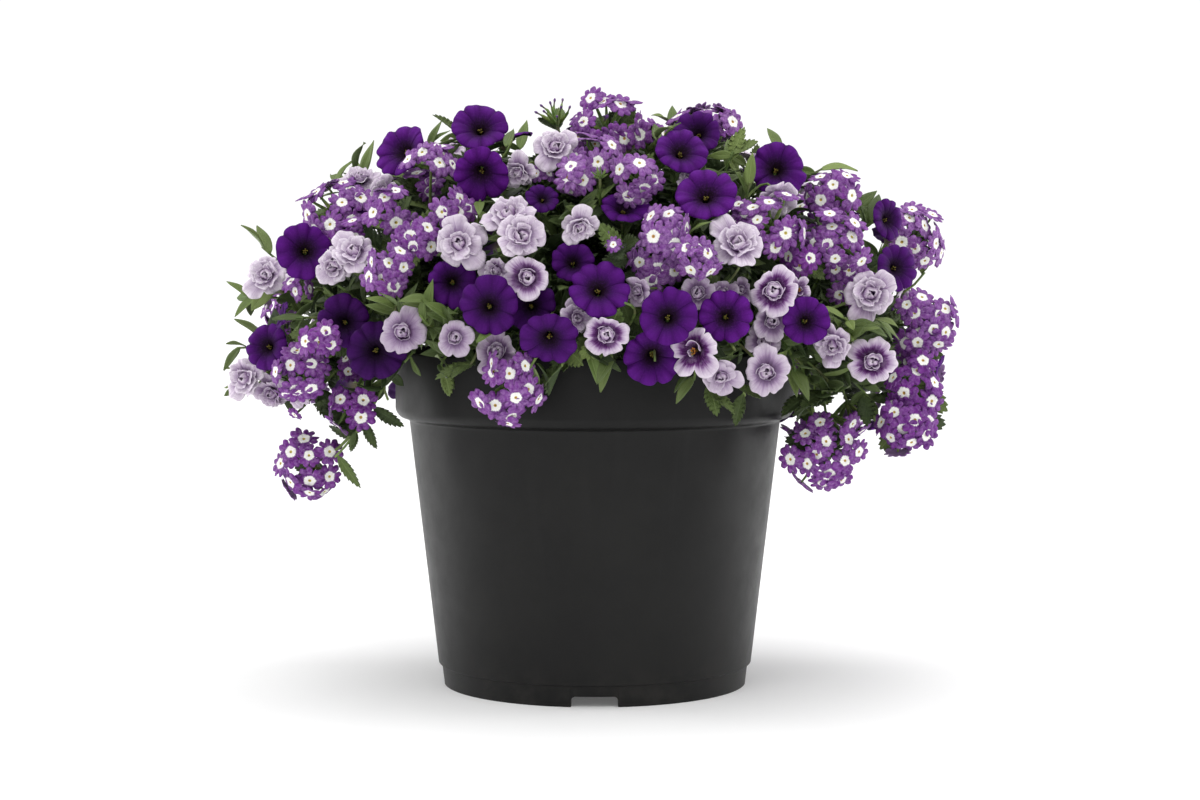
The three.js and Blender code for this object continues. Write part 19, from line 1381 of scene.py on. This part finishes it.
def pot_form():
    f = Form()
    corners = [((0, 10.6), 0), ((97.3, 10.6), 1.2), ((115.8, 171.6), 2.0), ((123.0, 178.0), 2.0), ((123.6, 213.0), 0.8), ((127.0, 213.0), 1.1), ((127.0, 175.2), 2.2),
               ((124.4, 171.6), 1.6), ((118.2, 169.4), 1.6), ((100.1, 13.8), 0.6), ((98.3, 13.0), 0.5), ((96.7, 0.0), 0.5), ((93.3, 0.0), 0.5), ((93.3, 8.0), 0.8), ((0, 8.0), 0)]
    line = []
    pts = [np.array(c[0], float) for c in corners]
    for i, (c, r) in enumerate(corners):
        p = pts[i]
        if r == 0 or i in (0, len(pts) - 1):
            line.append(p)
            continue
        a, b = pts[i - 1] - p, pts[i + 1] - p
        la, lb = np.linalg.norm(a), np.linalg.norm(b)
        c0, c1 = p + a / la * min(r, la * 0.45), p + b / lb * min(r, lb * 0.45)
        for t in np.linspace(0, 1, 6):
            line.append((1 - t) ** 2 * c0 + 2 * t * (1 - t) * p + t * t * c1)
    full = [line[0]]
    for p in line[1:]:
        gap = np.linalg.norm(p - full[-1])
        for k in range(1, int(gap // 14) + 1):
            full.append(full[-1] + (p - full[-1]) * (1.0 / (int(gap // 14) + 2 - k)))
        full.append(p)
    prof = np.array(full)
    base = np.linspace(0, TAU, 180, endpoint=False)
    extra = []
    for q in range(4):
        for e in (-1, 1):
            for m in (14.52, 14.46, 14.2, 13.7, 13.0, 12.2, 11.3):
                extra.append((q * TAU / 4 + e * math.asin(m / 96.0)) % TAU)
    th = np.unique(np.round(np.concatenate([base, extra]), 6))
    n = len(th)
    X = np.zeros((n, len(prof), 3))
    for i, a in enumerate(th):
        off = abs(((a + TAU / 8) % (TAU / 4)) - TAU / 8)
        x = abs(96.0 * math.sin(off))
        if x >= NOTCH_HALF:
            h = 0.0
        else:
            c = 3.0
            e = NOTCH_HALF - x
            h = NOTCH_HIGH if e >= c else NOTCH_HIGH - c + math.sqrt(max(0.0, c * c - (c - e) ** 2))
        r, z = prof[:, 0].copy(), prof[:, 1].copy()
        foot = (r > 90) & (z < 12.9) & ((z < 7.6) | (r > 95))
        z[foot] = h + z[foot] * (12.9 - h) / 12.9
        X[i] = np.stack([r * math.cos(a), r * math.sin(a), z], 1)
    k = len(prof)
    # the two poles are single points
    v = [X[0, 0] * [0, 0, 1], X[0, -1] * [0, 0, 1]]
    ring = X[:, 1:-1].reshape(-1, 3)
    m = k - 2
    v = np.vstack([ring, v])
    i0 = np.arange(n)
    i1 = (i0 + 1) % n
    quads = []
    for j in range(m - 1):
        quads.append(np.stack([i0 * m + j, i0 * m + j + 1, i1 * m + j + 1, i1 * m + j], 1))
    top, bot = n * m, n * m + 1
    tris = np.vstack([np.stack([i0 * m, i1 * m, np.full(n, top)], 1), np.stack([i1 * m + m - 1, i0 * m + m - 1, np.full(n, bot)], 1)])
    f.add(v, np.vstack(quads), tris, 0)
    return f.done()


pot = make("pot_visual", pot_form(), [MPOT], "pot")
holes = []
for k in range(5):
    r = 0.0 if k == 4 else 66.0
    a = math.radians(45 + 90 * k)
    bpy.ops.mesh.primitive_cylinder_add(vertices=40, radius=0.006, depth=0.02, location=(r * math.cos(a) * MM, r * math.sin(a) * MM, 0.0093))
    c = bpy.context.object
    c.name = "cutter_%d" % k
    holes.append(c)
for c in holes:
    m = pot.modifiers.new("hole", "BOOLEAN")
    m.operation, m.object, m.solver = "DIFFERENCE", c, "EXACT"
dg = bpy.context.evaluated_depsgraph_get()
cut = bpy.data.meshes.new_from_object(pot.evaluated_get(dg), preserve_all_data_layers=True, depsgraph=dg)
pot.modifiers.clear()
old = pot.data
pot.data = cut
cut.name = "pot_visual"
bpy.data.meshes.remove(old)
for c in holes:
    d = c.data
    bpy.data.objects.remove(c)
    bpy.data.meshes.remove(d)
pot.data.set_sharp_from_angle(angle=math.radians(38))

# ---------------------------------------------------------------- potting mix


def soil_form():
    rng = np.random.default_rng(77)
    f = Form()
    n, m = 144, 44
    th = np.arange(n) / n * TAU
    rr = np.linspace(0, 1, m + 1)[1:]
    x, y = np.cos(th)[:, None] * rr, np.sin(th)[:, None] * rr
    z = 203.0 - 7.0 * rr ** 2 + 0 * x
    for k in range(26):
        fx, fy = rng.normal(0, 14 if k < 10 else 32, 2)
        z = z + (0.55 if k < 10 else 0.32) * np.sin(fx * x + fy * y + rng.uniform(0, 6)) * (1 - rr ** 8)
    top = np.stack([x * 122.3, y * 122.3, z - 0.9], 2)
    side = []
    for r, h in ((122.4, 190.0), (122.0, 179.0), (115.4, 172.6), (114.6, 168.0), (106.0, 90.0), (98.4, 20.0), (97.3, 11.6), (60.0, 11.2)):
        side.append(np.stack([np.cos(th) * r, np.sin(th) * r, np.full(n, h)], 1))
    G = np.concatenate([top] + [p[:, None] for p in side], 1)
    k = G.shape[1]
    v = np.vstack([G.reshape(-1, 3), [[0, 0, 202.2]], [[0, 0, 11.2]]])
    i0 = np.arange(n)
    i1 = (i0 + 1) % n
    quads = [np.stack([i0 * k + j, i0 * k + j + 1, i1 * k + j + 1, i1 * k + j], 1) for j in range(k - 1)]
    tris = np.vstack([np.stack([i0 * k, i1 * k, np.full(n, n * k)], 1), np.stack([i1 * k + k - 1, i0 * k + k - 1, np.full(n, n * k + 1)], 1)])
    f.add(v, np.vstack(quads), tris, 0)
    for _ in range(900):
        r, a = 119 * math.sqrt(rng.uniform()), rng.uniform(0, TAU)
        s = rng.uniform(0.7, 2.2)
        bead(f, (r * math.cos(a), r * math.sin(a), 203.0 - 7.0 * (r / 122.4) ** 2 - 0.7 + s * 0.25), (s, s * rng.uniform(0.5, 1.3)), rng.normal(0, 1, 3), 0, 5, 3)
    return f.done()


make("potting_soil_visual", soil_form(), [MSOIL], "potting_soil")

# ---------------------------------------------------------------- floor, light and camera


def floor_look():
    L = Look("studio_floor")
    g = L.noise(L.place(), 6.0, 3.0)
    col = L.mix(L.span(g, 0.3, 0.7), lin(243, 243, 243), lin(247, 247, 247))
    L.b.inputs["Emission Color"].default_value = (1, 1, 1, 1)
    return L.finish(col, L.span(g, 0.3, 0.7, 0.7, 0.8), None, Specular_IOR_Level=0.0, Emission_Strength=0.10)


me = bpy.data.meshes.new("studio_floor")
S = 14.0
me.from_pydata([(-S, -S, 0), (S, -S, 0), (S, S, 0), (-S, S, 0)], [], [(0, 1, 2, 3)])
me.materials.append(floor_look())
floor = bpy.data.objects.new("studio_floor", me)
bpy.context.scene.collection.objects.link(floor)

world = bpy.data.worlds.new("studio")
bpy.context.scene.world = world
world.use_nodes = True
bg = world.node_tree.nodes["Background"]
bg.inputs[0].default_value = (1.0, 1.0, 1.0, 1.0)
bg.inputs[1].default_value = 0.5
see = world.node_tree.nodes.new("ShaderNodeLightPath")
lift = world.node_tree.nodes.new("ShaderNodeMapRange")
lift.inputs["To Min"].default_value, lift.inputs["To Max"].default_value = 0.5, 1.05
world.node_tree.links.new(see.outputs["Is Camera Ray"], lift.inputs["Value"])
world.node_tree.links.new(lift.outputs[0], bg.inputs[1])


def area(name, at, look_at, size, power, colour=(1, 1, 1)):
    d = bpy.data.lights.new(name, "AREA")
    d.shape, d.size, d.size_y, d.energy, d.color = "RECTANGLE", size[0], size[1], power, colour
    o = bpy.data.objects.new(name, d)
    bpy.context.scene.collection.objects.link(o)
    w = unit(np.array(at, float) - np.array(look_at, float))
    R = turn_to(w)
    m = np.eye(4)
    m[:3, :3] = R
    m[:3, 3] = at
    from mathutils import Matrix
    o.matrix_world = Matrix(m.tolist())
    return o


def sun(name, towards, strength, angle):
    d = bpy.data.lights.new(name, "SUN")
    d.energy, d.angle = strength, math.radians(angle)
    o = bpy.data.objects.new(name, d)
    bpy.context.scene.collection.objects.link(o)
    m = np.eye(4)
    m[:3, :3] = turn_to(-unit(towards))
    from mathutils import Matrix
    o.matrix_world = Matrix(m.tolist())
    return o


sun("key", (0.03, 0.06, -1.0), 1.98, 84)
sun("front", (0.0, 1.0, -0.35), 0.50, 90)
area("side_left", (-1.2, 0.25, 0.45), (0, 0, 0.2), (0.5, 1.3), 6)
area("side_right", (1.2, 0.25, 0.45), (0, 0, 0.2), (0.5, 1.3), 6)

scene = bpy.context.scene
scene.view_settings.view_transform = "Standard"
scene.view_settings.look = "None"
scene.view_settings.exposure = 0.0

cam_data = bpy.data.cameras.new("photo_view")
cam_data.lens, cam_data.sensor_width, cam_data.sensor_fit = 78.06, 36.0, "HORIZONTAL"
cam_data.clip_start, cam_data.clip_end = 0.05, 60.0
cam = bpy.data.objects.new("photo_view", cam_data)
scene.collection.objects.link(cam)
cam.location = (0.0033, -1.660, 0.285)
cam.rotation_euler = (math.radians(90 - 3.589), 0.0, 0.0)
scene.camera = cam
